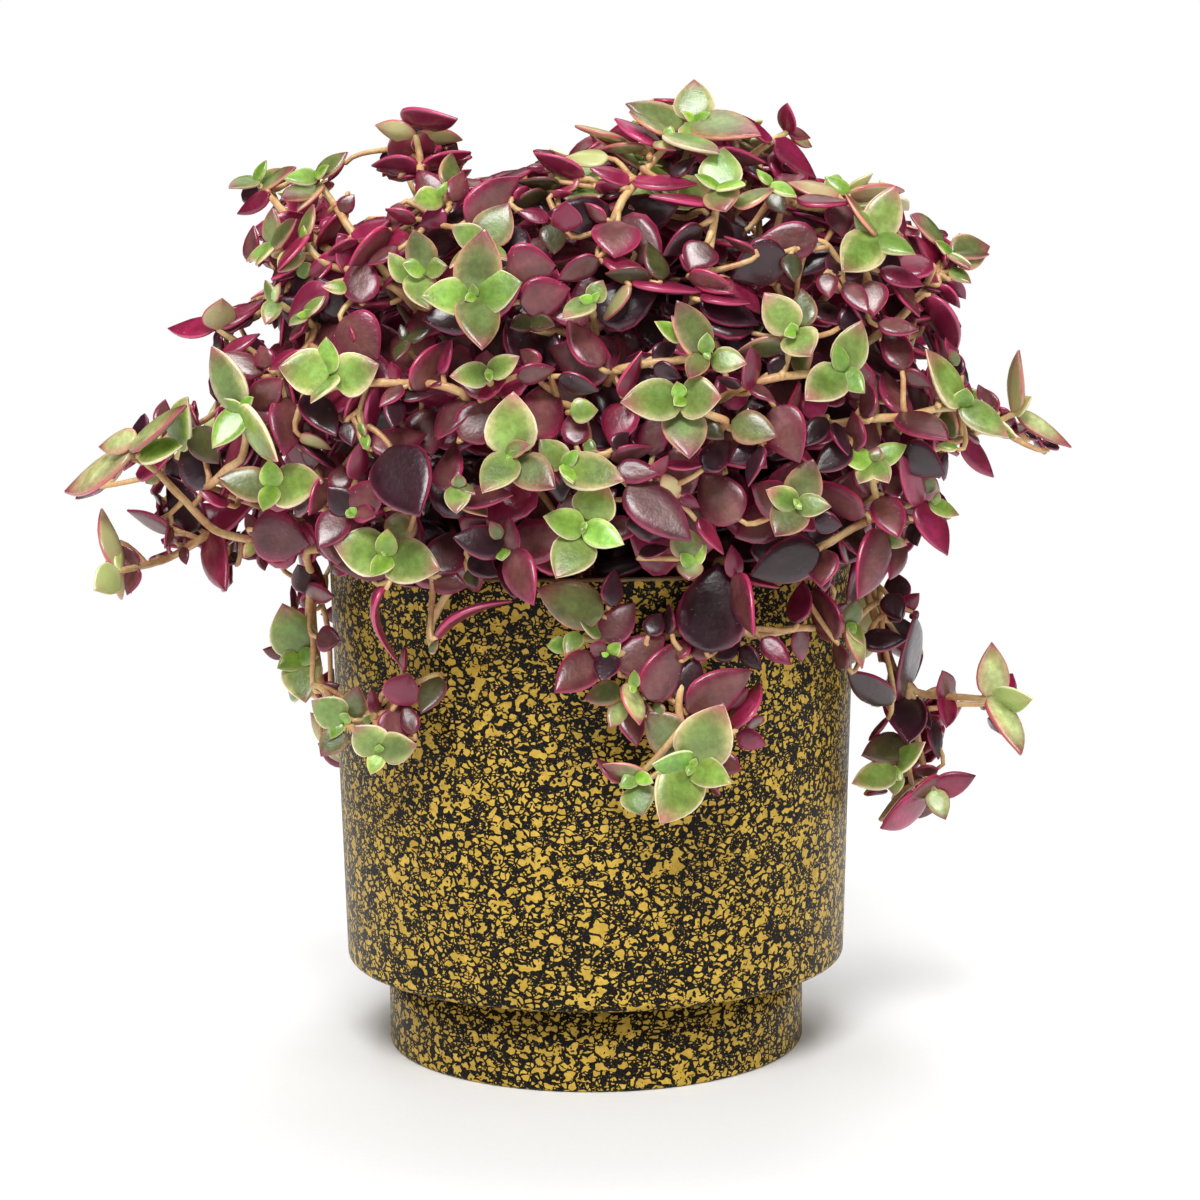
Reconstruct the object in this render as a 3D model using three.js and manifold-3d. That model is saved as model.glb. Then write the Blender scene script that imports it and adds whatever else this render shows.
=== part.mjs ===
import * as THREE from "three";
import { mergeVertices } from "three/addons/utils/BufferGeometryUtils.js";
import Module from "manifold-3d";

// Potted trailing succulent: a stepped ceramic pot filled with growing medium, and trailing
// shoots that rise from the medium, arch over the rim and hang down outside the pot.
// Millimetres, +Z up, origin on the pot's axis in the plane it stands on, photo seen from -Y.

// Driving dimensions
const RIM_HEIGHT = 120; // top edge of the pot
const RIM_RADIUS = 65; // outside, at the top edge
const BODY_RADIUS = 62.25; // outside, at the lower end of the upper body
const FOOT_HEIGHT = 21.35; // underside of the upper body's step
const FOOT_RADIUS = 52.05; // outside of the recessed foot
const STEP_FILLET = 1.9; // rounding of the upper body's lower edge
const BASE_FILLET = 0.9; // rounding of the foot's lower edge
const RIM_FILLET = 1.0; // rounding of the rim
const WALL = 4.4; // wall thickness of the body and the foot
const FLOOR = 8; // thickness of the pot's floor
const SOIL_HEIGHT = 107; // surface of the growing medium at the pot wall
const SOIL_GAP = 0.4; // clearance between the medium and the pot
const SOCKET_GAP = 0.35; // clearance round each stem where it enters the medium
const STEM_RADIUS = 1.0; // main stems
const TWIG_RADIUS = 0.75; // short side stems that carry one leaf
const ROUND_SEGMENTS = 64; // facets round the pot

const wasm = await Module();
wasm.setup();

function solid(geometry) {
  const bare = geometry.clone();
  bare.deleteAttribute("normal");
  bare.deleteAttribute("uv");
  const merged = mergeVertices(bare, 1e-4);
  return new wasm.Manifold(
    new wasm.Mesh({
      numProp: 3,
      vertProperties: new Float32Array(merged.attributes.position.array),
      triVerts: new Uint32Array(merged.index.array),
    }),
  );
}

function geometryOf(manifold) {
  const mesh = manifold.getMesh();
  const geometry = new THREE.BufferGeometry();
  geometry.setAttribute(
    "position",
    new THREE.Float32BufferAttribute(new Float32Array(mesh.vertProperties), 3),
  );
  geometry.setIndex(new THREE.BufferAttribute(new Uint32Array(mesh.triVerts), 1));
  const flat = geometry.toNonIndexed();
  flat.computeVertexNormals();
  return flat;
}

const SKIN = {
  pot: new THREE.MeshStandardMaterial({ color: 0x6d5524, roughness: 0.45, metalness: 0 }),
  soil: new THREE.MeshStandardMaterial({ color: 0x2a1d16, roughness: 0.95, metalness: 0 }),
  young: new THREE.MeshStandardMaterial({ color: 0x93ab68, roughness: 0.38, metalness: 0 }),
  mixed: new THREE.MeshStandardMaterial({ color: 0x8a6a5c, roughness: 0.36, metalness: 0 }),
  mature: new THREE.MeshStandardMaterial({ color: 0x6b3040, roughness: 0.34, metalness: 0 }),
};

const root = new THREE.Group();
root.name = "potted_succulent";

function addMesh(name, geometry, material) {
  const mesh = new THREE.Mesh(geometry, material.clone());
  mesh.name = name;
  root.add(mesh);
  return mesh;
}

// A lathe about the pot's axis: the profile runs from the axis round the outside and back.
function lathe(profile) {
  const points = profile.map(([r, z]) => new THREE.Vector2(r, z));
  const geometry = new THREE.LatheGeometry(points, ROUND_SEGMENTS);
  geometry.rotateX(Math.PI / 2); // the lathe's Y axis becomes +Z
  return geometry;
}

function arc(cx, cz, r, from, to, steps) {
  const out = [];
  for (let i = 0; i <= steps; i++) {
    const a = ((from + ((to - from) * i) / steps) * Math.PI) / 180;
    out.push([cx + r * Math.cos(a), cz + r * Math.sin(a)]);
  }
  return out;
}

// Pot: recessed foot, rounded step, slightly flared upper body, open top.
const innerTop = RIM_RADIUS - WALL;
const innerStep = BODY_RADIUS - WALL;
const innerFoot = FOOT_RADIUS - WALL;
const stepTop = FOOT_HEIGHT + WALL;
const potProfile = [
  [0, 0],
  ...arc(FOOT_RADIUS - BASE_FILLET, BASE_FILLET, BASE_FILLET, -90, 0, 2),
  [FOOT_RADIUS, FOOT_HEIGHT],
  ...arc(BODY_RADIUS - STEP_FILLET, FOOT_HEIGHT + STEP_FILLET, STEP_FILLET, -90, 0, 4),
  ...arc(RIM_RADIUS - RIM_FILLET, RIM_HEIGHT - RIM_FILLET, RIM_FILLET, 0, 90, 3),
  ...arc(innerTop + RIM_FILLET, RIM_HEIGHT - RIM_FILLET, RIM_FILLET, 90, 180, 3),
  [innerStep, stepTop + 3],
  [innerStep - 3, stepTop],
  [innerFoot + 2, stepTop - 1],
  [innerFoot, stepTop - 3],
  [innerFoot, FLOOR + 2],
  [innerFoot - 2, FLOOR],
  [0, FLOOR],
];
addMesh("pot", geometryOf(solid(lathe(potProfile))), SKIN.pot);

// Growing medium: fills the pot to below the rim.
const soilTop = innerStep + ((innerTop - innerStep) * (SOIL_HEIGHT - stepTop - 3)) / (RIM_HEIGHT - stepTop - 3);
const soilProfile = [
  [0, FLOOR + SOIL_GAP],
  [innerFoot - 2 - SOIL_GAP, FLOOR + SOIL_GAP],
  [innerFoot - SOIL_GAP, FLOOR + 2 + SOIL_GAP],
  [innerFoot - SOIL_GAP, stepTop - 3],
  [innerFoot + 2 - SOIL_GAP, stepTop - 1 + SOIL_GAP],
  [innerStep - 3 - SOIL_GAP, stepTop + SOIL_GAP],
  [innerStep - SOIL_GAP, stepTop + 3 + SOIL_GAP],
  [soilTop - SOIL_GAP, SOIL_HEIGHT],
  [0, SOIL_HEIGHT],
];

// A stem: three-sided section swept along a curve through the points.
function stemGeometry(points, radius, sides = 3) {
  const shape = new THREE.Shape();
  for (let i = 0; i < sides; i++) {
    const a = (2 * Math.PI * i) / sides;
    const x = radius * Math.cos(a);
    const y = radius * Math.sin(a);
    if (i) shape.lineTo(x, y);
    else shape.moveTo(x, y);
  }
  shape.closePath();
  const path =
    points.length > 2
      ? new THREE.CatmullRomCurve3(points, false, "centripetal")
      : new THREE.LineCurve3(points[0], points[1]);
  return new THREE.ExtrudeGeometry(shape, {
    steps: points.length - 1,
    extrudePath: path,
    bevelEnabled: false,
  });
}

// A leaf: a pointed, fleshy blade from its base inside the stem, widest and thickest at a
// little over a third of its length, to its tip.
function leafGeometry([bx, by, bz, mx, my, mz, tx, ty, tz, sx, sy, sz, nx, ny, nz]) {
  const corners = [
    [bx, by, bz],
    [mx + sx, my + sy, mz + sz],
    [mx + nx, my + ny, mz + nz],
    [mx - sx, my - sy, mz - sz],
    [mx - nx, my - ny, mz - nz],
    [tx, ty, tz],
  ];
  const geometry = new THREE.BufferGeometry();
  geometry.setAttribute("position", new THREE.Float32BufferAttribute(corners.flat(), 3));
  geometry.setIndex([0, 2, 1, 0, 3, 2, 0, 4, 3, 0, 1, 4, 5, 1, 2, 5, 2, 3, 5, 3, 4, 5, 4, 1]);
  return geometry;
}

function pointsOf(row) {
  const out = [];
  for (let i = 1; i < row.length; i += 3) out.push(new THREE.Vector3(row[i], row[i + 1], row[i + 2]));
  return out;
}

// Each shoot is one grown piece: its stem rises from the medium, branches, and carries leaves.
// stems: one row each, first the kind (1 a stem, 0 a twig), then x, y, z of its points from
// the root outwards. leaves: base, middle and tip point, half width vector, half thickness vector.
const SHOOTS = [
  { name: "shoot_front_01", tone: "mixed",
   stems: [[1,-44.45,-15.76,107,-48.15,-17.13,112.52,-52.06,-19.2,117.66,-56.18,-21.29,122.63,-62.24,-23.55,124.15,-66.73,-28.47,125.35,-72.01,-32.6,126.43,-77.77,-36.05,127.36,-82.88,-32.74,127.95,-87.47,-27.78,128.61,-92.22,-24.92,131.62,-96.79,-25.82,136.54,-100.87,-28.4,141.18,-102.42,-34.06,143.89,-102.87,-40.62,145.55,-103.79,-47,147.68],[1,-81.74,-33.48,127.82,-84.57,-21.11,127.15,-91.5,-19.68,127.97,-101.23,-18.47,122.64,-106.05,-29.48,121.16,-109.23,-42,120.92]],
   leaves: [[-103.99,-45.59,147.07,-110.91,-40.87,143.79,-123.07,-33.24,138.44,-1.41,-5.1,-4.11,-0.79,-0.47,0.85],
    [-103.34,-46.03,147.41,-98.46,-49.37,152.44,-89.17,-56.8,158.48,1.04,3.78,3,-0.81,-0.45,0.84],
    [-91.42,-20.1,126.85,-89.41,-24.11,122.76,-86.15,-33.16,114.5,3.26,-1.97,3.44,-0.89,-0.78,0.4],
    [-91.12,-19.87,127.44,-86.23,-21.03,133.06,-77.73,-24.09,139.01,0.71,-4.01,-3.14,0.78,0.67,-0.67],
    [-103.16,-42.07,146.54,-94.2,-44.74,152.93,-91.77,-50.57,159.29,-2.49,1.9,2.71,-0.77,-0.66,-0.24],
    [-109.08,-40.63,121.27,-111.3,-38.23,126.36,-114.71,-33.92,135.18,1.51,4.06,-1.4,-1.09,0.25,-0.46],
    [-93.65,-18.99,127.48,-97.62,-15.93,133.81,-102.66,-13.22,142.19,-3.57,1.57,-2.83,-0.54,-1.05,0.1],
    [-101.52,-29.55,141.95,-103.1,-30.05,144.06,-97.1,-34.63,147.51,0.22,2.27,2.73,-0.65,-0.56,0.52],
    [-97.51,-19.65,125.43,-104.2,-22.32,131.67,-110.86,-21.45,134.66,-0.66,2.88,-2.31,-0.42,-0.6,-0.63],
    [-98.04,-19.78,125.25,-100.45,-18.78,128.16,-98.16,-15.02,124.13,-2.57,0.9,-0.46,0.11,0.6,0.57]] },
  { name: "shoot_front_02", tone: "mixed",
   stems: [[1,31.64,-21.66,107,35.48,-22.57,112.12,41.59,-24.48,116.9,48.63,-22.9,121.4,53.4,-18.41,122.1,57.09,-13.88,122.53,63.86,-13.02,122.15,66.95,-14.53,116.09,66.75,-11.51,110.63,68.55,-16.06,104.89,72.41,-15.23,97.32,74.79,-11.4,91.94,78.9,-10.55,87.31,85.09,-15.92,86.23,91.46,-20.02,87.37,95.7,-25,87.25],[1,77.43,-11.43,89.07,75.89,-12.9,77.01,72.22,-22,69.51],[1,77.43,-11.43,89.07,80.73,-6.53,75.26,83.03,-13,62.94],[0,72.63,-13.83,95.66,70.35,-30.26,87.92],[0,69.15,-15.38,104.51,62.75,-38,102.65]],
   leaves: [[78.23,-11.18,88.59,76.18,-13.43,94.42,76.34,-22.92,107.02,-3.8,-5.96,-4.44,1.11,-0.49,-0.29],
    [74.7,-15.09,75.5,70.97,-20.75,74.6,63.14,-31.23,74.55,1.71,-1.29,-3.74,0.82,-0.71,0.62],
    [95.56,-24.99,86.98,97.39,-29.54,82.44,100.09,-39.2,75.31,4.3,2.22,-1.38,0.6,-0.6,0.92],
    [70.12,-30.28,88.21,65.63,-34.39,91.29,58.01,-41.54,96.4,-2.97,1.59,-2.2,0.16,-0.89,-0.86],
    [78.75,-11.45,87.26,76.17,-13.01,82.27,75.28,-21.75,75.84,5.82,0.45,-1.18,0.25,-0.79,0.93],
    [82.65,-12.96,62.95,76.66,-14.33,59.27,68.91,-20.11,55.66,0.13,2.58,-4.43,0.74,-0.83,-0.46],
    [72.22,-21.97,69.67,67.44,-28.85,69.03,60.75,-35.72,68.26,1.84,-1.33,-2.96,0.56,-0.75,0.69],
    [95.26,-24.34,87.64,95.87,-23.13,92.24,95.82,-22.44,100.71,-4.17,-0.22,-0.01,0.06,-1.05,0.14],
    [95.75,-24.91,87.37,98.84,-27.65,87.12,103.64,-33.35,87.52,1.24,0.8,-3.4,0.73,0.56,0.4],
    [82.3,-12.17,64.82,81.62,-13.21,64.19,76.14,-17.46,61.97,0.07,1.4,-3.09,0.55,-0.72,-0.31],
    [83.34,-12.76,63.4,87.19,-12.13,64.4,93.67,-13.02,67.08,-1.33,-0.37,3.1,-0.02,-0.94,-0.12],
    [85.19,-16.14,85.94,85.65,-17.71,83.68,85.02,-23.34,79.48,2.67,0.46,-1.01,0.35,-0.59,0.65],
    [72.83,-21.34,70.35,75.32,-21.91,72.2,79.88,-23.95,77.07,-1.07,2.4,2,-0.61,-0.6,0.39],
    [63.21,-37.83,102.67,66.71,-38.5,102.63,73.13,-39.57,102.77,0.24,1.78,2.65,-0.08,-0.74,0.51],
    [85.15,-15.99,86.66,85.3,-16.48,89.39,84.14,-20.11,94.16,-2.38,-1.14,-1.44,0.49,-0.64,-0.31],
    [80.33,-7.75,79.06,83.13,-9.23,76.36,84.07,-9.93,71.31,1.75,1.84,0.06,0.52,-0.5,0.14]] },
  { name: "shoot_front_03", tone: "young",
   stems: [[1,-7.24,-51.49,107,-8.39,-50.15,119.59,-9.77,-46.42,131.63,-11.51,-47.85,142.14,-14.1,-53.23,153.32,-17.46,-56.58,164.14,-20.1,-66.51,171.53,-21.74,-78.33,175.94,-23.73,-90,180.62],[1,-21.05,-73.36,174.08,-21.98,-81,191.86]],
   leaves: [[-23.53,-89.36,179.95,-22.98,-92.26,176.2,-21.58,-98.27,169.18,4.77,1.05,0.05,0.18,-0.87,0.7],
    [-23.53,-89.11,180.67,-22.83,-88.63,186.03,-21.28,-88.79,194.8,-5.16,0.33,0.92,-0.06,-1.09,0.05],
    [-22.23,-81.04,191.23,-24.47,-82.9,189.61,-28.57,-88.1,186.12,2.73,-2.22,0.11,-0.34,-0.38,0.84],
    [-24.17,-89.13,180.55,-27.89,-90.11,180.49,-34.68,-93.04,180.17,0.5,-1.05,-4.18,0.29,-0.87,0.25],
    [-21.93,-81.7,177.41,-10.46,-81.27,180.86,-3.77,-80.41,182.39,-0.85,-1.05,4.3,0.21,-0.89,-0.18],
    [-23.08,-89.38,180.76,-20.18,-89.92,181.3,-14.75,-91.46,182.74,-0.64,1.03,4.12,-0.23,-0.75,0.15],
    [-21.33,-78.94,186.95,-13.45,-80.07,187.15,-6.9,-80.49,187.81,-0.65,-1.72,5.34,0.02,-0.86,-0.28],
    [-21.8,-80.74,191.96,-20.13,-79.09,195.27,-17.03,-78.24,200.78,-3.99,0.72,2.13,-0.04,-0.86,0.21]] },
  { name: "shoot_front_04", tone: "young",
   stems: [[1,0.26,-48.71,107,-3.24,-52.22,120.06,-7.95,-56.85,132.36,-11.57,-66.76,139.48,-13.88,-79.86,143.79,-16.35,-93,147.86]],
   leaves: [[-14.69,-85.73,145.92,-10.61,-80.87,155.66,-8.38,-74.86,163.26,-5.01,-0.23,1.84,0.3,-0.92,0.71],
    [-16.17,-92.01,147.96,-16.23,-91.58,152.86,-16.01,-91.63,161.09,-5.67,0.66,0.15,-0.12,-1.03,0.06],
    [-16.4,-92.32,147.32,-18.5,-94.34,144.77,-21.89,-98.78,139.97,3.53,-0.68,-1.87,0.14,-0.79,0.55],
    [-15.51,-91.23,146.73,-12.06,-93.24,144.45,-7.19,-96.97,140.85,2.84,1.1,3.04,-0.21,-0.81,0.49]] },
  { name: "shoot_front_05", tone: "mixed",
   stems: [[1,-6.21,-43.56,107,-7.71,-43.35,120.51,-11.4,-40.3,132.64,-13.6,-49.89,141.33,-12.61,-60.64,150.73,-9.42,-70.21,156.78,-2.38,-78.8,155.97,-1,-85.02,144.72,-1.42,-90,132.69],[1,-9.59,-71.3,157,-7.53,-80.44,151.04,-5.47,-90,145.42],[0,-0.35,-84.4,144.2,23.49,-84,144.38],[0,-0.89,-87.2,138.44,22.27,-82,133.75]],
   leaves: [[-0.71,-86.01,142.23,12.66,-86.86,136.47,20.57,-90.38,129.09,3.89,2.59,2.94,0.22,-1.05,0.63],
    [-5.16,-89.43,145.74,-0.55,-91.26,144.18,6.95,-95.51,142.51,1.77,1.59,3.81,-0.31,-0.92,0.53],
    [-1.61,-89.94,132.68,-3.3,-90.65,128.08,-6.26,-94.72,123.76,3.68,-0.71,-1.96,0.13,-0.69,0.49],
    [-0.9,-89.71,132.79,1.5,-90.48,131.59,6.14,-93.21,130.28,1.15,0.58,2.44,-0.24,-0.67,0.28],
    [23.33,-83.63,144.45,25.63,-82.05,146.38,29.32,-79.22,150.33,-2.35,0.38,2.17,0.23,-0.72,0.38],
    [22.22,-81.96,133.61,24.53,-81.97,130.93,28.12,-82.15,126.28,1.24,1.66,0.86,0.5,-0.57,0.38],
    [-0.62,-83.86,147.27,7.39,-83.09,148.52,13.25,-83.41,149.76,-0.66,-2.11,1.86,0.16,-0.57,-0.59],
    [-1.8,-89.79,133.17,-4.75,-89.67,133.39,-10.09,-91.37,134.7,-0.54,-0.82,-3.29,0.24,-0.79,0.16],
    [0.5,-84.44,144.2,9.01,-85.48,144.02,14.58,-86.54,143.23,0.53,0.8,2.68,-0.07,-0.79,0.25],
    [-7.07,-83.94,148.79,-9.26,-85.04,146.53,-6.94,-85.26,141.42,1.33,2.1,0.51,0.63,-0.46,0.26]] },
  { name: "shoot_front_06", tone: "young",
   stems: [[1,20.52,-38.48,107,21.57,-39.42,120.03,23.38,-39.29,132.64,24.84,-50.29,139.61,25.61,-61.58,146.14,27.15,-73.47,151.37,28.5,-85.99,154.98,18.6,-93,159.51],[0,28.11,-82.41,153.95,36.21,-83,148.88]],
   leaves: [[18.51,-92.8,159.43,13.83,-93.53,158.76,6.36,-96.94,158.25,1.01,-1.11,-4.46,0.32,-0.95,0.31],
    [21.21,-90.86,157.85,19.3,-91.49,152.9,19.99,-97.12,146.52,4.85,0.48,-0.11,0.09,-0.82,0.64],
    [28.87,-82.5,153.66,33.62,-83.32,152.97,39.22,-85.45,150.73,1.63,0.63,3.47,-0.17,-0.84,0.23],
    [35.89,-83.04,148.61,35.3,-84.59,145.75,33.54,-87.43,140.55,1.94,-2.13,0.53,-0.61,-0.45,0.4],
    [19.87,-92.69,159.17,21.89,-93.12,159.15,26.85,-95.4,158.87,0.76,1.13,4.53,-0.27,-0.75,0.23]] },
  { name: "shoot_front_07", tone: "young",
   stems: [[1,8.92,-40.83,107,8.72,-28.45,112.32,8.92,-17.42,119.72,9.67,-23.66,129.16,10.51,-35.53,135.55,13.08,-45.58,144.05,17.35,-55.54,151.03,22.82,-66.74,156.13,30.33,-76.69,160.61,39.67,-83.24,163.82,52.73,-86,164.87],[1,40.29,-83.37,163.87,42.58,-85,172.86]],
   leaves: [[45.29,-84.15,164.54,45.46,-77.63,169.56,43.88,-73.99,177.4,-2.07,3.13,-1.87,-0.93,-0.54,0.13],
    [36.8,-81.01,162.36,41.37,-81.4,152.93,44.75,-84.07,145.91,4.12,-1.35,2.5,-0.38,-0.96,0.11],
    [52.09,-86.09,164.59,49.61,-87.57,162.3,44.43,-92.42,158.3,3.19,-0.92,-3.03,0.27,-0.83,0.54],
    [52.65,-85.84,165.2,54.44,-84.73,168.88,56.98,-84.96,175.42,-3.73,0.33,1.46,-0.06,-0.94,0.05],
    [35.57,-80.68,162.56,34,-85.42,164.77,33.51,-89.21,170.22,1.98,2.22,1.72,-0.74,0.43,0.3],
    [42.33,-84.82,172.95,40.46,-83.43,176.16,36.86,-83.15,181.54,-3.57,-0.62,-2.36,0.06,-0.88,0.15],
    [41.4,-84.11,170.18,37.24,-80.57,170.66,31.34,-80.28,169.9,0.41,1.94,-2.27,0,-0.66,-0.57],
    [42.74,-84.58,172.66,45.72,-77.5,177.26,45.33,-75.03,182.29,-2.87,0.96,-0.6,-0.3,-0.7,0.34]] },
  { name: "shoot_front_08", tone: "mixed",
   stems: [[1,-32.74,-29.57,107,-34.31,-31.49,113.17,-35.32,-37.57,116.83,-36.47,-43.69,120.39,-37.79,-50.21,122.95,-39.25,-57.13,124.08,-40.78,-64.08,124.94,-42.35,-71.04,125.68,-43.94,-78,126.35],[0,-41.38,-66.74,125.22,-33.09,-69,121.49]],
   leaves: [[-43.96,-77.79,125.93,-46.1,-78.61,114.48,-40.62,-74,101.06,0.24,-3.33,-1.04,-0.93,-0.24,0.55],
    [-43.21,-77.22,125.94,-39.48,-78.76,124.98,-31.77,-82.7,122.97,1.9,1.44,4.72,-0.3,-0.94,0.41],
    [-33.01,-68.69,121.86,-32.19,-66.21,125.05,-30.41,-62.5,130.74,-4.75,0.21,1.2,0.11,-0.77,0.57],
    [-44.12,-77.17,126.33,-48.28,-77.96,127.01,-55.05,-80.19,128.32,-0.48,-1.61,-5.29,0.28,-0.88,0.24]] },
  { name: "shoot_front_09", tone: "young",
   stems: [[1,7.98,-25.64,107,8.11,-13.6,111.13,8.25,-1.49,114.96,8.55,6.1,123.57,8.88,-2.17,132.82,9.34,-9.47,143.12,10.1,-10.5,155.54,11.06,-3.68,166.06,12.25,6.66,173.31,14.09,7.15,183.54,15.61,-2.85,191.22,17.95,-10.13,200.67,19.09,-21.89,205.35,20.36,-33.71,209.92,21.81,-45.51,214.49,23.28,-57,219.73],[1,20.83,-37.52,211.39,14.41,-33.15,204.77,9.88,-37.97,200.03,7.97,-49.92,199.02,6.37,-61.93,198.31,5.27,-73.97,197.24,9.85,-70.06,206.52,17.24,-67,215.35],[1,16.45,-5.48,194.62,25.11,-13.17,198.56,31.88,-22.48,201.5,35.51,-33,204.84,39.07,-32.53,216.72],[1,14.88,1.93,187.54,18.82,-6.52,195.98,24.02,-10.66,206.72,28.65,-16.33,216.95],[1,16.45,-5.48,194.62,16.16,-13.04,204.71,15.69,-24.57,211.07,14.1,-32.76,220.09],[1,18.07,-11.4,201.18,23.92,-22.73,208.77,30.72,-31.71,218.31],[0,8.22,-71.45,203.21,-1.14,-69,206.79],[0,14.83,-67.99,212.48,8.06,-60,215.38],[0,6.91,-72.57,200.56,-6.07,-70,205.88]],
   leaves: [[23.51,-56.51,219.33,28.84,-60.1,218.06,37.68,-67.47,215.55,3.52,2.98,3.61,-0.29,-0.78,0.93],
    [17.49,-67.3,214.92,21.29,-69.96,213.5,28.1,-76.73,210.42,3.79,3.59,0.27,0.25,-0.34,1.1],
    [28.67,-16.6,216.75,30.26,-22.13,216.8,32.86,-30.76,217.07,5.33,1.54,-2.1,0.38,0.08,1.03],
    [10.07,-70.3,205.93,14.55,-69.79,205.04,23.35,-70.98,204.45,0.53,2.95,1.85,0.04,-0.59,0.92],
    [36.69,-32.64,209.43,34.05,-28.5,210.38,29.88,-21.43,212.43,-4.38,-3.03,1.55,0.36,-0.01,0.99],
    [37.15,-33.3,209.43,40.23,-37.88,209.52,45.21,-44.67,210.31,4.73,3.27,-1.67,0.22,0.2,1.01],
    [22.51,-55.14,218.69,15.88,-56.05,220.81,7.9,-57.82,223.42,-0.65,-1.86,-3.5,0.29,-0.92,0.43],
    [25.82,-13.7,211.1,26.39,-20.38,210.01,27.54,-27.38,210.83,4.28,0.47,-1.72,0.33,0.07,0.83],
    [28.41,-15.66,216.87,27.52,-11.31,218.16,26.53,-3.95,220.56,-4.49,-1.3,1.77,0.41,-0.16,0.92],
    [14.5,-28.64,215.52,12.85,-27.78,214.17,8.73,-21.18,215.27,-4.46,-2.73,-1.44,-0.18,-0.21,0.96],
    [-1.11,-69,206.82,-5.2,-70.54,208.52,-11.45,-72.57,211.72,1.62,-3.42,0.91,0.27,0.36,0.87],
    [14.55,-32.47,220.16,18.44,-30.57,221.91,24.17,-27.91,225.23,-2.3,4.72,-0.07,-0.34,-0.15,0.91],
    [23.69,-57.06,219.54,31.35,-61.86,212.65,38.35,-63.55,210.8,-0.37,-3.24,1.43,-0.22,-0.36,-0.88],
    [39.23,-32.87,216.51,41.95,-36.59,216.89,46.26,-42.46,217.57,4.18,2.9,-1.47,0.2,0.19,0.93],
    [15.5,-67.34,213.76,11.4,-63.54,215.78,5.81,-61.33,219.83,-1.8,-2.83,-0.93,0.32,-0.46,0.78],
    [8.19,-60.01,215.62,4.31,-60.14,216.62,-1.57,-60.43,218.26,-0.14,2.99,-0.15,-0.27,-0.05,-0.77],
    [14.89,-29.85,216.44,16.73,-34.56,216.71,18.28,-38.43,219.22,2.57,1.57,0.83,-0.29,0.19,0.54],
    [13.74,-32.78,219.75,9.85,-34.8,219.42,3.7,-37.94,218.74,1.94,-3.98,0.06,-0.13,-0.05,0.92],
    [38.8,-32.21,216.57,36.67,-28.63,217.58,33.3,-22.93,219.24,-3.45,-2.39,1.22,0.31,-0.01,0.87],
    [25.77,-12.55,210.71,25.5,-11.52,210.43,25.43,-5.06,212.01,-4.49,-0.49,1.8,0.35,-0.15,0.83],
    [16.82,-66.85,215.37,14.03,-64.55,217.53,8.85,-62.63,221.13,-1.36,-2.61,-0.56,0.34,-0.34,0.77],
    [23.18,-55.95,219.69,23.39,-54.38,223.52,23.46,-52.37,229.59,-4.69,0.04,0.05,0,-0.83,0.33],
    [15.61,-66.98,213.53,9.75,-61.75,214.1,4.37,-61.87,213.59,0.05,1.9,-0.52,0.01,-0.2,-0.71],
    [10.37,-69.48,207.78,0.59,-64.67,211.44,-5.43,-63.95,211.23,0.21,2.3,1.98,0.04,0.56,-0.66],
    [30.38,-31.89,218.12,28.28,-34.91,217.84,24.88,-39.61,217.51,2.91,-2,-1.55,0.22,-0.27,0.77],
    [-6.08,-70.15,205.73,-9.44,-70.09,206.31,-15.21,-70.51,206.58,-0.22,2.53,-1.24,-0.05,-0.37,-0.75],
    [31.2,-31.17,218.21,32.86,-29.32,219.32,36.11,-25.84,221.08,-2.43,1.67,1.29,0.08,-0.36,0.62],
    [9.18,-70.37,206.23,5.77,-71.26,207.07,0.59,-72.63,208.3,-0.13,1.81,1.9,-0.34,0.54,-0.54]] },
  { name: "shoot_front_10", tone: "mixed",
   stems: [[1,12.71,-33.79,107,13.03,-27.44,118.6,13.26,-33.39,129.89,14.01,-37.7,142.36,15.2,-44.13,152.4,16.8,-54,161.13,19.3,-62.83,170.72,22.66,-70.85,180.66,25.44,-77.79,190.22,27.64,-77,203.26],[0,24.03,-74.28,185.39,23.3,-82,180]],
   leaves: [[23.92,-73.09,183.61,28.21,-78.59,177.92,35.48,-79.28,174.12,1.74,2.47,2.86,0.23,-0.85,0.59],
    [26.7,-77.21,200.03,20.07,-77.03,200.5,12.47,-80.48,201.17,1.56,-3.73,-1.48,0.17,-0.32,0.98],
    [23.67,-81.84,180.12,27.35,-82.03,179.43,34.05,-82.47,178.82,0.31,3.14,1.17,0.12,-0.32,0.84],
    [25.96,-77.48,195.36,20.46,-76.59,193.53,15.42,-77.81,189.62,1.22,1.96,-2.19,0.41,-0.7,-0.39],
    [27.5,-76.66,203.19,28.12,-74.11,206.76,28.36,-71.76,212.69,-4.82,0.3,0.31,-0.02,-0.78,0.38],
    [24.62,-76.05,187.3,24.53,-81.31,184.61,29.67,-83.65,183.25,-0.25,-1.77,2.08,-0.34,-0.57,-0.52],
    [27.59,-77.08,200.67,34.36,-75.32,200.84,39.52,-76.01,202.98,-0.46,2.09,1.78,-0.26,-0.54,0.57]] },
  { name: "shoot_front_11", tone: "mixed",
   stems: [[1,36.4,-36.63,107,35.97,-26.29,114.36,37.44,-15.21,119.32,38.48,-3.99,126.34,38.87,-10.23,136.77,40.19,-20.6,144.44,43.39,-26.53,155.64,45.88,-31.55,165.45,47.85,-41.52,172.7,52.04,-51.65,180.99,57.17,-60.8,187.71,61.4,-71,193.39],[1,56.33,-60.26,187.21,56.91,-58.97,203.9],[0,59.22,-66.38,190.78,41.54,-75,190.31],[0,59.82,-67.66,191.5,48.86,-72,192.99],[0,56.79,-59.27,200.13,44.94,-68,201.21]],
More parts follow.
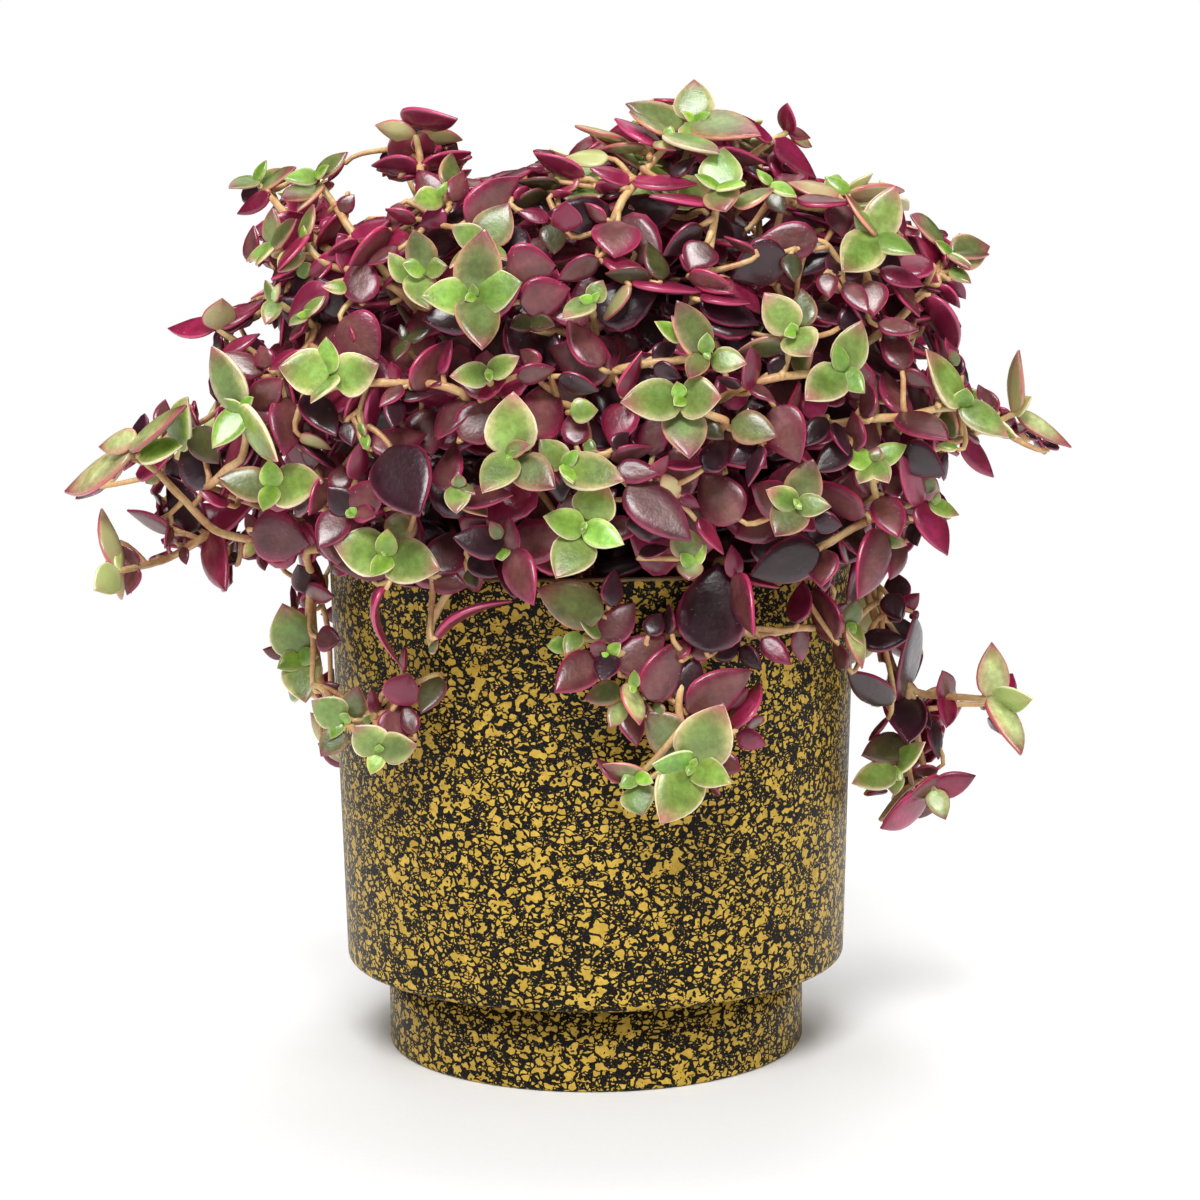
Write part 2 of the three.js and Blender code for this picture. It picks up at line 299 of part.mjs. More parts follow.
   leaves: [[57.24,-58.78,203.65,62.25,-55.05,204.34,70.6,-50.43,205.4,-1.62,3.22,-1.27,-0.23,0.31,1.08],
    [60.87,-70.52,192.77,58.37,-72.96,190.38,53.29,-78.47,185.57,3.88,-0.87,-3.1,0.28,-0.87,0.59],
    [41.54,-74.89,190.01,36.96,-74.87,188.47,29.82,-75.04,185.11,1.96,1.18,-4.71,0.06,-0.99,-0.23],
    [48.71,-71.9,192.94,43.97,-71.9,192.77,35.97,-72.12,192.46,0.18,-0.65,-4.11,-0.04,-1.01,0.16],
    [61.45,-70.41,193.57,62.83,-69.27,197.7,65.09,-68.92,204.87,-4.17,-0.34,1.41,0.1,-0.97,0.06],
    [45.72,-67.92,200.97,48.96,-68.18,200.98,55.13,-68.89,200.58,0.32,2.6,1.33,0.03,-0.38,0.74],
    [56.54,-59.24,202.95,50.21,-62.28,204.44,43.26,-62.56,206.2,0.35,3.22,1.88,-0.27,0.48,-0.78],
    [60.89,-70.35,193.5,58.73,-70.08,196.76,54.72,-70.65,202.72,-0.67,-3.74,-0.93,0.72,-0.27,0.56],
    [61.52,-70.54,192.93,64.54,-71.5,191.67,69.39,-74.54,188.9,1.86,1.07,2.07,-0.12,-0.73,0.48],
    [58.51,-65.1,190.02,48.91,-68.02,189.95,45.36,-69.98,185.23,3.11,-0.9,-1.97,-0.04,-0.82,0.31],
    [59.95,-66.9,190.79,66.31,-68.37,184.85,71.97,-69.2,182.64,1,1.79,1.89,0.17,-0.66,0.54],
    [59.89,-66.54,190.7,64.74,-65.79,187.29,62.5,-68.96,182.98,2.22,0.63,-1.62,0.38,-0.71,0.25]] },
  { name: "shoot_front_12", tone: "young",
   stems: [[1,-44.24,-26.8,107,-47.15,-22.73,111.68,-50.23,-20.92,116.49,-53.65,-23.18,121.98,-58.87,-25.32,125.71,-64.64,-26.95,129.04,-69.87,-30.07,131.89,-74.84,-34.07,134.41,-79.92,-38.02,136.77,-84.82,-42.05,138.94,-87.1,-48.37,140.33,-83.56,-53.65,142.76,-80.47,-59.38,144.91,-77.34,-65.01,147.22,-75.85,-67.28,152.85,-74.81,-72,157.72],[0,-85.92,-50.13,141.14,-89.57,-47,153.23]],
   leaves: [[-74.69,-71.67,156.92,-71.28,-74.91,153.81,-65.66,-81.86,147.26,0.32,-3.28,3.76,-1.04,-0.57,-0.41],
    [-75.06,-71.49,157.64,-77.35,-70.31,163,-81.44,-69.91,171.54,-3.48,2.64,-1.79,-0.62,-0.94,-0.18],
    [-75.46,-71.31,157.04,-77.09,-72.28,154.72,-80.48,-75.14,150.55,2.52,-0.67,-1.44,0.02,-0.73,0.36],
    [-89.28,-47.21,152.7,-87.36,-48.48,150.12,-83.83,-51.21,145.12,3.18,-0.24,2.38,-0.24,-0.85,0.23],
    [-74.51,-71.81,157.76,-69.83,-71.62,160.85,-65.22,-74.57,164.55,-2.02,0.45,2.88,-0.36,-0.82,-0.12]] },
  { name: "shoot_front_13", tone: "mixed",
   stems: [[1,-39.71,-33.5,107,-41.65,-35.34,113.34,-43.67,-37.39,119.6,-46.62,-40.52,124.6,-50.45,-44.92,128.24,-54.27,-49.67,131.45,-58.03,-54.71,134.23,-61.71,-59.99,136.66,-65.31,-65.45,138.81,-68.85,-71,140.83],[1,-62.02,-60.46,136.84,-56.35,-69.61,135.67,-50.94,-79,135.67]],
   leaves: [[-68,-70.4,140.6,-64.39,-71.95,141.04,-56.99,-75.82,141.58,0.41,1.47,5,-0.43,-0.91,0.3],
    [-69.11,-70.76,140.73,-73.39,-70.71,141.42,-80.81,-72.42,142.74,-0.41,-1.13,-3.87,0.19,-0.93,0.25],
    [-51.42,-78.63,136.14,-48.57,-78.42,137.94,-44.64,-79.99,141.32,-2.25,0.7,2.73,-0.21,-0.74,0.02],
    [-52.6,-76.73,135.42,-55.23,-78.89,132.63,-58.33,-82.25,128.3,3.2,-0.53,-1.88,0.13,-0.76,0.43],
    [-55.32,-71.86,136.18,-58.74,-74.93,139.61,-60.59,-78.24,135.4,1.16,1.91,-1.96,0.72,-0.47,-0.03],
    [-51.98,-77.05,136.06,-49.69,-77.62,145.8,-48.88,-80.1,150.82,2.08,1.7,0.5,-0.52,0.52,0.39]] },
  { name: "shoot_front_14", tone: "mixed",
   stems: [[1,-27,-44.44,107,-24.59,-45.34,119.83,-22.3,-44.06,132.59,-21.57,-54.07,140.68,-21.77,-64.31,148.82,-24.17,-74.67,156.4,-30.98,-82.13,162.48,-42.54,-82.49,163.21,-54.9,-84,164.92],[1,-26.9,-77.66,158.83,-31.48,-68.87,163.74,-38.73,-78,171.62],[0,-41.01,-82.44,163.12,-41.91,-82,149.07],[0,-44.06,-82.68,163.42,-46.24,-81,149.08],[0,-26.93,-77.69,158.86,-26.97,-84,151.09]],
   leaves: [[-41.79,-82.03,149.08,-39.54,-85.78,143.59,-35.81,-91.93,135.1,6.37,-0.58,3.16,-0.37,-1.07,0.54],
    [-44.88,-82.52,163.23,-45.84,-78.22,158.27,-47.3,-73.56,151.39,-1.76,-3.35,-1.89,-0.95,0.31,0.34],
    [-37.6,-82,163.04,-34.97,-80.14,165.75,-29.89,-77.4,171.67,-1.74,-2.45,2.63,0.72,-0.72,-0.2],
    [-45.85,-80.85,149.38,-42,-78.93,150.02,-34.97,-75.86,151.79,-1.52,1.76,2.97,0.25,-0.78,0.59],
    [-26.61,-83.9,152,-24.27,-82.66,153.82,-20.06,-81.05,158.24,-3.05,0.57,2.66,0.1,-0.78,0.28],
    [-47.84,-82.84,163.68,-49.83,-78.22,159.68,-52.74,-75.24,154.41,-1.43,-2.98,-0.9,-0.75,0.22,0.47],
    [-52.56,-83.63,164.69,-49.99,-82.71,164.98,-44.02,-84.2,167.48,-1.72,0.85,4.6,-0.2,-0.88,0.09],
    [-54.71,-83.83,164.87,-58.34,-83.8,165.62,-63.48,-85.45,166.71,-0.58,-0.84,-4.33,0.21,-0.74,0.11],
    [-53.64,-83.86,164.39,-55.16,-84.15,162.19,-58.03,-87.83,158.63,2.46,-1.65,-0.27,-0.26,-0.49,0.64]] },
  { name: "shoot_front_15", tone: "mixed",
   stems: [[1,0.96,-40.01,107,-0.27,-43.43,119.24,-1.39,-47.86,131.16,-1.96,-53.54,142.57,-0.66,-59.31,153.82,3.39,-65.23,161.35,5.33,-77.5,164.32,13.06,-84.79,166.99,23.88,-91,168.93]],
   leaves: [[7.51,-79.68,165.23,-0.34,-81.15,167.02,-8.71,-78.56,170.22,-1.7,0.16,-4.58,-0.36,-1.06,0.1],
    [7.38,-79.68,165.15,-0.34,-83.25,169.64,-4.6,-80.91,175.98,-3.17,-1.73,-1.44,0.21,-0.83,0.55],
    [23.17,-90.61,169.19,21.64,-89.92,172.95,17.94,-90.49,179.51,-3.28,-0.73,-1.91,0.17,-0.96,0.08],
    [21.17,-89.5,168.64,20.03,-89.1,171,16.65,-89.88,176.58,-1.58,-2.23,-1.21,0.56,-0.59,0.36]] },
  { name: "shoot_front_16", tone: "young",
   stems: [[1,28.42,-37.23,107,32.51,-34.63,118.35,35.99,-25.41,124.81,38.55,-36.11,128.92,39.71,-48.31,131.06,40.85,-60.54,133.04,42.1,-72.77,134.98,43.41,-85,136.9],[0,42.71,-78.46,135.87,31.73,-80,133.57]],
   leaves: [[31.66,-79.94,133.7,28.38,-77.79,137.12,23.35,-74.69,143.25,-3.62,0.8,-3.71,-0.43,-0.96,0.22],
    [43.33,-82.69,136.9,44.98,-82.52,140.49,47.13,-82.8,146.55,-3.99,0.52,1.44,-0.1,-0.89,0.05],
    [42.8,-82.73,136.02,41.69,-84.66,134.04,38.56,-88.44,129.96,3.8,-1.1,-1.78,0.05,-0.7,0.54]] },
  { name: "shoot_front_17", tone: "mixed",
   stems: [[1,15.79,-44.93,107,18.4,-37.27,117.35,16.61,-41.33,129.01,20.94,-52.24,136.1,29.92,-58.3,144.36,35.27,-63.96,150.97,43.54,-71.96,151.42,58.7,-75.72,154.75,72.26,-70.1,156.98,80.84,-65,157.54],[0,68.5,-71.23,155.8,67.31,-71,164.96]],
   leaves: [[80.38,-65.2,157.85,77.49,-65.93,162.03,72.03,-69.77,169.46,-2.26,-2.76,-3.09,0.77,-0.87,0.21],
    [67.51,-72.58,156,70.26,-76.02,152.85,75.46,-83.78,149.66,4.17,2.31,1.17,-0.01,-0.52,1.05],
    [67.04,-72.09,156.45,66.05,-67.46,158.73,64.18,-61.35,164.94,-3.66,-1.66,0.63,0.41,-0.61,0.8],
    [80.85,-65.15,157.35,84.97,-65.2,154.51,91.05,-67.34,150.28,2.38,1.95,2.3,0.15,-0.85,0.57],
    [67.27,-70.88,164.88,66.51,-68.56,168.72,65.02,-65.22,175.21,-3.44,-0.74,-0.32,0.12,-0.8,0.54],
    [80.46,-64.86,157.28,80.03,-56.51,154.35,76.16,-52.61,159.56,-0.35,3,-2.38,-0.88,-0.32,-0.28],
    [60.22,-74.73,155.36,60.33,-73.68,157.95,60.19,-70.05,162.95,-1.84,1.96,-1.47,-0.7,-0.4,0.34],
    [54.71,-75.27,153.56,52.33,-78.78,146.96,47.42,-80.33,143.65,1.98,-1,-2.47,-0.02,-0.81,0.31]] },
  { name: "shoot_front_18", tone: "mature",
   stems: [[1,4.71,-32.95,107,8.33,-28.07,117.94,18.38,-32.66,117.25,20.96,-40.06,121.77,16.13,-52.8,124.16,17.47,-71.86,121.86,20.97,-82,125.68]],
   leaves: [] },
  { name: "shoot_front_19", tone: "mature",
   stems: [[1,-19.15,-42.9,107,-18.95,-46.28,119.82,-18.73,-48.7,132.77,-18.65,-56.53,142.3,-19.2,-66.12,151.43,-19.98,-77.09,158.82,-20.88,-89,164.58]],
   leaves: [] },
  { name: "shoot_front_20", tone: "mixed",
   stems: [[1,30.92,-29.63,107,34.25,-32.82,112.38,37.81,-36.37,117.38,41.3,-40,122.36,45.51,-44.71,125.46,49.54,-49.61,128.62,53.41,-54.75,131.59,57.13,-60.12,134.37,60.53,-65.72,137,61.68,-71.37,140.32,60.5,-76,145.56],[0,61,-74.03,143.33,67.52,-70,148.37]],
   leaves: [[61.15,-68.03,137.99,64.38,-70.78,134.01,66.53,-75.61,128.92,3.63,0.43,1.13,-0.1,-0.75,0.6],
    [67.64,-70.38,148.46,70.65,-70.84,146.61,75.55,-72.22,143.47,1.49,-1.01,2.97,-0.26,-0.76,-0.13],
    [60.23,-75.73,145.19,57.84,-76.88,145.87,53.65,-80.48,146.6,0.39,-0.97,-2.47,0.48,-0.57,0.3],
    [60.49,-75.72,145.69,57.5,-75.26,150.88,57.81,-72.84,155.78,-2.18,1.37,-0.53,-0.44,-0.58,0.32]] },
  { name: "shoot_front_21", tone: "mature",
   stems: [[1,23.01,-30.88,107,26.03,-34.45,112.04,29.94,-37.84,116.53,35.47,-39.39,120.21,38.76,-44.4,122.43,41.82,-50.43,123.66,45.25,-56.26,124.89,48.92,-61.94,126.15,53.75,-65.14,128.56,59.8,-65.03,131.69,66.15,-63.71,133.98,71.98,-65,136.4],[0,45.15,-56.1,124.86,55.4,-54.27,104.93],[0,66.15,-63.71,133.98,68.48,-57,128.03]],
   leaves: [[63.17,-64.36,132.55,61.39,-66.2,124.31,57.28,-71.84,115.46,3.38,2.79,-3.34,0.85,-0.91,0.1],
    [51.57,-64.15,127.39,43.69,-68.73,124.38,34.02,-70.9,120.84,1.55,0.56,-4.92,0.19,-1.18,-0.07],
    [71.49,-65.09,136.73,69.56,-67.32,140.47,65.66,-73.27,147.06,-1.87,-1.73,-2.72,0.86,-0.76,-0.11],
    [59.77,-65.07,132.05,55.35,-66.82,137.28,47.69,-63.56,141.59,-0.52,3.03,-3.23,-0.69,-0.71,-0.55],
    [71.94,-64.96,135.95,74.13,-65.11,131.74,77.55,-67.58,124.39,3.32,2.25,0.79,0.47,-0.84,0.43],
    [55.16,-54.15,105.51,54.77,-53.94,108.5,53.76,-53.82,114.06,-1.73,2.69,-0.37,-0.59,-0.39,-0.05],
    [68.37,-57.34,127.9,67.06,-59.8,124.64,65.07,-64.52,119.04,2.46,1.62,-2.19,0.67,-0.67,0.26],
    [51.25,-63.7,127.03,50.78,-67.11,122.71,50.09,-70.77,118.22,3.66,-1.27,0.48,-0.28,-0.63,0.49]] },
  { name: "shoot_front_22", tone: "mature",
   stems: [[1,-8.93,-27.87,107,-9.98,-32.45,112.18,-11.13,-37.73,116.62,-12.33,-43.62,120.19,-13.53,-49.97,122.87,-14.69,-56.59,124.79,-15.8,-63.37,126.16,-16.85,-70.22,127.18,-17.86,-77.1,127.98,-18.82,-84,128.68]],
   leaves: [[-18.3,-81.99,128.17,-14.62,-84.93,123.26,-11.32,-90.07,116.85,3.08,-1.32,2.65,-0.61,-0.85,0.28],
    [-19.31,-82.89,128.6,-22.97,-83.86,129.29,-29.2,-85.81,130.15,-0.29,-1.15,-3.77,0.27,-0.85,0.24]] },
  { name: "shoot_front_23", tone: "mixed",
   stems: [[1,26.2,-44.92,107,26.92,-47.48,113.1,27.84,-50.34,119.04,29.46,-54.42,122.86,31.97,-59.23,119.74,32.8,-59.46,113.14,34.69,-59.22,107.31,40.83,-56.69,107.54,46.92,-54.02,107.67,52.51,-50.43,107.31,58.59,-48,107.9],[1,33.64,-59.35,110.53,23.89,-64.54,102.31,18.72,-70.98,92.38,21.49,-75,79.89],[1,32.74,-59.44,113.58,26.59,-61.83,110.85,20.26,-64.73,108.75,13.93,-67.74,106.8,8.28,-71.92,105.27,3.2,-77,104.1],[1,8.66,-71.64,105.37,8.97,-77,97.33],[1,15.19,-67.14,107.18,8.9,-68.48,106.85,2.96,-70.87,107.25,-2.61,-74,108.16],[1,19.7,-72.41,87.95,9.76,-74,77.62],[0,20.23,-73.17,85.58,31.64,-69.25,86.85]],
   leaves: [[23.67,-65.13,101.95,26.01,-67.96,111.42,27.98,-65.02,123.31,-7.81,-0.9,1.52,0.2,-1.19,0.33],
    [19.53,-70.3,93.25,26.12,-67.67,94.48,35.45,-66.01,99.23,-2.19,-0.67,4.54,0.3,-1.19,-0.03],
    [32.01,-59.93,119.34,33.42,-71.94,116.02,35.09,-78.58,108.42,1.9,-3,3.09,-1.07,-0.53,0.14],
    [9.22,-76.56,97.61,14.69,-70.24,99.21,20.22,-67.49,106.95,-3.69,-1.46,3.15,0.5,-1.05,0.1],
    [21.57,-74.83,80.71,23.89,-74.54,85.17,27.67,-76.22,94.06,-6,0.52,2.65,-0.14,-1.15,-0.09],
    [21.27,-75.22,79.95,18.68,-76.49,75.33,13.67,-81.34,68.33,4.64,0.49,-3.5,0.38,-1.02,0.36],
    [1.31,-71.92,107.96,-2.55,-70.92,113.64,-10.11,-70.6,116.52,-1.7,-0.84,-4.16,-0.04,-0.96,0.22],
    [31.48,-68.98,86.95,34.28,-66.65,90.47,37.93,-62.07,96.13,-2.46,3.52,-0.96,-0.69,-0.28,0.73],
    [3.02,-76.77,103.94,-2.76,-77.41,101.1,-8.45,-81.61,97.15,2.92,-0.96,-3.15,0.24,-0.89,0.49],
    [20.47,-73.6,83.51,17.17,-69.84,85.51,11.15,-69.59,90.87,-3.44,0.49,-3.89,-0.13,-1.02,-0.01],
    [21.08,-75.05,80.78,18.95,-75.18,80.52,13.38,-78.61,81.04,-0.71,0.53,-3.02,0.39,-0.72,-0.21],
    [21.6,-74.97,79.93,24.8,-76.63,78.48,29.8,-81.24,76.92,1.86,0.88,2.89,-0.42,-0.7,0.49],
    [58.23,-48.16,107.55,59.59,-48.1,103.76,61.05,-50.25,97.67,2.58,2.06,-0.08,0.55,-0.67,0.33],
    [8.83,-75.17,99.53,8.22,-73.67,93.93,9.94,-78.19,89.12,2.32,2.13,-1.17,0.64,-0.4,0.53],
    [2.35,-71.35,107.78,5.11,-71.06,110.09,9.61,-69.64,114.83,-2.94,1,2.26,-0.03,-0.85,0.34],
    [44.63,-55.06,108.2,46.77,-56.61,112.35,47.73,-53.74,118.35,-2.66,1.9,-0.42,-0.5,-0.59,0.45],
    [8.95,-76.66,97.02,7.99,-71.96,89.34,9.48,-75.27,84.32,2.93,1.23,-0.01,0.29,-0.68,0.49],
    [10.02,-73.71,78.29,8.03,-72.56,78.56,2.25,-73.72,80.82,-1.16,1.9,-2,-0.14,-0.67,-0.56]] },
  { name: "shoot_front_24", tone: "mixed",
   stems: [[1,-19.57,-34.91,107,-19.21,-33.59,118.5,-18.92,-36.48,131.08,-18.96,-39.23,143.7,-19.83,-42.27,156.22,-21.9,-45.7,168.48,-25.46,-48.99,180.44,-30.35,-49.73,192.29,-34.09,-55.8,201.41,-36.89,-58.7,210.4,-38.17,-53,217.87]],
   leaves: [[-38.07,-53.19,217.91,-36.29,-54.71,221.31,-28.5,-60.75,220.96,2.57,3.32,-2,0.39,0.33,1.04],
    [-37.87,-52.82,217.68,-34.37,-48.6,218,-28.15,-43.22,218.35,-1.97,2.39,-1.67,-0.31,0.39,0.91],
    [-36.36,-57.14,210.62,-32.78,-56.31,211.75,-26.02,-53.75,213.99,-0.7,3.22,-1.57,-0.35,0.34,0.85],
    [-37.14,-57.13,210.58,-41.29,-56.49,210.82,-48.21,-54.15,211.52,-0.8,-3,2.13,0.2,0.51,0.8],
    [-38.32,-52.79,217.55,-40.73,-48.56,216.16,-44.68,-43.05,213.41,-3.11,-1.21,2.03,0.24,0.6,0.72],
    [-38.5,-52.92,217.88,-41.84,-51.62,219.12,-47.5,-50.67,220.76,0.42,-2.1,2.1,0.2,0.61,0.57]] },
  { name: "shoot_front_25", tone: "mixed",
   stems: [[1,-24.78,-28.84,107,-23.37,-28.11,119.98,-22.12,-26.5,132.23,-21.51,-35.67,141.54,-21.69,-43.89,151.7,-24.65,-49.51,162.96,-32.27,-48.66,173.34,-36.78,-59.23,178.39,-40.14,-71.24,182.32,-51.2,-70.23,187.58,-61.6,-67,194.23],[1,-47.74,-70.55,185.94,-54.92,-59.26,191.09,-62.63,-48.7,196.64,-70.81,-40.02,204,-77.25,-29,210.69],[1,-43.98,-70.89,184.15,-52.88,-62.94,187.73,-62.79,-61.51,191.02,-68.48,-63,193.28],[1,-37.81,-62.9,179.59,-46.31,-63.91,189.51,-53.93,-60.23,199.65,-59.93,-54,208.75],[0,-46.69,-63.72,190.01,-42.94,-72,195.84],[0,-47.59,-70.56,185.86,-52.68,-76,176.23]],
   leaves: [[-55.47,-58.43,200.81,-56.65,-55.08,198.17,-60.53,-49.3,193.89,-2.09,-2.45,-1.35,-0.64,0.17,0.68],
    [-76.6,-29.34,210.41,-72.8,-29.96,210.25,-67.26,-35.11,212.56,1.08,2.42,2.48,-0.6,-0.44,0.69],
    [-43.42,-71.88,195.5,-46.31,-73.95,193.07,-51.2,-77.53,188.46,0.06,3.18,-2.41,0.71,-0.43,-0.55],
    [-61.71,-67.27,193.67,-62.93,-68.23,191.87,-65.83,-73.72,187.14,2.84,-2.34,1.02,-0.57,-0.39,0.7],
    [-52.31,-75.99,176.15,-49.48,-77.01,173.18,-44.35,-79.03,168.23,4.08,-0.62,4.48,-0.22,-0.94,0.07],
    [-45.67,-70.79,184.91,-48.27,-74.92,183.85,-48.72,-71.94,190.35,-4.14,0.35,-0.28,-0.1,-0.85,0.43],
    [-52.64,-69.95,188.06,-59.54,-72.21,181.47,-65.07,-70.57,177.3,-1.86,0.72,2.75,0.25,0.91,-0.07],
    [-59.95,-54.34,208.08,-63.26,-55.18,204.95,-67.41,-60.54,203.03,2.78,-1.68,-1.34,0.12,-0.45,0.82],
    [-59.59,-54.52,207.64,-60.91,-54.73,204.25,-63.65,-59.31,200.41,2.12,-1.88,0.72,-0.51,-0.33,0.67],
    [-67.99,-63.13,193.45,-66.21,-64.3,195.17,-62.48,-68.55,198.23,-0.02,1.72,2.42,-0.7,-0.46,0.32],
    [-74.3,-34.2,207.16,-76.21,-32.17,205.2,-81.42,-29.75,202.73,0.47,-1.27,-2.24,-0.5,-0.67,0.27],
    [-53.89,-69.48,189.95,-47.6,-70.51,196.14,-42.15,-71.14,198.12,0.41,-2.39,-1.76,0.33,0.5,-0.6],
    [-77.48,-29.36,210.45,-79.53,-30.39,209.7,-82.91,-34.77,208.11,2.1,-1.16,-1.28,0.17,-0.44,0.69],
    [-61.62,-66.91,193.81,-64.66,-64.83,189.94,-67.14,-68.83,186.83,2.46,-0.71,-1.05,0.09,-0.58,0.59]] },
  { name: "shoot_front_26", tone: "young",
   stems: [[1,-16.91,-27.35,107,-17.91,-27.01,120.28,-19.17,-28.18,133.47,-20.88,-32.88,145.8,-22.92,-39.42,157.22,-25.25,-47.46,167.57,-28.25,-57.61,175.63,-31.29,-68.96,181.87,-34.24,-81,186.76]],
   leaves: [[-33.89,-78.86,185.53,-35.82,-80.2,182.68,-33.11,-84.47,177.96,3.09,1.02,0.86,0.07,-0.71,0.6]] },
  { name: "shoot_front_27", tone: "mature",
   stems: [[1,-27.49,-36.46,107,-29.96,-34.49,118.98,-32.99,-30.15,130.14,-36.15,-35.17,139.79,-40.27,-41.57,149.57,-45.36,-48.01,158.86,-51.05,-55.5,166.93,-57.03,-64.02,173.66,-60.45,-75,177.6],[1,-56.72,-63.62,173.24,-67.67,-70.01,180.83],[0,-57.99,-67.12,174.77,-66,-70,159.8],[0,-58.92,-70.11,175.84,-60.78,-75,160.6],[0,-62.99,-67.24,177.6,-71.16,-68,165.03]],
   leaves: [[-65.93,-69.91,159.82,-65.88,-72.73,155.04,-65.15,-77.14,147.64,3.58,2.19,-1.04,0.61,-0.78,0.46],
    [-60.69,-75.02,160.62,-58.01,-77.31,157.2,-53.75,-81.48,151.79,3.19,2.05,1.07,0.25,-0.74,0.67],
    [-71.39,-67.95,165.39,-74.55,-67.6,166.71,-80.03,-67.2,169.63,-1.3,-1.72,-2.2,0.15,-0.72,0.48]] },
  { name: "shoot_front_28", tone: "mixed",
   stems: [[1,-5.27,-34.98,107,-6.99,-34.84,120.37,-9.17,-34.64,133.67,-11.98,-34.19,146.84,-15.52,-32.88,159.77,-19.55,-31.49,171.82,-22.78,-40.8,181.01,-26.28,-50.38,189.82,-29.87,-60.55,197.9,-31.85,-73,202.64]],
   leaves: [[-31.32,-72.19,202.27,-21.98,-73.31,201.14,-15.11,-70.96,207.57,-2.6,-1.88,3.46,0.56,-1.01,-0.13],
    [-31.3,-69.8,201.84,-30.09,-66.84,207.56,-29.43,-63.53,212.73,-2.39,-1.21,1.08,0.49,-0.61,0.39]] },
  { name: "shoot_front_29", tone: "young",
   stems: [[1,8.62,-48.83,107,7.57,-37.34,113.35,6.67,-27.24,119.61,6.64,-30.38,131.03,5.52,-33.07,142.54,3.2,-28.89,154.24,2.42,-38.48,162.35,2.75,-50.15,166.09,1.74,-61.3,171.19,0.48,-73.82,175.74,0.62,-86,179.58],[1,1.57,-63.07,171.5,-5.04,-72.73,173.68,-12.25,-82,175.69]],
   leaves: [[0.32,-85.35,179.14,-1.76,-87.04,177.97,-5.63,-90.88,175.49,2.26,-1.41,-1.33,0.05,-0.55,0.66]] },
  { name: "shoot_front_30", tone: "mixed",
   stems: [[1,23.08,-22.88,107,21.73,-24.28,119.4,20.19,-25.71,131.77,18.52,-26.71,144.16,16.98,-26.05,156.57,16.1,-21.9,168.29,16.56,-19,179.87,18.08,-27.53,188.28,21.16,-36.03,196.95,26.68,-42.93,205.82,35.38,-48.57,212.8,44.49,-48,218.69],[1,17.54,-24.46,185.25,11.97,-35.36,187.73,6.27,-46.3,189.93,0.83,-56.54,193.26,-1.58,-62.21,204.17],[1,17.54,-24.46,185.25,16.02,-34.24,193.34,16.46,-45.74,198.97,16.78,-58.19,202.61],[1,18.52,-28.73,189.5,22.97,-40.12,199.14,27.82,-44.86,212.2],[1,17.54,-24.46,185.25,11.14,-33.72,192.58,5.32,-42.67,200.22,10.89,-46.97,211.57]],
   leaves: [[26.52,-42.92,206.75,31.68,-47.43,205.12,40.2,-51.16,204.12,2.64,5.77,-0.59,0.2,0.02,1.11],
    [8.17,-44.43,205.34,12.62,-41.59,204.71,20.29,-37,204.14,-2.62,4.75,3.07,0.38,-0.4,0.95],
    [41.21,-48.09,215.92,44.64,-48.28,213.22,51.1,-44.66,208.59,1.05,1.81,2.74,0.71,-0.79,0.25],
    [-0.61,-59.64,198.47,-3.93,-63.56,196.5,-9.21,-69.88,194.06,4.89,-3.76,-0.84,-0.11,-0.37,0.99],
    [16.2,-53.28,200.87,11.27,-58.1,198.98,6.1,-64.11,199.77,2.62,-2.8,-4.08,0.56,-0.47,0.69],
    [25.29,-42.79,207.05,21.38,-42.28,208.47,14.49,-38.94,212.13,-2.24,-4.9,0.5,0.4,-0.09,0.96],
    [17.06,-52.28,200.77,20.01,-51.19,199.92,27.4,-48.27,202.42,-2.72,2.91,4.24,0.15,-0.8,0.65],
    [-0.13,-59.08,198.78,2.72,-56.02,201.48,7.26,-51.19,206.38,-4.45,3.42,0.76,-0.26,-0.53,0.86],
    [-1.46,-61.63,204.11,-2.57,-57.54,206.93,-3.85,-51.05,211.57,-5.45,-0.34,-1.27,-0.16,-0.55,0.85],
    [7.19,-44.79,205.84,4.21,-47.57,206.76,-0.57,-51.81,209.34,1.97,-3.58,-2.31,0.47,-0.2,0.71],
    [17.19,-57.72,202.69,20.82,-55.97,204.35,27.35,-53.02,207.39,-2.63,2.19,3.4,0.15,-0.76,0.6],
    [-1.48,-62.48,203.85,-0.83,-66.53,202.13,0.19,-73,199.48,4.32,0.28,1.01,-0.16,-0.41,0.81],
    [10.58,-47.23,211.43,8.26,-50.99,212.19,4.64,-56.97,213.46,3.08,-2.39,-2.48,0.49,-0.19,0.79],
    [10.98,-46.39,211.27,13.54,-43.73,211.92,17.63,-39.3,212.46,-3.01,2.34,2.43,0.3,-0.32,0.69],
    [40.19,-48.43,216.11,38.23,-54.49,218.46,33.67,-57.22,222.21,0.18,2.24,1.85,-0.66,0.41,-0.42],
    [16.48,-58.21,202.47,13.18,-61.04,201.67,8.08,-65.49,200.58,2.6,-2.16,-3.37,0.32,-0.6,0.63],
    [27.78,-44.39,212.05,28.13,-40.69,212.75,28.69,-34.74,213.9,-4.26,0.15,1.27,0.24,-0.13,0.82]] },
  { name: "shoot_front_31", tone: "young",
   stems: [[1,38.89,-29.03,107,38.23,-18.39,114.56,38.98,-6.26,119.41,39.95,4.44,126.04,41.54,-1.62,136.02,42.89,-13.07,142.19,44.59,-24.63,148.02,46.8,-36.25,153.64,50.58,-46.87,160.28,57.06,-55.37,167.76,65.98,-61.4,175.19,73.82,-56.12,182.57,80.98,-49,190.85]],
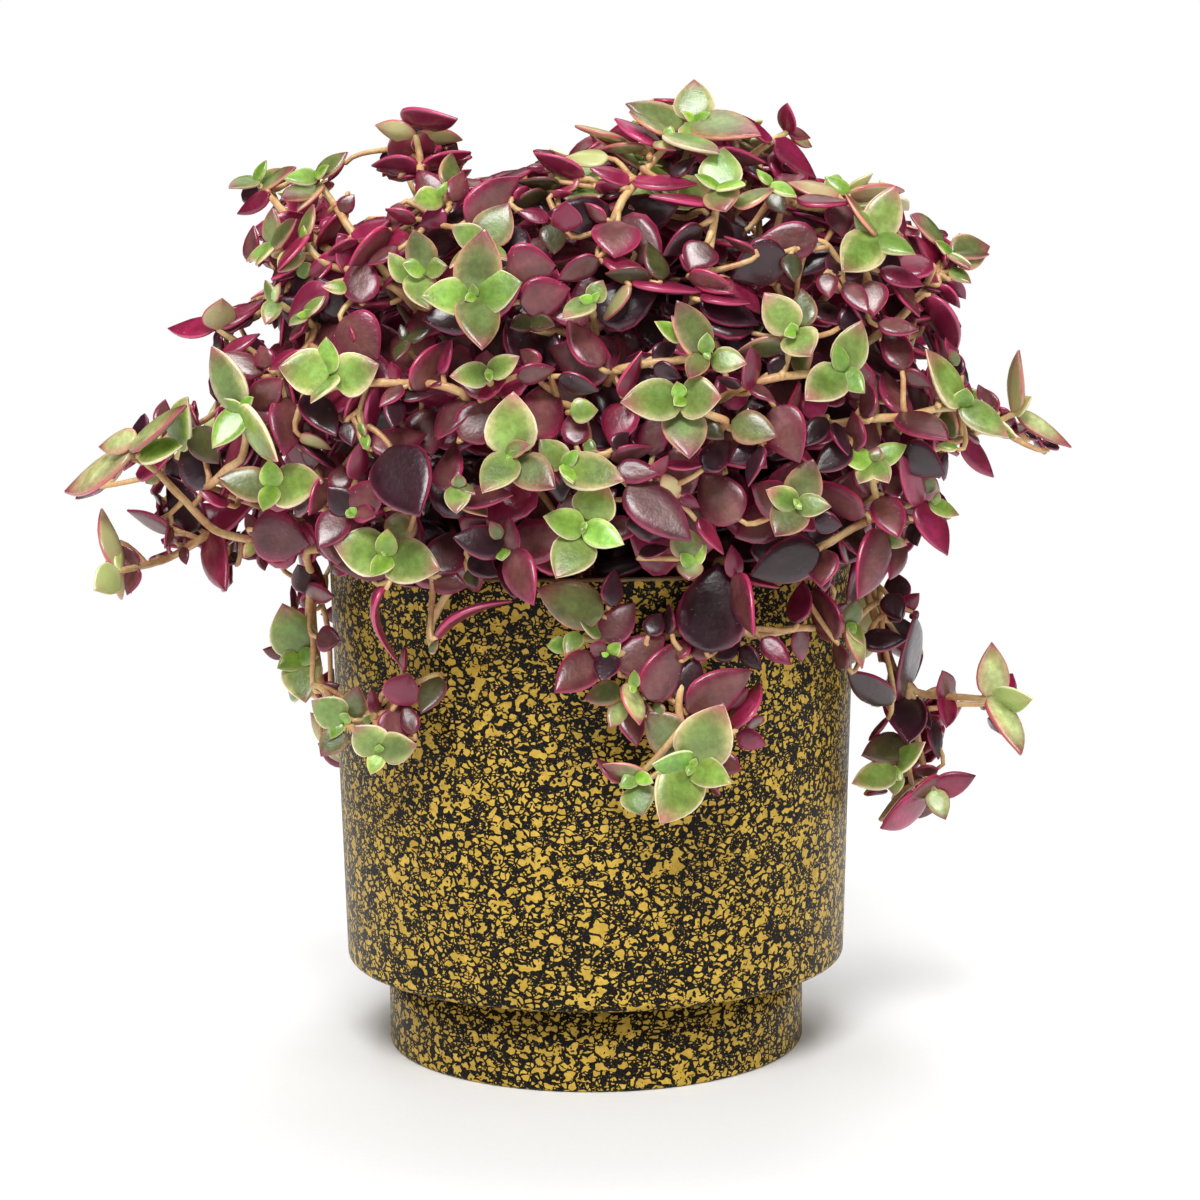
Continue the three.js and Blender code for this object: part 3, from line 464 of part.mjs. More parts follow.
   leaves: [[72.72,-57.06,181.01,77.52,-58.18,176.9,82.37,-53.38,169.49,-2.84,3.83,0.62,0.8,0.47,0.74],
    [80.57,-49.17,190.98,75.86,-49.78,196.03,70.94,-54.51,198.97,0.57,-2.44,-2.97,0.68,-0.47,0.52],
    [80.99,-48.95,190.71,84.75,-46,191.57,90.79,-43.51,192.81,-1.2,0.91,4.21,0.35,-0.79,0.27],
    [80.11,-49.47,190.41,76.1,-49.32,191.66,72.22,-53.34,194.18,-0.84,-0.64,-2.31,0.58,-0.65,-0.03],
    [81.18,-48.92,190.69,84.72,-46.71,190.68,90.58,-45.05,190.54,-0.63,2.3,1.15,0.17,-0.34,0.78]] },
  { name: "shoot_front_32", tone: "mature",
   stems: [[1,-37.23,-22.95,107,-39.35,-26.14,119.81,-42.21,-31.45,131.74,-46.72,-37.77,142.61,-53.31,-44.19,152.29,-62.2,-49.2,160.9,-72.89,-50.99,168.64,-82.52,-56,175.64]],
   leaves: [[-82.64,-55.65,175.51,-87.28,-51.83,175.64,-94.88,-47.25,175.88,-1.33,-2.08,-2.51,-0.44,-0.64,0.76],
    [-81.85,-55.6,175.56,-78.62,-53.33,177.87,-71.98,-51.19,181.73,-1.67,2.33,1.57,-0.17,-0.64,0.77],
    [-79.63,-54.88,173.44,-77.84,-57.52,171.17,-72.78,-56.92,173.89,-0.86,1.68,1.24,-0.21,-0.55,0.6]] },
  { name: "shoot_front_33", tone: "mature",
   stems: [[1,-12.44,-38.54,107,-15.05,-45.71,116.66,-18.07,-54.4,124.83,-21.32,-64.39,131.25,-24.54,-75.09,136.45,-27.61,-86,141.29]],
   leaves: [[-25.76,-80.84,138.86,-22.77,-82.57,138.42,-16.1,-86.01,138.88,1.16,2.57,2.46,-0.29,-0.58,0.74],
    [-27.02,-82.94,140.29,-29.92,-79.24,143.92,-28.93,-75,150.04,-3.33,1.57,-0.55,-0.41,-0.66,0.59]] },
  { name: "shoot_front_34", tone: "young",
   stems: [[1,37.74,-15.3,107,41.95,-20.61,118.79,46.71,-27.67,129.47,54.92,-34.31,138.09,65.93,-40.04,143.77,78.87,-41.85,147.51,88.84,-33.9,150.78,99.26,-31,155.49]],
   leaves: [[99.01,-31.29,155.73,98.49,-34.8,161.06,97.44,-42.82,170.39,2.17,-3.73,-2.96,1.13,0.28,0.46],
    [99.37,-30.98,155.18,104.32,-29.7,152.02,112.41,-29.92,146.62,1.76,2.48,2.53,0.44,-0.9,0.58],
    [86.23,-35.69,149.5,88.65,-34.04,145.92,93.73,-31.82,140.32,1.76,1.58,2.22,0.58,-0.82,0.12]] },
  { name: "shoot_front_35", tone: "young",
   stems: [[1,-29.23,-21.25,107,-33.32,-24.39,112.12,-37.93,-27.72,116.64,-43.28,-30.74,120.52,-49.23,-33.77,123.38,-55.7,-36.66,124.93,-62.51,-39.18,125.22,-66.03,-37.52,122.33,-66.3,-30.95,119.31,-67.3,-27.69,113.24,-68.53,-27.21,106.1,-69.74,-27,98.93],[1,-66.96,-28.81,115.32,-67,-23.8,110.84,-66.81,-23.07,104.04,-65.75,-25.98,97.96,-64.43,-31.2,93.82,-62.5,-37.27,91.24,-59.68,-43.17,89.08,-56.74,-49,86.86],[1,-62.16,-37.99,90.98,-55.68,-49.19,85.56,-47.74,-60,81.6],[0,-47.74,-60,81.6,-33.79,-64,97.78]],
   leaves: [[-69.79,-26.95,99.72,-71.15,-26.22,103.86,-73.21,-27.33,112.08,-5.69,0.34,-1.38,-0.04,-1.06,-0.09],
    [-69.84,-26.84,98.68,-68.98,-28.16,95.48,-67.63,-32.23,89.98,4.24,-0.21,1.22,-0.16,-0.74,0.44],
    [-66.7,-29.03,115.14,-64.03,-31.68,114.76,-59.68,-36.95,114.19,-0.4,-0.62,2.62,-0.67,-0.59,-0.24],
    [-34.09,-64.22,97.33,-35.24,-66.48,95.05,-37.68,-70.74,90.82,2.88,-1.35,-0.3,-0.21,-0.59,0.64],
    [-57.07,-47.66,87.58,-54.9,-47.36,89.14,-53.28,-49.48,94.94,-3.56,0.47,1.16,-0.18,-0.85,-0.2],
    [-67.43,-28.82,115.48,-67.53,-29.71,117.44,-68.64,-33.34,121.11,-2.83,0.03,-0.73,0.12,-0.57,-0.47],
    [-47.72,-59.84,81.9,-44.45,-59.77,82.28,-38.85,-61.95,83.45,-0.88,-0.05,3.79,-0.24,-0.81,-0.07]] },
  { name: "shoot_front_36", tone: "mature",
   stems: [[1,-15.05,-49.77,107,-18.11,-50.25,113.26,-21.34,-50.93,119.1,-25.02,-55.57,122.56,-29.4,-60.07,120.79,-33.05,-59.89,114.99,-35.81,-61.02,109.03,-35.32,-66,104.26]],
   leaves: [] },
  { name: "shoot_rear_01", tone: "mixed",
   stems: [[1,-32.45,38.49,107,-36.06,39.86,113.49,-38.69,41.43,118.69,-42.98,44.71,122.74,-48.74,47.12,119.93,-50.6,44.92,112.68,-51.5,42.96,106.65,-53.59,41.41,100.41,-56.89,37.72,94.17,-59.6,33.35,89.66,-62.49,30.23,84.77,-67.9,29.7,80.21,-72.53,34.67,80.88,-75.45,40.22,80.85,-79.15,46.88,81.25],[1,-64.91,29.8,83.09,-71.67,25.61,75.57,-68.46,31.84,69.51],[1,-62.26,31.1,85.77,-66.75,34.76,73.86,-65.62,42.45,62.94],[1,-49.29,46.03,116.26,-54.29,56.49,124.26,-59.63,67.87,133.41,-60.5,76,145.56],[1,-49.29,46.03,116.26,-59.95,49.44,125.13,-70.56,47.39,134.24,-80.81,40.26,141,-90.91,31.37,145.57,-99.26,31,149.49],[0,-65.34,48.4,129.76,-68.48,57,128.03]],
   leaves: [[-66.89,29.95,81.45,-64.68,32.01,88.52,-62.24,40.48,101.47,1.3,5.91,-4.29,-1.21,0.32,0.08],
    [-99.22,31.29,149.61,-98.32,34.85,154.97,-97.29,42.55,164.59,-4.11,2.11,-1.14,-0.61,-0.75,0.79],
    [-66.97,29.94,80.5,-64.42,31.42,76.3,-62.09,39.88,69.25,-4.4,-1.88,-4.05,-0.82,0.78,0.53],
    [-65.17,42.25,63.33,-60.58,42.02,59.76,-52.54,44.57,56.74,-1.8,2.21,-3.12,0,0.84,0.6],
    [-99.29,31.15,149.42,-104.4,29.65,146.13,-112.33,28.79,140.66,1.99,-2.19,-2.69,-0.35,-0.97,0.53],
    [-59.39,68.63,134.97,-55.78,67.23,137.71,-48.97,64.81,142.93,1.76,-2.18,-3.32,0.58,0.86,-0.26],
    [-78.9,46.21,81.6,-79.81,45.2,86.24,-80.24,44.51,94.7,4.4,1.85,0.38,-0.42,0.97,0.12],
    [-86.02,35.24,142.94,-88.63,33.99,139.93,-93.46,31.01,134.46,2.48,-0.87,-1.72,-0.02,-0.91,0.43],
    [-79.14,46.81,81.41,-81.22,50.35,81.37,-84.6,57.33,81.58,-1.09,-0.3,-3.59,-0.89,-0.35,0.3],
    [-68.27,56.91,127.91,-67.27,59.56,124.58,-65.06,64.62,119.34,-3.5,0.78,-0.75,0.04,0.77,0.61]] },
  { name: "shoot_rear_02", tone: "young",
   stems: [[1,-10.1,43.26,107,-11.28,47.61,112.76,-12.52,52.27,118.26,-13.89,57.38,122.84,-15.56,63.66,121.23,-16.3,66.16,114.6,-16.89,67.41,107.42,-17.13,68.6,100.2,-18.01,70.39,93.3,-19.96,73,86.77,-21.49,75,79.89],[1,-19.67,72.55,87.72,-9.73,74.02,77.57],[1,-15.85,64.62,118.67,-20.97,82,125.68]],
   leaves: [[-21.82,75.05,80.94,-24.01,74.51,85.16,-27.82,76.29,94.22,7.99,-0.69,3.52,0.14,1.15,-0.09],
    [-21.06,74.99,79.88,-18.54,76.45,75.45,-13.95,81.45,68.66,-6.26,0.07,-4.28,-0.28,1.03,0.43],
    [-20.84,75.15,80.58,-18.74,75.43,80.58,-12.24,79.64,81.65,0.58,0.06,-4.49,-0.49,0.86,-0.05]] },
  { name: "shoot_rear_03", tone: "mixed",
   stems: [[1,-5.47,49.78,107,-4.98,52.79,112.88,-4.52,56.11,118.6,-4.07,60.32,122.85,-3.73,66.25,120.77,-3.52,70.06,115.4,-3.33,73.56,109.77,-3.2,77,104.1],[1,-3.28,75,107.39,-8.97,77,97.33],[1,-3.57,69.01,116.88,2.61,74,108.16],[1,-3.69,66.97,119.76,-3.79,73.95,129.49,-4.22,80.19,139.39,-4.92,86.25,149.39]],
   leaves: [[-4.75,82.64,142.66,-12.51,86.94,136.45,-20.6,90.64,129.1,-4.97,-1.27,4.53,0.06,1.18,0.4],
    [-2.82,71.23,112.59,2.27,70.51,114.36,10.25,69.76,117.35,2.27,1.13,-5.53,0.05,0.96,0.22],
    [-2.77,76.66,104.39,2.78,77.37,101,8.51,81.61,97.03,-3.51,0.21,-4.65,-0.38,0.92,0.33],
    [-6.71,75.79,101.7,-9.7,69.34,103.13,-15.75,66.99,107.84,3.77,-0.83,4.43,-0.18,0.95,0.33]] },
  { name: "shoot_rear_04", tone: "mature",
   stems: [[1,-20.78,47.67,107,-22.5,50.2,113.35,-24.11,52.41,119.04,-26.7,56.62,122.82,-30.77,60.28,119.44,-34.99,58.62,113.8,-40.19,55.87,111.07,-45.92,53.46,109.46,-52.5,51,108.3,-58.59,48,107.9]],
   leaves: [[-30.84,60.42,119.14,-33.26,72.1,115.87,-35.24,78.79,108.42,-3.19,2.28,2.85,0.87,0.74,0.38]] },
  { name: "shoot_rear_05", tone: "mature",
   stems: [[1,8.26,43.5,107,12.84,46.04,112.73,17.2,51.04,116.72,20.21,55.06,120.95,25.05,58.57,122.93,30.03,61.73,116.6,32.84,64.49,110.57,35.32,66,104.26],[1,34.16,64.99,106.97,40.68,62.24,94.18,47.74,60,81.6],[1,34.16,64.99,106.97,41.27,59.4,99.92,48.6,53.88,93.18,56.74,49,86.86],[1,27.31,60.68,119.76,36.11,69.5,122.73,43.94,78,126.35],[1,27.31,60.68,119.76,23.07,72.91,123.91,18.82,84,128.68],[1,27.31,60.68,119.76,27.56,73.75,130.73,27.61,86,141.29],[0,31.9,63.31,111.94,44.75,57,117.28]],
   leaves: [[44.51,57.33,116.71,44.06,57.48,111.07,42.26,58.01,101.14,2.34,-3.29,-0.52,-0.87,-0.63,0.06],
    [19.04,82.87,127.87,14.61,84.93,123.27,11.08,90.09,117,-4.85,-0.66,2.18,0.14,0.91,0.58],
    [42.94,77.51,125.85,39.27,78.8,124.96,31.76,82.72,123.12,-2.05,-0.59,6.69,0.38,0.98,0.2],
    [27.21,81.62,137.53,22.78,82.58,138.41,16.16,86.14,138.64,-0.28,-0.76,3.51,0.41,0.86,0.22],
    [27.62,82.91,139.34,29.84,79.19,144,28.99,74.8,150,4.02,-0.79,0.19,0.12,0.76,0.61]] },
  { name: "shoot_crown_01", tone: "young",
   stems: [[1,15.93,-26.47,107,15.89,-15.51,116.98,12.73,-14.1,126.73,13.42,-10.77,140.14,14.5,-2.15,150.51,11.57,-1.22,161.33,9.55,4.8,173,11.98,3.63,182.8,13.22,-4.14,190.08,11.88,-10.44,202.99,13.23,-23.32,209.27,17.42,-34.92,214.42,17.83,-46.53,218.17],[1,11.47,-0.29,187.15,10.27,-11.03,195.07,9.09,-20.9,203.97,7.47,-27.04,215.18]],
   leaves: [[7.89,-24.07,209.21,3.54,-28.39,207.7,-3.73,-33.92,206.77,3.74,-5.13,-0.95,-0.05,-0.24,1.08],
    [8.69,-23.65,209.37,11.31,-23.35,211.82,14.9,-21.71,217.16,-2.54,3.49,0.64,-0.48,-0.45,0.52],
    [17.74,-45.4,218.09,17.14,-41.81,219.75,16.2,-35,222.5,-5.05,-0.97,0.69,0.18,-0.28,0.91],
    [17.65,-46.47,218.1,17.54,-50.11,217.94,17.58,-55.3,218,3.44,-0.19,-0.52,0.11,-0.04,0.71],
    [7.1,-26.91,214.98,3.22,-26.83,215.11,-2.92,-26.64,215.38,-0.17,-3.87,-1.16,-0.02,-0.25,0.83],
    [7.88,-26.98,215.08,10.78,-27.71,216.9,15.32,-28.78,219.81,0.17,3.77,1.14,-0.41,-0.18,0.66]] },
  { name: "shoot_crown_02", tone: "mature",
   stems: [[1,-0.61,31.06,107,-0.96,30.59,120.42,-1.36,30.18,133.84,-1.76,30.05,147.26,-2.06,30.58,160.68,-2.08,32.3,173.99,-1.68,35.7,186.97,-0.78,41.05,199.23,0.7,48.29,210.41,3.11,57.15,220.21],[1,-1.03,39.58,195.87,6.39,45.45,212.48],[1,-1.63,35.98,187.6,0.39,29.75,196.3,2.25,24.29,205.47,2.9,20.98,215.53],[1,-1.03,39.58,195.87,-8.12,37.52,206.15,-15.35,36.61,216.31],[1,1.6,51.61,214.08,-0.44,62.94,211.48,-2.18,74.49,209.06],[1,0.86,48.89,211.07,10.33,47.4,214.27,19.48,45.69,218.2],[1,0.36,46.61,207.82,-5.26,41.76,218.35]],
   leaves: [[-11.76,37.49,210.86,-12.43,43.6,211.25,-14.34,54.04,212.15,-6.16,-0.61,-4.52,-0.71,-0.14,0.99],
    [2.57,22.6,209.24,2.64,15.36,208.73,1.84,5.54,209.36,6.84,-0.67,0.42,-0.07,0.04,1.14],
    [-11.65,36.68,211.17,-11.53,30.59,211.92,-11.93,21.73,213.67,4.62,0.46,3.39,-0.66,0.14,0.88],
    [3.35,43.84,206.58,2.27,47.33,205.2,-1.76,54.86,204.11,-4.92,-2.35,2.08,0.24,0.37,0.99],
    [2.59,23.54,209,3.88,27.27,209.7,4.57,35.69,211.99,-5.69,0.56,-0.35,-0.09,-0.22,1.05],
    [4.17,43.07,207.14,8.32,38.22,208.76,12.58,32.32,212.76,4.51,2.16,-1.91,0.1,0.57,0.89],
    [2.73,56.98,220.47,-1.96,58.04,221.94,-9.55,59.36,224.88,-0.64,-5.84,1.29,0.35,0.17,0.95],
    [-1.02,69.38,210.05,5.14,70.39,208.61,11.65,72.41,211.86,-1.72,2.3,2.02,-0.08,-0.68,0.71]] },
  { name: "shoot_crown_03", tone: "young",
   stems: [[1,33.62,-8.44,107,37.08,2.36,114.52,41.86,10.26,123.01,48.16,3.6,132.58,57.24,-0.61,141.71,68.46,0.72,149.13,78.33,-3.32,154.58,88.37,-10.93,159.82]],
   leaves: [[88.04,-10.19,159.91,85.94,-7.94,163.76,82.72,-3.27,169.56,-2.58,-4.41,2.02,0.8,-0.18,0.63],
    [88.43,-11.03,159.52,91.62,-14.18,156.87,96.77,-19.02,152.87,2.67,4.56,-2.09,0.67,-0.03,0.78]] },
  { name: "shoot_crown_04", tone: "young",
   stems: [[1,-35.45,-9.94,107,-35.48,-2.62,118.53,-35.65,6.56,128.51,-36.33,6.26,142.01,-37.92,10.05,154.83,-41.01,8.11,167.9,-46.16,10.58,180.1,-52.85,7.14,190.94,-60.7,1.59,200.61,-67.93,-6.12,208.6],[1,-61.52,0.71,201.52,-69.93,10.86,203.31,-77.32,21.39,204.61]],
   leaves: [[-68.03,-5.65,208.45,-70.57,-2.18,208.41,-74.56,3.51,208.55,-3.74,-2.59,-1.67,-0.28,-0.16,0.88],
    [-67.62,-6.32,208.56,-65.72,-10.07,209.76,-62.69,-15.81,211.85,3.68,2.55,1.65,-0.4,0.03,0.83]] },
  { name: "shoot_crown_05", tone: "mixed",
   stems: [[1,30.23,32.41,107,31.46,34.38,119.25,33.2,37.05,131.31,35.78,40.77,142.92,39.49,45.78,153.71,44.43,52.02,163.3,50.46,59.18,171.52,57.27,66.92,178.53,64.5,74.88,184.86],[1,52.13,61.08,173.23,48.04,72.73,172.45,44.52,84.54,171.11],[1,56.89,66.48,178.14,69.77,61.55,176.25,82.52,56,175.64],[1,54.5,63.77,175.68,67.35,60.91,174.27,80.32,58.15,173.06],[1,56.92,66.52,178.17,60.47,75.06,177.58],[1,59.4,69.26,180.4,67.72,70,180.84],[0,65.67,61.29,174.45,66,70,159.8],[0,60.45,75,177.6,60.78,75,160.6]],
   leaves: [[44.96,84.38,171,50.14,85.44,169.01,58.65,87.13,166.28,-2.17,5.13,-3.59,0.2,0.68,0.85],
    [66.01,69.85,160.06,65.68,73.74,156.22,65.15,80.03,150.58,-4.94,-0.41,0.01,-0.06,0.73,0.73],
    [82.46,55.96,175.64,87.35,51.69,175.77,94.58,46.64,175.84,1.08,1.58,2.9,-0.49,-0.76,0.6],
    [44.25,84.32,171.34,39.6,84.52,174.06,32.47,84.82,178.79,1.91,-4.51,3.16,0.43,0.67,0.71],
    [60.65,75.24,160.64,58.14,77.45,156.98,53.97,81.3,151.51,-3.85,-0.42,2.61,0.2,0.91,0.44],
    [81.96,55.9,175.83,78.63,53.29,177.86,72.15,50.54,181.6,-0.57,-2.13,-2.55,0.52,-0.72,0.49]] },
  { name: "shoot_rear_06", tone: "mixed",
   stems: [[1,-19.41,33.64,107,-21.4,33.89,119.17,-23.93,34.39,131.23,-27.26,35.42,143.06,-31.52,37.34,154.46,-36.72,40.62,165.14,-42.68,45.7,174.64,-49.03,52.74,182.49,-55.33,61.42,188.55,-61.4,71,193.39],[1,-55.14,61.15,188.37,-56.93,59,203.86],[1,-52.99,58.19,186.3,-62.68,58.92,181.25,-72.56,54.89,180.77,-80.98,49,184.85],[1,-46.57,50.01,179.44,-47.83,54.67,190.17,-49.34,59.61,200.63],[1,-55.14,61.15,188.37,-50.02,71.72,193.14],[1,-52.99,58.19,186.3,-63.86,54.01,192.67,-74.76,50.15,198.83],[1,-57.23,64.41,190.07,-51.59,68.15,197.72,-45.23,71.17,205.12],[0,-50.02,71.72,193.14,-41.54,75,190.31]],
   leaves: [[-72.59,55.22,180.48,-77.61,58.18,176.83,-82.33,53.04,169.62,4.01,-2.32,-0.94,-0.34,-0.88,0.72],
    [-57.14,58.7,203.54,-62.3,55.15,204.43,-70.45,50.1,205.55,1.23,-2.6,-2.2,0.37,-0.59,0.91],
    [-60.75,70.57,192.82,-58.37,72.96,190.38,-53.33,78.48,185.54,-4.86,0.58,-4.4,-0.36,0.89,0.52],
    [-48.27,57.21,194.8,-42.82,59.48,195.86,-35.28,62.35,197.73,-1.49,5.41,-2.25,-0.33,0.31,0.96],
    [-48.74,56.79,194.87,-52.78,55.97,194.59,-59.78,54.47,195.28,1.14,-4.14,1.72,-0.08,0.33,0.84],
    [-41.54,74.95,190.36,-36.96,74.78,188.34,-29.65,75.22,185.48,-2.62,-1.58,-6.3,-0.06,0.99,-0.23],
    [-49.24,71.87,192.99,-43.97,71.9,192.76,-35.97,72.12,192.3,-0.28,-0.85,-5.36,0.02,1.01,-0.16],
    [-50.16,72.07,193.01,-52.08,76.29,191.43,-55.13,83.21,189.36,-4.55,-1.83,0.59,-0.01,0.34,0.95],
    [-50.09,71.42,193.41,-48.42,68.2,195.43,-46.09,63.65,199.32,4.06,1.63,-0.52,-0.09,0.45,0.71],
    [-61.5,70.66,193.79,-62.85,69.63,197.19,-64.93,69.17,203.19,4.62,-0.13,1.51,0,0.83,0.08]] },
  { name: "shoot_crown_06", tone: "mature",
   stems: [[1,-42.01,8.52,107,-46.94,9.66,118.23,-53.3,11.18,128.67,-61.37,13.17,137.75,-70.8,15.61,145.29,-81.02,18.34,151.62,-91.57,21.24,157.31],[1,-80.18,18.12,151.1,-88.49,9.08,156.13],[1,-83.95,19.14,153.2,-89.19,27.21,160.2]],
   leaves: [] },
  { name: "shoot_rear_07", tone: "young",
   stems: [[1,-1.18,39.03,107,0.18,42.65,119.96,1.4,47.53,132.51,1.83,54.35,144.15,0.19,63.34,154.05,-4.94,73.59,161.09,-13.54,83.01,165.43,-23.88,91,168.93],[1,-2.64,69.01,157.94,8.6,79.87,153.12,16.35,93,147.86],[1,-8.55,77.55,162.91,4.92,88.86,159.63],[1,-8.58,77.59,162.97,-19.21,80.48,162.7,-30.5,81.8,162.84,-41.77,83.31,164.26,-52.79,86,164.85],[1,-4.12,71.96,159.97,6.67,78.19,160.22,18.44,81.17,160.97,30.62,82.39,162.03,42.81,82.83,163.28,54.9,84,164.92],[1,-8.55,77.55,162.91,-0.6,87.98,162.75],[1,-2.64,69.01,157.94,1.23,78.3,161.41,-2.24,86.4,154.96,-0.91,88.52,143.84,1.42,90,132.69],[1,-2.64,69.01,157.94,9.89,77.96,162.72,20.88,89,164.58],[1,-6.03,74.79,161.64,6.15,83.14,167.23,19.26,89.85,172.3],[1,-8.55,77.55,162.91,-4.27,81.88,171.34,-0.62,86,179.58],[1,-6.03,74.79,161.64,2.93,82.45,170.19,11.48,88.95,179.68],[1,-2.66,68.95,157.99,7.78,71.43,165.18,18.52,73.21,171.09,29.53,73.13,176.81,40.29,71.69,182.52,51.04,69.49,188.27,61.59,66.95,194.25],[1,-4.12,71.96,159.97,5.33,78.18,166.76,14.71,83.73,173.74,23.73,90,180.62],[1,-13.73,83.15,165.5,-17.77,80.49,175.84,-22.23,81.45,186.35],[1,-11.11,80.35,164.2,-18.77,82.45,176.44,-25.4,78.07,188.7,-27.64,77,203.26],[1,-13.73,83.15,165.5,-11.21,84.19,177.16,-9.8,85.08,189.18],[1,-6.03,74.79,161.64,-5.33,75.71,174.94,-5.66,75.35,188.11,-6.38,75.18,201.28],[1,0.58,76.74,160.83,4.32,83.16,153.91,5.47,90,145.42],[1,-40.41,83.09,164.1,-42.58,85,172.86],[1,50.91,69.56,188.22,59.13,60.49,193.73,65.73,50.26,199.21,71.57,39.59,204.92,77.2,28.96,210.68],[1,47.33,70.27,186.24,60.51,62.85,189.55,68.48,63,193.28],[1,40.1,71.75,182.38,47.21,66.23,191.04,53.68,60.18,199.86,59.93,54,208.75],[1,17.52,85.68,175.88,21.98,81,191.86],[1,-4.12,71.96,159.97,4.34,76.66,168.01,12.25,82,175.69],[1,22.2,81.55,161.29,30.59,79.29,166.08,38.73,78,171.62],[0,40.45,82.74,163.04,41.91,82,149.07],[0,44.11,82.95,163.46,46.24,81,149.08]],
   leaves: [[41.71,82.37,149.05,39.52,85.57,143.76,35.81,92.3,135.14,-8.86,-0.07,3.81,0.25,1.07,0.6],
    [11.68,85.34,151.47,10.85,81.47,154.93,8.58,76.3,161.81,5.7,0.77,2.55,-0.36,0.78,0.57],
    [23.14,90.03,179.82,23.1,92.3,176.33,21.79,98.37,169.39,-6.69,-0.34,0.94,0.05,0.9,0.68],
    [54.91,58.8,201.19,56.92,54.35,197.69,61.04,47.85,192.82,3.57,2.47,-0.27,0.41,-0.5,0.9],
    [4.89,89.72,145.41,0.53,91.11,144.12,-6.93,95.48,142.14,-1.97,-1.04,5.57,0.4,0.98,0.32],
    [23.44,89.64,180.79,22.71,88.67,186.07,21.15,88.77,194.86,7.13,-0.46,1.27,0.06,1.09,0.05],
    [-45.2,83.81,164.71,-45.47,77.65,169.57,-44.08,74.16,177.51,3.57,-1.66,-1.36,0.54,0.87,0.35],
    [-22.09,80.38,181.78,-28.07,78.46,177.76,-35.51,79.63,173.84,-1.99,-0.04,3.77,0.07,1.06,0.05],
    [44.89,82.76,163.26,45.83,78.21,158.27,47.18,73.4,151.47,3.01,2.44,-1.12,0.69,-0.62,0.5],
    [-26.75,77.22,200.08,-20.07,77.03,200.5,-12.45,80.44,201.19,-1.72,4.07,-1.11,-0.13,0.22,1.02],
    [37.23,82.16,163.3,35.28,80.57,165.35,31.06,78.16,170.64,2.91,-0.03,2.28,-0.2,0.83,0.27],
    [15.85,92.05,148.62,16.23,91.58,152.86,15.96,91.63,161.09,7.42,-0.09,0.24,0.01,1.04,0.05],
    [-9.67,84.64,189.1,-9.04,81.16,192.91,-7.84,75.72,199,5.15,0.66,-0.42,-0.03,0.72,0.75],
    [-52.24,86.14,164.45,-49.57,87.62,162.16,-44.47,92.55,158.19,-4.23,0.74,-4.51,-0.35,0.85,0.47],
    [76.53,29.32,210.39,72.78,29.9,210.04,66.79,34.83,212.72,-1.8,-2.98,1.7,0.48,0.21,0.87],
    [-2.4,85.36,163,0.13,83.55,168.76,3.88,81.57,174.07,3.21,-0.09,-2.34,0.21,0.81,0.25],
    [-9.91,85.4,188.53,-10.59,89.6,186.52,-11.77,96.55,183,-5.37,-0.69,0.44,0.01,0.51,0.87],
    [46.08,81.13,149.31,41.86,78.96,149.99,34.69,76.04,151.88,1.34,-0.91,4.1,-0.37,0.88,0.32],
    [1.45,89.94,132.79,3.8,90.56,127.45,7.14,95.34,122.15,-5.79,0.56,-3.55,-0.24,0.81,0.52],
    [61.6,67.2,193.8,62.97,68.17,191.81,65.76,73.45,187.16,-2.22,2.49,1.5,0.71,0.26,0.63],
    [-23.18,90.51,169.11,-21.64,89.92,172.96,-17.98,90.48,179.53,4.46,1.57,-2.61,-0.26,0.94,0.13],
    [22.26,81.2,191.38,24.6,82.85,189.57,28.72,88.06,186.05,-2.64,2.15,0.1,0.34,0.38,0.84],
    [-22,81.8,185.96,-20.87,86.12,184.9,-18.95,93.14,183.2,-4.49,0.93,-1.24,-0.18,0.33,0.9]] },
  { name: "shoot_crown_07", tone: "mixed",
   stems: [[1,21.84,1.74,107,20.55,5.46,117.54,18.9,5.48,130.14,17.18,8.16,142.45,15.79,8.63,154.49,15.2,8.75,167.18,16.24,10.15,179.77,18.98,8.74,191.92,24.14,9.13,203.52,30.62,9.97,214.37,36.24,10.44,225.7],[1,17.74,9.38,186.43,9.88,7.23,195.57,4.17,0.4,204.18,-0.21,-3.56,214.64],[1,18.71,8.88,190.7,16.99,13.87,202.77,17.3,18.27,215.19],[1,21.98,8.97,198.67,24.61,17.96,206.15,28.4,23.99,215.99],[1,23.73,9.1,202.61,24.72,11.42,213.22,27.09,14.91,223.29],[1,23.73,9.1,202.61,19.51,18.26,208.23,16.47,27.25,214.93,15.45,33.8,224.27],[1,23.67,9.13,202.63,21.81,2.7,211.79,20.12,-3.49,221.19],[1,28.05,9.64,210.07,31.86,-2.04,216.05,35.36,-14.15,222.6]],
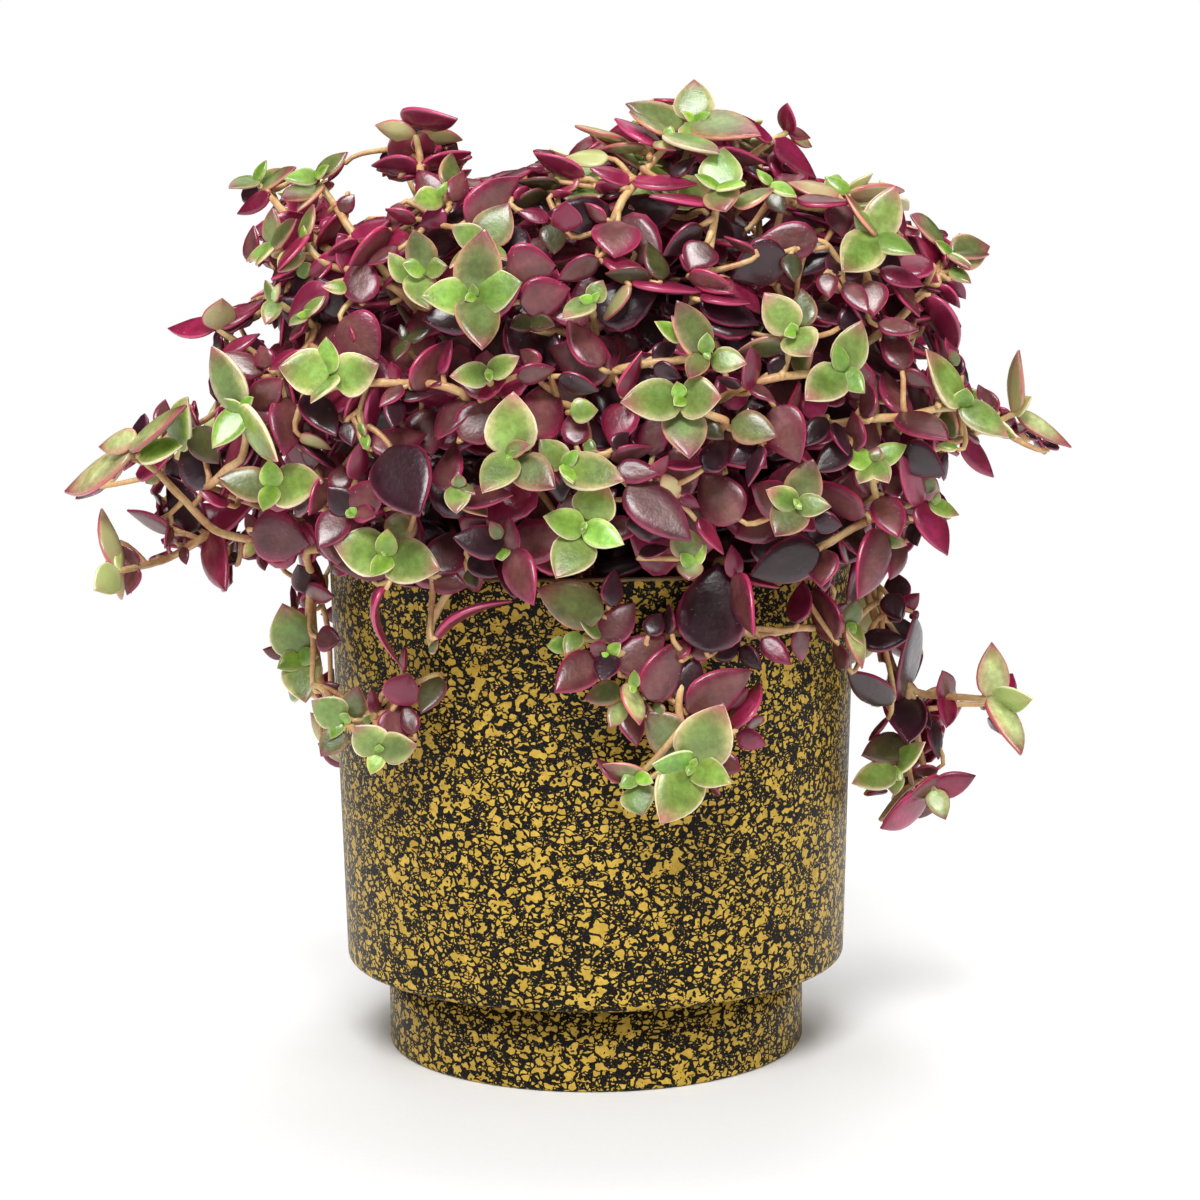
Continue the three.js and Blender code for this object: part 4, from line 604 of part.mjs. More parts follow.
   leaves: [[1.44,-1.79,209.72,-4.69,-4.45,207.99,-12.54,-5.95,208.15,1.1,-5.55,0.09,-0.05,0.01,1.04],
    [19.91,-3.03,221.1,16.65,0.43,222.67,11.71,6.2,225.32,-3.2,-3.54,1.72,0.45,0.04,0.92],
    [2.46,-1.51,209.54,5.7,-2.51,209.89,12.98,-0.88,212.64,-1.07,5.41,-0.08,-0.28,-0.04,0.96],
    [-0.3,-3.83,214.45,-2.6,-8.27,214.76,-6.18,-15.2,215.41,5.05,-2.54,0.82,-0.12,0.09,0.99],
    [20.45,-3.59,220.96,23.24,-5.94,221.73,27.78,-9.43,223.04,2.67,2.94,-1.43,0.07,0.29,0.72],
    [35.57,-13.33,222.37,38.28,-10.32,222.79,42.56,-5.02,223.7,-3.68,2.76,0.72,0.08,-0.13,0.91],
    [0.06,-3.11,214.48,1.66,0.46,215.55,4.28,6.25,217.28,-4.25,2.13,-0.69,-0.2,-0.11,0.88],
    [35.16,-14.24,222.55,32.73,-17.61,223.38,29.15,-22.83,224.79,3.47,-2.6,-0.68,0.2,0.04,0.86],
    [26.13,20.84,210.12,25.35,29.44,208.25,24.04,39.86,208.61,-6.77,-0.92,2.02,0.34,0.07,1.17],
    [16.35,29.66,217.79,19.51,34.64,215.65,25.06,42.17,213.45,-5.24,3.23,-2.15,-0.13,0.48,1.04],
    [15.88,29.07,218.04,12.07,25.78,220.48,6.5,20.09,225.47,5.09,-3.14,2.09,0.03,0.66,0.92],
    [25.23,12.74,217.12,19.14,13.03,219.44,11.67,10.57,224.35,1.76,-6.37,-0.52,0.54,0.07,0.98],
    [26.1,13.1,216.39,29.52,15.85,215.08,36.72,17.97,213.64,-1.46,5.28,0.43,0.26,0,0.93],
    [16.86,16.49,209.43,11.47,21.41,209.89,4.94,26.41,212.58,-3.47,-5,0.86,0.31,-0.04,1.02],
    [15.74,33.45,224.27,19.41,30.67,227.08,25.25,26.3,231.68,4.03,3.45,-1.83,-0.13,0.62,0.86],
    [32.56,9.88,218.93,29.42,6.33,221.09,23.41,2.12,225.58,3.22,-4.96,-0.34,0.45,0.23,0.94],
    [33.19,10.3,218.7,38.22,12.33,216.92,45.22,16.99,215.25,-3.1,4.77,0.33,0.26,0.1,1.03]] },
  { name: "shoot_rear_08", tone: "young",
   stems: [[1,37.21,19.65,107,45.86,21.59,117.41,55.91,24.77,126.11,66.49,30.24,132.76,75.45,39.1,137.9,79.15,51.18,142.7,77.16,63.57,148.08,74.81,72,157.72],[1,66.09,30.03,132.51,66.16,37.11,121.86,67.98,30.17,110.87,69.74,27,98.93],[1,60.07,26.94,128.65,71.91,28.77,129.02,82.54,30.87,138.74,89.24,40.44,147.65],[1,76.57,42.75,139.35,74.5,57.13,139.77,68.85,71,140.83],[1,60.02,26.89,128.7,72.86,30.7,124.82,79.81,44.3,120.92],[1,70.37,67.26,140.55,60.35,72.26,137.05,50.94,79,135.67],[0,81.23,30.61,137.62,91.13,19,129.4]],
   leaves: [[88.93,40.51,147.79,83.91,43.17,152.55,74.46,50.09,158.56,-1.33,-3.84,2.56,0.77,0.34,0.92],
    [66.85,29.18,126.19,65.8,29.4,122.75,61.47,37.78,114.27,-1.85,2.78,3.69,1.05,0.67,0.02],
    [74.7,71.71,156.93,71.23,74.91,153.86,64.89,81.88,148.03,-4.2,-3.46,0.42,-0.4,0.6,1.02],
    [90.68,19.29,129.75,86.18,21.01,133.08,77.77,24.06,138.75,-0.38,4.52,-2.98,-0.8,-0.56,-0.75],
    [86.57,36.9,144.72,79.63,39.48,153.91,76.93,46.28,161.36,2.11,-2.82,3.34,1.03,0.64,-0.11],
    [79.65,43.46,121.44,82.29,41.12,126.37,86.26,37.61,135.31,1.22,-3.62,-1.97,1.09,0.48,-0.21],
    [75.36,34.35,123.87,81.4,31.47,127.86,86.9,29.82,136.13,4.06,1.18,-2.46,-0.1,1.12,0.37],
    [75.07,71.54,157.66,77.34,70.32,163,81.3,69.99,171.61,3.99,-1.27,-1.88,0.33,1.09,-0.04],
    [69.8,27.03,99.7,71.16,26.22,103.86,73.26,27.32,112.06,6.08,-1.02,-1.42,0.15,1.05,-0.12],
    [68.43,70.43,140.88,64.88,71.62,141.05,58.44,74.92,141.43,-0.2,-1.1,5.67,0.38,0.8,0.17],
    [75.12,51.64,139.24,71.16,52.28,129.57,63.08,53.15,127.74,-1.62,0.31,7.29,0.06,1.04,-0.03],
    [69.68,27.21,98.91,68.94,28.29,94.69,67.15,32.84,88.48,-5.21,0.75,1.82,0.29,0.85,0.47],
    [69.72,69.9,140.81,73.49,70.58,141.49,80.71,72.21,142.69,0.64,0.93,-5.12,-0.18,0.95,0.15]] },
  { name: "shoot_crown_08", tone: "mixed",
   stems: [[1,39.35,10.79,107,40.19,11.8,119.92,41.93,11.99,132.79,44.58,12.71,145.48,48.59,14.08,157.75,54.28,16.09,169.24,61.59,18.68,179.64,70.15,21.71,188.92,79.37,24.98,197.47],[1,61.6,18.68,179.64,61.71,27.57,191.62,63.89,35.67,203.95],[1,61.6,18.68,179.64,63.83,17.32,192.34,67.62,17.48,204.75],[1,67.22,20.72,185.76,70.25,10.04,193.22,73.42,-0.57,200.5],[1,73.2,22.79,191.75,67.56,33.68,201.46,61.63,42.58,212.75]],
   leaves: [[73.59,-0.66,200.19,76.09,-4.53,199.88,79.83,-10.54,199.4,3.62,2.56,-1.89,0.36,0.12,0.86],
    [73.09,0.24,200.33,71.44,3.29,201.94,68.78,8.86,204.39,-3.46,-2.45,1.81,0.46,-0.07,0.78],
    [63.1,31.31,198.44,64.66,28.48,198.43,70.33,22,199.87,3.92,2.63,-2.92,0.36,0.42,0.87],
    [62.7,32.5,198.63,57.36,39.11,198.3,52.44,47.88,199.6,-5.09,-3.42,3.79,0.58,0.25,1.01],
    [65.58,17.65,199.16,61.55,20.72,200.14,57.94,28.9,201.16,-4.44,-2.47,4.11,0.65,0.25,0.85],
    [66.11,16.92,199.79,67.26,11.48,200.26,71.31,5.78,201.4,3.14,1.75,-2.91,0.43,0.4,0.71]] },
  { name: "shoot_crown_09", tone: "mixed",
   stems: [[1,26.4,-15.6,107,27,-14.52,119.75,27.98,-12.94,132.41,29.69,-10.07,144.76,32.33,-4.35,155.82,35.88,-8.17,166.31,41.09,-12.85,177.01,46.71,-19.93,186.06,52.5,-27.54,194.58,56.25,-33.87,204.91],[1,45.24,-18.07,183.69,52.03,-22.61,194.06,58.4,-26.89,204.75],[1,43.08,-15.35,180.21,42.19,-7.32,192.34,41.6,0.95,203.69,43.17,-1.73,216.89]],
   leaves: [[54.2,-30.23,199.96,53.06,-25.56,203.71,50.59,-17.64,210.52,-6.43,-2.46,0.39,0.32,-0.68,0.99],
    [54.56,-31.12,199.71,56.95,-37.02,196.68,60.3,-46.34,193.08,6.64,2.54,-0.41,0.23,-0.43,1.12],
    [42.65,-0.85,210.45,45.97,-5.52,210.11,52.05,-10.44,210.67,3.45,4.16,-0.9,0.09,0.14,0.99],
    [42.15,-0.25,210.34,38.21,1.25,211.17,32.57,6.26,213.34,-3.11,-3.75,0.81,0.27,-0.02,0.95],
    [57.95,-26.95,204.74,54.11,-28.58,206.97,48.03,-31.15,210.63,1.07,-4.53,-1.39,0.49,-0.14,0.84],
    [43.21,-2.09,216.79,42.34,-6.43,217.9,41.08,-12.84,219.69,4.59,-1.04,-0.8,0.2,0.17,0.91],
    [54.48,-24.48,198.95,51.66,-24.4,200.58,46.38,-22.83,204.58,-1.43,-4.23,-0.22,0.46,-0.2,0.77],
    [55.37,-24.61,198.77,59.51,-26.85,196.7,65.77,-28.88,194.61,1.4,4.17,0.22,0.27,-0.14,0.86],
    [58.66,-26.7,204.47,62.61,-25.57,203.71,68.86,-23.75,202.59,-0.92,3.91,1.2,0.26,-0.2,0.85],
    [55.77,-33.86,204.72,52.15,-34.1,206.37,46.18,-34.46,208.79,-0.5,-3.87,-1.89,0.3,-0.4,0.73],
    [43.23,-1.3,216.67,44.13,2.5,216.94,45.6,8.59,217.42,-3.89,0.88,0.68,0.14,-0.05,0.87],
    [56.57,-33.78,204.66,60.46,-34.09,204.25,66.59,-34.59,203.64,0.45,3.49,1.71,0.09,-0.39,0.77]] },
  { name: "shoot_rear_09", tone: "mixed",
   stems: [[1,-23.86,40.28,107,-25.93,44.16,112.91,-28.21,48.56,118.36,-30.68,53.55,123.17,-33.3,59.18,127.14,-35.95,65.28,130.31,-38.52,71.69,132.87,-41,78.3,135,-43.41,85,136.9],[1,-36.16,65.8,130.52,-48.23,65.19,131.61,-60.06,64.81,134.18,-71.98,65,136.4],[1,-39.11,73.28,133.38,-33.54,78.7,144.06,-27.31,85.59,153.41,-18.6,93,159.51],[1,-39.11,73.28,133.38,-45.69,75.01,144.67,-56.56,73.28,151.6,-68.73,69.6,155.08,-80.84,65,157.54],[1,-41.99,81.06,135.78,-41.28,84.7,147.76,-41.99,88.19,159.83],[0,-68.78,69.58,155.09,-67.31,71,164.96]],
   leaves: [[-63.1,64.91,134.37,-61.38,66.2,124.31,-57.24,71.87,115.5,-3.71,-2.33,-3.25,-0.77,0.97,0.18],
    [-48.44,65.55,131.34,-44.36,68.29,125.38,-36.06,70.09,122.74,-1.77,-0.02,-5.36,-0.13,1.02,0.03],
    [-80.42,65.03,157.8,-77.52,66.03,162.18,-71.79,69.93,169.21,2.36,2.88,-3.23,-0.77,0.87,0.21],
    [-67.13,70.48,154.47,-70.3,75.98,152.82,-75.94,83.17,149.1,1.19,-1.29,-4.3,-0.95,-0.68,-0.06],
    [-71.57,65.18,136.67,-69.61,67.36,140.35,-65.8,73.51,146.8,2.21,1.5,-2.74,-0.8,0.81,-0.2],
    [-66.85,69.93,154.89,-65.95,67.47,158.63,-64.36,60.77,164.2,-3.37,1.21,2.42,-0.64,-0.69,-0.55],
    [-42.67,88.16,158.89,-46.44,86.75,157.61,-52.79,84.9,154.45,-0.55,-3.34,3.29,-0.46,0.6,0.52],
    [-36.3,75.72,138.34,-28.39,77.71,137.25,-22.89,74.34,143.31,4.83,-1.07,-4.95,0.43,0.96,0.22],
    [-71.78,64.93,135.83,-74.11,65.02,131.87,-77.66,67.58,124.23,-3.63,-1.53,1.12,-0.28,0.95,0.38],
    [-18.46,92.86,159.3,-13.88,93.66,158.89,-6.23,97.09,157.95,-1.19,0.91,-6.35,-0.35,0.97,0.2],
    [-21.22,90.71,157.19,-19.38,91.63,153.02,-19.73,97.06,146.75,-6.74,-0.1,0.28,0.01,0.83,0.64],
    [-41.69,86.47,154.99,-41.37,81.4,152.93,-44.84,84.09,145.96,-5.89,0.48,3.11,0.2,1,0.22],
    [-80.94,65.09,157.27,-84.88,65.09,154.64,-91.17,67.57,150.08,-2.56,-1.31,2.81,-0.01,0.94,0.43],
    [-41.51,88.45,159.72,-38.34,90.23,162.75,-33.33,93.71,166.78,0.64,3.86,-3.82,-0.68,0.55,0.44],
    [-67.29,70.78,164.95,-66.59,68.7,168.89,-65.2,65.19,174.99,4.11,1.27,-0.14,-0.22,0.78,0.54]] },
  { name: "shoot_crown_10", tone: "mixed",
   stems: [[1,-16.77,20.37,107,-17.15,21.15,120.54,-17.78,22.43,134.04,-18.91,24.66,147.37,-20.72,28.2,160.34,-23.27,33.12,172.71,-26.31,39.06,184.53,-29.33,45.16,196.26,-30.93,49.26,208.89],[1,-30.4,47.89,204.66,-23.28,57,207.73],[1,-30.4,47.89,204.66,-44.49,48,212.69],[1,-29.38,45.29,196.66,-22.27,58.5,196.92,-13.42,68.82,201.28,-17.24,67,215.35]],
   leaves: [[-24.15,56.52,207.4,-28.84,60.1,206.06,-37.68,67.47,203.55,-3.51,-2.97,3.59,0.29,0.78,0.93],
    [-17.48,67.25,214.98,-21.27,69.85,213.35,-27.97,76.54,210.32,-3.48,-3.83,-0.75,-0.42,0.17,1.08],
    [-41.1,47.98,210.32,-44.48,48.12,207.39,-50.66,43.73,202.7,2.65,-1.64,-1.95,-0.01,-0.84,0.69],
    [-14.28,68.81,204.45,-14.55,69.75,205.04,-23.41,70.36,204.41,-0.03,-2.8,-2.32,-0.17,-0.69,0.83],
    [-23.04,56.76,207.72,-15.83,55.92,208.73,-7.95,57.81,211.13,0.8,1.57,-3.86,-0.27,0.96,0.34],
    [-30.46,47.41,202.52,-35.94,51,202.21,-43,54.54,203.5,-2.5,-5.19,0.53,0.14,0.04,1.01],
    [-29.68,46.98,202.15,-26.3,46.36,202.34,-19.17,43.07,203.84,2.38,4.93,-0.5,-0.08,0.14,1.01],
    [-23.73,57.13,207.69,-31.59,61.75,212.62,-38.74,63.49,211.79,-0.86,-3,1.77,-0.05,0.51,0.83]] },
  { name: "shoot_rear_10", tone: "mixed",
   stems: [[1,10.03,35.7,107,11.31,35.71,119.42,12.9,35.92,131.79,14.91,36.58,144.09,17.39,38.08,156.23,20.3,40.97,168,23.48,45.85,179.02,26.63,53.13,188.61,29.43,62.51,196.33,31.85,73,202.64],[1,30.21,65.88,198.36,32.37,73.38,192.62,34.24,81,186.76],[1,24.45,48.09,181.97,29.24,41.68,195.25,32.82,43.31,209.76],[1,29.38,62.35,196.2,35.38,59.82,207.45,38.17,53,217.87],[1,27.5,56.04,191.01,24.39,60.7,201.91,21.73,67.46,211.73],[1,28.44,59.19,193.6,21.3,61.16,201.16,14.31,63.1,208.78],[1,26.56,52.96,188.39,30.21,48.43,198.04,34.2,43.51,207.27,37.06,38.2,216.7],[0,32.24,72.91,192.98,42.94,72,195.84]],
   leaves: [[30.95,43.1,202.64,30.25,48.84,202.51,28.74,58.85,202.75,-7.18,-1,1.85,0.29,0.06,1.17],
    [38.01,53.3,218.25,36.27,54.71,221.16,28.4,60.45,220.63,-0.96,-1.57,-3.34,-0.69,-0.75,0.55],
    [31.47,71.15,194.65,21.98,73.36,201.28,15.41,70.89,207.73,3.93,1.29,4.56,-0.41,1.08,0.05],
    [31.12,42.15,202.68,32.02,36.69,203.1,33.48,28.73,204.45,5.29,0.74,-1.37,0.23,0.15,0.97],
    [37.86,52.82,217.69,34.38,48.59,217.99,28.27,43.07,218.17,1.09,-1.3,-2.76,0.56,-0.69,0.54],
    [37.32,38.09,216.51,41.58,35.09,216.77,48.4,30.64,217.33,2.88,4.14,-2.17,0.22,0.35,0.95],
    [42.99,72.19,195.56,46.25,74.03,193.1,51.42,77.64,188.57,-1.43,-1.84,-3.09,-0.61,0.77,-0.18],
    [35.9,57.5,210.86,32.78,56.3,211.74,26.04,53.63,213.91,0.29,-2.87,-2.65,0.39,-0.59,0.68]] },
];

// A socket round each stem where it runs into the medium.
const socketRadius = (STEM_RADIUS + SOCKET_GAP) * 1.3;
let medium = solid(lathe(soilProfile));
for (const shoot of SHOOTS) {
  const points = pointsOf(shoot.stems[0]);
  const sampled =
    points.length > 2
      ? new THREE.CatmullRomCurve3(points, false, "centripetal").getSpacedPoints(points.length - 1)
      : points;
  const along = sampled[1].clone().sub(sampled[0]).normalize();
  const start = sampled[0].clone().addScaledVector(along, -SOCKET_GAP);
  medium = medium.subtract(solid(stemGeometry([start, sampled[1]], socketRadius, 4)));
}
addMesh("soil", geometryOf(medium), SKIN.soil);

for (const shoot of SHOOTS) {
  const pieces = [];
  for (const row of shoot.stems)
    pieces.push(solid(stemGeometry(pointsOf(row), row[0] ? STEM_RADIUS : TWIG_RADIUS)));
  for (const row of shoot.leaves) pieces.push(solid(leafGeometry(row)));
  let grown = pieces[0];
  for (const piece of pieces.slice(1)) grown = grown.add(piece);
  addMesh(shoot.name, geometryOf(grown), SKIN[shoot.tone]);
}

export default root;
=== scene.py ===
import bpy
import math
import numpy as np
from mathutils import Matrix, Vector


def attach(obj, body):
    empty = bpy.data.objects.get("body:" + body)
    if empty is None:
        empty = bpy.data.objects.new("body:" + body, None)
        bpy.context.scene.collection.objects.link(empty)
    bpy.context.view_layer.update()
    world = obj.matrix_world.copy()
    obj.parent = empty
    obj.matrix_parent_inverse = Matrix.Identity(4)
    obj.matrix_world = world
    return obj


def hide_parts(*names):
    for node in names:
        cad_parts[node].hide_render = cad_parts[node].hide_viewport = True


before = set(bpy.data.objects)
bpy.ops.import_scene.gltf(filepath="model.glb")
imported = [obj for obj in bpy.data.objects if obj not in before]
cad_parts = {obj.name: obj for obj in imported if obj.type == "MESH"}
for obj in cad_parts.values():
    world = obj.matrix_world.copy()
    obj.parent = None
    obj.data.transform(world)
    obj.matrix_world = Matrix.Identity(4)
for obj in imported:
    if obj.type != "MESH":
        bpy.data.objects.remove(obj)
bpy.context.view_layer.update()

MM = 0.001

# ---------------------------------------------------------------- sizes, in millimetres
RIM_HEIGHT, RIM_RADIUS = 120.0, 65.0
BODY_RADIUS = 62.25
FOOT_HEIGHT, FOOT_RADIUS = 21.35, 52.05
WALL, FLOOR = 4.4, 8.0
SOIL_HEIGHT = 107.0
STEM_R, TWIG_R = 0.98, 0.72

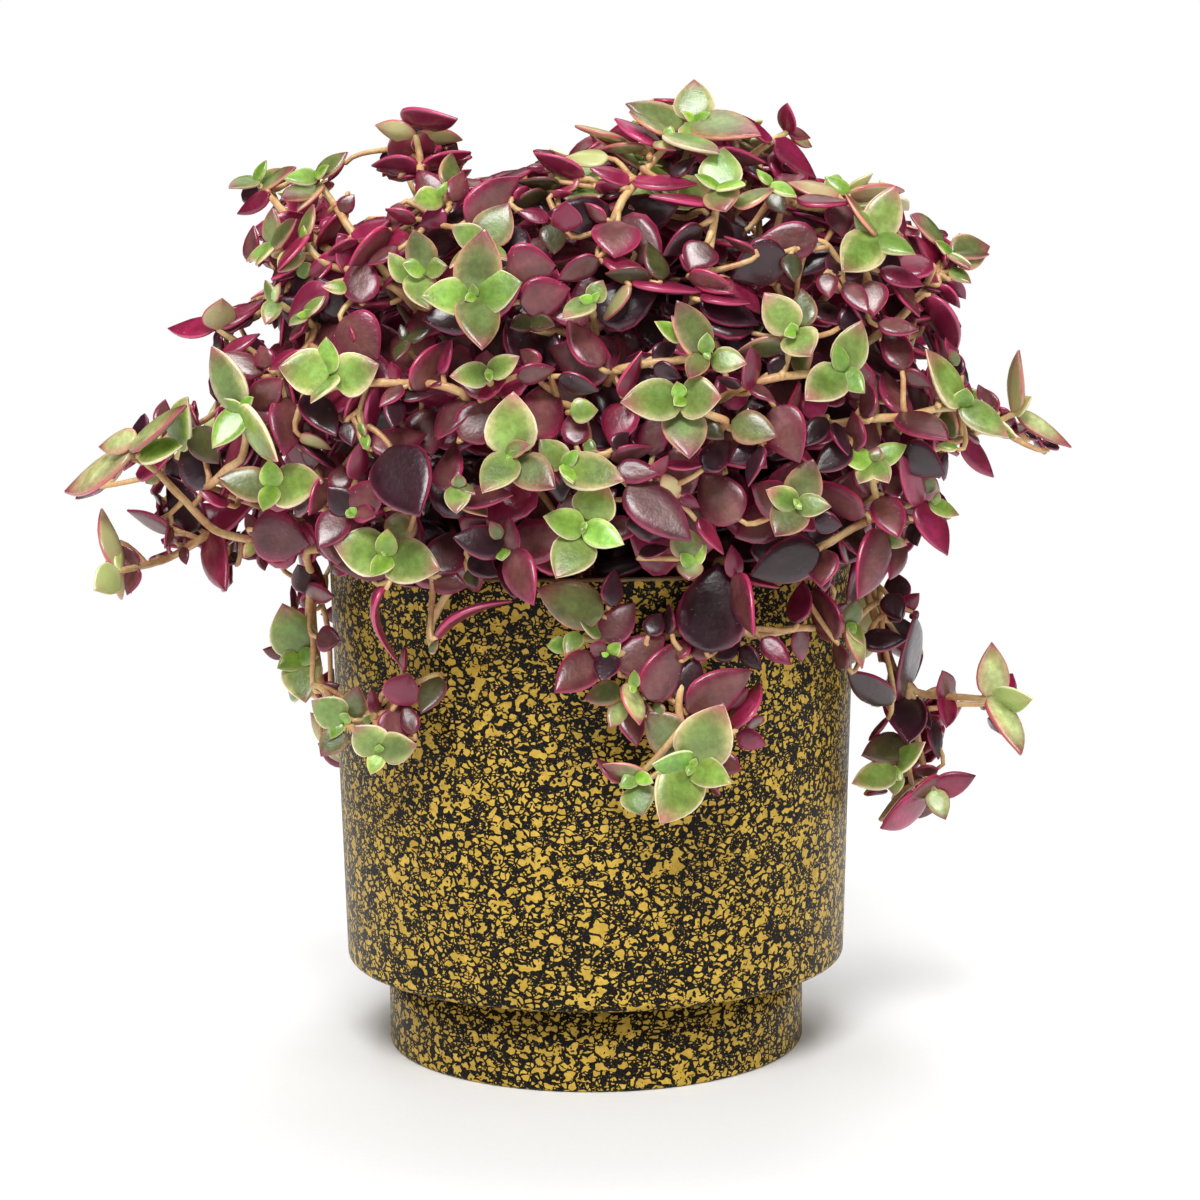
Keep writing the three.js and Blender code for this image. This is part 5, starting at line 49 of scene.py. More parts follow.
# Each shoot: name, stems (x, y, z of the points from the tip down, in tenths of a millimetre),
# twigs (four control points from a leaf to its stem), leaves: base x, y, z; yaw, pitch, roll in
# degrees; length and width; kind; cup; curl; flags.
SHOOTS = [
    ("shoot_front_01",
     [[-1030,-467,1476,-1020,-392,1451,-1013,-296,1426,-997,-273,1401,-986,-266,1387,-962,-257,1360,-911,-248,1303,-880,-272,1287,-819,-337,1278,-787,-366,1275,-718,-324,1264,-684,-300,1257,-651,-270,1250,-620,-233,1241,-591,-227,1234,-564,-214,1229,-487,-173,1133,-444,-158,1070],[-1090,-420,1209,-1072,-362,1211,-1049,-246,1213,-1025,-186,1220,-999,-183,1233,-946,-221,1264,-916,-198,1280,-891,-155,1273,-867,-159,1270,-843,-218,1272,-819,-337,1278]],
     [[-970,-240,1250,-974,-233,1262,-942,-221,1264,-941,-217,1267],[-944,-180,1289,-938,-184,1279,-920,-194,1282,-919,-200,1278],[-911,-190,1294,-917,-187,1289,-902,-179,1282,-903,-177,1277],[-1002,-230,1297,-981,-234,1286,-946,-218,1276,-941,-217,1267],[-1015,-210,1306,-1026,-229,1328,-968,-243,1354,-969,-259,1367],[-1007,-230,1297,-1004,-224,1306,-1003,-227,1321,-1007,-228,1329],[-778,-450,1269,-766,-427,1285,-769,-378,1275,-781,-362,1274],[-1013,-290,1531,-1015,-309,1500,-1006,-313,1458,-1023,-327,1435],[-756,-500,1294,-743,-515,1274,-757,-434,1284,-771,-422,1277],[-761,-520,1307,-796,-518,1315,-756,-437,1287,-771,-422,1277],[-1015,-228,1275,-1014,-237,1289,-975,-225,1282,-970,-226,1283],[-1031,-210,1413,-1023,-246,1433,-1000,-285,1454,-1013,-315,1466],[-884,-170,1177,-891,-141,1194,-872,-156,1253,-886,-156,1273],[-1018,-120,1460,-1022,-125,1520,-986,-254,1489,-1013,-304,1499],[-967,-120,1274,-978,-92,1283,-894,-145,1276,-886,-156,1273],[-902,-95,1180,-920,-62,1190,-874,-139,1254,-886,-156,1273],[-1128,-243,1257,-1134,-244,1288,-1062,-266,1225,-1057,-277,1212],[-1063,-149,1315,-1080,-171,1295,-1007,-206,1327,-1007,-228,1329],[-1051,-127,1366,-1064,-80,1358,-949,-118,1302,-942,-119,1278],[-929,-321,1549,-936,-288,1535,-971,-282,1509,-1005,-277,1497],[-858,-184,1204,-849,-209,1195,-835,-210,1258,-842,-222,1272],[-1035,-152,1294,-1031,-146,1265,-984,-181,1257,-984,-194,1242],[-916,-414,1581,-942,-370,1611,-966,-321,1517,-1013,-304,1499],[-1062,-305,1496,-1064,-316,1479,-1017,-310,1473,-1013,-315,1466],[-1056,-391,1464,-1052,-403,1466,-1031,-406,1460,-1030,-414,1458],[-1179,-205,1397,-1169,-260,1393,-1039,-223,1421,-1023,-236,1427],[-1147,-168,1439,-1159,-125,1460,-1028,-140,1473,-1017,-135,1484],[-916,-239,1398,-925,-218,1398,-931,-247,1360,-949,-254,1346],[-781,-260,1250,-780,-274,1278,-731,-310,1265,-730,-332,1266],[-1050,-54,1357,-1052,-40,1369,-1034,-92,1354,-1039,-106,1352],[-1015,-253,1480,-1010,-261,1476,-1003,-269,1493,-1005,-277,1497],[-1052,-159,1224,-1053,-174,1224,-1028,-185,1222,-1029,-195,1219],[-1197,-98,1388,-1173,-75,1399,-1135,-133,1437,-1134,-147,1453],[-1003,-7,1283,-1004,16,1313,-1016,-59,1342,-1042,-76,1358],[-990,-56,1241,-964,-71,1237,-957,-98,1288,-963,-113,1300],[-1202,-6,1420,-1208,46,1438,-1127,-111,1445,-1134,-147,1453],[-898,-199,1247,-908,-203,1240,-908,-199,1272,-919,-200,1278],[-901,13,1288,-903,51,1325,-944,-77,1314,-988,-108,1318],[-963,-63,1240,-967,-50,1214,-932,-43,1300,-938,-38,1316],[-1110,-169,1457,-1113,-159,1458,-1103,-146,1460,-1106,-139,1462],[-916,-103,1400,-893,-85,1433,-904,-33,1337,-924,-13,1314],[-1077,-97,1202,-1059,-59,1200,-979,-78,1244,-970,-75,1253],[-858,-232,1627,-843,-263,1592,-900,-277,1555,-940,-300,1536],[-873,-41,1526,-878,-64,1479,-874,-54,1415,-904,-61,1380],[-770,-122,1505,-765,-104,1464,-830,-65,1498,-875,-51,1497],[-780,-244,1577,-784,-264,1551,-836,-255,1579,-872,-265,1582],[-864,-175,1591,-872,-169,1616,-848,-229,1599,-858,-250,1604],[-792,-80,1321,-792,-119,1345,-846,-61,1389,-889,-58,1407],[-830,-68,1481,-829,-86,1481,-858,-58,1470,-877,-56,1467],[-798,-228,1643,-796,-241,1620,-833,-241,1611,-858,-250,1604],[-770,-327,1660,-763,-349,1625,-781,-267,1586,-806,-257,1567],[-799,-220,1469,-783,-254,1470,-789,-243,1542,-806,-257,1567],[-837,-91,1397,-838,-89,1384,-819,-87,1372,-821,-86,1363],[-825,-18,1382,-833,1,1388,-845,-53,1392,-864,-65,1394],[-821,-61,1419,-822,-52,1399,-811,-79,1377,-821,-86,1363],[-875,-181,1639,-873,-186,1627,-860,-190,1612,-862,-194,1605],[-767,-259,1538,-765,-269,1531,-780,-248,1519,-791,-246,1513],[-876,-176,1618,-875,-183,1612,-862,-189,1607,-862,-194,1605],[-839,-340,1588,-833,-347,1563,-782,-307,1600,-777,-302,1606],[-805,-184,1310,-809,-155,1294,-789,-112,1337,-802,-93,1343],[-818,-319,1487,-828,-292,1484,-786,-260,1506,-791,-246,1513],[-809,-97,1316,-808,-106,1320,-797,-115,1324,-798,-121,1326],[-804,-54,1235,-801,-89,1215,-783,-103,1308,-798,-121,1326],[-779,-192,1236,-766,-181,1204,-776,-115,1266,-794,-95,1271],[-739,-359,1658,-723,-370,1654,-755,-329,1634,-770,-324,1629],[-825,-304,1613,-831,-302,1628,-782,-300,1606,-777,-302,1606],[-715,-325,1228,-717,-316,1220,-703,-316,1255,-706,-316,1262],[-764,-298,1574,-766,-287,1573,-777,-281,1582,-788,-277,1586],[-712,-78,1239,-728,-78,1266,-761,-89,1267,-794,-95,1271],[-754,-264,1306,-750,-279,1293,-740,-292,1279,-745,-305,1268],[-843,-355,1621,-853,-345,1609,-817,-334,1590,-817,-331,1581]],
     [[-1044,-460,1481,144,-24,-42,246,134,3,14,5,0],[-1033,-466,1514,148,-11,-54,115,72,3,14,5,1],[-1048,-452,1494,-36,25,42,213,99,3,14,5,0],[-953,-416,1492,-64,46,110,168,96,0,10,5,0],[-1029,-440,1478,-32,7,44,133,79,0,10,5,1],[-1070,-279,1426,-35,22,56,126,71,6,14,5,0],[-1026,-277,1428,-171,-42,-84,35,39,3,14,5,0],[-1095,-408,1208,125,61,-141,167,91,3,14,5,0],[-1092,-420,1209,-116,-25,105,92,77,0,10,5,1],[-1092,-420,1209,96,43,-112,73,41,0,10,5,1],[-1092,-420,1209,93,-50,-67,93,46,3,14,5,1],[-1066,-342,1212,-175,61,-96,60,39,4,16,5,0],[-1067,-342,1213,-170,-74,-66,71,43,4,16,5,0],[-921,-192,1281,-66,-42,65,204,103,6,14,5,0],[-1005,-234,1293,170,26,-137,118,75,4,16,5,0],[-911,-190,1294,-22,35,-132,171,103,6,14,5,0],[-762,-526,1307,-3,-13,92,134,124,4,16,5,0],[-1002,-233,1297,-115,-55,-86,57,33,4,16,5,0],[-1015,-210,1306,61,-46,-14,92,55,6,14,5,0],[-974,-245,1251,-66,-57,55,49,31,4,16,5,0],[-774,-454,1271,-117,-33,-62,51,33,3,14,5,0],[-759,-505,1296,129,47,-67,63,37,4,16,5,0],[-1010,-295,1534,84,58,33,80,48,4,16,5,0],[-947,-185,1289,146,54,-82,162,96,5,16,5,0],[-765,-356,1275,-79,51,100,119,86,4,15,4,4],[-682,-304,1260,-50,25,82,138,115,4,15,3,4],[-689,-297,1257,142,-3,-80,138,118,6,15,8,4],[-622,-229,1244,105,39,-82,140,106,6,15,7,4],[-856,-171,1268,37,-26,-85,103,85,5,15,7,4],[-865,-175,1275,169,41,114,121,94,4,15,6,4],[-829,-255,1274,22,-2,-93,118,84,5,15,9,4],[-1015,-228,1275,95,-57,-100,52,46,4,15,2,4],[-1031,-210,1413,103,-28,-45,77,65,6,15,5,4],[-889,-172,1178,-77,-30,77,72,53,4,15,6,4],[-1018,-126,1460,53,-84,143,76,53,5,15,2,4],[-972,-122,1276,-69,-17,69,74,55,4,15,6,4],[-907,-98,1182,-62,-16,71,85,75,6,15,7,4],[-1128,-243,1257,6,-79,-113,119,84,4,15,1,4],[-1063,-149,1315,54,34,-32,89,65,5,15,6,4],[-1056,-128,1363,-75,9,117,55,45,5,15,4,4],[-929,-321,1549,-77,22,84,105,74,4,15,1,4],[-860,-187,1209,110,20,-29,59,52,5,15,7,4],[-1035,-152,1294,-127,75,115,59,43,5,15,5,4],[-921,-416,1580,-59,-30,108,69,51,4,15,2,4],[-1065,-309,1499,79,56,-30,86,76,5,15,2,4],[-1056,-391,1464,107,-9,-51,79,63,4,15,10,4],[-1179,-205,1397,100,5,-57,88,66,4,15,1,4],[-1150,-171,1443,-74,-25,37,63,45,4,15,5,4],[-921,-241,1399,-66,0,89,104,80,5,15,1,4],[-781,-260,1250,93,-63,-53,68,47,5,15,9,4],[-1050,-54,1357,-80,-41,119,103,76,5,15,1,4],[-1017,-256,1485,117,24,-41,126,105,4,15,6,4],[-1052,-159,1224,85,-1,-18,71,64,4,15,0,4],[-1197,-98,1388,-136,-18,31,79,56,5,15,2,4],[-1008,-10,1285,-87,-52,59,82,69,6,15,4,4],[-990,-56,1241,150,7,-4,97,83,6,15,8,4],[-1207,-8,1423,-83,-19,50,79,54,5,15,7,4],[-898,-199,1247,21,32,-2,67,47,4,15,8,4],[-901,13,1288,-86,-44,102,135,120,4,15,10,4],[-963,-63,1240,-71,63,45,63,43,5,15,2,4],[-1114,-171,1461,-73,-4,50,80,60,6,15,8,4],[-920,-104,1403,-141,-49,13,108,98,5,15,6,4],[-1077,-97,1202,-115,3,17,54,40,4,15,5,4],[-857,-236,1631,116,45,-15,101,75,4,15,9,4],[-877,-45,1528,80,63,-28,102,72,5,15,2,4],[-770,-122,1505,-107,66,116,122,96,4,15,0,4],[-786,-245,1579,80,52,-60,137,125,6,15,6,4],[-869,-178,1590,-33,-69,113,136,101,4,15,3,4],[-792,-80,1321,90,-32,-69,109,98,5,15,3,4],[-830,-68,1481,92,1,-77,99,72,4,15,4,4],[-798,-228,1643,98,61,-103,110,84,5,15,9,4],[-774,-331,1662,108,57,-54,102,85,5,15,0,4],[-804,-223,1471,115,-2,-68,103,92,4,15,3,4],[-837,-91,1397,-72,78,-3,118,88,4,15,10,4],[-830,-21,1384,-67,-16,72,129,102,5,15,4,4],[-821,-61,1419,-81,66,78,73,50,5,15,8,4],[-879,-185,1640,112,68,-71,131,93,4,15,4,4],[-772,-262,1541,104,36,-64,74,54,5,15,0,4],[-881,-178,1621,98,40,-64,121,110,4,15,4,4],[-838,-346,1589,128,70,-31,125,86,5,15,0,4],[-805,-184,1310,-82,29,51,77,56,5,15,4,4],[-818,-319,1487,-70,7,33,121,98,5,15,6,4],[-809,-97,1316,97,-21,-45,53,45,4,15,5,4],[-809,-57,1238,95,30,-54,77,56,6,15,4,4],[-783,-196,1234,-140,62,-175,59,48,4,15,1,4],[-741,-363,1661,145,11,-57,70,61,5,15,2,4],[-822,-310,1614,-22,-64,43,102,71,4,15,4,4],[-715,-325,1228,-75,38,41,60,53,6,15,8,4],[-764,-298,1574,-78,5,31,131,90,4,15,8,4],[-712,-78,1239,1,-60,175,126,108,4,15,7,4],[-757,-268,1309,105,39,-44,104,96,4,15,3,4],[-843,-355,1621,-44,39,-30,75,59,4,15,5,4]]),
    ("shoot_front_02",
     [[953,-249,872,824,-127,867,810,-114,868,795,-109,873,744,-122,916,720,-145,970,709,-153,998,698,-156,1026,688,-153,1055,680,-141,1083,672,-118,1110,666,-143,1142,661,-152,1172,657,-145,1200,623,-111,1225,590,-119,1226,558,-169,1227,527,-202,1224,497,-223,1216,468,-233,1205,441,-237,1190,415,-236,1171,339,-223,1099,316,-217,1070],[724,-203,692,736,-169,709,750,-137,728,756,-125,742,759,-118,760,764,-113,798,771,-102,835,774,-116,890],[827,-113,628,814,-52,706,811,-43,722,800,-72,780,786,-101,857,774,-116,890]],
     [[707,-230,1120,695,-209,1146,661,-164,1156,663,-149,1160],[716,-200,1055,697,-213,1034,687,-201,1125,692,-206,1139],[758,-70,1091,762,-102,1050,693,-169,1088,698,-206,1073],[763,-70,1071,726,-57,1035,694,-169,1083,698,-206,1073],[786,-80,1067,778,-81,1078,755,-91,1076,751,-95,1075],[760,80,973,703,85,955,723,-40,1052,741,-78,1059],[628,-380,1027,568,-373,1027,654,-235,1101,692,-205,1106],[792,-80,844,770,-48,889,719,18,971,726,46,988],[703,-303,879,743,-268,851,677,-220,1043,698,-206,1073],[587,-454,975,608,-478,924,650,-252,1065,698,-206,1073],[830,-90,795,826,-86,826,783,-69,856,781,-64,865],[761,-147,747,794,-107,748,760,-81,850,781,-64,865],[849,-100,681,905,-121,689,768,-57,856,770,-48,887],[794,-65,623,786,-117,618,763,-107,742,774,-123,761],[729,-114,895,732,-88,888,750,-63,896,770,-48,887],[859,-32,866,873,-47,883,805,-64,856,799,-75,844],[773,-99,984,783,-127,962,715,-116,1052,713,-125,1064],[871,-27,847,878,-32,859,846,-45,867,844,-51,869],[741,10,867,720,10,870,747,-21,903,758,-31,908],[546,-389,1133,553,-348,1117,586,-322,1085,618,-314,1058],[705,-150,956,696,-123,930,698,-128,1046,713,-125,1064],[867,-21,748,879,-37,764,837,-72,764,838,-90,760],[548,-429,1099,530,-443,1089,547,-372,1118,556,-361,1118],[830,-29,782,820,-8,772,794,-56,828,794,-66,835],[879,45,602,925,65,634,792,-58,646,787,-91,638],[768,107,568,759,154,548,839,51,626,882,34,624],[705,-126,559,687,-160,544,756,-98,632,787,-91,638],[784,-23,655,761,-39,635,767,-88,698,775,-110,698],[868,5,790,884,9,807,818,-21,800,812,-31,796],[884,-43,833,878,-67,822,825,-73,831,818,-84,822],[708,-226,823,726,-235,846,704,-264,879,715,-281,887],[843,-30,590,851,-39,605,821,-36,633,822,-38,639],[894,-34,798,885,-46,789,867,-54,824,866,-62,827],[1020,-71,857,997,-108,823,884,-62,847,866,-62,827],[826,30,950,840,31,986,737,42,987,726,46,988],[872,-7,866,882,-26,874,859,-48,843,866,-62,827],[1028,18,757,1042,-28,753,990,-57,834,999,-83,844],[703,-167,860,710,-190,872,704,-220,858,715,-240,847],[742,177,965,720,206,974,724,93,981,736,69,975],[677,-102,617,650,-77,604,735,-73,670,768,-66,670],[853,102,785,852,60,760,806,1,806,812,-31,796],[987,-33,855,992,-48,865,990,-70,851,999,-83,844],[756,-78,1278,760,-116,1313,662,-127,1216,659,-148,1189],[705,62,1187,685,62,1130,700,-25,1093,732,-52,1049],[546,-476,1165,568,-478,1142,533,-418,1123,541,-410,1103],[675,-246,1220,690,-211,1224,657,-158,1218,670,-137,1211],[701,100,1220,695,90,1195,687,64,1177,698,53,1157],[698,118,1214,699,88,1220,686,68,1176,698,53,1157],[505,-145,1112,517,-185,1091,445,-208,1183,446,-236,1192],[696,-48,1226,701,-5,1232,676,43,1199,693,70,1182],[789,-311,1297,801,-273,1256,684,-232,1245,678,-218,1221]],
     [[959,-244,872,94,82,-1,137,84,3,14,5,0],[959,-238,871,-53,2,-67,125,74,0,10,5,0],[962,-241,875,-76,-38,-20,198,101,3,14,5,0],[865,-148,862,-112,53,-126,98,60,4,16,5,0],[863,-148,868,-98,-39,-27,113,58,6,14,5,0],[770,-80,864,-94,54,-114,254,167,5,16,5,0],[766,-82,870,-95,-39,-15,179,119,5,16,5,0],[721,-251,703,-137,-8,-53,158,75,1,10,5,0],[720,-212,696,-20,42,55,112,66,1,10,5,0],[720,-224,698,-51,-31,53,39,34,0,10,5,1],[723,-226,694,-147,55,-117,23,25,0,10,5,1],[725,-213,696,-101,-62,-17,66,55,1,10,5,0],[820,-114,611,-146,-19,-114,166,103,6,14,5,0],[832,-124,627,-4,23,98,114,68,6,14,5,0],[856,-114,651,-148,-15,-110,117,68,4,16,5,0],[830,-135,633,-55,-53,32,85,61,3,14,5,1],[830,-135,627,-82,64,173,20,22,1,10,5,1],[627,-385,1030,-7,-1,56,105,64,5,16,5,0],[704,-307,875,-139,29,-141,187,80,5,16,5,0],[706,-235,1124,-59,-47,33,80,64,5,16,5,0],[763,-70,1071,-20,43,-73,61,46,6,14,5,0],[786,-80,1067,7,-52,-72,25,28,6,14,5,0],[716,-205,1058,33,41,47,62,44,5,16,5,0],[795,-83,847,-56,-50,-5,87,55,5,16,5,0],[756,-75,1095,97,52,-19,85,70,5,16,5,0],[582,-458,975,132,59,-91,72,49,4,16,5,0],[848,-105,678,160,-8,-123,66,40,4,16,5,0],[835,-94,796,-37,-79,7,95,59,5,16,5,0],[765,-150,750,-130,-2,-60,209,86,7,14,5,0],[760,80,973,-5,18,-97,56,36,4,16,5,2],[643,-132,1216,-62,57,-164,101,69,4,15,8,4],[556,-161,1228,133,15,95,108,78,6,15,1,4],[566,-167,1229,-29,25,-92,73,67,4,15,8,4],[487,-229,1218,-51,66,-98,123,110,6,15,3,4],[489,-223,1208,52,-40,32,123,100,6,15,3,4],[398,-230,1159,100,45,47,86,76,4,15,8,4],[794,-65,623,81,5,13,138,105,4,15,7,4],[729,-114,895,-98,13,-76,69,50,5,15,5,4],[862,-34,861,132,-41,172,85,72,6,15,8,4],[773,-103,988,110,36,-6,123,104,5,15,2,4],[871,-27,847,145,-54,129,81,66,4,15,5,4],[741,10,867,0,-8,-76,79,71,4,15,6,4],[551,-391,1131,-100,21,-108,85,75,6,15,6,4],[705,-150,956,-72,42,-78,52,42,4,15,4,4],[867,-21,748,128,-39,120,108,96,5,15,3,4],[552,-432,1096,39,23,123,56,41,5,15,8,4],[830,-29,782,-65,21,-33,75,65,6,15,2,4],[879,45,602,-157,-33,-149,119,92,5,15,7,4],[768,107,568,-79,23,-101,111,96,6,15,7,4],[711,-128,558,61,21,100,73,63,4,15,4,4],[784,-23,655,34,36,142,89,68,4,15,8,4],[868,5,790,-167,-46,159,134,108,5,15,4,4],[889,-45,834,77,26,80,89,77,4,15,1,4],[708,-226,823,154,-49,164,76,56,5,15,4,4],[842,-36,587,137,-50,-139,64,47,4,15,0,4],[894,-34,798,55,31,127,77,70,6,15,5,4],[1020,-71,857,59,38,-118,79,61,4,15,10,4],[826,30,950,-176,-68,-173,76,58,5,15,10,4],[872,-7,866,116,-21,170,145,104,4,15,9,4],[1028,18,757,107,5,51,86,63,5,15,9,4],[703,-167,860,107,-26,-13,56,45,4,15,10,4],[742,177,965,-53,-14,-45,130,89,4,15,3,4],[677,-102,617,-43,18,175,63,55,5,15,6,4],[853,102,785,89,30,-171,74,63,4,15,6,4],[987,-33,855,107,-31,110,72,64,6,15,5,4],[756,-78,1278,95,-43,94,147,111,4,15,5,4],[705,62,1187,0,71,164,142,104,4,15,1,4],[546,-476,1165,174,45,-6,117,85,4,15,0,4],[680,-248,1223,-113,-6,-62,120,93,4,15,5,4],[701,100,1220,60,65,112,103,84,4,15,0,4],[698,118,1214,92,-11,61,96,69,4,15,2,4],[505,-145,1112,106,27,63,73,57,5,15,2,4],[696,-48,1226,-96,-8,-80,97,68,4,15,10,4],[789,-311,1297,-108,45,-33,113,100,4,15,7,4]]),
    ("shoot_front_03",
     [[-237,-884,1800,-213,-752,1747,-200,-660,1713,-190,-634,1688,-180,-594,1659,-170,-543,1627,-160,-545,1596,-149,-541,1563,-139,-531,1527,-130,-516,1489,-121,-495,1449,-112,-469,1407,-105,-437,1363,-99,-461,1324,-94,-479,1284,-89,-492,1242,-80,-507,1157,-72,-515,1070],[-222,-795,1910,-218,-768,1835,-214,-764,1805,-213,-759,1789,-210,-734,1740]],
     [[-175,-800,1867,-190,-800,1865,-205,-785,1857,-217,-788,1858],[-145,-820,1799,-175,-826,1792,-194,-766,1793,-213,-764,1798],[-148,-791,1890,-142,-801,1875,-182,-786,1865,-196,-794,1862]],
     [[-238,-894,1807,12,80,74,143,105,2,14,5,0],[-236,-893,1808,-161,-2,-75,116,87,0,10,5,0],[-240,-894,1808,-15,12,79,111,100,0,10,5,0],[-237,-893,1810,-77,-52,1,150,98,2,14,5,0],[-237,-906,1805,-108,79,-160,29,23,0,10,5,1],[-234,-905,1809,-136,-21,-63,32,23,0,10,5,1],[-221,-804,1921,21,58,63,103,92,2,14,5,0],[-219,-804,1920,-167,25,-84,81,61,1,10,5,0],[-219,-802,1924,-44,-34,18,78,45,1,10,5,0],[-222,-800,1925,-128,-31,2,121,70,1,10,5,0],[-144,-826,1798,11,13,101,111,90,4,16,5,0],[-174,-806,1865,-1,7,108,106,113,4,16,5,0],[-229,-823,1774,-176,-6,-67,123,92,5,15,3,4],[-220,-823,1777,-15,34,75,98,70,4,15,5,4],[-211,-742,1739,-87,-48,11,132,100,5,15,10,4],[-211,-739,1747,159,82,-75,132,92,5,15,2,4],[-192,-650,1703,-31,15,50,127,98,4,15,3,4],[-200,-647,1702,173,6,-48,127,89,4,15,1,4],[-174,-565,1645,29,83,47,123,93,5,15,1,4],[-176,-569,1638,-109,-42,-7,123,92,5,15,2,4],[-147,-533,1538,172,-4,-17,139,110,5,15,8,4],[-137,-537,1533,-54,13,22,139,113,5,15,1,4],[-120,-500,1450,-78,-7,17,145,105,5,15,3,4],[-119,-493,1455,62,40,6,145,115,5,15,7,4],[-103,-447,1376,-25,20,40,127,93,5,15,1,4],[-111,-446,1376,-179,12,-38,127,104,6,15,6,4],[-92,-482,1290,-63,50,-5,112,91,6,15,2,4],[-92,-472,1285,73,-14,-13,112,86,5,15,3,4],[-218,-785,1838,-113,-13,-6,114,80,4,15,2,4],[-212,-779,1840,17,32,21,114,91,5,15,4,4],[-150,-796,1893,119,51,-45,97,88,5,15,8,4]]),
    ("shoot_front_04",
     [[-163,-914,1473,-146,-822,1445,-135,-780,1432,-109,-626,1382,-97,-577,1358,-85,-573,1335,-73,-563,1309,-37,-528,1217,-16,-505,1146,3,-487,1070]],
     [[-122,-850,1510,-127,-864,1494,-140,-836,1466,-147,-844,1452],[-18,-794,1330,-58,-791,1292,-95,-702,1390,-121,-702,1406],[-47,-777,1392,-53,-790,1421,-110,-750,1418,-131,-759,1425],[31,-703,1308,-8,-700,1305,-38,-732,1330,-60,-764,1333],[-97,-712,1272,-88,-702,1244,-39,-706,1310,-22,-722,1319],[-68,-671,1221,-25,-658,1204,-49,-550,1241,-45,-536,1239]],
     [[-165,-924,1479,57,87,27,133,114,1,10,5,0],[-163,-923,1482,-130,-43,-39,119,81,1,10,5,0],[-155,-915,1469,-34,-30,54,118,86,2,14,5,0],[-173,-927,1488,-28,13,80,59,39,2,14,5,1],[-163,-935,1482,-125,-50,-34,20,15,0,10,5,1],[-166,-935,1478,-36,38,102,20,15,0,10,5,1],[-121,-855,1513,70,47,30,165,107,4,16,5,0],[-146,-851,1453,-44,-13,63,111,89,5,15,5,4],[-150,-849,1457,-164,65,-107,111,84,5,15,8,4],[-129,-765,1429,-16,38,78,137,104,4,15,8,4],[-135,-766,1423,-151,-45,-49,137,120,6,15,4,4],[-119,-674,1401,175,63,-85,138,98,6,15,3,4],[-115,-677,1393,-52,-50,45,138,110,4,15,3,4],[-102,-583,1360,-157,-10,-55,124,89,5,15,3,4],[-96,-583,1362,-29,34,76,124,86,5,15,2,4],[-50,-546,1250,-101,0,17,104,95,4,15,3,4],[-50,-538,1260,66,33,-9,104,73,5,15,4,4],[-27,-512,1175,160,21,-23,88,71,6,15,7,4],[-21,-799,1333,-5,44,56,106,85,5,15,7,4],[-46,-783,1390,67,-63,150,100,74,4,15,8,4],[31,-707,1312,-4,5,49,78,70,4,15,2,4],[-97,-712,1272,-131,65,-44,88,73,5,15,3,4],[-65,-675,1225,-163,21,-46,105,72,4,15,9,4]]),
    ("shoot_front_05",
     [[-14,-884,1321,-11,-856,1350,-9,-847,1367,-7,-843,1386,-6,-841,1407,-4,-843,1429,-3,-841,1449,-3,-822,1497,-6,-805,1524,-12,-801,1548,-21,-793,1566,-36,-785,1577,-52,-773,1583,-69,-757,1584,-84,-738,1582,-98,-715,1575,-110,-690,1564,-119,-663,1548,-125,-634,1529,-131,-569,1479,-127,-495,1416,-116,-407,1341,-108,-419,1306,-92,-431,1231,-77,-435,1152,-62,-436,1070],[-55,-884,1448,-73,-800,1498,-77,-787,1509,-85,-768,1539,-93,-742,1560,-98,-715,1575]],
     [[-11,-850,1499,-20,-847,1502,-5,-828,1490,-3,-826,1488],[-30,-850,1497,-29,-860,1483,-9,-834,1469,-3,-838,1460],[-105,-850,1497,-111,-850,1511,-78,-828,1496,-70,-828,1497],[41,-830,1475,26,-829,1470,8,-820,1484,-3,-826,1488],[46,-850,1488,31,-861,1474,-3,-837,1479,-19,-846,1477],[56,-850,1446,37,-847,1449,27,-824,1470,18,-826,1478],[-42,-850,1568,-63,-852,1566,-27,-798,1566,-22,-792,1567],[79,-850,1412,63,-844,1427,45,-831,1447,35,-837,1458],[129,-850,1428,117,-836,1410,73,-832,1433,57,-840,1434],[157,-850,1451,136,-849,1453,118,-833,1429,107,-839,1422],[188,-840,1389,165,-844,1403,142,-831,1429,130,-843,1441],[180,-840,1385,188,-836,1371,154,-831,1414,148,-838,1423],[235,-840,1444,218,-854,1428,181,-829,1415,167,-840,1405],[-102,-830,1665,-72,-841,1641,-74,-760,1600,-67,-758,1584],[-62,-850,1643,-98,-845,1656,-65,-765,1595,-67,-758,1584],[223,-820,1337,205,-820,1362,176,-819,1387,165,-835,1401],[52,-758,1379,89,-762,1372,92,-803,1413,107,-839,1422],[-46,-739,1529,-64,-735,1537,-81,-731,1553,-93,-740,1562],[133,-785,1473,133,-788,1443,98,-776,1416,90,-791,1397],[-126,-804,1658,-115,-813,1634,-84,-773,1616,-73,-778,1605]],
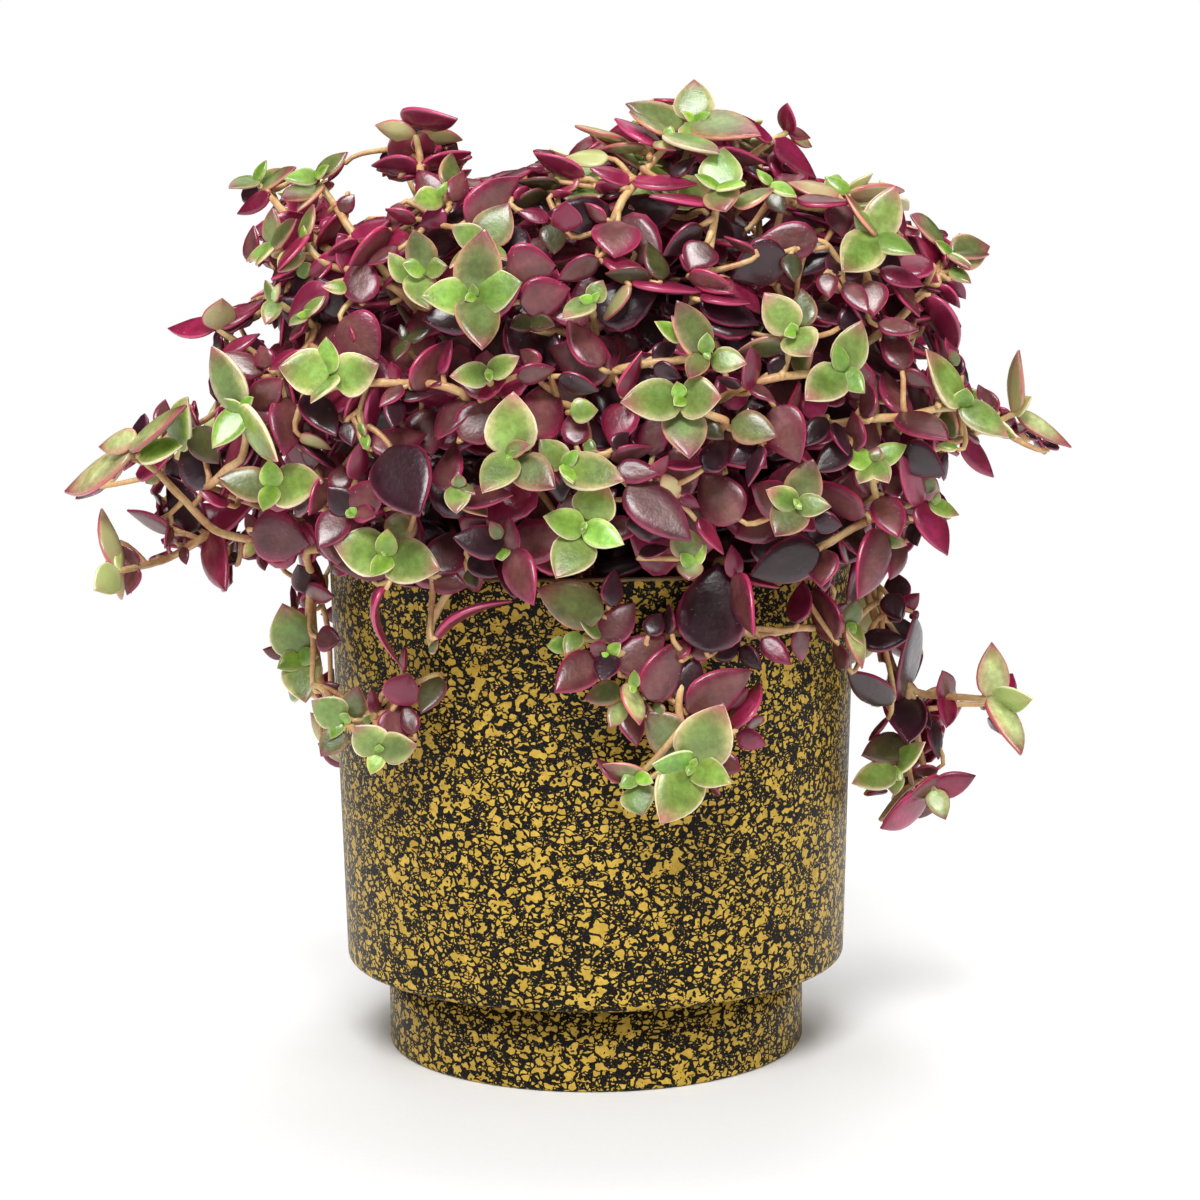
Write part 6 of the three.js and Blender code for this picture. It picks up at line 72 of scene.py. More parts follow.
     [[-13,-894,1327,-166,13,-79,93,69,0,10,5,0],[-16,-893,1328,-26,-18,68,103,64,0,10,5,0],[-7,-886,1343,0,65,81,88,99,1,10,5,0],[-14,-885,1308,-130,-43,-39,124,98,1,10,5,0],[-17,-905,1325,-49,53,121,20,15,0,10,5,1],[-13,-905,1330,-129,-45,-38,20,15,0,10,5,1],[-54,-894,1455,-177,45,-76,77,70,1,10,5,0],[-57,-893,1457,-26,-13,61,147,90,1,10,5,0],[-57,-906,1454,-20,47,94,52,32,0,10,5,1],[-53,-904,1459,-70,-42,-4,60,37,0,10,5,1],[-101,-853,1499,-1,-68,33,90,51,6,14,5,0],[-30,-855,1500,95,54,-7,90,60,4,16,5,0],[-41,-856,1569,6,4,78,59,56,1,10,5,0],[-12,-856,1500,-18,-21,73,29,30,1,10,5,0],[-104,-836,1665,159,37,-88,57,43,4,16,5,0],[55,-856,1447,-8,-9,72,92,57,4,16,5,0],[48,-855,1489,38,38,71,54,43,5,16,5,0],[129,-850,1428,-48,44,-19,68,42,6,14,5,0],[157,-853,1456,-2,-6,28,78,38,6,14,5,0],[80,-855,1415,-21,-43,46,183,110,8,16,5,0],[180,-840,1385,-156,58,83,63,48,3,14,5,0],[237,-845,1447,39,36,56,94,64,5,16,5,0],[188,-840,1389,10,-31,-73,50,31,6,14,5,0],[43,-834,1470,-2,17,138,93,58,4,16,5,0],[226,-824,1340,-2,-54,41,94,45,6,14,5,0],[-64,-855,1640,-9,-19,126,90,54,5,16,5,0],[-87,-741,1579,-129,-27,-68,106,94,6,15,7,4],[-82,-736,1583,11,34,89,106,84,4,15,3,4],[-123,-636,1528,-42,-15,36,114,84,4,15,3,4],[-127,-633,1533,149,60,-41,114,89,5,15,9,4],[-127,-544,1461,17,43,49,89,64,5,15,4,4],[-135,-546,1459,-171,4,-50,104,74,6,15,9,4],[-129,-475,1401,170,31,-53,145,130,5,15,4,4],[-122,-478,1398,-41,-3,43,99,90,5,15,3,4],[-114,-404,1334,82,-13,-14,126,89,5,15,7,4],[-98,-433,1228,-163,9,7,132,115,5,15,8,4],[-90,-429,1235,44,33,-12,112,77,5,15,5,4],[-70,-827,1493,89,-76,168,124,86,5,15,8,4],[52,-758,1379,174,11,30,97,67,4,15,1,4],[-45,-743,1533,-13,-23,46,113,93,5,15,6,4],[132,-790,1474,85,84,-4,96,68,4,15,4,4],[-123,-808,1661,139,59,-14,126,99,5,15,7,4]]),
    ("shoot_front_06",
     [[186,-914,1589,247,-870,1561,263,-861,1555,279,-858,1550,284,-849,1547,273,-743,1517,262,-663,1486,253,-588,1446,255,-543,1421,233,-387,1323,227,-393,1291,218,-395,1222,205,-385,1070]],
     [[239,-850,1538,223,-846,1551,230,-877,1565,231,-897,1575],[210,-840,1637,210,-852,1610,221,-849,1577,229,-868,1560],[362,-830,1489,370,-815,1518,296,-806,1525,281,-815,1538],[282,-755,1434,306,-751,1416,267,-704,1486,267,-703,1502]],
     [[188,-923,1597,-159,-7,-73,136,94,1,10,5,0],[185,-923,1597,-21,-4,74,92,95,1,10,5,0],[187,-936,1594,-141,72,-122,37,34,0,10,5,1],[197,-926,1598,-133,-26,-52,42,32,0,10,5,1],[192,-890,1574,-86,-52,-2,134,98,2,14,5,0],[300,-828,1545,-18,-21,74,103,78,2,14,5,0],[358,-833,1492,-119,-60,21,97,58,5,16,5,0],[209,-845,1639,88,66,-8,23,26,7,14,5,0],[239,-856,1540,-14,-38,72,54,43,7,14,5,0],[275,-743,1514,-41,-31,44,148,105,4,15,9,4],[269,-742,1518,-162,35,-79,148,129,6,15,4,4],[258,-628,1473,54,78,39,138,111,4,15,4,4],[256,-632,1466,-118,-36,-31,138,121,4,15,1,4],[251,-550,1427,-179,35,-67,147,131,6,15,8,4],[257,-554,1422,-44,-34,42,147,120,6,15,1,4],[240,-476,1378,-152,6,-58,141,105,5,15,6,4],[247,-473,1381,12,49,65,141,113,5,15,9,4],[236,-394,1325,-40,-16,40,119,81,5,15,5,4],[231,-392,1328,-166,49,-72,119,97,5,15,9,4],[222,-399,1219,-37,13,-2,136,103,5,15,2,4],[216,-392,1226,120,24,4,136,119,6,15,9,4],[280,-760,1431,-172,37,-130,96,81,4,15,4,4]]),
    ("shoot_front_07",
     [[526,-844,1643,449,-823,1643,430,-822,1641,392,-830,1637,322,-819,1618,292,-736,1599,264,-711,1584,237,-680,1568,212,-642,1549,189,-596,1528,168,-542,1504,151,-478,1477,136,-466,1452,124,-443,1424,114,-408,1393,106,-360,1358,100,-296,1321,95,-212,1280,92,-168,1241,90,-164,1204,88,-209,1171,87,-246,1136,87,-339,1105,89,-408,1070],[428,-834,1722,419,-820,1686,414,-817,1667,408,-820,1648,403,-834,1640]],
     [[320,-830,1624,332,-832,1620,344,-820,1625,354,-824,1627],[376,-820,1644,368,-822,1638,358,-819,1631,354,-824,1627],[337,-830,1617,333,-828,1620,327,-820,1618,325,-819,1619],[410,-810,1711,421,-811,1712,415,-827,1701,419,-839,1700],[462,-800,1648,464,-807,1634,464,-827,1647,469,-844,1649],[341,-830,1615,342,-814,1594,309,-772,1606,303,-767,1606],[392,-800,1573,381,-793,1594,359,-808,1612,354,-824,1627],[459,-790,1741,459,-802,1717,423,-817,1707,419,-839,1700],[533,-748,1742,507,-762,1722,462,-777,1722,449,-803,1721],[181,-764,1487,173,-765,1531,218,-681,1546,236,-679,1567],[269,-763,1715,282,-783,1683,289,-750,1628,303,-767,1606],[345,-782,1732,380,-788,1720,417,-784,1719,449,-803,1721],[220,-782,1516,209,-782,1504,191,-754,1512,183,-754,1511]],
     [[530,-853,1652,-140,-31,-52,131,90,1,10,5,0],[528,-854,1649,4,68,82,113,80,1,10,5,0],[529,-866,1648,-146,69,-112,62,39,0,10,5,1],[527,-853,1652,-42,-39,50,80,52,0,10,5,0],[427,-844,1730,170,55,-73,104,86,1,10,5,0],[427,-830,1733,-57,-40,38,85,87,1,10,5,0],[428,-855,1732,-139,-20,-58,32,28,0,10,5,1],[427,-856,1728,-159,73,-103,24,26,0,10,5,1],[457,-803,1649,106,62,-75,141,84,2,14,5,0],[341,-830,1615,-93,53,57,107,69,6,14,5,0],[338,-834,1621,-30,-35,32,69,40,4,16,5,0],[377,-826,1644,14,38,88,62,43,5,16,5,0],[318,-835,1620,172,18,-127,53,32,5,16,5,0],[456,-795,1743,94,63,-25,92,62,2,14,5,0],[410,-815,1707,175,-6,-131,100,60,2,14,5,0],[390,-806,1573,-32,-59,78,133,100,8,16,5,0],[272,-725,1590,-115,3,-68,108,77,5,15,7,4],[277,-718,1591,41,27,74,108,92,6,15,6,4],[217,-645,1549,-1,-19,59,104,82,5,15,10,4],[211,-645,1554,-161,70,-76,104,85,4,15,1,4],[171,-542,1508,6,59,86,109,81,4,15,4,4],[166,-546,1504,-139,-6,-63,109,96,6,15,9,4],[133,-466,1458,158,39,-26,126,99,5,15,9,4],[139,-470,1452,-51,-25,7,126,99,6,15,1,4],[108,-393,1380,-137,2,-50,129,94,5,15,6,4],[115,-390,1383,11,23,56,88,61,5,15,7,4],[99,-308,1325,-120,-24,-33,101,73,5,15,5,4],[100,-305,1331,113,76,-16,101,93,5,15,9,4],[98,-203,1273,-10,24,54,148,118,5,15,1,4],[91,-204,1273,-162,23,-54,148,115,5,15,6,4],[93,-186,1194,-8,50,-61,110,77,4,15,1,4],[85,-181,1187,130,-16,36,88,63,6,15,4,4],[535,-754,1743,26,33,78,77,60,5,15,1,4],[180,-770,1487,4,-79,107,118,100,4,15,5,4],[268,-768,1718,124,53,-38,86,72,4,15,6,4],[345,-786,1736,170,18,-36,145,119,5,15,10,4],[219,-787,1517,4,48,68,77,58,5,15,5,4]]),
    ("shoot_front_08",
     [[-439,-764,1259,-417,-668,1249,-404,-625,1248,-382,-522,1234,-373,-479,1225,-364,-436,1203,-341,-301,1124,-334,-301,1098,-327,-296,1070]],
     [[-425,-740,1295,-432,-747,1284,-423,-721,1268,-426,-721,1258],[-350,-670,1207,-376,-665,1213,-387,-633,1242,-406,-634,1249],[-331,-690,1215,-335,-701,1201,-358,-660,1220,-371,-659,1218],[-439,-800,1194,-420,-808,1223,-422,-728,1246,-426,-721,1258],[-336,-740,1084,-369,-736,1046,-339,-674,1190,-350,-676,1213],[-432,-557,1190,-454,-545,1199,-387,-518,1226,-381,-517,1233],[-497,-508,1189,-488,-508,1163,-436,-523,1206,-426,-539,1206],[-376,-759,1368,-382,-752,1325,-405,-714,1287,-426,-721,1258],[-450,-677,1358,-422,-691,1375,-392,-719,1345,-383,-749,1338],[-559,-641,1305,-534,-665,1262,-434,-640,1269,-413,-663,1252]],
     [[-439,-774,1264,-165,10,-75,117,111,1,10,5,0],[-442,-773,1265,-24,-14,67,139,106,1,10,5,0],[-440,-786,1262,-60,75,146,65,50,0,10,5,1],[-430,-776,1267,-122,-35,-36,82,49,0,10,5,1],[-435,-784,1264,-141,31,-83,20,12,0,10,5,1],[-442,-785,1265,-26,25,78,20,12,0,10,5,1],[-425,-745,1298,46,50,43,81,75,3,14,5,0],[-330,-695,1218,70,50,22,118,98,4,16,5,0],[-351,-676,1208,-11,-13,76,84,62,4,16,5,0],[-444,-801,1197,158,-55,-31,146,70,6,2,-120,0],[-336,-740,1084,-6,48,-2,169,70,6,2,-56,0],[-425,-697,1255,-172,-6,-82,138,97,4,15,0,4],[-417,-699,1255,-40,-8,80,117,94,4,15,3,4],[-394,-595,1242,-38,-27,71,120,89,4,15,5,4],[-399,-593,1249,171,72,-91,141,97,4,15,1,4],[-375,-508,1233,-20,32,84,110,86,5,15,6,4],[-383,-507,1231,-179,12,-81,75,59,5,15,2,4],[-362,-414,1197,114,60,-30,148,125,5,15,2,4],[-358,-418,1191,-50,-13,48,101,80,6,15,5,4],[-431,-560,1196,-28,-18,21,59,40,5,15,8,4],[-502,-510,1187,177,70,-152,103,75,5,15,8,4],[-376,-759,1368,-53,78,54,98,82,6,15,10,4],[-450,-677,1358,154,-27,-13,87,79,4,15,8,4],[-564,-644,1304,136,52,-115,76,56,6,15,6,4]]),
    ("shoot_front_09",
     [[233,-557,2186,224,-486,2151,217,-431,2131,207,-369,2112,181,-113,2014,173,-61,1980,164,-54,1947,156,-28,1911,148,16,1872,140,79,1830,134,99,1792,126,94,1752,119,42,1717,113,-14,1682,108,-58,1640,104,-88,1597,101,-106,1554,98,-112,1509,95,-107,1463,93,-89,1417,90,-59,1369,88,-13,1319,87,49,1269,85,66,1222,83,40,1179,82,-32,1140,81,-155,1106,80,-256,1070],[176,-658,2142,147,-659,2114,103,-690,2056,74,-729,2020,67,-739,2005,52,-746,1972,67,-587,1986,83,-474,1991,101,-369,2001,118,-317,2016,134,-309,2035,151,-347,2057,167,-359,2075,181,-385,2091,198,-389,2106,208,-375,2114],[391,-325,2167,363,-333,2072,350,-328,2035,313,-207,2012,276,-141,1994,238,-127,1981,201,-98,1966,164,-54,1947],[285,-163,2167,250,-113,2088,242,-108,2072,226,-101,2038,209,-88,2003,189,-66,1961,168,-33,1918,148,16,1872],[142,-327,2197,151,-318,2159,154,-306,2145,159,-223,2096,162,-122,2043,163,-66,1993,164,-54,1947],[305,-312,2173,277,-277,2133,261,-257,2117,242,-232,2091,212,-180,2054,181,-113,2014]],
     [[89,-700,2062,93,-699,2061,96,-699,2063,98,-701,2065],[62,-760,1964,64,-753,1974,62,-742,1983,62,-742,1994],[39,-760,1973,53,-763,1961,51,-716,1970,55,-710,1975],[180,-690,2066,160,-692,2053,129,-683,2077,115,-691,2089],[14,-710,2047,-16,-710,2050,77,-693,2052,98,-701,2065],[124,-610,2142,151,-611,2142,128,-654,2111,132,-679,2111],[43,-650,2114,74,-653,2114,84,-678,2068,98,-701,2065],[-11,-690,2068,20,-679,2054,62,-697,2038,86,-715,2042],[-46,-770,1949,-46,-755,1916,28,-732,1955,51,-737,1968],[17,-800,1890,50,-801,1907,42,-739,1941,51,-737,1968],[-18,-700,2063,14,-715,2074,60,-699,2037,86,-715,2042],[30,-800,1882,-6,-801,1895,45,-739,1939,51,-737,1968],[270,-610,2134,233,-603,2140,233,-530,2149,226,-518,2169],[-78,-760,1961,-78,-753,1979,-40,-749,1938,-28,-755,1937],[-82,-750,1979,-52,-744,1974,-20,-735,1945,-1,-745,1943],[-61,-700,2059,-28,-699,2056,11,-691,2045,34,-703,2052],[86,-800,1836,49,-800,1843,40,-760,1894,27,-766,1922],[81,-550,2151,112,-540,2138,122,-599,2125,137,-628,2131],[86,-820,1830,95,-825,1840,68,-794,1842,62,-793,1849],[81,-600,2154,97,-600,2148,97,-563,2138,103,-557,2140],[-78,-720,2030,-102,-718,2029,-59,-730,1978,-54,-744,1969],[-93,-690,2043,-61,-685,2056,-63,-719,1978,-54,-744,1969],[-93,-670,2092,-66,-664,2089,-44,-682,2056,-29,-698,2055],[129,-810,1853,147,-810,1852,90,-801,1841,78,-807,1841],[-163,-720,2024,-194,-739,1999,-78,-724,1971,-54,-744,1969],[152,-810,1841,157,-817,1828,117,-801,1842,107,-805,1845],[464,-489,2077,489,-442,2049,370,-354,2041,357,-331,2055],[-79,-672,1974,-75,-683,1955,-79,-712,1968,-80,-736,1974],[49,-529,2151,65,-517,2162,89,-544,2136,103,-557,2140],[157,-78,2312,98,-89,2317,233,-117,2141,265,-135,2122],[117,-515,2178,136,-523,2176,106,-541,2143,103,-557,2140],[67,-512,2139,76,-516,2138,76,-527,2142,79,-535,2147],[418,-492,2080,412,-507,2069,449,-466,2063,465,-463,2065],[444,-189,2094,416,-233,2107,347,-241,2022,331,-266,2023],[495,-556,2040,476,-571,2064,445,-491,2051,438,-481,2066],[598,-447,1999,557,-470,2021,484,-448,2035,465,-463,2065],[92,-756,1907,116,-766,1905,69,-774,1858,62,-793,1849],[186,-101,2236,175,-91,2239,161,-95,2251,155,-95,2264],[140,-208,2228,112,-186,2244,159,-123,2219,170,-101,2237],[438,-239,2136,454,-242,2126,422,-216,2095,423,-211,2091],[519,-199,2115,499,-224,2128,438,-204,2085,423,-211,2091],[234,-202,2187,235,-234,2182,244,-231,2113,252,-246,2106],[492,-492,2042,487,-508,2029,475,-529,2045,476,-549,2054],[518,-427,2042,532,-427,2035,533,-447,2022,543,-458,2022],[449,-500,2042,454,-509,2034,470,-512,2037,481,-520,2040],[139,-251,2217,149,-280,2210,147,-287,2153,153,-306,2148],[393,-386,2123,380,-410,2120,406,-386,2059,417,-393,2050],[-80,-722,1907,-74,-729,1927,-78,-700,1946,-78,-703,1965],[82,-578,2045,103,-585,2044,73,-557,1995,71,-559,1987],[471,-512,2086,481,-500,2094,442,-484,2066,438,-481,2066],[565,-227,2087,559,-255,2090,499,-211,2098,488,-211,2113],[558,-440,2021,559,-432,2027,536,-437,2025,532,-439,2029],[484,-226,2121,489,-215,2120,502,-221,2101,513,-222,2100],[491,-376,2070,471,-369,2088,429,-384,2047,417,-393,2050]],
     [[172,-676,2155,30,72,52,26,26,0,10,5,1],[175,-660,2160,159,30,-13,106,60,2,14,5,0],[174,-660,2161,-45,-21,3,160,104,1,10,5,0],[151,-653,2140,157,31,-18,117,70,6,14,5,0],[144,-665,2143,-45,-20,21,64,37,3,14,5,1],[92,-695,2061,-6,-7,32,143,70,6,14,5,0],[233,-564,2201,88,68,2,103,94,1,10,5,0],[209,-555,2196,-170,15,-65,136,80,2,14,5,0],[232,-562,2203,-38,-15,40,190,117,2,14,5,0],[235,-575,2199,-169,38,-73,38,23,0,10,5,1],[230,-575,2200,-21,23,62,46,26,0,10,5,1],[232,-575,2201,-71,-50,21,76,85,1,10,5,1],[306,-323,2187,-127,-6,-24,94,77,2,12,5,0],[311,-316,2189,47,19,25,92,75,2,12,5,0],[312,-325,2195,-39,-4,12,55,50,0,12,5,1],[308,-322,2197,152,43,-17,58,49,0,12,5,1],[312,-326,2203,27,48,37,29,26,0,12,5,1],[307,-328,2198,-113,24,-26,26,21,0,12,5,1],[285,-159,2170,101,14,21,128,100,1,12,5,2],[288,-168,2169,-74,-1,-21,145,119,1,12,5,2],[285,-165,2180,-160,40,-10,89,71,0,12,5,3],[294,-162,2176,13,-1,8,92,78,0,12,5,3],[294,-169,2186,-61,30,-24,45,39,0,12,5,3],[295,-163,2191,84,44,30,44,39,0,12,5,3],[256,-155,2097,92,11,22,107,97,4,12,5,2],[257,-165,2096,-83,2,-22,132,108,4,12,5,2],[388,-321,2168,122,11,16,110,87,1,12,5,2],[393,-330,2167,-55,2,-16,118,106,1,12,5,2],[389,-327,2177,-143,36,-5,71,59,0,12,5,3],[397,-322,2174,33,4,4,69,59,0,12,5,3],[398,-328,2184,-44,34,-20,29,26,0,12,5,3],[396,-322,2189,109,42,22,36,29,0,12,5,3],[367,-328,2094,121,11,16,136,111,4,12,5,2],[372,-337,2093,-55,2,-16,136,120,4,12,5,2],[137,-330,2200,-154,-9,1,111,89,1,12,5,2],[145,-325,2202,26,22,-1,121,105,1,12,5,2],[141,-333,2210,-70,20,17,70,57,0,12,5,3],[136,-326,2215,122,19,-16,66,54,0,12,5,3],[136,-329,2223,27,56,-1,37,30,0,12,5,3],[132,-332,2217,-154,25,1,34,28,0,12,5,3],[154,-318,2142,123,5,-15,124,108,4,12,5,2],[160,-325,2137,-61,9,16,115,92,4,12,5,2],[-46,-770,1949,-89,66,0,65,68,6,14,5,0],[62,-765,1967,-102,-56,-10,97,109,4,16,5,0],[-159,-724,2023,33,34,106,48,30,6,14,5,0],[-77,-766,1963,-84,-70,-4,70,61,7,14,5,0],[19,-805,1888,178,-27,-122,97,57,4,16,5,0],[32,-804,1886,1,-20,38,110,60,6,14,5,0],[88,-802,1841,0,-11,21,155,95,6,14,5,0],[86,-820,1830,151,-45,124,101,58,3,14,5,0],[128,-814,1849,-179,4,-133,95,55,7,14,5,0],[154,-814,1844,127,56,-8,99,59,7,14,5,0],[-11,-690,2068,-161,23,15,121,78,6,14,5,0],[-93,-670,2092,-167,5,125,40,23,6,14,5,0],[43,-650,2114,175,1,139,98,61,0,10,5,0],[-18,-700,2063,155,-17,129,82,50,2,14,5,0],[-78,-720,2030,-4,2,-42,43,26,6,14,5,0],[89,-700,2062,-161,14,132,92,53,6,14,5,0],[14,-710,2047,-1,-6,-40,65,39,6,14,5,0],[36,-765,1971,168,39,-116,59,34,4,16,5,0],[-82,-750,1979,-169,9,132,72,45,6,14,5,0],[81,-600,2154,-178,19,-177,116,70,3,14,5,0],[81,-550,2151,-163,21,121,83,49,2,14,5,0],[124,-610,2142,179,-1,-164,98,46,3,14,5,0],[269,-612,2129,-11,-9,156,120,71,4,16,5,0],[178,-695,2070,5,35,49,69,40,5,16,5,0],[-61,-703,2053,-177,5,-154,93,57,7,14,5,0],[-91,-693,2039,-171,-22,-141,87,52,7,14,5,0],[228,-495,2159,-12,-13,65,116,91,6,15,1,4],[219,-495,2162,-172,20,-71,116,90,5,15,1,4],[215,-414,2132,-5,61,90,92,66,5,15,7,4],[214,-416,2126,-73,-43,11,92,75,4,15,4,4],[196,-303,2086,-155,4,-69,101,81,6,15,2,4],[204,-303,2085,-18,-9,64,101,74,5,15,3,4],[189,-207,2045,-109,-40,-26,116,83,6,15,4,4],[191,-204,2053,35,66,56,116,86,5,15,7,4],[184,-109,2011,-23,-2,51,149,112,4,15,0,4],[178,-108,2014,-167,47,-68,101,87,5,15,5,4],[160,-35,1927,64,58,28,146,117,6,15,8,4],[161,-40,1923,-56,-16,10,146,121,5,15,4,4],[139,42,1854,-162,-1,-56,110,78,5,15,10,4],[148,43,1854,-17,1,54,110,85,4,15,2,4],[134,96,1759,12,6,-6,137,96,4,15,5,4],[122,94,1762,-172,35,7,137,100,6,15,8,4],[110,4,1689,145,-18,50,130,117,5,15,4,4],[120,-1,1694,-17,30,-58,130,114,4,15,3,4],[102,-83,1613,-141,38,24,132,114,4,15,7,4],[111,-79,1609,13,0,-33,132,99,5,15,5,4],[100,-109,1505,42,28,8,135,102,5,15,3,4],[95,-116,1499,-114,3,-6,135,100,5,15,2,4],[90,-81,1392,-104,-6,-10,130,111,5,15,7,4],[91,-74,1403,95,35,0,110,95,5,15,4,4],[93,-28,1331,-26,-12,37,144,105,6,15,6,4],[85,-24,1334,169,29,-42,144,112,4,15,6,4],[87,59,1250,64,41,11,133,94,5,15,7,4],[84,53,1242,-108,3,-9,133,110,5,15,6,4],[89,15,1168,14,25,-69,118,90,5,15,0,4],[77,17,1165,161,-9,59,139,104,4,15,1,4],[57,-722,1971,-26,-44,79,148,124,4,15,6,4],[51,-721,1974,-162,3,-97,148,103,5,15,5,4],[67,-631,1983,-24,8,98,143,99,5,15,3,4],[60,-630,1979,-171,-50,-82,143,105,4,15,9,4],[76,-520,1992,-109,59,-169,124,87,4,15,7,4],[78,-520,1986,-44,-60,60,124,94,4,15,9,4],[91,-427,1992,-102,-74,-2,114,94,5,15,0,4],[119,-324,2013,-32,-27,98,101,84,5,15,10,4],[113,-322,2017,-155,28,-128,101,85,6,15,9,4],[165,-366,2082,179,28,129,98,67,4,15,7,4],[336,-294,2027,-141,-11,-75,129,98,4,15,7,4],[343,-291,2029,-4,18,86,110,86,6,15,3,4],[313,-206,2008,-49,-54,11,114,95,6,15,6,4],[312,-205,2017,166,81,-46,114,102,5,15,3,4],[261,-130,1987,60,-14,71,148,116,5,15,7,4],[252,-138,1986,-100,-1,-72,148,101,6,15,6,4],[241,-103,2057,26,-11,19,113,98,6,15,2,4],[230,-109,2055,-126,23,-26,113,90,5,15,6,4],[188,-60,1960,62,42,37,138,117,5,15,7,4],[187,-66,1955,-80,-19,-15,138,114,4,15,7,4],[161,-246,2109,-29,-2,55,126,111,4,15,7,4],[155,-243,2112,170,59,-68,101,84,4,15,9,4],[159,-142,2058,155,65,-58,149,111,5,15,7,4],[161,-146,2049,-85,-57,6,149,114,5,15,6,4],[160,-74,2004,159,45,-47,104,92,6,15,1,4],[166,-78,2000,-43,-23,35,104,90,5,15,1,4],[268,-270,2125,-71,-23,-15,101,73,4,15,6,4],[219,-185,2057,-5,-20,47,99,91,4,15,0,4],[464,-489,2077,-118,27,-28,78,61,5,15,1,4],[-76,-676,1977,109,59,14,111,82,5,15,5,4],[49,-529,2151,-144,-28,18,54,48,5,15,8,4],[157,-78,2312,11,-4,3,82,58,4,15,9,4],[117,-515,2178,157,7,67,82,60,4,15,6,4],[66,-516,2144,156,7,-38,71,57,4,15,7,4],[422,-496,2083,67,34,53,109,95,6,15,8,4],[444,-189,2094,58,-14,7,136,106,6,15,1,4],[500,-558,2043,38,-44,46,123,99,4,15,6,4],[598,-447,1999,29,-24,-9,126,98,4,15,9,4],[92,-757,1913,157,6,-10,96,77,5,15,4,4],[186,-101,2236,-41,-11,-14,53,47,5,15,5,4],[140,-208,2228,-37,-25,-32,112,85,5,15,9,4],[440,-240,2141,170,30,-10,124,86,4,15,2,4],[519,-199,2115,51,-23,18,88,62,6,15,0,4],[234,-202,2187,91,9,-64,55,50,4,15,4,4],[495,-495,2046,75,36,38,74,59,4,15,2,4],[518,-427,2042,-178,29,40,79,65,5,15,2,4],[453,-501,2046,119,38,28,55,50,5,15,1,4],[139,-251,2217,110,12,34,76,67,4,15,6,4],[394,-388,2129,61,7,18,85,64,5,15,5,4],[-80,-722,1907,133,-64,126,75,53,4,15,7,4],[81,-582,2050,163,2,-37,96,78,5,15,7,4],[471,-515,2091,-128,-25,-14,106,77,4,15,5,4],[565,-227,2087,78,-6,-24,61,52,4,15,5,4],[562,-443,2024,-98,-36,-52,61,45,4,15,9,4],[484,-226,2121,-116,6,-16,73,52,4,15,8,4],[491,-376,2070,-19,-39,-31,119,103,5,15,6,4]]),
    ("shoot_front_10",
     [[276,-758,2021,269,-756,1982,262,-760,1942,259,-763,1924,253,-777,1894,249,-780,1876,235,-740,1831,223,-695,1796,211,-674,1764,200,-648,1731,180,-590,1663,172,-557,1628,157,-479,1555,151,-432,1516,146,-378,1476,142,-379,1440,138,-374,1403,136,-363,1364,134,-346,1323,132,-325,1281,130,-269,1193,130,-298,1153,128,-320,1112,127,-338,1070]],
     [[248,-780,1917,253,-776,1926,256,-771,1936,260,-773,1945],[213,-800,1853,195,-793,1857,230,-756,1840,239,-752,1841],[235,-780,1802,220,-779,1810,236,-752,1828,239,-752,1841],[236,-760,1958,246,-758,1965,257,-763,1967,265,-770,1974],[233,-820,1800,201,-819,1805,229,-739,1812,232,-729,1822],[352,-770,1906,388,-771,1887,266,-759,1863,245,-774,1860],[300,-735,1847,286,-734,1864,251,-739,1838,239,-752,1841],[262,-694,1932,230,-694,1938,263,-716,1862,268,-738,1849],[244,-686,1748,233,-693,1745,217,-669,1755,210,-671,1760],[284,-564,1842,309,-522,1808,208,-597,1734,195,-634,1715],[314,-753,1731,297,-745,1771,236,-687,1765,218,-687,1783],[296,-682,1900,306,-669,1893,261,-697,1889,253,-711,1891],[370,-625,1876,346,-657,1884,291,-661,1879,275,-691,1892]],
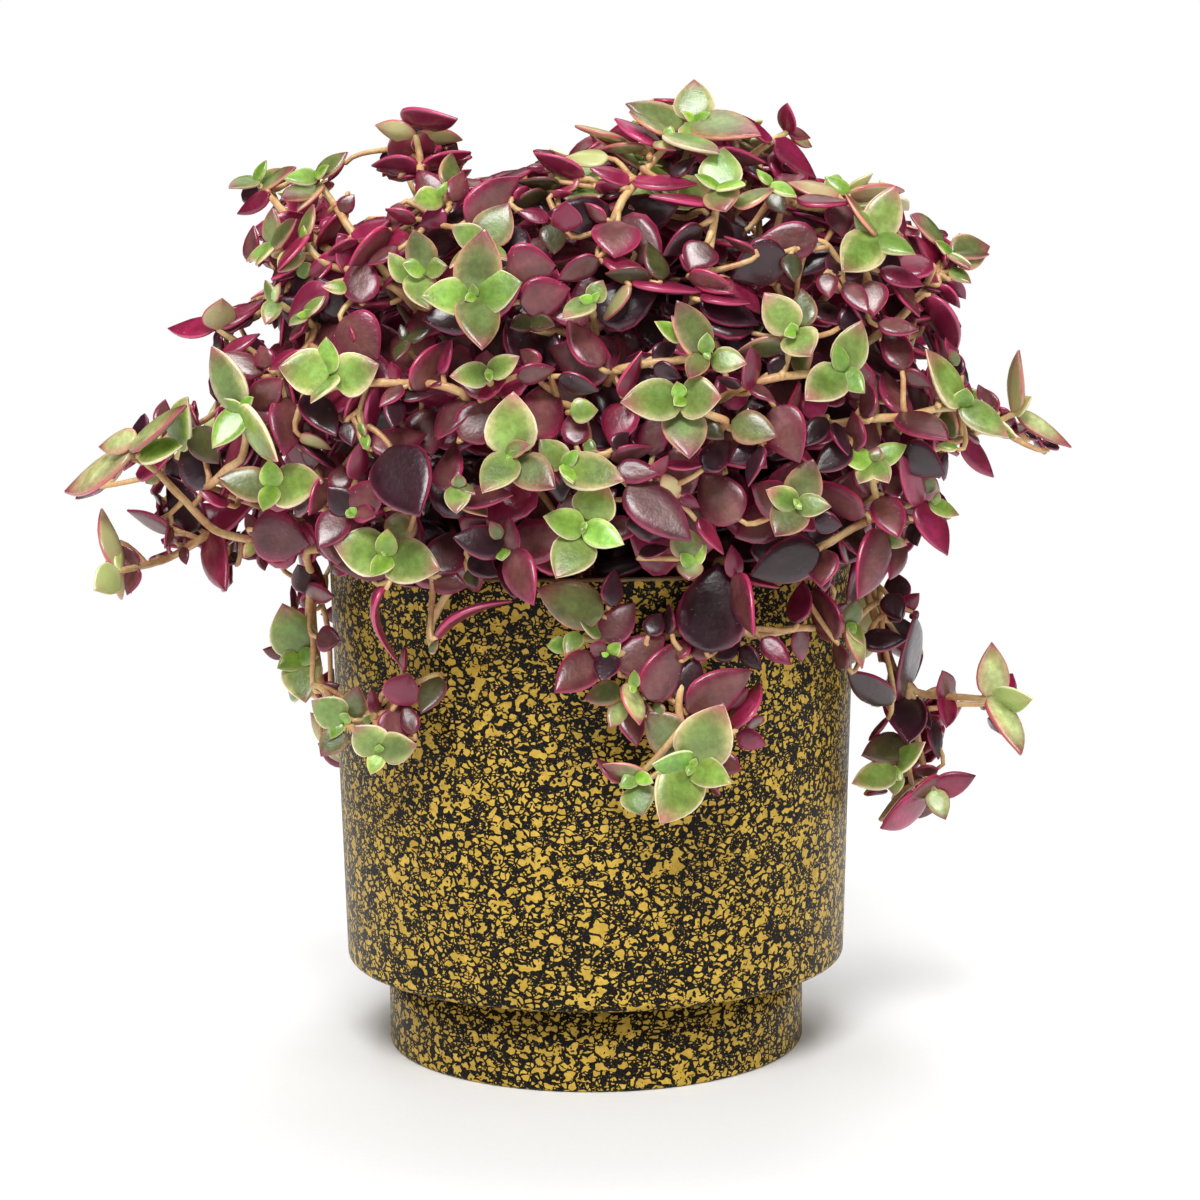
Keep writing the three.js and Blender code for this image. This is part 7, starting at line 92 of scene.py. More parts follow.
     [[277,-763,2036,79,64,8,100,97,1,10,5,0],[279,-773,2037,-158,21,-45,65,38,0,10,5,1],[274,-772,2038,-45,-1,30,82,52,0,10,5,1],[275,-775,2036,-72,-49,25,73,82,2,14,5,1],[249,-752,2009,-157,2,-20,135,86,6,14,5,0],[310,-754,2001,-5,20,43,91,56,2,14,5,0],[211,-804,1850,-22,-11,129,94,55,4,16,5,0],[239,-765,1956,-170,-35,-123,105,64,5,16,5,0],[350,-773,1902,178,28,-154,72,42,4,16,5,0],[234,-822,1806,-2,-9,21,106,67,6,14,5,0],[236,-785,1805,-5,-28,51,137,83,5,16,5,0],[249,-786,1919,-144,-54,-55,73,82,4,16,5,0],[243,-764,1847,-54,-23,16,105,83,4,15,7,4],[240,-760,1853,146,59,-30,105,76,6,15,9,4],[218,-680,1778,33,35,41,105,96,4,15,2,4],[213,-687,1776,-124,-5,-33,105,96,5,15,9,4],[186,-614,1697,147,43,-26,136,116,5,15,4,4],[192,-619,1691,-44,-20,20,136,123,4,15,8,4],[168,-553,1619,-120,-15,-31,143,97,5,15,4,4],[172,-548,1623,27,49,50,143,120,5,15,1,4],[159,-476,1547,-41,-31,32,105,89,4,15,1,4],[153,-471,1554,150,43,-38,105,96,4,15,2,4],[148,-384,1470,-60,21,-7,133,101,5,15,6,4],[144,-374,1476,115,19,7,133,108,4,15,4,4],[137,-366,1390,96,31,2,127,113,5,15,8,4],[143,-370,1389,-4,-1,16,86,61,4,15,1,4],[131,-337,1291,-100,1,-7,148,103,6,15,5,4],[137,-331,1300,31,24,24,101,77,4,15,9,4],[134,-287,1216,-34,4,30,91,81,5,15,8,4],[127,-283,1219,145,36,-28,91,76,4,15,0,4],[303,-738,1850,-4,-52,36,100,71,6,15,1,4],[262,-694,1932,0,-11,5,123,108,4,15,8,4],[246,-690,1752,34,14,47,100,77,6,15,7,4],[284,-564,1842,-121,35,-27,145,114,5,15,3,4],[312,-758,1731,-25,-65,88,107,84,5,15,3,4],[296,-682,1900,-129,23,89,66,57,5,15,3,4],[373,-626,1881,53,-10,33,109,81,4,15,3,4]]),
    ("shoot_front_11",
     [[612,-694,1927,574,-614,1883,560,-593,1868,530,-530,1823,514,-494,1795,484,-416,1730,470,-373,1694,457,-325,1655,445,-269,1614,434,-268,1576,424,-257,1536,414,-235,1493,406,-202,1449,398,-156,1403,391,-93,1354,385,-47,1307,380,-43,1263,375,-84,1222,370,-171,1186,365,-247,1148,365,-312,1110,364,-366,1070],[569,-590,2039,563,-602,1872]],
     [[542,-640,2011,541,-635,2030,556,-600,1985,567,-595,1983],[544,-620,2032,564,-619,2026,557,-595,1990,567,-595,1983],[629,-680,1863,606,-678,1873,586,-641,1882,580,-638,1894],[662,-640,1900,674,-626,1922,593,-630,1890,580,-638,1894],[604,-710,1838,602,-702,1858,596,-667,1864,600,-662,1877],[547,-740,1833,526,-721,1863,571,-668,1883,591,-662,1908],[511,-670,1929,531,-661,1957,534,-618,1977,552,-615,2003],[503,-750,1854,500,-743,1870,529,-721,1852,543,-719,1855],[489,-720,1930,520,-721,1931,531,-692,1880,554,-696,1872],[620,-720,1746,580,-714,1755,594,-682,1826,600,-687,1859],[449,-680,2012,407,-677,2015,518,-619,1995,552,-615,2003],[410,-660,2046,396,-664,2059,437,-656,2014,451,-662,2009],[391,-680,2030,379,-673,2047,432,-660,2009,451,-662,2009],[394,-670,2050,411,-679,2034,432,-657,2013,451,-662,2009],[394,-670,2050,374,-662,2061,432,-657,2013,451,-662,2009],[428,-750,1895,427,-734,1924,487,-711,1905,515,-713,1917],[415,-750,1903,425,-750,1907,433,-735,1906,441,-735,1910],[549,-738,1810,538,-744,1825,521,-726,1843,518,-731,1859],[466,-716,1787,428,-710,1807,455,-707,1874,464,-723,1912],[680,-576,1846,669,-572,1875,641,-609,1886,640,-631,1906],[736,-553,1873,717,-559,1892,673,-570,1867,664,-585,1871],[660,-641,1841,649,-636,1859,645,-609,1873,648,-606,1888],[437,-644,1791,454,-636,1774,441,-687,1799,450,-713,1808],[404,-586,2017,384,-604,2019,400,-635,2025,405,-661,2038],[409,-700,1838,389,-715,1835,432,-663,1797,446,-662,1789],[389,-673,1933,412,-654,1948,411,-652,1992,427,-660,2022],[625,-515,1944,601,-528,1969,571,-566,1965,567,-595,1983],[637,-461,1866,654,-462,1822,547,-513,1833,537,-545,1834],[575,-498,1971,576,-509,1959,594,-517,1958,606,-529,1958],[591,-479,1977,595,-492,1962,597,-512,1958,606,-529,1958],[704,-450,1958,692,-430,1995,617,-500,1949,606,-529,1958],[586,-513,1971,588,-514,1968,586,-513,1961,588,-514,1960],[696,-338,1836,715,-367,1797,627,-428,1831,628,-471,1842],[715,-305,1781,680,-306,1786,673,-364,1804,676,-391,1819],[454,-570,2004,446,-588,1989,404,-593,2010,395,-610,2021],[406,-679,1816,423,-673,1815,433,-660,1793,446,-662,1789],[394,-695,1872,383,-709,1863,403,-686,1829,411,-691,1819],[479,-605,1947,501,-600,1957,517,-617,1964,537,-630,1977],[337,-602,1956,360,-584,1966,375,-599,1997,395,-610,2021],[409,-554,2039,396,-567,2038,408,-581,2011,413,-596,2008],[384,-727,1843,390,-728,1833,391,-700,1842,396,-696,1845]],
     [[616,-704,1935,17,71,79,120,88,1,10,5,0],[617,-703,1938,-136,-35,-49,143,101,1,10,5,0],[616,-704,1935,-176,55,-87,78,49,0,10,5,0],[615,-703,1938,-29,-28,52,102,60,0,10,5,0],[620,-700,1938,-173,50,-22,115,78,2,14,5,0],[570,-596,2041,165,34,-61,64,39,0,10,5,1],[572,-565,2041,-26,34,-22,71,43,0,10,5,1],[571,-578,2040,28,3,-20,155,76,3,14,5,0],[544,-620,2032,-176,17,148,116,75,3,14,5,0],[410,-660,2046,17,-42,-21,69,40,6,14,5,0],[450,-683,2017,-5,-5,27,119,68,4,16,5,0],[543,-646,2012,-81,-76,2,78,72,4,16,5,0],[488,-726,1931,178,-3,-81,129,83,4,16,5,0],[416,-756,1902,178,-22,-104,129,105,5,16,5,0],[511,-676,1931,-155,-51,-56,100,76,5,16,5,0],[429,-755,1897,-87,-62,-4,70,48,7,14,5,0],[630,-685,1867,-6,-23,48,99,56,6,14,5,0],[603,-716,1841,-76,-67,13,83,74,4,16,5,0],[547,-745,1836,-42,-47,35,90,53,4,16,5,0],[503,-755,1856,-70,-65,18,60,48,4,16,5,0],[620,-725,1750,-9,-13,52,88,50,4,16,5,0],[665,-645,1902,-130,-50,-62,93,56,5,16,5,0],[395,-675,2053,153,40,-39,49,28,0,10,5,0],[395,-674,2054,-23,-28,41,67,42,0,10,5,0],[391,-686,2031,-28,-51,62,57,44,7,14,5,0],[578,-645,1895,-129,-17,-54,126,92,5,15,7,4],[584,-639,1900,46,45,56,148,104,4,15,6,4],[551,-570,1850,-22,-12,41,138,104,4,15,1,4],[544,-570,1855,-173,38,-54,138,114,4,15,2,4],[514,-485,1793,52,39,44,124,103,6,15,3,4],[510,-490,1788,-107,-15,-34,124,103,6,15,2,4],[484,-425,1739,-167,41,-56,117,107,5,15,8,4],[492,-426,1735,-8,-25,44,117,89,5,15,1,4],[465,-360,1680,-105,-17,-27,145,99,4,15,9,4],[469,-355,1686,56,44,37,145,132,4,15,5,4],[449,-266,1619,50,6,14,137,121,4,15,7,4],[442,-274,1615,-120,30,-16,137,118,5,15,7,4],[423,-248,1529,68,32,20,102,90,6,15,2,4],[417,-255,1521,-120,3,-24,102,75,5,15,2,4],[403,-204,1456,164,33,-32,150,121,5,15,5,4],[411,-206,1453,-11,-4,34,150,108,4,15,1,4],[394,-144,1389,-130,-19,-37,123,88,5,15,6,4],[398,-140,1395,40,60,44,123,86,4,15,5,4],[390,-59,1313,-42,-29,27,123,100,5,15,3,4],[384,-54,1317,167,57,-47,123,91,5,15,7,4],[369,-94,1221,161,37,80,113,84,5,15,1,4],[380,-92,1215,33,-16,-55,113,86,5,15,0,4],[372,-177,1189,-3,68,-80,124,87,4,15,9,4],[370,-172,1179,96,-60,8,124,114,4,15,5,4],[560,-598,1949,-179,23,4,130,115,5,15,2,4],[571,-595,1949,23,4,-3,111,89,5,15,3,4],[549,-738,1810,31,-51,36,86,79,5,15,4,4],[468,-720,1792,-9,-27,29,103,87,5,15,8,4],[686,-578,1849,-22,-66,-6,75,64,5,15,5,4],[740,-556,1876,17,-44,45,59,43,6,15,0,4],[664,-643,1845,-25,-57,3,100,80,4,15,9,4],[441,-647,1794,-157,43,-57,106,86,4,15,3,4],[406,-587,2022,42,-3,23,124,97,5,15,7,4],[411,-704,1842,38,7,48,101,75,4,15,9,4],[389,-677,1938,-139,-27,-21,70,60,5,15,4,4],[625,-515,1944,29,-42,32,134,107,4,15,3,4],[639,-466,1867,175,69,-63,98,72,4,15,6,4],[573,-502,1974,96,48,-26,75,60,4,15,2,4],[595,-482,1980,104,48,23,62,54,4,15,9,4],[709,-452,1960,-59,-59,-33,60,48,4,15,10,4],[589,-517,1974,140,52,-19,59,54,6,15,9,4],[696,-338,1836,125,48,51,112,90,4,15,8,4],[716,-309,1786,0,-8,41,116,83,4,15,9,4],[458,-574,2007,66,38,54,56,47,6,15,0,4],[408,-684,1819,-158,2,-66,56,47,6,15,1,4],[395,-700,1876,52,28,38,84,65,5,15,1,4],[478,-609,1951,-166,-24,-38,81,70,5,15,1,4],[339,-606,1960,-142,-19,-45,101,88,5,15,2,4],[410,-555,2044,45,3,21,59,51,5,15,4,4],[386,-733,1844,177,60,-61,65,55,4,15,8,4]]),
    ("shoot_front_12",
     [[-743,-705,1572,-758,-637,1501,-763,-638,1481,-770,-635,1467,-791,-612,1455,-802,-598,1451,-850,-510,1417,-871,-484,1403,-845,-412,1388,-818,-395,1376,-761,-350,1350,-667,-274,1301,-603,-258,1266,-542,-235,1229,-515,-219,1186,-490,-200,1145,-465,-236,1108,-442,-268,1070]],
     [[-825,-480,1362,-800,-472,1347,-810,-410,1374,-819,-395,1376],[-896,-470,1532,-920,-454,1567,-856,-476,1437,-866,-491,1407],[-748,-604,1524,-734,-619,1541,-746,-652,1531,-757,-678,1534],[-834,-474,1405,-834,-487,1413,-839,-500,1416,-849,-513,1418],[-846,-453,1481,-853,-441,1478,-863,-467,1467,-876,-475,1463],[-728,-605,1518,-723,-611,1525,-735,-619,1529,-742,-627,1534],[-851,-420,1445,-858,-397,1431,-816,-396,1394,-819,-395,1376],[-806,-483,1417,-815,-466,1399,-800,-433,1381,-811,-424,1368],[-856,-411,1490,-871,-393,1490,-839,-401,1441,-845,-403,1424],[-774,-451,1445,-763,-468,1443,-793,-456,1412,-809,-464,1400],[-850,-294,1412,-834,-256,1394,-758,-324,1363,-751,-343,1346],[-814,-202,1425,-812,-226,1445,-813,-260,1405,-830,-284,1397]],
     [[-753,-713,1576,168,66,-113,153,94,1,10,5,0],[-750,-713,1580,-144,-49,-47,114,69,0,10,5,0],[-755,-711,1575,-47,-35,113,178,100,1,10,5,0],[-749,-726,1575,-173,33,-113,48,29,1,10,5,1],[-752,-724,1577,-45,32,89,56,35,0,10,5,1],[-730,-705,1585,-29,35,99,106,71,4,16,5,0],[-825,-480,1362,-162,29,148,73,46,6,14,5,0],[-897,-476,1534,-33,-50,67,108,80,7,14,5,0],[-866,-460,1403,155,56,-79,122,108,5,15,8,4],[-814,-396,1379,-40,41,67,144,102,6,15,10,4],[-729,-323,1338,137,69,-89,112,97,6,15,2,4],[-722,-327,1330,-85,-13,58,112,91,4,15,6,4],[-650,-267,1291,129,-2,-59,140,124,4,15,2,4],[-641,-273,1292,-71,36,65,119,85,5,15,8,4],[-545,-243,1231,-91,0,59,75,53,4,15,8,4],[-550,-237,1238,75,68,-46,111,96,4,15,6,4],[-497,-209,1165,-18,43,32,121,89,6,15,8,4],[-753,-606,1526,133,-39,-69,144,106,6,15,0,4],[-834,-474,1405,92,-29,-69,61,55,4,15,4,4],[-851,-454,1485,-61,13,43,91,64,4,15,2,4],[-734,-607,1520,129,-41,-63,106,82,5,15,3,4],[-856,-422,1443,-72,29,108,57,47,4,15,1,4],[-806,-483,1417,-61,44,67,124,94,6,15,2,4],[-861,-415,1488,-52,0,110,74,57,5,15,8,4],[-777,-454,1449,124,3,-36,125,88,6,15,2,4],[-850,-294,1412,-112,24,-19,77,56,5,15,8,4],[-814,-202,1425,95,-39,71,135,119,5,15,2,4]]),
    ("shoot_front_13",
     [[-687,-694,1402,-635,-615,1373,-616,-596,1365,-605,-583,1359,-551,-508,1321,-507,-452,1285,-447,-385,1229,-413,-349,1121,-397,-335,1070],[-508,-774,1352,-537,-722,1350,-547,-707,1351,-559,-699,1355,-570,-686,1358,-620,-604,1369]],
     [[-540,-740,1400,-540,-748,1386,-536,-732,1367,-540,-736,1355],[-573,-730,1425,-565,-719,1441,-542,-730,1390,-538,-739,1377],[-503,-760,1428,-507,-749,1408,-524,-736,1390,-538,-739,1377],[-613,-605,1471,-604,-605,1434,-601,-584,1390,-612,-592,1363],[-492,-525,1244,-514,-510,1257,-514,-484,1294,-532,-483,1306],[-471,-592,1256,-495,-602,1274,-490,-519,1264,-507,-509,1262],[-592,-628,1405,-602,-625,1413,-598,-600,1414,-605,-596,1417],[-602,-639,1450,-589,-642,1436,-599,-601,1425,-605,-596,1417],[-504,-669,1498,-539,-641,1460,-566,-590,1416,-606,-591,1390]],
     [[-689,-704,1409,-171,9,-75,121,81,2,14,5,0],[-689,-716,1408,-107,83,-168,64,54,0,10,5,1],[-688,-714,1413,-101,-42,-11,81,49,0,10,5,1],[-693,-703,1410,-25,3,73,135,105,1,10,5,0],[-510,-784,1357,-179,48,-84,76,65,5,16,5,0],[-512,-784,1356,-14,41,88,103,84,4,16,5,0],[-511,-796,1355,-32,44,107,20,22,0,10,5,1],[-507,-795,1360,-130,-34,-50,22,24,0,10,5,1],[-532,-775,1357,-136,-46,-46,101,75,4,16,5,0],[-505,-787,1361,-39,-11,65,67,44,4,16,5,1],[-503,-760,1428,-69,60,21,91,55,6,14,5,0],[-540,-745,1403,92,60,-4,63,57,4,16,5,0],[-568,-733,1425,-125,-49,-93,98,60,4,16,5,0],[-642,-644,1383,-65,-3,67,117,90,5,15,8,4],[-649,-639,1385,150,17,-73,117,98,6,15,6,4],[-579,-547,1346,-17,83,69,143,128,4,15,0,4],[-579,-551,1339,-72,-47,48,143,125,5,15,5,4],[-519,-460,1294,145,27,-66,128,94,6,15,4,4],[-513,-468,1291,-54,-17,59,128,107,5,15,8,4],[-470,-408,1245,-152,-30,-18,105,79,5,15,10,4],[-466,-407,1252,-1,66,41,105,88,4,15,7,4],[-557,-705,1351,4,-77,64,131,117,4,15,2,4],[-556,-704,1361,10,60,110,131,103,4,15,8,4],[-617,-609,1470,177,76,-134,126,104,4,15,4,4],[-496,-529,1241,-33,-26,122,63,57,4,15,6,4],[-471,-592,1256,23,-35,-123,108,97,5,15,1,4],[-596,-631,1402,-18,-36,136,95,80,4,15,3,4],[-605,-643,1448,166,47,-119,108,99,6,15,6,4],[-504,-674,1494,-38,40,144,138,108,5,15,7,4]]),
    ("shoot_front_14",
     [[-549,-824,1643,-514,-807,1636,-495,-803,1633,-476,-808,1631,-456,-820,1632,-436,-825,1633,-409,-824,1631,-361,-796,1631,-314,-822,1626,-272,-818,1611,-257,-786,1590,-233,-720,1546,-224,-686,1521,-218,-651,1494,-216,-614,1465,-216,-534,1401,-222,-440,1329,-228,-448,1296,-234,-453,1261,-241,-454,1224,-255,-451,1148,-270,-444,1070],[-387,-766,1706,-367,-741,1683,-346,-729,1671,-309,-681,1631,-283,-704,1608,-257,-786,1590]],
     [[-408,-820,1638,-406,-817,1628,-386,-807,1632,-381,-808,1631],[-396,-820,1621,-387,-812,1631,-363,-798,1627,-356,-798,1630],[-482,-800,1630,-478,-804,1639,-468,-814,1634,-466,-824,1636],[-308,-830,1647,-312,-830,1638,-303,-819,1628,-303,-821,1622],[-411,-820,1596,-410,-812,1605,-406,-818,1621,-407,-823,1631],[-401,-820,1596,-413,-821,1595,-403,-818,1621,-407,-823,1631],[-379,-820,1621,-386,-824,1612,-360,-799,1627,-356,-798,1630],[-452,-810,1626,-450,-819,1639,-481,-810,1635,-495,-819,1639],[-496,-780,1719,-490,-779,1689,-489,-798,1656,-495,-819,1639],[-486,-800,1546,-500,-789,1573,-468,-799,1612,-471,-814,1636],[-270,-840,1511,-292,-852,1487,-252,-776,1563,-252,-773,1582],[-519,-790,1546,-523,-784,1560,-491,-788,1569,-487,-795,1577],[-478,-800,1520,-483,-790,1537,-480,-789,1562,-487,-795,1577],[-462,-810,1491,-489,-823,1485,-488,-782,1545,-505,-788,1564],[-419,-820,1491,-430,-804,1515,-460,-787,1534,-482,-792,1548],[-364,-708,1572,-371,-698,1603,-339,-704,1638,-339,-720,1663]],
     [[-549,-834,1650,-166,10,-81,106,103,1,10,5,0],[-538,-826,1635,-11,22,84,107,100,1,10,5,0],[-551,-834,1650,90,85,-6,80,54,0,10,5,0],[-536,-823,1650,-128,-41,-7,95,60,1,10,5,0],[-390,-773,1720,-5,22,56,61,36,7,14,5,0],[-388,-774,1719,143,62,-42,42,26,7,14,5,0],[-391,-771,1721,-111,-43,7,68,41,7,14,5,0],[-500,-784,1718,-165,80,-159,35,21,6,14,5,0],[-482,-800,1630,132,-55,-27,108,69,6,14,5,0],[-452,-810,1626,103,-57,-54,136,85,6,14,5,0],[-408,-820,1638,-130,69,60,41,31,6,14,5,0],[-396,-824,1625,-139,-40,-30,72,41,4,16,5,0],[-375,-824,1620,33,47,106,133,80,4,16,5,0],[-313,-834,1649,2,69,38,77,43,6,14,5,0],[-400,-823,1601,5,2,32,70,40,5,16,5,0],[-409,-824,1599,-97,-50,-29,82,52,5,16,5,0],[-520,-795,1548,-58,-61,39,58,39,5,16,5,0],[-489,-805,1546,-38,-55,88,31,19,1,10,5,0],[-479,-805,1523,-63,-56,40,41,24,0,10,5,0],[-461,-815,1494,26,11,53,127,75,4,16,5,0],[-421,-825,1493,-56,-52,46,184,143,5,16,5,0],[-269,-846,1513,27,43,62,119,95,4,16,5,0],[-266,-800,1594,-149,-51,-29,110,83,4,15,7,4],[-264,-796,1603,107,61,-35,129,114,4,15,1,4],[-226,-708,1541,7,42,51,99,73,4,15,5,4],[-235,-708,1537,173,-2,-55,145,129,6,15,8,4],[-217,-617,1472,137,65,-41,118,95,4,15,7,4],[-216,-621,1467,-93,-27,1,118,88,5,15,1,4],[-220,-527,1396,-161,21,-57,111,86,6,15,4,4],[-212,-527,1395,-15,4,51,111,92,5,15,5,4],[-222,-436,1330,79,9,6,120,107,5,15,1,4],[-227,-444,1328,-143,40,7,141,106,5,15,7,4],[-243,-460,1218,-94,22,-12,112,93,5,15,1,4],[-240,-450,1224,78,17,11,112,83,5,15,2,4],[-342,-730,1666,-75,-25,43,117,81,4,15,10,4],[-347,-723,1670,136,23,-57,138,126,4,15,1,4],[-287,-708,1610,-142,22,61,138,120,5,15,3,4],[-281,-699,1606,82,-16,-47,138,96,6,15,3,4],[-363,-714,1574,-57,-69,24,108,96,4,15,9,4]]),
    ("shoot_front_15",
     [[237,-894,1683,207,-869,1677,190,-859,1675,172,-852,1672,137,-847,1670,62,-827,1656,31,-635,1609,18,-590,1588,6,-598,1570,-4,-597,1549,-11,-588,1524,-19,-558,1466,-19,-520,1397,-18,-501,1360,-11,-466,1282,-3,-436,1199,10,-400,1070]],
     [[137,-850,1662,128,-848,1667,117,-837,1664,111,-838,1665],[131,-840,1679,124,-843,1675,115,-835,1668,111,-838,1665],[47,-830,1651,58,-834,1646,73,-826,1656,82,-831,1660],[22,-850,1659,31,-856,1646,51,-819,1653,61,-818,1654],[67,-850,1600,58,-843,1581,78,-826,1643,82,-831,1660],[77,-780,1583,84,-774,1604,57,-756,1624,51,-761,1640],[155,-773,1700,117,-792,1703,87,-751,1629,69,-767,1613]],
     [[240,-904,1690,-178,60,-81,122,77,2,14,5,0],[227,-894,1680,-176,55,-45,103,60,2,14,5,0],[239,-915,1686,-80,58,174,51,36,0,10,5,1],[253,-896,1679,-20,-14,72,78,60,1,10,5,0],[234,-906,1685,-121,-41,-30,81,51,2,14,5,1],[196,-870,1718,-165,27,-67,73,45,0,10,5,0],[239,-915,1692,-59,-54,29,26,17,0,10,5,1],[23,-855,1662,146,49,-34,128,78,4,16,5,0],[67,-850,1600,-37,59,-5,107,62,6,14,5,0],[133,-846,1680,21,29,86,62,43,5,16,5,0],[135,-856,1662,-14,-25,97,64,43,5,16,5,0],[45,-836,1651,159,20,-85,150,98,4,16,5,0],[62,-803,1649,-17,-6,72,125,105,5,15,2,4],[42,-701,1631,46,78,51,107,96,4,15,2,4],[41,-703,1621,-102,-63,-20,107,75,5,15,9,4],[22,-619,1601,-143,0,-65,129,118,5,15,8,4],[31,-616,1604,24,28,65,129,94,4,15,7,4],[-11,-586,1509,-59,-19,5,139,102,5,15,4,4],[-15,-579,1512,124,48,-7,139,97,4,15,2,4],[-14,-527,1411,2,13,29,135,93,5,15,3,4],[-24,-528,1411,-166,9,-29,114,78,5,15,1,4],[-12,-468,1301,77,28,1,103,85,5,15,7,4],[-14,-477,1297,-103,-11,0,103,73,4,15,7,4],[-7,-437,1200,-171,16,-17,102,75,4,15,9,4],[2,-438,1200,-20,7,18,150,115,5,15,8,4],[76,-785,1585,-139,-66,-32,102,89,6,15,8,4],[157,-776,1706,27,-3,30,118,81,4,15,1,4]]),
    ("shoot_front_16",
     [[434,-834,1363,426,-758,1352,421,-732,1351,389,-385,1294,377,-298,1275,366,-255,1257,355,-254,1241,345,-298,1226,335,-327,1207,326,-346,1185,317,-357,1159,305,-365,1132,294,-371,1102,284,-372,1070]],
     [[483,-740,1331,461,-735,1336,432,-726,1347,421,-732,1350],[317,-800,1336,342,-817,1308,392,-755,1353,425,-761,1355],[450,-694,1354,461,-684,1351,421,-673,1345,415,-673,1341],[436,-713,1309,428,-719,1298,420,-700,1338,418,-702,1346]],
     [[437,-844,1369,-169,24,-82,79,57,1,10,5,0],[433,-843,1370,-20,-4,74,77,54,1,10,5,0],[436,-831,1368,2,70,81,104,85,2,14,5,0],[437,-830,1371,-131,-43,-34,102,87,2,14,5,0],[437,-855,1368,-144,44,-106,20,15,0,10,5,1],[432,-855,1372,-46,-36,50,20,15,0,10,5,1],[315,-805,1337,145,43,-74,140,105,8,16,5,0],[481,-746,1331,-14,-11,95,62,53,5,16,5,0],[427,-767,1354,-35,-36,55,77,58,6,15,8,4],[422,-767,1357,-146,28,-95,113,90,4,15,2,4],[416,-659,1343,-3,64,94,139,126,4,15,9,4],[411,-660,1338,-142,-17,-70,139,96,4,15,3,4],[398,-548,1323,-169,16,-83,138,124,6,15,10,4],[408,-548,1322,-7,7,82,138,108,4,15,5,4],[391,-438,1301,-132,-36,-54,137,108,5,15,10,4],[395,-437,1307,-13,69,104,137,119,5,15,1,4],[387,-349,1285,-27,-15,67,112,76,4,15,9,4],[381,-350,1288,-153,27,-87,112,99,6,15,4,4],[361,-251,1260,142,33,18,111,87,5,15,1,4],[370,-258,1254,-31,-9,-15,111,75,6,15,2,4],[337,-335,1202,-15,25,-48,128,118,5,15,1,4],[329,-328,1200,127,-15,38,128,105,5,15,8,4],[454,-698,1353,-135,13,-97,65,51,4,15,9,4],[436,-713,1309,39,45,-26,78,56,4,15,3,4]]),
    ("shoot_front_17",
     [[800,-637,1568,765,-656,1568,747,-665,1566,697,-695,1554,683,-709,1552,651,-730,1550,602,-739,1548,562,-729,1542,484,-723,1531,447,-715,1525,411,-701,1517,377,-683,1507,345,-659,1494,316,-631,1479,290,-599,1460,266,-565,1437,236,-532,1407,221,-509,1382,199,-460,1322,183,-403,1252,177,-368,1213,171,-395,1179,166,-416,1143,162,-435,1107,158,-449,1070]],
     [[603,-760,1550,602,-770,1536,571,-732,1544,566,-730,1543],[514,-790,1536,507,-780,1555,504,-733,1534,507,-726,1535],[553,-780,1491,577,-774,1507,512,-729,1523,507,-726,1535],[500,-800,1546,518,-793,1568,477,-731,1533,478,-722,1530],[355,-810,1493,391,-800,1515,379,-705,1507,396,-693,1513],[673,-710,1650,679,-728,1622,669,-706,1576,680,-719,1555],[825,-570,1639,826,-593,1595,756,-638,1587,756,-677,1574],[819,-590,1511,834,-610,1484,805,-578,1589,818,-587,1617],[811,-600,1476,858,-611,1469,799,-577,1581,818,-587,1617],[808,-538,1683,817,-532,1656,805,-568,1630,818,-587,1617],[779,-518,1673,775,-537,1659,795,-547,1642,812,-565,1634],[759,-581,1525,758,-606,1545,780,-592,1581,801,-607,1601],[763,-513,1659,764,-507,1672,777,-532,1651,788,-543,1650],[460,-616,1489,415,-613,1477,350,-620,1486,329,-643,1485],[852,-357,1668,833,-380,1721,769,-473,1654,775,-526,1657],[592,-680,1591,599,-673,1567,565,-709,1553,566,-730,1543],[796,-352,1684,785,-349,1699,809,-384,1685,823,-399,1687],[765,-481,1607,759,-488,1625,767,-489,1646,777,-498,1661],[819,-268,1653,808,-286,1687,792,-342,1677,804,-374,1689],[452,-699,1564,437,-709,1560,426,-697,1530,422,-706,1519]],
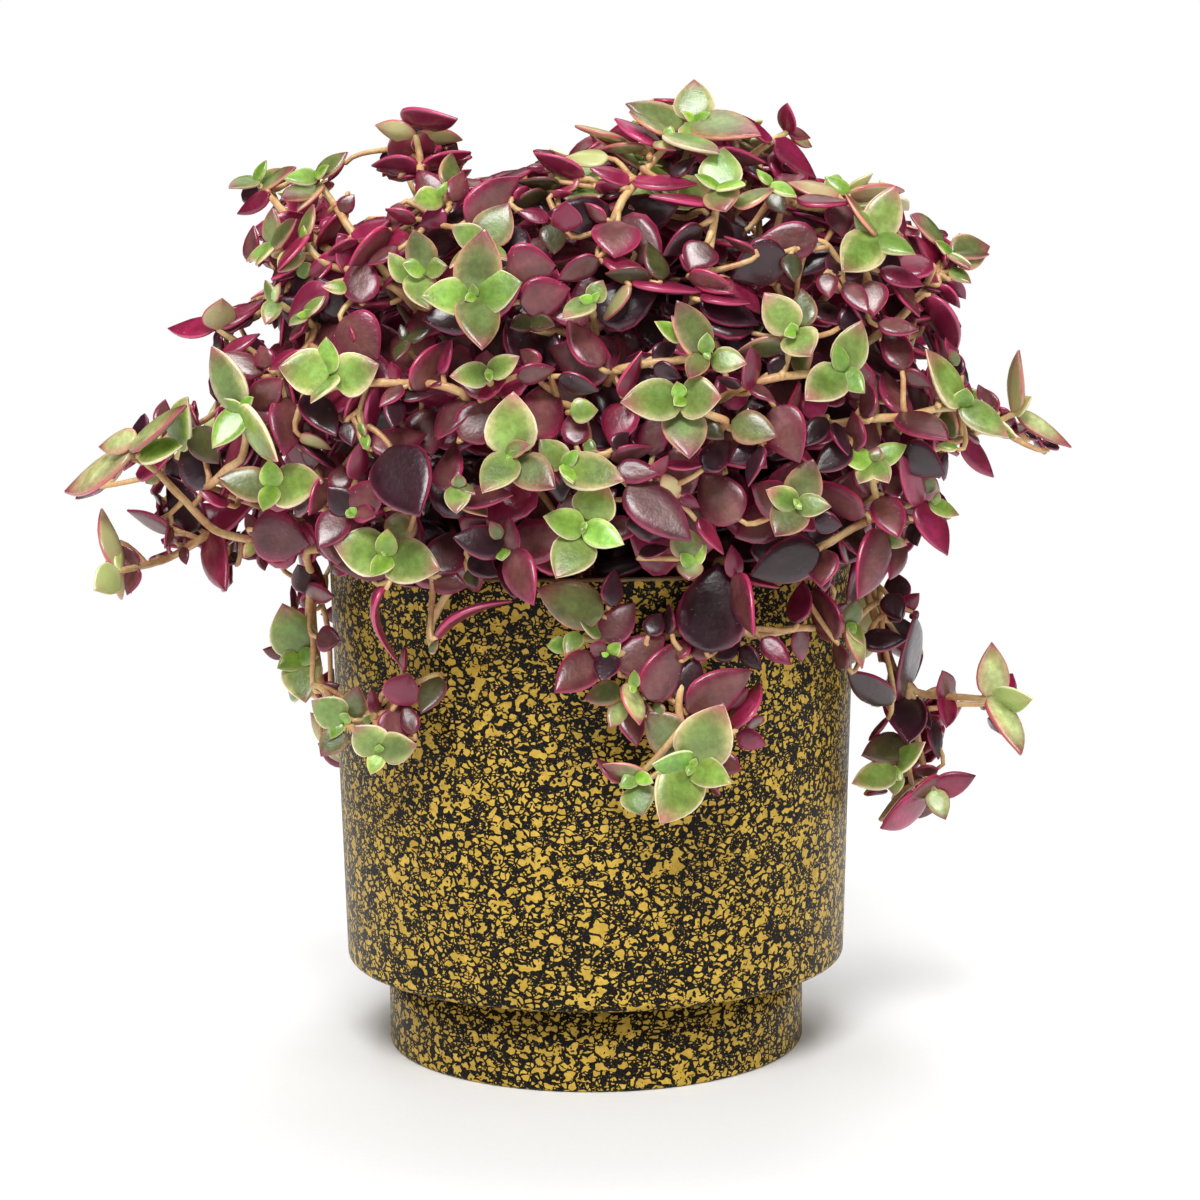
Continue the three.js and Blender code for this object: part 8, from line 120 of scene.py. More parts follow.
     [[814,-642,1576,-150,47,-75,161,94,1,10,5,0],[809,-655,1572,-73,56,166,50,50,0,10,5,1],[811,-643,1579,-18,-36,47,131,77,1,10,5,0],[806,-622,1663,-132,50,-124,45,27,2,14,5,1],[673,-717,1555,106,41,12,143,81,4,16,5,0],[671,-717,1556,-55,-22,15,159,98,4,16,5,0],[598,-763,1552,88,52,-51,100,61,4,16,5,0],[517,-794,1539,-57,-57,-5,83,51,5,16,5,0],[674,-715,1653,110,56,-9,120,71,4,16,5,0],[810,-605,1480,167,8,-50,47,28,1,10,5,0],[813,-592,1510,129,47,-115,119,77,2,14,5,0],[356,-816,1494,-165,-31,-78,73,56,5,16,5,0],[821,-573,1641,92,62,-54,58,36,5,16,5,0],[500,-806,1549,-158,-47,-58,81,52,5,16,5,0],[553,-786,1493,-166,-34,-64,99,66,5,16,5,0],[425,-706,1516,-10,-54,12,114,79,6,15,8,4],[424,-706,1523,-46,75,-153,114,105,4,15,8,4],[349,-657,1495,28,16,73,107,86,6,15,8,4],[343,-664,1494,-124,-7,-68,107,97,5,15,6,4],[275,-579,1450,179,81,-50,133,105,6,15,6,4],[276,-582,1444,-68,-32,-13,133,92,5,15,7,4],[226,-527,1398,-140,3,-48,120,92,4,15,8,4],[233,-521,1399,29,32,53,120,101,5,15,3,4],[197,-453,1306,-74,-27,-1,129,98,5,15,0,4],[193,-448,1310,171,51,-38,110,91,5,15,8,4],[178,-397,1243,-146,10,-43,100,72,5,15,0,4],[812,-543,1683,-147,67,-75,61,49,6,15,1,4],[785,-520,1675,76,36,74,149,122,4,15,2,4],[759,-581,1525,90,-38,86,90,82,6,15,6,4],[768,-516,1660,-98,-64,-73,102,90,4,15,2,4],[459,-619,1494,-3,14,31,130,100,6,15,1,4],[857,-359,1670,52,-61,64,72,52,5,15,0,4],[592,-686,1589,-136,68,-140,111,80,4,15,3,4],[799,-356,1687,-16,-52,34,100,79,5,15,9,4],[765,-481,1607,47,-61,50,101,87,6,15,5,4],[819,-268,1653,58,-58,-17,95,81,6,15,9,4],[455,-704,1567,34,14,65,83,72,6,15,5,4]]),
    ("shoot_front_18",
     [[210,-804,1250,206,-765,1246,205,-748,1245,203,-739,1247,199,-686,1242,176,-398,1209,165,-294,1194,153,-235,1183,141,-221,1173,128,-253,1166,115,-273,1156,103,-289,1143,75,-309,1110,47,-329,1070]],
     [[104,-780,1259,69,-782,1251,178,-751,1256,205,-761,1250],[156,-744,1339,185,-717,1342,186,-697,1270,200,-703,1244]],
     [[211,-814,1257,167,70,-70,77,70,2,14,5,0],[205,-806,1248,-4,41,75,56,49,0,10,5,0],[214,-818,1239,-160,50,-90,40,31,0,10,5,1],[211,-805,1251,-99,-50,-9,55,60,3,14,5,0],[104,-784,1263,3,13,45,66,40,5,16,5,0],[204,-736,1252,-13,72,105,137,109,4,15,1,4],[192,-642,1239,-157,28,-93,142,123,6,15,1,4],[187,-536,1228,-72,73,165,113,83,6,15,2,4],[176,-432,1214,-146,32,-100,114,105,5,15,8,4],[183,-432,1212,-17,-9,80,114,83,4,15,5,4],[172,-326,1203,7,47,84,93,77,5,15,0,4],[150,-235,1187,-169,55,-51,130,97,4,15,7,4],[160,-749,1340,-137,-4,-76,126,108,5,15,8,4]]),
    ("shoot_front_19",
     [[-209,-874,1639,-205,-820,1614,-200,-773,1590,-195,-700,1544,-190,-633,1490,-187,-531,1390,-187,-484,1352,-187,-489,1316,-188,-484,1278,-191,-429,1070]],
     [[-220,-840,1653,-220,-843,1641,-207,-832,1628,-205,-837,1621],[-230,-850,1594,-245,-851,1585,-208,-813,1604,-203,-810,1609],[-152,-850,1644,-172,-854,1639,-190,-831,1625,-205,-837,1621]],
     [[-207,-884,1647,-160,-2,-78,89,58,1,10,5,0],[-211,-884,1647,-7,29,79,77,52,1,10,5,0],[-207,-895,1643,-112,56,-145,20,19,0,10,5,1],[-209,-894,1650,-81,-47,9,26,17,0,10,5,1],[-218,-846,1654,81,75,19,46,51,4,16,5,0],[-232,-855,1598,3,31,48,69,40,6,14,5,0],[-151,-855,1642,12,13,108,83,49,4,16,5,0],[-199,-813,1612,-9,26,67,97,86,6,15,10,4],[-208,-813,1612,174,19,-63,77,64,4,15,7,4],[-195,-720,1561,10,72,66,108,83,6,15,5,4],[-196,-724,1555,-93,-36,1,108,75,5,15,5,4],[-196,-641,1497,-180,6,-49,103,80,6,15,7,4],[-187,-641,1497,-27,17,52,88,62,6,15,7,4],[-188,-567,1420,-110,-19,-16,146,100,4,15,1,4],[-185,-492,1354,-58,-23,26,95,76,6,15,3,4],[-191,-488,1359,163,37,-49,112,79,5,15,6,4],[-187,-475,1262,79,18,4,127,90,5,15,5,4],[-193,-482,1254,-135,19,-12,127,96,5,15,6,4]]),
    ("shoot_front_20",
     [[603,-748,1443,613,-709,1399,620,-693,1382,601,-646,1366,535,-549,1317,464,-458,1262,440,-430,1243,417,-404,1229,349,-335,1133,328,-314,1103,309,-296,1070]],
     [[630,-680,1373,626,-672,1383,606,-655,1370,603,-652,1368],[572,-770,1477,572,-781,1447,596,-722,1428,615,-721,1412],[675,-700,1484,647,-693,1500,620,-705,1430,615,-721,1412],[637,-676,1385,631,-681,1382,617,-675,1379,614,-678,1377],[549,-555,1304,546,-562,1310,530,-540,1310,528,-539,1311]],
     [[609,-753,1458,-150,3,-67,95,56,0,10,5,0],[607,-754,1457,10,25,71,81,53,0,10,5,0],[607,-752,1459,-126,-37,-30,83,53,1,10,5,0],[605,-752,1459,-68,-37,27,83,53,1,10,5,0],[605,-766,1457,38,65,45,35,35,2,14,5,1],[568,-775,1479,93,70,-37,92,55,4,16,5,0],[673,-706,1483,-14,-30,100,113,81,5,16,5,0],[630,-685,1376,-64,-47,26,118,77,4,16,5,0],[617,-675,1373,2,-34,64,95,66,4,15,3,4],[611,-674,1381,-177,78,-68,112,76,4,15,7,4],[557,-576,1335,33,52,77,126,116,4,15,8,4],[557,-580,1328,-56,-52,-1,126,91,5,15,8,4],[490,-495,1289,-167,49,-55,121,85,4,15,6,4],[497,-492,1283,9,-22,55,143,117,5,15,3,4],[429,-414,1239,32,58,86,144,99,6,15,7,4],[380,-360,1174,39,20,49,112,84,5,15,2,4],[375,-367,1173,-119,0,-45,96,86,5,15,4,4],[640,-680,1388,43,16,55,78,54,4,15,3,4],[549,-555,1304,71,-42,74,133,95,5,15,7,4]]),
    ("shoot_front_21",
     [[708,-640,1362,676,-622,1347,621,-633,1327,604,-639,1321,576,-653,1309,543,-652,1289,507,-647,1268,448,-556,1247,419,-506,1237,392,-453,1227,365,-395,1208,340,-393,1194,316,-386,1178,294,-376,1161,259,-344,1119,230,-309,1070]],
     [[511,-650,1256,513,-643,1266,493,-625,1262,491,-622,1262],[495,-680,1262,507,-678,1266,501,-650,1268,507,-646,1268],[641,-630,1298,647,-624,1308,637,-635,1325,641,-641,1333],[599,-690,1345,613,-697,1336,605,-652,1329,613,-647,1323],[648,-610,1283,630,-603,1289,637,-627,1322,641,-641,1333],[685,-570,1280,692,-555,1300,640,-600,1304,636,-620,1309],[716,-570,1307,713,-558,1318,677,-570,1301,671,-576,1298],[554,-543,1049,573,-563,996,441,-507,1206,428,-521,1240]],
     [[724,-643,1366,-33,-63,25,136,82,6,14,5,0],[726,-642,1363,-126,43,-98,156,74,6,14,5,0],[736,-635,1384,-41,70,133,43,45,2,14,5,1],[743,-647,1362,11,-25,62,75,43,1,10,5,1],[754,-648,1357,-57,68,151,34,21,1,10,5,1],[595,-694,1342,154,29,-124,151,89,4,16,5,0],[645,-634,1298,-131,-52,-83,181,110,4,16,5,0],[496,-686,1262,-172,-18,-94,165,104,5,16,5,0],[549,-546,1049,133,63,-100,134,95,4,16,5,0],[689,-574,1282,-116,-49,-66,121,74,4,16,5,0],[509,-654,1259,-100,-54,12,94,78,4,16,5,0],[646,-616,1284,-22,-17,83,57,36,1,10,5,0],[713,-574,1310,-76,-43,42,66,41,5,16,5,0],[495,-628,1258,-40,-73,16,96,79,4,15,5,4],[495,-626,1268,33,75,88,141,114,5,15,3,4],[437,-530,1241,-2,-13,71,127,99,4,15,8,4],[431,-533,1242,-124,5,-81,149,115,5,15,2,4],[383,-438,1227,179,68,-60,97,84,4,15,5,4],[302,-386,1167,-89,-5,-50,114,86,4,15,1,4],[311,-379,1171,41,-7,50,91,72,4,15,1,4]]),
    ("shoot_front_22",
     [[-188,-824,1282,-174,-726,1272,-166,-682,1269,-155,-615,1258,-141,-531,1239,-134,-492,1226,-127,-455,1211,-120,-420,1194,-113,-387,1173,-101,-328,1126,-95,-302,1099,-89,-279,1070]],
     [],
     [[-187,-834,1288,-165,9,-75,110,79,5,16,5,0],[-171,-825,1274,-53,-48,67,143,85,4,16,5,0],[-174,-826,1264,-2,86,73,85,51,4,16,5,0],[-191,-838,1303,-152,55,-104,45,32,2,14,5,1],[-187,-836,1280,-88,-43,9,35,35,0,10,5,1],[-179,-756,1280,-163,28,-97,125,112,4,15,1,4],[-172,-758,1279,-19,13,86,147,106,4,15,1,4],[-161,-652,1261,-91,-53,8,125,95,5,15,7,4],[-160,-652,1269,-11,75,89,125,87,5,15,5,4],[-137,-532,1240,-25,20,78,98,82,5,15,1,4],[-124,-443,1209,-6,81,81,95,76,6,15,5,4],[-125,-448,1202,-82,-57,17,95,71,4,15,1,4]]),
    ("shoot_front_23",
     [[575,-467,1078,537,-478,1072,520,-488,1072,504,-499,1073,480,-533,1076,463,-544,1077,341,-595,1073,327,-595,1136,320,-592,1198,307,-569,1225,286,-524,1229,272,-483,1150,262,-449,1070],[215,-733,796,193,-704,889,189,-700,908,190,-698,947,194,-691,964,202,-674,985,223,-655,1007,275,-625,1057,333,-595,1104],[32,-754,1036,88,-698,1049,102,-686,1053,117,-680,1059,135,-678,1066,152,-671,1071,307,-599,1120,327,-595,1136],[90,-742,967,89,-708,982,88,-707,1002,86,-681,1050],[-24,-724,1077,10,-704,1071,26,-706,1072,43,-702,1070,75,-688,1068,152,-671,1071],[99,-723,773,142,-716,815,155,-717,830,168,-724,846,181,-727,862,196,-724,879]],
     [[314,-680,1202,316,-674,1172,314,-603,1198,320,-593,1191],[320,-680,1207,312,-657,1233,308,-590,1218,312,-578,1215],[378,-610,1058,354,-600,1077,334,-588,1119,328,-595,1131],[331,-640,1044,309,-623,1063,323,-594,1117,328,-595,1131],[273,-660,1020,253,-672,1004,304,-622,1063,320,-622,1070],[249,-701,1042,244,-710,1014,282,-639,1056,298,-633,1052],[219,-680,1034,187,-682,1025,275,-633,1055,298,-633,1052],[192,-700,1025,185,-710,1013,216,-667,1038,226,-665,1037],[174,-707,1083,174,-715,1061,196,-680,1047,206,-683,1029],[130,-690,958,102,-674,988,199,-656,1028,226,-665,1037],[114,-722,945,103,-729,929,125,-682,978,130,-678,982],[73,-710,970,68,-695,987,115,-678,984,130,-678,982],[122,-712,1080,104,-728,1057,141,-668,1026,150,-670,1000],[192,-691,934,181,-700,909,143,-672,977,130,-678,982],[60,-710,961,86,-701,967,112,-676,983,130,-678,982],[73,-700,925,67,-685,949,115,-673,975,130,-678,982],[60,-722,1005,37,-731,987,112,-678,994,130,-678,982],[64,-710,931,78,-693,953,113,-675,977,130,-678,982],[205,-682,915,174,-648,895,160,-613,984,150,-670,1000],[152,-701,902,164,-713,877,97,-680,945,82,-687,949],[114,-713,904,121,-724,882,90,-693,959,83,-698,969],[236,-686,886,248,-693,867,192,-680,921,181,-688,925],[26,-722,1071,5,-731,1047,62,-699,1018,74,-707,992],[208,-702,822,228,-705,805,215,-682,883,220,-687,894],[292,-660,920,269,-664,903,235,-671,908,220,-687,894],[316,-692,869,299,-711,845,240,-677,897,220,-687,894],[320,-640,849,292,-639,858,276,-650,902,267,-665,909],[281,-660,797,256,-651,810,231,-678,837,219,-696,839],[22,-716,1125,58,-721,1111,45,-695,1051,53,-709,1017],[460,-583,1090,453,-601,1059,375,-586,1089,358,-601,1080],[35,-718,1147,33,-680,1128,40,-661,1113,42,-714,1104],[58,-724,758,104,-738,722,191,-666,831,237,-675,829],[331,-601,889,351,-600,893,302,-626,877,297,-643,866],[341,-603,873,327,-619,873,304,-627,874,297,-643,866],[261,-678,747,256,-695,763,255,-659,803,257,-662,813]],
     [[215,-744,797,-16,66,101,158,132,1,10,5,0],[217,-743,799,-139,-47,-62,155,117,1,10,5,0],[229,-735,798,-150,7,-105,122,73,0,10,5,0],[213,-742,800,-41,-16,58,116,71,0,10,5,0],[213,-756,797,-44,56,123,26,20,0,10,5,1],[216,-755,802,-126,-42,-41,31,22,0,10,5,1],[10,-755,1040,-146,-31,-57,133,88,4,16,5,0],[39,-766,1047,-108,-41,-14,83,62,5,16,5,1],[36,-768,1046,-26,44,95,40,31,0,10,5,1],[28,-767,1051,-154,27,-85,43,40,4,16,5,1],[35,-775,1041,-155,33,-88,20,15,0,10,5,1],[90,-764,972,3,87,86,41,26,0,10,5,0],[92,-774,977,-133,-25,-49,21,20,0,10,5,1],[588,-474,1077,-17,73,114,63,48,2,14,5,0],[591,-472,1080,-55,-69,-4,110,66,3,14,5,0],[585,-485,1083,-62,-46,28,35,24,0,10,5,1],[588,-485,1082,-39,-56,20,59,36,1,10,5,1],[465,-543,1076,69,-71,123,82,53,4,16,5,0],[-56,-726,1064,-167,-1,-72,44,40,0,10,5,0],[-30,-725,1089,-134,-46,-39,62,45,1,10,5,0],[20,-725,1080,-175,34,-51,60,35,1,10,5,0],[114,-725,767,-171,23,-133,102,60,2,14,5,0],[98,-733,777,-159,-28,-61,51,38,0,10,5,0],[94,-744,779,-43,-16,66,52,33,0,10,5,1],[89,-725,753,-60,-55,44,74,81,1,10,5,0],[219,-686,1034,3,15,83,59,40,4,16,5,0],[315,-683,1207,-71,-48,80,166,94,4,16,5,0],[22,-722,1126,172,21,-77,155,106,2,14,5,0],[26,-727,1073,23,46,58,108,77,4,16,5,0],[117,-727,945,32,51,82,159,101,4,16,5,0],[61,-715,964,-160,-12,-67,88,58,2,14,5,0],[77,-713,974,-72,-48,-31,110,67,3,14,5,0],[250,-707,1044,63,71,35,200,160,5,16,5,0],[206,-696,915,14,27,91,171,102,4,16,5,0],[314,-680,1202,-110,77,41,78,46,6,14,5,0],[457,-587,1093,67,59,-14,105,66,6,14,5,0],[312,-694,873,47,43,-17,134,88,6,14,5,0],[193,-697,935,38,61,59,103,81,5,16,5,0],[61,-728,1007,21,36,63,127,90,4,16,5,0],[377,-616,1060,-22,-37,65,88,52,6,14,5,0],[319,-646,849,-2,-17,93,70,50,6,14,5,0],[39,-730,1148,66,72,60,84,60,5,16,5,0],[190,-704,1029,55,45,5,57,37,4,16,5,0],[207,-708,822,173,42,-91,130,104,2,14,5,0],[61,-728,763,163,38,-26,75,45,4,16,5,0],[66,-715,933,-129,-45,-46,70,49,3,14,5,0],[236,-692,888,152,54,-53,58,46,4,16,5,0],[279,-666,798,-20,-26,75,54,54,4,16,5,0],[293,-666,920,11,35,91,64,46,4,16,5,0],[130,-695,961,-30,-42,51,40,32,3,14,5,0],[113,-718,906,119,60,-42,43,27,5,16,5,0],[75,-705,928,-68,-57,0,103,64,4,16,5,0],[150,-707,904,136,56,-61,37,32,2,14,5,0],[274,-665,1022,32,35,69,78,49,5,16,5,0],[327,-645,1044,-38,-35,91,75,45,5,16,5,0],[122,-717,1083,42,44,43,62,49,5,16,5,0],[170,-710,1084,89,70,-51,67,42,5,16,5,0],[325,-594,1198,-22,-11,180,103,74,4,15,5,4],[284,-514,1219,70,43,19,94,84,4,15,2,4],[330,-605,893,-176,-12,-44,60,44,4,15,8,4],[345,-607,870,49,1,123,64,45,4,15,2,4],[261,-678,747,73,-41,35,54,37,5,15,9,4]]),
    ("shoot_front_24",
     [[-382,-530,2179,-376,-513,2143,-374,-524,2132,-370,-579,2109,-365,-608,2082,-361,-611,2068,-333,-537,1994,-318,-490,1954,-302,-498,1920,-287,-500,1885,-272,-498,1849,-258,-492,1813,-233,-473,1739,-206,-439,1623,-196,-417,1542,-190,-397,1459,-191,-350,1244,-194,-316,1111,-196,-349,1070]],
     [[-417,-555,2086,-434,-567,2083,-380,-548,2106,-372,-552,2120],[-437,-365,2209,-486,-331,2203,-377,-473,2129,-374,-524,2132],[-372,-463,2183,-369,-473,2172,-386,-464,2148,-394,-469,2144],[-425,-483,2111,-419,-471,2121,-399,-468,2131,-394,-469,2144],[-339,-367,2182,-357,-334,2185,-414,-363,2177,-447,-371,2192],[-308,-486,2123,-338,-466,2122,-379,-466,2113,-410,-471,2125],[-325,-392,2154,-318,-379,2169,-350,-358,2168,-363,-352,2183],[-559,-357,2138,-531,-343,2179,-442,-352,2158,-420,-363,2185],[-374,-459,2146,-370,-451,2153,-360,-464,2122,-357,-470,2120],[-315,-112,2149,-282,-152,2178,-360,-289,2147,-392,-355,2183],[-360,-195,2090,-337,-242,2060,-349,-305,2137,-363,-352,2183],[-333,-314,2108,-343,-306,2100,-341,-279,2101,-348,-271,2107],[-234,-241,2099,-219,-277,2092,-314,-239,2079,-348,-247,2092],[-373,-14,2209,-334,4,2237,-314,-106,2151,-307,-138,2158],[-215,-59,2119,-212,-119,2115,-234,-203,2069,-253,-257,2091],[-328,-103,2175,-322,-102,2179,-315,-109,2164,-313,-112,2164],[-484,-126,2157,-534,-95,2147,-346,-92,2150,-319,-87,2175],[-339,-151,2123,-344,-130,2123,-315,-119,2146,-313,-112,2164],[-273,-128,2107,-289,-110,2105,-226,-96,2103,-215,-88,2114],[-219,-12,2133,-244,-29,2123,-229,-76,2101,-238,-98,2107],[-480,-194,2151,-467,-245,2151,-363,-231,2143,-341,-251,2164],[-318,-547,2078,-324,-561,2062,-335,-559,2033,-345,-571,2026],[-311,-411,1991,-342,-404,1986,-308,-463,1948,-314,-491,1947],[-441,-235,2136,-450,-230,2133,-453,-221,2143,-460,-218,2151],[-359,-232,2141,-371,-216,2138,-350,-221,2091,-352,-221,2084],[-285,-31,2106,-295,-14,2106,-243,-34,2109,-233,-37,2121],[-191,-315,2089,-208,-336,2076,-234,-265,2080,-253,-257,2091],[-312,-350,2076,-335,-350,2071,-330,-302,2088,-342,-293,2102],[-239,-428,2060,-277,-406,2061,-215,-325,2061,-215,-305,2081],[-349,-309,2194,-339,-318,2198,-353,-324,2166,-358,-333,2163],[-477,-339,2130,-493,-333,2121,-449,-348,2156,-446,-356,2172],[-319,-161,2190,-309,-145,2196,-311,-122,2163,-313,-112,2164],[-338,-168,2193,-336,-183,2191,-321,-187,2165,-319,-196,2163],[-336,-402,2182,-327,-401,2191,-335,-374,2168,-338,-368,2169],[-371,-13,2142,-352,-35,2142,-348,-70,2147,-349,-90,2164],[-465,57,2194,-426,30,2226,-354,-17,2179,-335,-41,2201],[-307,73,2122,-314,35,2115,-265,-4,2098,-261,-28,2110],[-442,16,2192,-414,32,2207,-365,-11,2194,-349,-21,2212],[-387,-107,2168,-395,-101,2164,-404,-97,2153,-413,-95,2154],[-436,-407,2099,-451,-383,2100,-450,-355,2127,-462,-345,2148],[-365,-477,2131,-373,-471,2135,-385,-468,2137,-394,-469,2144],[-299,72,2100,-307,65,2099,-300,51,2108,-303,45,2116],[-214,-147,2035,-199,-163,2041,-222,-164,2069,-228,-173,2092],[-467,-115,2015,-419,-126,2049,-345,-117,2086,-328,-126,2138],[-155,-131,2044,-139,-158,2055,-207,-159,2067,-228,-173,2092],[-265,-148,2076,-251,-152,2085,-230,-144,2087,-222,-145,2100],[-480,-225,1983,-444,-269,1984,-368,-213,2042,-352,-221,2084],[-209,-9,2111,-203,-21,2112,-225,-30,2113,-233,-37,2121],[-475,-83,2026,-472,-100,2027,-445,-109,2025,-441,-119,2032],[-80,-170,2021,-111,-176,2018,-140,-151,2034,-162,-150,2056],[-269,-261,1967,-256,-300,1946,-227,-303,2029,-224,-328,2070],[-348,-612,1990,-336,-611,2005,-343,-575,2012,-345,-571,2026],[-485,-198,1973,-479,-185,1984,-459,-227,1980,-457,-239,1990],[-207,-146,2040,-217,-147,2037,-212,-158,2052,-215,-164,2062]],
     [[-383,-518,2180,176,15,46,96,60,3,14,5,0],[-383,-518,2180,39,0,-28,133,70,3,14,5,0],[-409,-510,2216,-40,-5,-26,157,93,6,14,5,0],[-383,-518,2180,128,-25,35,118,78,2,14,5,0],[-382,-530,2179,61,-24,-42,84,55,2,14,5,1],[-370,-578,2106,163,3,34,118,75,6,14,5,0],[-370,-578,2106,19,14,-26,122,73,6,14,5,0],[-369,-590,2105,53,-23,-50,29,31,2,14,5,1],[-327,-522,1976,-88,-34,16,147,125,5,15,4,4],[-328,-516,1983,100,52,-22,147,105,4,15,7,4],[-289,-501,1904,-21,47,5,88,76,5,15,8,4],[-299,-496,1900,143,-8,-11,104,88,4,15,1,4],[-260,-488,1812,136,11,-23,132,93,4,15,3,4],[-255,-496,1805,-95,11,20,132,90,6,15,4,4],[-219,-462,1707,10,25,14,138,105,5,15,8,4],[-199,-437,1604,-36,11,18,148,111,5,15,10,4],[-208,-431,1611,130,11,-16,100,77,6,15,3,4],[-188,-411,1511,-21,26,16,145,103,5,15,3,4],[-199,-413,1516,-153,-4,-10,124,88,5,15,4,4],[-194,-386,1419,163,9,-12,105,81,5,15,10,4],[-183,-389,1413,-23,19,13,84,69,4,15,4,4],[-192,-373,1326,-115,16,-7,89,73,5,15,5,4],[-187,-365,1333,61,22,7,111,98,5,15,4,4],[-187,-351,1232,-44,-7,8,114,82,4,15,5,4],[-196,-347,1233,178,12,-13,134,120,4,15,4,4],[-417,-555,2086,35,8,2,64,57,4,15,6,4],[-439,-367,2214,-34,6,36,132,120,4,15,8,4],[-373,-467,2187,110,44,-24,57,51,5,15,8,4],[-425,-486,2115,-118,-37,-15,53,47,4,15,8,4],[-339,-367,2182,-61,-4,12,82,71,5,15,3,4],[-308,-487,2129,-33,2,13,60,50,4,15,4,4],[-328,-396,2159,-121,-45,3,112,85,5,15,4,4],[-563,-360,2142,-153,-53,-6,61,42,5,15,7,4],[-373,-463,2150,-115,-43,-26,53,45,6,15,1,4],[-315,-112,2149,129,-29,-31,98,88,4,15,6,4],[-359,-198,2095,116,29,1,121,90,4,15,5,4],[-333,-314,2108,-40,32,21,101,72,4,15,1,4],[-235,-243,2105,113,11,-17,55,43,4,15,5,4],[-375,-18,2213,-155,-33,-25,135,116,4,15,10,4],[-215,-59,2119,93,3,-1,100,88,5,15,9,4],[-328,-103,2175,-175,-33,-6,100,73,5,15,8,4],[-484,-126,2157,-32,10,-5,142,126,4,15,5,4],[-339,-151,2123,-77,1,-14,107,83,5,15,9,4],[-273,-128,2107,-49,6,18,87,60,4,15,1,4],[-219,-12,2133,34,18,-3,110,81,4,15,4,4],[-480,-194,2151,104,0,-38,57,46,6,15,4,4],[-318,-547,2078,69,46,-59,85,64,4,15,10,4],[-313,-414,1996,-13,8,32,110,79,4,15,8,4],[-444,-236,2141,-28,18,25,55,39,4,15,5,4],[-359,-232,2141,-54,7,-4,98,70,4,15,7,4],[-288,-33,2111,-58,1,40,76,67,4,15,7,4],[-194,-316,2094,52,25,-8,103,89,4,15,5,4],[-312,-354,2080,2,14,50,52,48,4,15,9,4],[-239,-429,2066,-30,-2,15,117,95,5,15,3,4],[-349,-309,2194,142,-13,1,140,121,6,15,2,4],[-480,-344,2132,-19,30,67,90,65,5,15,2,4],[-314,-164,2188,-124,-15,-110,61,56,5,15,5,4],[-338,-168,2193,98,6,21,59,48,4,15,10,4],[-339,-406,2185,-175,-44,-43,108,83,6,15,0,4],[-371,-13,2142,129,0,39,111,90,4,15,0,4],[-465,57,2194,146,-34,8,78,54,6,15,8,4],[-305,71,2128,79,10,17,66,47,4,15,1,4],[-442,16,2192,-151,-23,30,95,84,4,15,9,4],[-387,-107,2168,-39,19,-6,52,46,5,15,3,4],[-436,-407,2099,-58,-2,7,87,76,4,15,2,4],[-364,-480,2136,-38,-23,18,68,52,4,15,2,4],[-299,72,2100,40,7,-19,107,82,4,15,2,4],[-214,-147,2035,135,-17,-14,132,117,5,15,2,4],[-467,-115,2015,167,-34,-8,145,113,4,15,2,4],[-155,-131,2044,121,-18,-17,137,110,5,15,3,4],[-265,-148,2076,161,-33,-2,124,98,4,15,2,4],[-480,-225,1983,129,-1,-14,100,89,4,15,9,4],[-209,-9,2111,117,-7,-9,97,80,4,15,2,4],[-475,-83,2026,100,-2,11,101,90,5,15,5,4],[-80,-170,2021,12,6,-8,116,86,5,15,3,4],[-266,-263,1972,109,28,19,117,98,5,15,2,4],[-348,-612,1990,-177,-51,-7,97,83,4,15,9,4],[-488,-201,1977,-114,-38,17,78,64,4,15,3,4],[-209,-149,2045,2,20,26,68,47,5,15,4,4]]),
    ("shoot_front_25",
     [[-611,-657,1933,-586,-664,1902,-552,-675,1884,-536,-684,1879,-520,-696,1877,-504,-703,1872,-438,-713,1846,-404,-722,1826,-351,-530,1764,-327,-485,1737,-304,-494,1714,-266,-500,1663,-250,-497,1637,-237,-489,1608,-227,-476,1578,-220,-458,1545,-216,-435,1511,-215,-407,1475,-216,-340,1396,-219,-300,1355,-222,-255,1313,-226,-268,1275,-230,-276,1236,-239,-285,1154,-248,-288,1070],[-768,-286,2098,-729,-345,2060,-721,-361,2053,-710,-396,2042,-700,-409,2032,-683,-414,2015,-661,-448,1995,-638,-475,1976,-614,-500,1956,-588,-522,1936,-532,-622,1900,-477,-707,1861],[-675,-617,1926,-694,-583,1918,-680,-580,1913,-663,-585,1909,-650,-600,1911,-634,-612,1911,-591,-634,1906,-554,-606,1887,-438,-713,1846],[-596,-531,2075,-574,-534,2042,-558,-562,2020,-551,-581,2014,-545,-595,2005,-531,-611,1982,-507,-623,1950,-457,-641,1888,-431,-643,1857,-405,-640,1826,-378,-629,1796]],
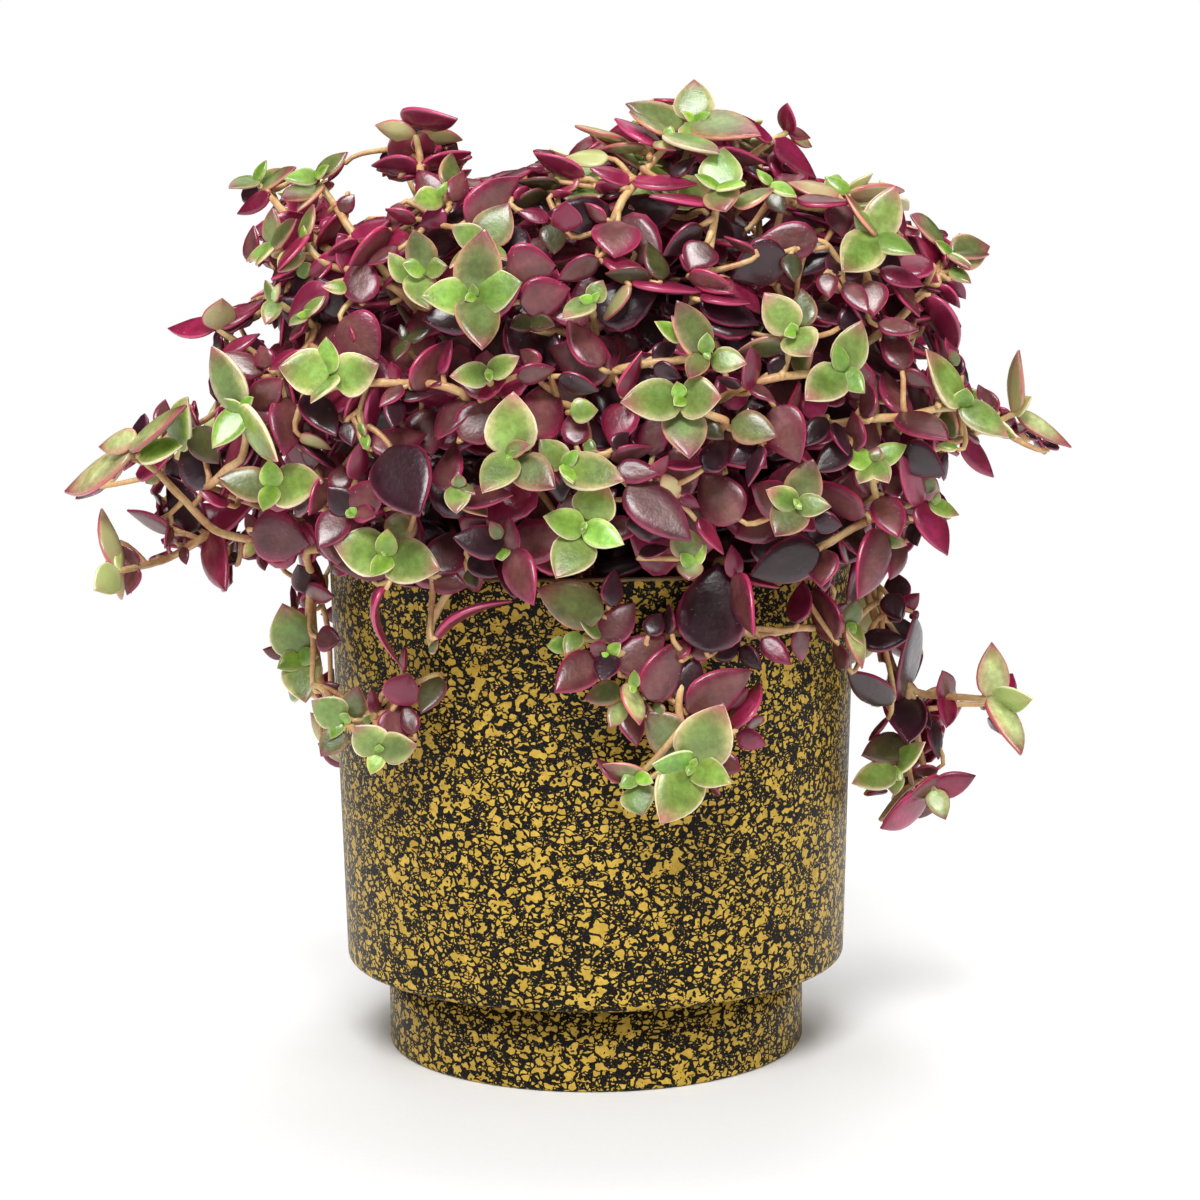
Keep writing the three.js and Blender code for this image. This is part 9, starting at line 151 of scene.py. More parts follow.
     [[-514,-750,1830,-491,-744,1829,-475,-711,1847,-468,-709,1858],[-561,-730,1840,-536,-736,1858,-490,-703,1851,-477,-707,1861],[-495,-710,1938,-470,-716,1950,-475,-645,1912,-476,-635,1911],[-509,-700,1948,-532,-697,1938,-492,-638,1932,-494,-629,1934],[-429,-720,1958,-409,-708,1975,-458,-668,1925,-475,-663,1922],[-482,-770,1800,-482,-779,1782,-482,-733,1826,-487,-730,1838],[-527,-760,1762,-549,-753,1784,-490,-727,1815,-487,-730,1838],[-686,-590,1863,-701,-577,1858,-663,-591,1898,-663,-599,1914],[-672,-561,1901,-667,-539,1929,-621,-504,1938,-617,-497,1959],[-570,-612,1806,-567,-596,1832,-526,-621,1853,-522,-636,1875],[-682,-400,2050,-673,-408,2054,-680,-408,2021,-685,-414,2016],[-574,-551,2014,-577,-563,2012,-558,-569,2019,-556,-580,2025],[-685,-467,1891,-699,-437,1899,-637,-467,1947,-635,-477,1974],[-766,-212,2091,-739,-247,2093,-734,-299,2069,-742,-334,2078],[-497,-541,1932,-520,-529,1929,-543,-549,1919,-567,-561,1922],[-688,-478,1804,-689,-466,1840,-669,-451,1877,-679,-454,1910],[-726,-436,1832,-740,-434,1821,-690,-457,1828,-686,-469,1830],[-698,-179,2131,-672,-168,2145,-728,-222,2090,-750,-240,2088],[-602,-384,1987,-584,-414,1985,-617,-447,1968,-635,-477,1974],[-734,-178,1952,-718,-231,1959,-720,-242,2037,-741,-270,2082],[-679,-190,2060,-673,-178,2078,-691,-193,2097,-704,-196,2117],[-428,-704,1803,-417,-709,1804,-404,-702,1815,-400,-707,1821],[-740,-271,1965,-757,-269,1948,-722,-216,1957,-728,-203,1962],[-579,-374,2013,-575,-369,2029,-588,-397,1986,-598,-409,1983],[-647,-159,2006,-669,-177,1985,-696,-188,1964,-728,-203,1962],[-691,-172,2039,-686,-170,2058,-682,-182,2073,-686,-188,2090],[-668,-340,1946,-657,-373,1934,-604,-385,1965,-598,-409,1983],[-653,-189,2019,-643,-195,2027,-662,-177,1991,-670,-175,1986],[-611,-217,2034,-600,-237,2034,-639,-189,2004,-657,-183,2003],[-743,-311,1852,-759,-352,1826,-699,-407,1823,-708,-450,1826],[-697,-122,1939,-680,-138,1953,-668,-160,1968,-670,-175,1986],[-752,-165,1870,-752,-208,1871,-729,-225,1926,-742,-251,1955],[-697,-355,1832,-701,-380,1811,-694,-420,1822,-708,-450,1826],[-729,-112,1830,-719,-130,1857,-730,-171,1861,-748,-194,1881],[-779,-347,1801,-784,-364,1796,-746,-337,1827,-744,-338,1839],[-590,-564,1880,-582,-563,1895,-568,-557,1908,-567,-561,1922],[-375,-577,1873,-370,-594,1847,-365,-583,1801,-369,-598,1786],[-548,-353,1982,-564,-343,1980,-571,-377,1990,-586,-390,2000],[-680,-365,1966,-673,-373,1971,-655,-361,1947,-652,-362,1945],[-672,-348,1906,-686,-344,1899,-652,-356,1932,-652,-362,1945],[-753,-222,1923,-752,-230,1921,-742,-216,1907,-742,-215,1904],[-632,-267,2065,-617,-252,2092,-663,-203,2074,-686,-188,2090],[-522,-428,1945,-526,-405,1971,-580,-393,1953,-611,-392,1967],[-576,-336,2018,-570,-350,2015,-567,-356,1991,-570,-367,1988],[-811,-178,1790,-790,-209,1800,-738,-167,1841,-734,-168,1865],[-596,-442,1889,-584,-435,1917,-595,-428,1949,-607,-433,1977],[-528,-498,1875,-539,-477,1876,-517,-522,1909,-522,-539,1927],[-751,-145,1859,-750,-155,1862,-734,-161,1862,-734,-168,1865],[-813,-255,1788,-819,-232,1781,-785,-202,1796,-789,-189,1804],[-706,-196,1956,-700,-184,1969,-675,-165,1961,-673,-157,1968],[-627,-571,1937,-629,-587,1943,-630,-597,1914,-637,-611,1911],[-337,-696,1799,-350,-699,1781,-369,-655,1799,-384,-653,1803],[-661,-485,1842,-660,-478,1852,-672,-464,1850,-680,-461,1856],[-709,-365,1848,-717,-351,1850,-730,-342,1839,-744,-338,1839],[-663,-235,2002,-678,-238,1984,-681,-197,1972,-697,-189,1970],[-788,-421,1781,-775,-448,1779,-728,-393,1811,-722,-392,1827],[-648,-360,1886,-658,-350,1888,-655,-352,1911,-663,-353,1923],[-509,-304,1971,-485,-332,1983,-519,-377,1951,-536,-411,1958],[-632,-239,1975,-647,-251,1973,-662,-220,1974,-680,-216,1980]],
     [[-774,-296,2108,7,61,62,53,32,0,10,5,1],[-773,-281,2113,-129,-19,-30,93,54,1,10,5,0],[-770,-251,2095,-20,38,96,72,48,1,10,5,0],[-768,-273,2092,-39,15,45,129,73,2,14,5,0],[-735,-343,2070,152,-24,-70,101,52,6,14,5,0],[-688,-622,1937,-171,-35,-42,72,41,1,10,5,0],[-689,-621,1938,-144,-48,-10,67,40,1,10,5,0],[-696,-616,1939,22,83,48,80,47,2,14,5,0],[-691,-621,1936,-45,27,66,104,59,2,14,5,0],[-754,-538,1905,15,83,44,81,47,4,16,5,0],[-600,-533,2092,-163,-5,-60,79,48,0,10,5,0],[-603,-532,2092,-2,35,49,88,56,2,14,5,0],[-604,-543,2090,-42,22,65,51,30,0,10,5,1],[-606,-523,2068,-129,-19,-24,114,70,2,14,5,0],[-597,-522,2072,-120,-39,18,106,58,2,14,5,0],[-544,-600,2009,7,50,78,48,41,4,16,5,1],[-545,-582,2009,122,-36,-28,147,81,4,16,5,0],[-621,-662,1945,28,67,22,81,48,2,14,5,0],[-617,-676,1943,40,84,39,31,18,0,10,5,1],[-618,-652,1952,-116,-41,21,122,76,6,14,5,0],[-631,-629,1924,-124,-36,-28,91,55,1,10,5,0],[-633,-642,1868,-35,37,102,45,37,0,10,5,1],[-483,-775,1802,93,63,-8,117,83,4,16,5,0],[-512,-755,1834,-164,3,-57,58,35,1,10,5,0],[-561,-730,1840,168,-36,95,115,68,6,14,5,0],[-495,-710,1938,166,-25,19,78,49,6,14,5,0],[-425,-723,1955,-149,-35,-133,125,80,4,16,5,0],[-509,-700,1948,-8,23,-140,94,60,6,14,5,0],[-528,-766,1763,-17,-42,84,119,122,4,16,5,0],[-371,-609,1784,-68,-60,35,100,87,4,15,6,4],[-373,-605,1792,164,73,-83,100,81,4,15,3,4],[-336,-513,1755,-20,25,61,114,103,5,15,5,4],[-345,-510,1751,172,-18,-57,114,104,4,15,9,4],[-267,-494,1670,67,23,-34,105,95,5,15,0,4],[-274,-501,1665,-166,-7,14,105,87,5,15,5,4],[-232,-477,1576,-173,-7,-27,128,99,5,15,6,4],[-222,-477,1578,-20,13,32,87,75,5,15,3,4],[-214,-419,1485,-71,-8,15,103,93,5,15,5,4],[-220,-415,1489,161,21,-36,87,60,6,15,9,4],[-210,-354,1411,-11,0,41,115,83,5,15,2,4],[-220,-354,1411,-165,-1,-41,135,113,4,15,1,4],[-222,-291,1352,150,49,-39,106,93,5,15,4,4],[-220,-297,1345,-94,-39,-6,90,61,5,15,7,4],[-224,-269,1247,46,4,-4,101,72,5,15,3,4],[-234,-274,1250,-177,18,12,101,69,4,15,3,4],[-680,-418,2006,123,-54,-1,135,110,5,15,5,4],[-674,-420,2015,42,54,-80,135,94,6,15,4,4],[-618,-504,1956,-154,8,61,134,119,4,15,8,4],[-610,-496,1956,51,6,-61,134,94,4,15,10,4],[-569,-560,1917,130,-49,13,136,117,5,15,9,4],[-506,-653,1883,62,-11,-63,120,107,4,15,2,4],[-516,-659,1884,-179,-6,64,102,89,4,15,6,4],[-573,-622,1894,-114,-37,29,114,104,4,15,5,4],[-489,-670,1868,-146,60,94,104,91,6,15,9,4],[-486,-664,1858,86,-50,-51,104,75,4,15,1,4],[-494,-630,1924,169,-20,8,125,110,4,15,4,4],[-485,-628,1930,48,38,-40,125,88,5,15,9,4],[-423,-648,1852,-67,17,40,132,117,6,15,7,4],[-429,-639,1855,97,25,-44,132,120,4,15,10,4],[-689,-591,1868,-39,12,24,93,82,6,15,5,4],[-677,-563,1904,-105,-51,42,66,58,4,15,7,4],[-569,-617,1809,-101,-56,-26,95,81,5,15,5,4],[-686,-402,2054,136,-17,-43,60,44,5,15,3,4],[-571,-553,2019,74,8,30,77,68,4,15,3,4],[-688,-470,1896,-66,-14,35,102,86,4,15,4,4],[-770,-215,2093,128,-2,-64,108,78,5,15,2,4],[-500,-545,1935,-27,7,54,131,96,6,15,1,4],[-688,-478,1804,-89,-71,79,94,66,6,15,9,4],[-726,-436,1832,-9,37,8,94,73,5,15,0,4],[-698,-179,2131,-158,-27,10,73,50,6,15,6,4],[-602,-384,1987,121,4,-2,124,95,6,15,6,4],[-734,-178,1952,107,-7,-11,130,113,4,15,4,4],[-680,-195,2064,-113,-53,-5,102,76,4,15,3,4],[-428,-704,1803,154,-3,-2,106,90,4,15,3,4],[-740,-271,1965,-4,43,5,136,94,5,15,4,4],[-578,-379,2014,-133,-66,-59,87,71,6,15,0,4],[-649,-162,2011,39,38,14,105,94,4,15,9,4],[-691,-172,2039,-168,-73,4,97,72,4,15,4,4],[-669,-343,1952,109,20,-20,57,40,5,15,10,4],[-658,-190,2023,149,-33,-36,64,47,4,15,5,4],[-614,-219,2039,119,1,-33,130,89,4,15,5,4],[-743,-311,1852,69,30,-48,60,41,5,15,5,4],[-701,-124,1942,137,-31,-50,114,84,6,15,7,4],[-752,-165,1870,90,-1,-51,68,48,4,15,5,4],[-697,-355,1832,81,41,-75,102,84,5,15,9,4],[-735,-113,1830,117,-53,-77,83,71,4,15,3,4],[-781,-348,1807,73,15,-14,101,85,4,15,6,4],[-594,-567,1882,-171,-63,-29,101,73,6,15,7,4],[-375,-582,1876,107,57,-13,99,73,5,15,2,4],[-549,-355,1987,-31,7,21,83,57,4,15,7,4],[-680,-365,1966,133,-24,-4,79,69,5,15,8,4],[-675,-352,1910,-16,27,47,101,70,4,15,0,4],[-753,-223,1929,100,12,-4,74,56,4,15,6,4],[-633,-272,2069,-135,-50,-28,71,55,4,15,10,4],[-522,-432,1949,-78,-49,9,148,133,4,15,0,4],[-578,-338,2023,113,11,-26,126,98,6,15,1,4],[-811,-178,1790,124,-15,-29,72,63,4,15,8,4],[-600,-444,1891,-150,-65,0,104,94,5,15,3,4],[-531,-500,1879,-61,-3,48,122,95,4,15,4,4],[-751,-145,1859,95,-16,-44,120,93,5,15,4,4],[-813,-255,1788,-77,18,26,71,65,4,15,9,4],[-706,-196,1956,-118,-42,47,74,68,5,15,1,4],[-627,-571,1937,82,-21,47,55,45,6,15,2,4],[-334,-700,1798,16,55,115,61,50,4,15,9,4],[-662,-490,1845,-93,-54,12,92,75,5,15,0,4],[-713,-368,1852,-63,-6,53,55,38,5,15,2,4],[-668,-237,2005,12,51,6,66,46,5,15,3,4],[-788,-421,1781,115,3,3,64,49,6,15,8,4],[-648,-362,1891,-42,-8,19,114,80,4,15,8,4],[-509,-304,1971,131,-17,1,97,80,5,15,3,4],[-632,-239,1975,40,6,-26,120,86,5,15,7,4]]),
    ("shoot_front_26",
     [[-342,-794,1862,-325,-722,1834,-316,-701,1824,-303,-653,1801,-283,-579,1758,-273,-543,1734,-253,-477,1678,-245,-448,1645,-230,-395,1574,-215,-349,1497,-209,-328,1457,-196,-294,1374,-191,-281,1331,-187,-275,1288,-179,-270,1201,-169,-274,1070]],
     [],
     [[-343,-804,1869,175,75,-80,88,70,2,14,5,0],[-342,-804,1869,-166,13,-79,53,49,0,10,5,0],[-345,-804,1869,-15,8,84,52,47,0,10,5,0],[-382,-783,1845,-178,55,-80,75,48,1,10,5,0],[-374,-782,1861,-56,-46,22,111,67,1,10,5,0],[-321,-735,1835,-46,-26,54,129,106,4,15,8,4],[-327,-732,1840,171,41,-75,129,90,6,15,1,4],[-301,-652,1803,-22,57,79,125,110,4,15,10,4],[-307,-654,1798,-155,-39,-43,125,90,4,15,4,4],[-274,-557,1737,-69,-45,30,149,126,5,15,8,4],[-254,-468,1669,-176,14,-43,115,101,5,15,6,4],[-245,-470,1670,-15,6,42,92,63,4,15,5,4],[-228,-398,1571,-68,-9,21,93,84,4,15,9,4],[-231,-391,1575,126,38,-27,136,98,4,15,9,4],[-211,-337,1482,55,46,8,128,111,5,15,9,4],[-217,-341,1479,-159,-5,-22,128,113,5,15,3,4],[-196,-289,1371,97,42,-9,108,84,5,15,1,4],[-192,-297,1370,-48,-4,16,108,74,4,15,2,4],[-186,-270,1278,86,20,-5,147,121,4,15,6,4],[-180,-275,1272,-16,8,6,125,88,5,15,0,4]]),
    ("shoot_front_27",
     [[-604,-735,1768,-596,-697,1757,-592,-689,1758,-586,-662,1752,-529,-580,1691,-490,-526,1642,-451,-477,1584,-432,-453,1552,-396,-407,1482,-364,-356,1404,-349,-326,1363,-336,-291,1319,-323,-313,1280,-312,-330,1240,-302,-343,1198,-283,-360,1114,-275,-365,1070],[-666,-688,1804,-604,-617,1755,-567,-636,1733]],
     [[-621,-730,1700,-598,-727,1712,-593,-694,1743,-592,-693,1761],[-585,-750,1699,-571,-747,1702,-596,-722,1711,-604,-719,1717],[-608,-750,1606,-627,-733,1632,-583,-725,1680,-588,-733,1708],[-697,-690,1667,-686,-701,1632,-616,-701,1701,-604,-719,1717],[-712,-680,1650,-698,-682,1643,-677,-689,1657,-672,-698,1661],[-660,-700,1598,-661,-689,1618,-663,-691,1644,-672,-698,1661],[-622,-750,1521,-655,-765,1536,-604,-729,1602,-612,-739,1630],[-634,-697,1584,-626,-710,1566,-611,-721,1617,-612,-739,1630],[-578,-698,1547,-574,-703,1573,-599,-719,1587,-616,-739,1601],[-638,-704,1512,-658,-711,1528,-621,-727,1558,-625,-745,1574],[-529,-711,1776,-509,-715,1745,-541,-632,1731,-557,-622,1723],[-495,-671,1680,-517,-657,1697,-523,-608,1697,-543,-601,1707],[-506,-696,1608,-480,-715,1618,-502,-650,1669,-512,-649,1692],[-624,-669,1485,-641,-653,1492,-630,-696,1521,-642,-715,1534],[-434,-600,1667,-420,-622,1627,-441,-499,1609,-459,-487,1596],[-610,-666,1523,-620,-675,1527,-626,-683,1520,-636,-694,1520],[-570,-711,1612,-553,-720,1632,-506,-688,1622,-494,-693,1628]],
     [[-606,-756,1776,-14,47,90,20,20,0,10,5,1],[-601,-755,1777,-144,-1,-79,27,18,0,10,5,1],[-609,-743,1780,0,39,49,61,38,1,10,5,0],[-606,-742,1781,-131,-32,-31,54,31,1,10,5,0],[-682,-693,1809,146,68,-85,52,31,1,10,5,0],[-678,-693,1812,-117,-55,-28,67,44,1,10,5,0],[-683,-692,1808,-49,52,98,53,27,3,14,5,0],[-711,-685,1654,173,26,-53,100,61,4,16,5,0],[-698,-696,1669,135,67,-50,52,49,4,16,5,0],[-621,-730,1700,-172,-27,130,77,46,6,14,5,0],[-583,-754,1695,-167,-9,-136,83,49,4,16,5,0],[-606,-754,1610,-41,-45,23,131,79,5,16,5,0],[-622,-750,1521,25,-23,-35,78,46,3,14,5,0],[-657,-704,1600,-85,-61,-30,144,87,4,16,5,0],[-585,-671,1752,-48,-25,59,106,79,4,15,8,4],[-591,-669,1757,174,38,-82,106,76,5,15,10,4],[-529,-587,1699,-16,47,55,128,97,5,15,8,4],[-536,-586,1693,-170,-26,-38,128,116,4,15,7,4],[-491,-522,1644,123,31,-46,144,130,5,15,7,4],[-487,-530,1639,-70,-17,40,144,102,6,15,1,4],[-442,-463,1562,-153,-16,-18,135,98,5,15,5,4],[-435,-461,1568,14,44,25,135,124,6,15,8,4],[-399,-419,1493,-59,-9,36,116,88,5,15,9,4],[-404,-411,1495,135,26,-40,116,93,4,15,3,4],[-358,-348,1398,28,58,24,101,81,5,15,6,4],[-362,-353,1393,-116,-20,0,101,74,6,15,2,4],[-324,-300,1303,17,20,-33,124,113,6,15,2,4],[-335,-299,1299,145,-4,15,124,103,6,15,9,4],[-308,-331,1217,104,6,-10,104,74,4,15,2,4],[-306,-342,1221,-85,40,13,89,81,5,15,5,4],[-625,-645,1770,-83,-15,50,122,93,4,15,7,4],[-626,-641,1776,101,72,-47,122,104,5,15,1,4],[-640,-699,1582,123,50,-106,106,87,4,15,9,4],[-582,-703,1546,129,-76,-107,56,51,4,15,0,4],[-638,-704,1512,18,-36,15,120,107,5,15,0,4],[-531,-717,1776,170,57,-92,105,73,5,15,7,4],[-496,-676,1682,-31,-33,59,100,76,6,15,6,4],[-510,-700,1611,145,-16,-62,110,80,6,15,6,4],[-628,-673,1484,-41,-16,104,62,56,4,15,5,4],[-436,-605,1669,122,56,-47,118,96,4,15,3,4],[-610,-666,1523,43,-18,-36,67,59,4,15,10,4],[-570,-711,1612,151,-46,-18,101,81,6,15,8,4]]),
    ("shoot_front_28",
     [[-322,-715,2018,-313,-662,1998,-307,-653,1997,-299,-608,1981,-279,-549,1935,-256,-485,1882,-231,-416,1818,-192,-303,1706,-179,-314,1670,-154,-330,1593,-142,-335,1552,-120,-342,1469,-101,-345,1382,-84,-347,1294,-53,-350,1070]],
     [[-304,-690,2045,-305,-699,2032,-306,-673,2011,-310,-674,2005],[-292,-710,2017,-295,-715,2009,-301,-688,2020,-306,-686,2024],[-304,-730,1995,-288,-733,2003,-303,-691,2012,-306,-686,2024],[-369,-720,1981,-343,-717,1971,-320,-676,1993,-310,-674,2005],[-260,-750,1972,-283,-760,1949,-320,-707,1971,-345,-707,1980],[-406,-750,1914,-377,-743,1932,-354,-706,1957,-345,-707,1980],[-404,-682,2016,-400,-674,2043,-341,-678,1989,-327,-689,1990],[-246,-593,2050,-228,-617,2037,-278,-583,1980,-294,-593,1969],[-209,-490,2020,-250,-487,2007,-256,-520,1942,-278,-546,1933],[-146,-657,1917,-203,-647,1927,-246,-571,1929,-286,-570,1951],[-220,-648,1927,-230,-647,1933,-217,-619,1925,-218,-614,1929],[-244,-717,1894,-275,-698,1920,-235,-610,1914,-239,-596,1933]],
     [[-316,-722,2030,-136,-16,-64,79,58,0,10,5,0],[-319,-724,2029,26,58,64,36,22,0,10,5,0],[-407,-754,1918,-166,-31,-39,75,46,4,16,5,0],[-370,-724,1977,-174,21,-137,69,40,6,14,5,0],[-304,-730,1995,168,-27,90,72,48,6,14,5,0],[-301,-694,2047,83,54,40,99,58,2,14,5,0],[-290,-715,2019,61,58,50,77,53,4,16,5,0],[-258,-755,1971,23,42,99,156,94,4,16,5,0],[-302,-654,1994,-27,-31,63,116,84,5,15,8,4],[-309,-650,2001,158,54,-67,116,85,4,15,4,4],[-283,-565,1953,31,62,33,114,83,5,15,4,4],[-289,-568,1945,-160,-37,-39,78,65,4,15,7,4],[-257,-480,1884,123,48,-38,149,124,4,15,1,4],[-253,-485,1880,-52,7,47,149,113,5,15,3,4],[-232,-408,1805,-158,-33,-33,130,100,5,15,8,4],[-223,-405,1812,15,41,38,130,95,5,15,1,4],[-203,-349,1746,-54,-24,37,114,104,6,15,7,4],[-209,-342,1751,133,31,-40,114,100,4,15,9,4],[-177,-320,1669,-83,28,17,114,81,5,15,3,4],[-180,-310,1672,108,9,-15,114,93,4,15,5,4],[-139,-331,1563,31,32,-16,124,111,4,15,2,4],[-150,-334,1560,-176,-7,8,124,105,6,15,6,4],[-117,-339,1446,122,10,-10,144,107,5,15,9,4],[-109,-347,1442,-43,30,7,144,125,5,15,2,4],[-88,-342,1337,51,17,-9,146,111,5,15,9,4],[-69,-350,1237,-15,20,2,125,114,5,15,9,4],[-78,-344,1241,127,10,-7,147,114,5,15,8,4],[-407,-688,2017,-120,-71,-7,72,50,4,15,4,4],[-246,-596,2055,125,23,-19,75,65,4,15,0,4],[-211,-491,2025,-4,16,15,130,117,6,15,1,4],[-146,-661,1922,-10,-10,30,139,121,4,15,8,4],[-219,-653,1929,-6,-34,53,107,88,4,15,8,4],[-247,-723,1895,-31,-36,79,63,44,4,15,1,4]]),
    ("shoot_front_29",
     [[6,-845,1788,12,-701,1743,23,-467,1652,27,-364,1615,32,-305,1580,36,-289,1546,41,-318,1514,46,-333,1479,50,-337,1442,54,-333,1402,58,-322,1361,61,-305,1318,65,-282,1274,69,-252,1229,73,-275,1187,77,-353,1149,81,-426,1110,86,-488,1070],[-123,-809,1744,-86,-765,1736,-74,-757,1742,-54,-732,1738,-19,-684,1728,16,-631,1715]],
     [[-44,-710,1766,-35,-706,1774,-35,-700,1738,-33,-704,1732]],
     [[6,-854,1797,16,59,68,51,47,1,10,5,0],[9,-865,1796,-153,12,-87,36,26,0,10,5,1],[6,-852,1801,-137,-27,-30,96,60,1,10,5,0],[5,-866,1796,-12,50,91,27,17,0,10,5,1],[-119,-812,1760,-135,-12,-64,71,44,7,14,5,0],[-126,-812,1760,-42,-11,60,77,46,7,14,5,0],[4,-780,1770,-173,3,-72,93,66,4,15,1,4],[14,-780,1771,1,20,71,137,118,5,15,2,4],[14,-676,1729,-78,-44,15,133,94,4,15,8,4],[13,-673,1737,145,77,-55,133,117,4,15,10,4],[23,-579,1696,-8,15,70,116,94,4,15,2,4],[14,-580,1694,-166,-6,-66,116,98,5,15,2,4],[23,-466,1657,116,77,-27,117,83,5,15,0,4],[24,-469,1649,-83,-49,9,117,90,6,15,4,4],[23,-376,1619,-159,-1,-68,118,87,4,15,4,4],[32,-376,1620,-3,10,71,118,91,6,15,4,4],[34,-297,1550,-108,-22,-1,109,83,6,15,7,4],[37,-288,1554,72,41,1,109,83,5,15,0,4],[50,-342,1438,-91,12,6,141,107,5,15,5,4],[50,-332,1445,92,14,-6,141,123,5,15,6,4],[60,-306,1332,99,37,-8,101,76,4,15,9,4],[61,-315,1329,-85,-12,6,101,77,5,15,4,4],[64,-260,1238,-156,-2,-30,124,101,5,15,8,4],[73,-259,1240,-7,12,35,84,76,5,15,0,4],[72,-319,1160,123,-38,29,92,65,5,15,7,4],[76,-323,1170,33,85,-118,136,105,5,15,5,4],[-74,-754,1738,175,-55,-57,149,117,5,15,8,4],[-70,-754,1747,-85,77,135,126,107,4,15,1,4],[-45,-714,1769,-161,-42,-42,69,52,5,15,9,4]]),
    ("shoot_front_30",
     [[443,-480,2185,416,-504,2168,402,-512,2159,306,-458,2094,275,-437,2069,251,-414,2037,230,-389,2004,212,-360,1970,196,-327,1933,184,-288,1894,174,-243,1854,167,-190,1812,163,-190,1774,161,-187,1735,162,-232,1660,164,-247,1621,168,-258,1581,172,-265,1541,178,-268,1500,183,-268,1458,194,-263,1374,231,-229,1070],[-14,-617,2031,11,-558,1919,105,-383,1883,174,-243,1854],[164,-570,2015,162,-493,1993,164,-448,1987,161,-356,1948,159,-327,1916,159,-289,1883,174,-243,1854],[277,-449,2119,254,-444,2044,249,-438,2028,216,-373,1964,199,-333,1930,184,-288,1894],[105,-467,2108,70,-443,2041,51,-424,1997,131,-308,1903,174,-243,1854]],
     [[405,-530,2162,410,-528,2158,403,-515,2159,404,-512,2161],[67,-430,2121,80,-424,2105,77,-441,2070,81,-451,2064],[-14,-491,2140,-38,-521,2125,55,-437,2089,77,-434,2091],[-115,-525,2111,-150,-503,2119,-28,-485,2103,-3,-488,2118],[238,-573,1998,212,-581,1983,180,-527,1998,166,-524,2009],[-80,-620,2007,-67,-643,1996,-22,-592,1987,-5,-596,1990],[-69,-551,2041,-100,-542,2042,-78,-502,2085,-83,-498,2112],[260,-648,1990,244,-642,2020,218,-573,1983,210,-563,1992],[334,-485,2076,344,-475,2074,317,-465,2089,314,-462,2099]],
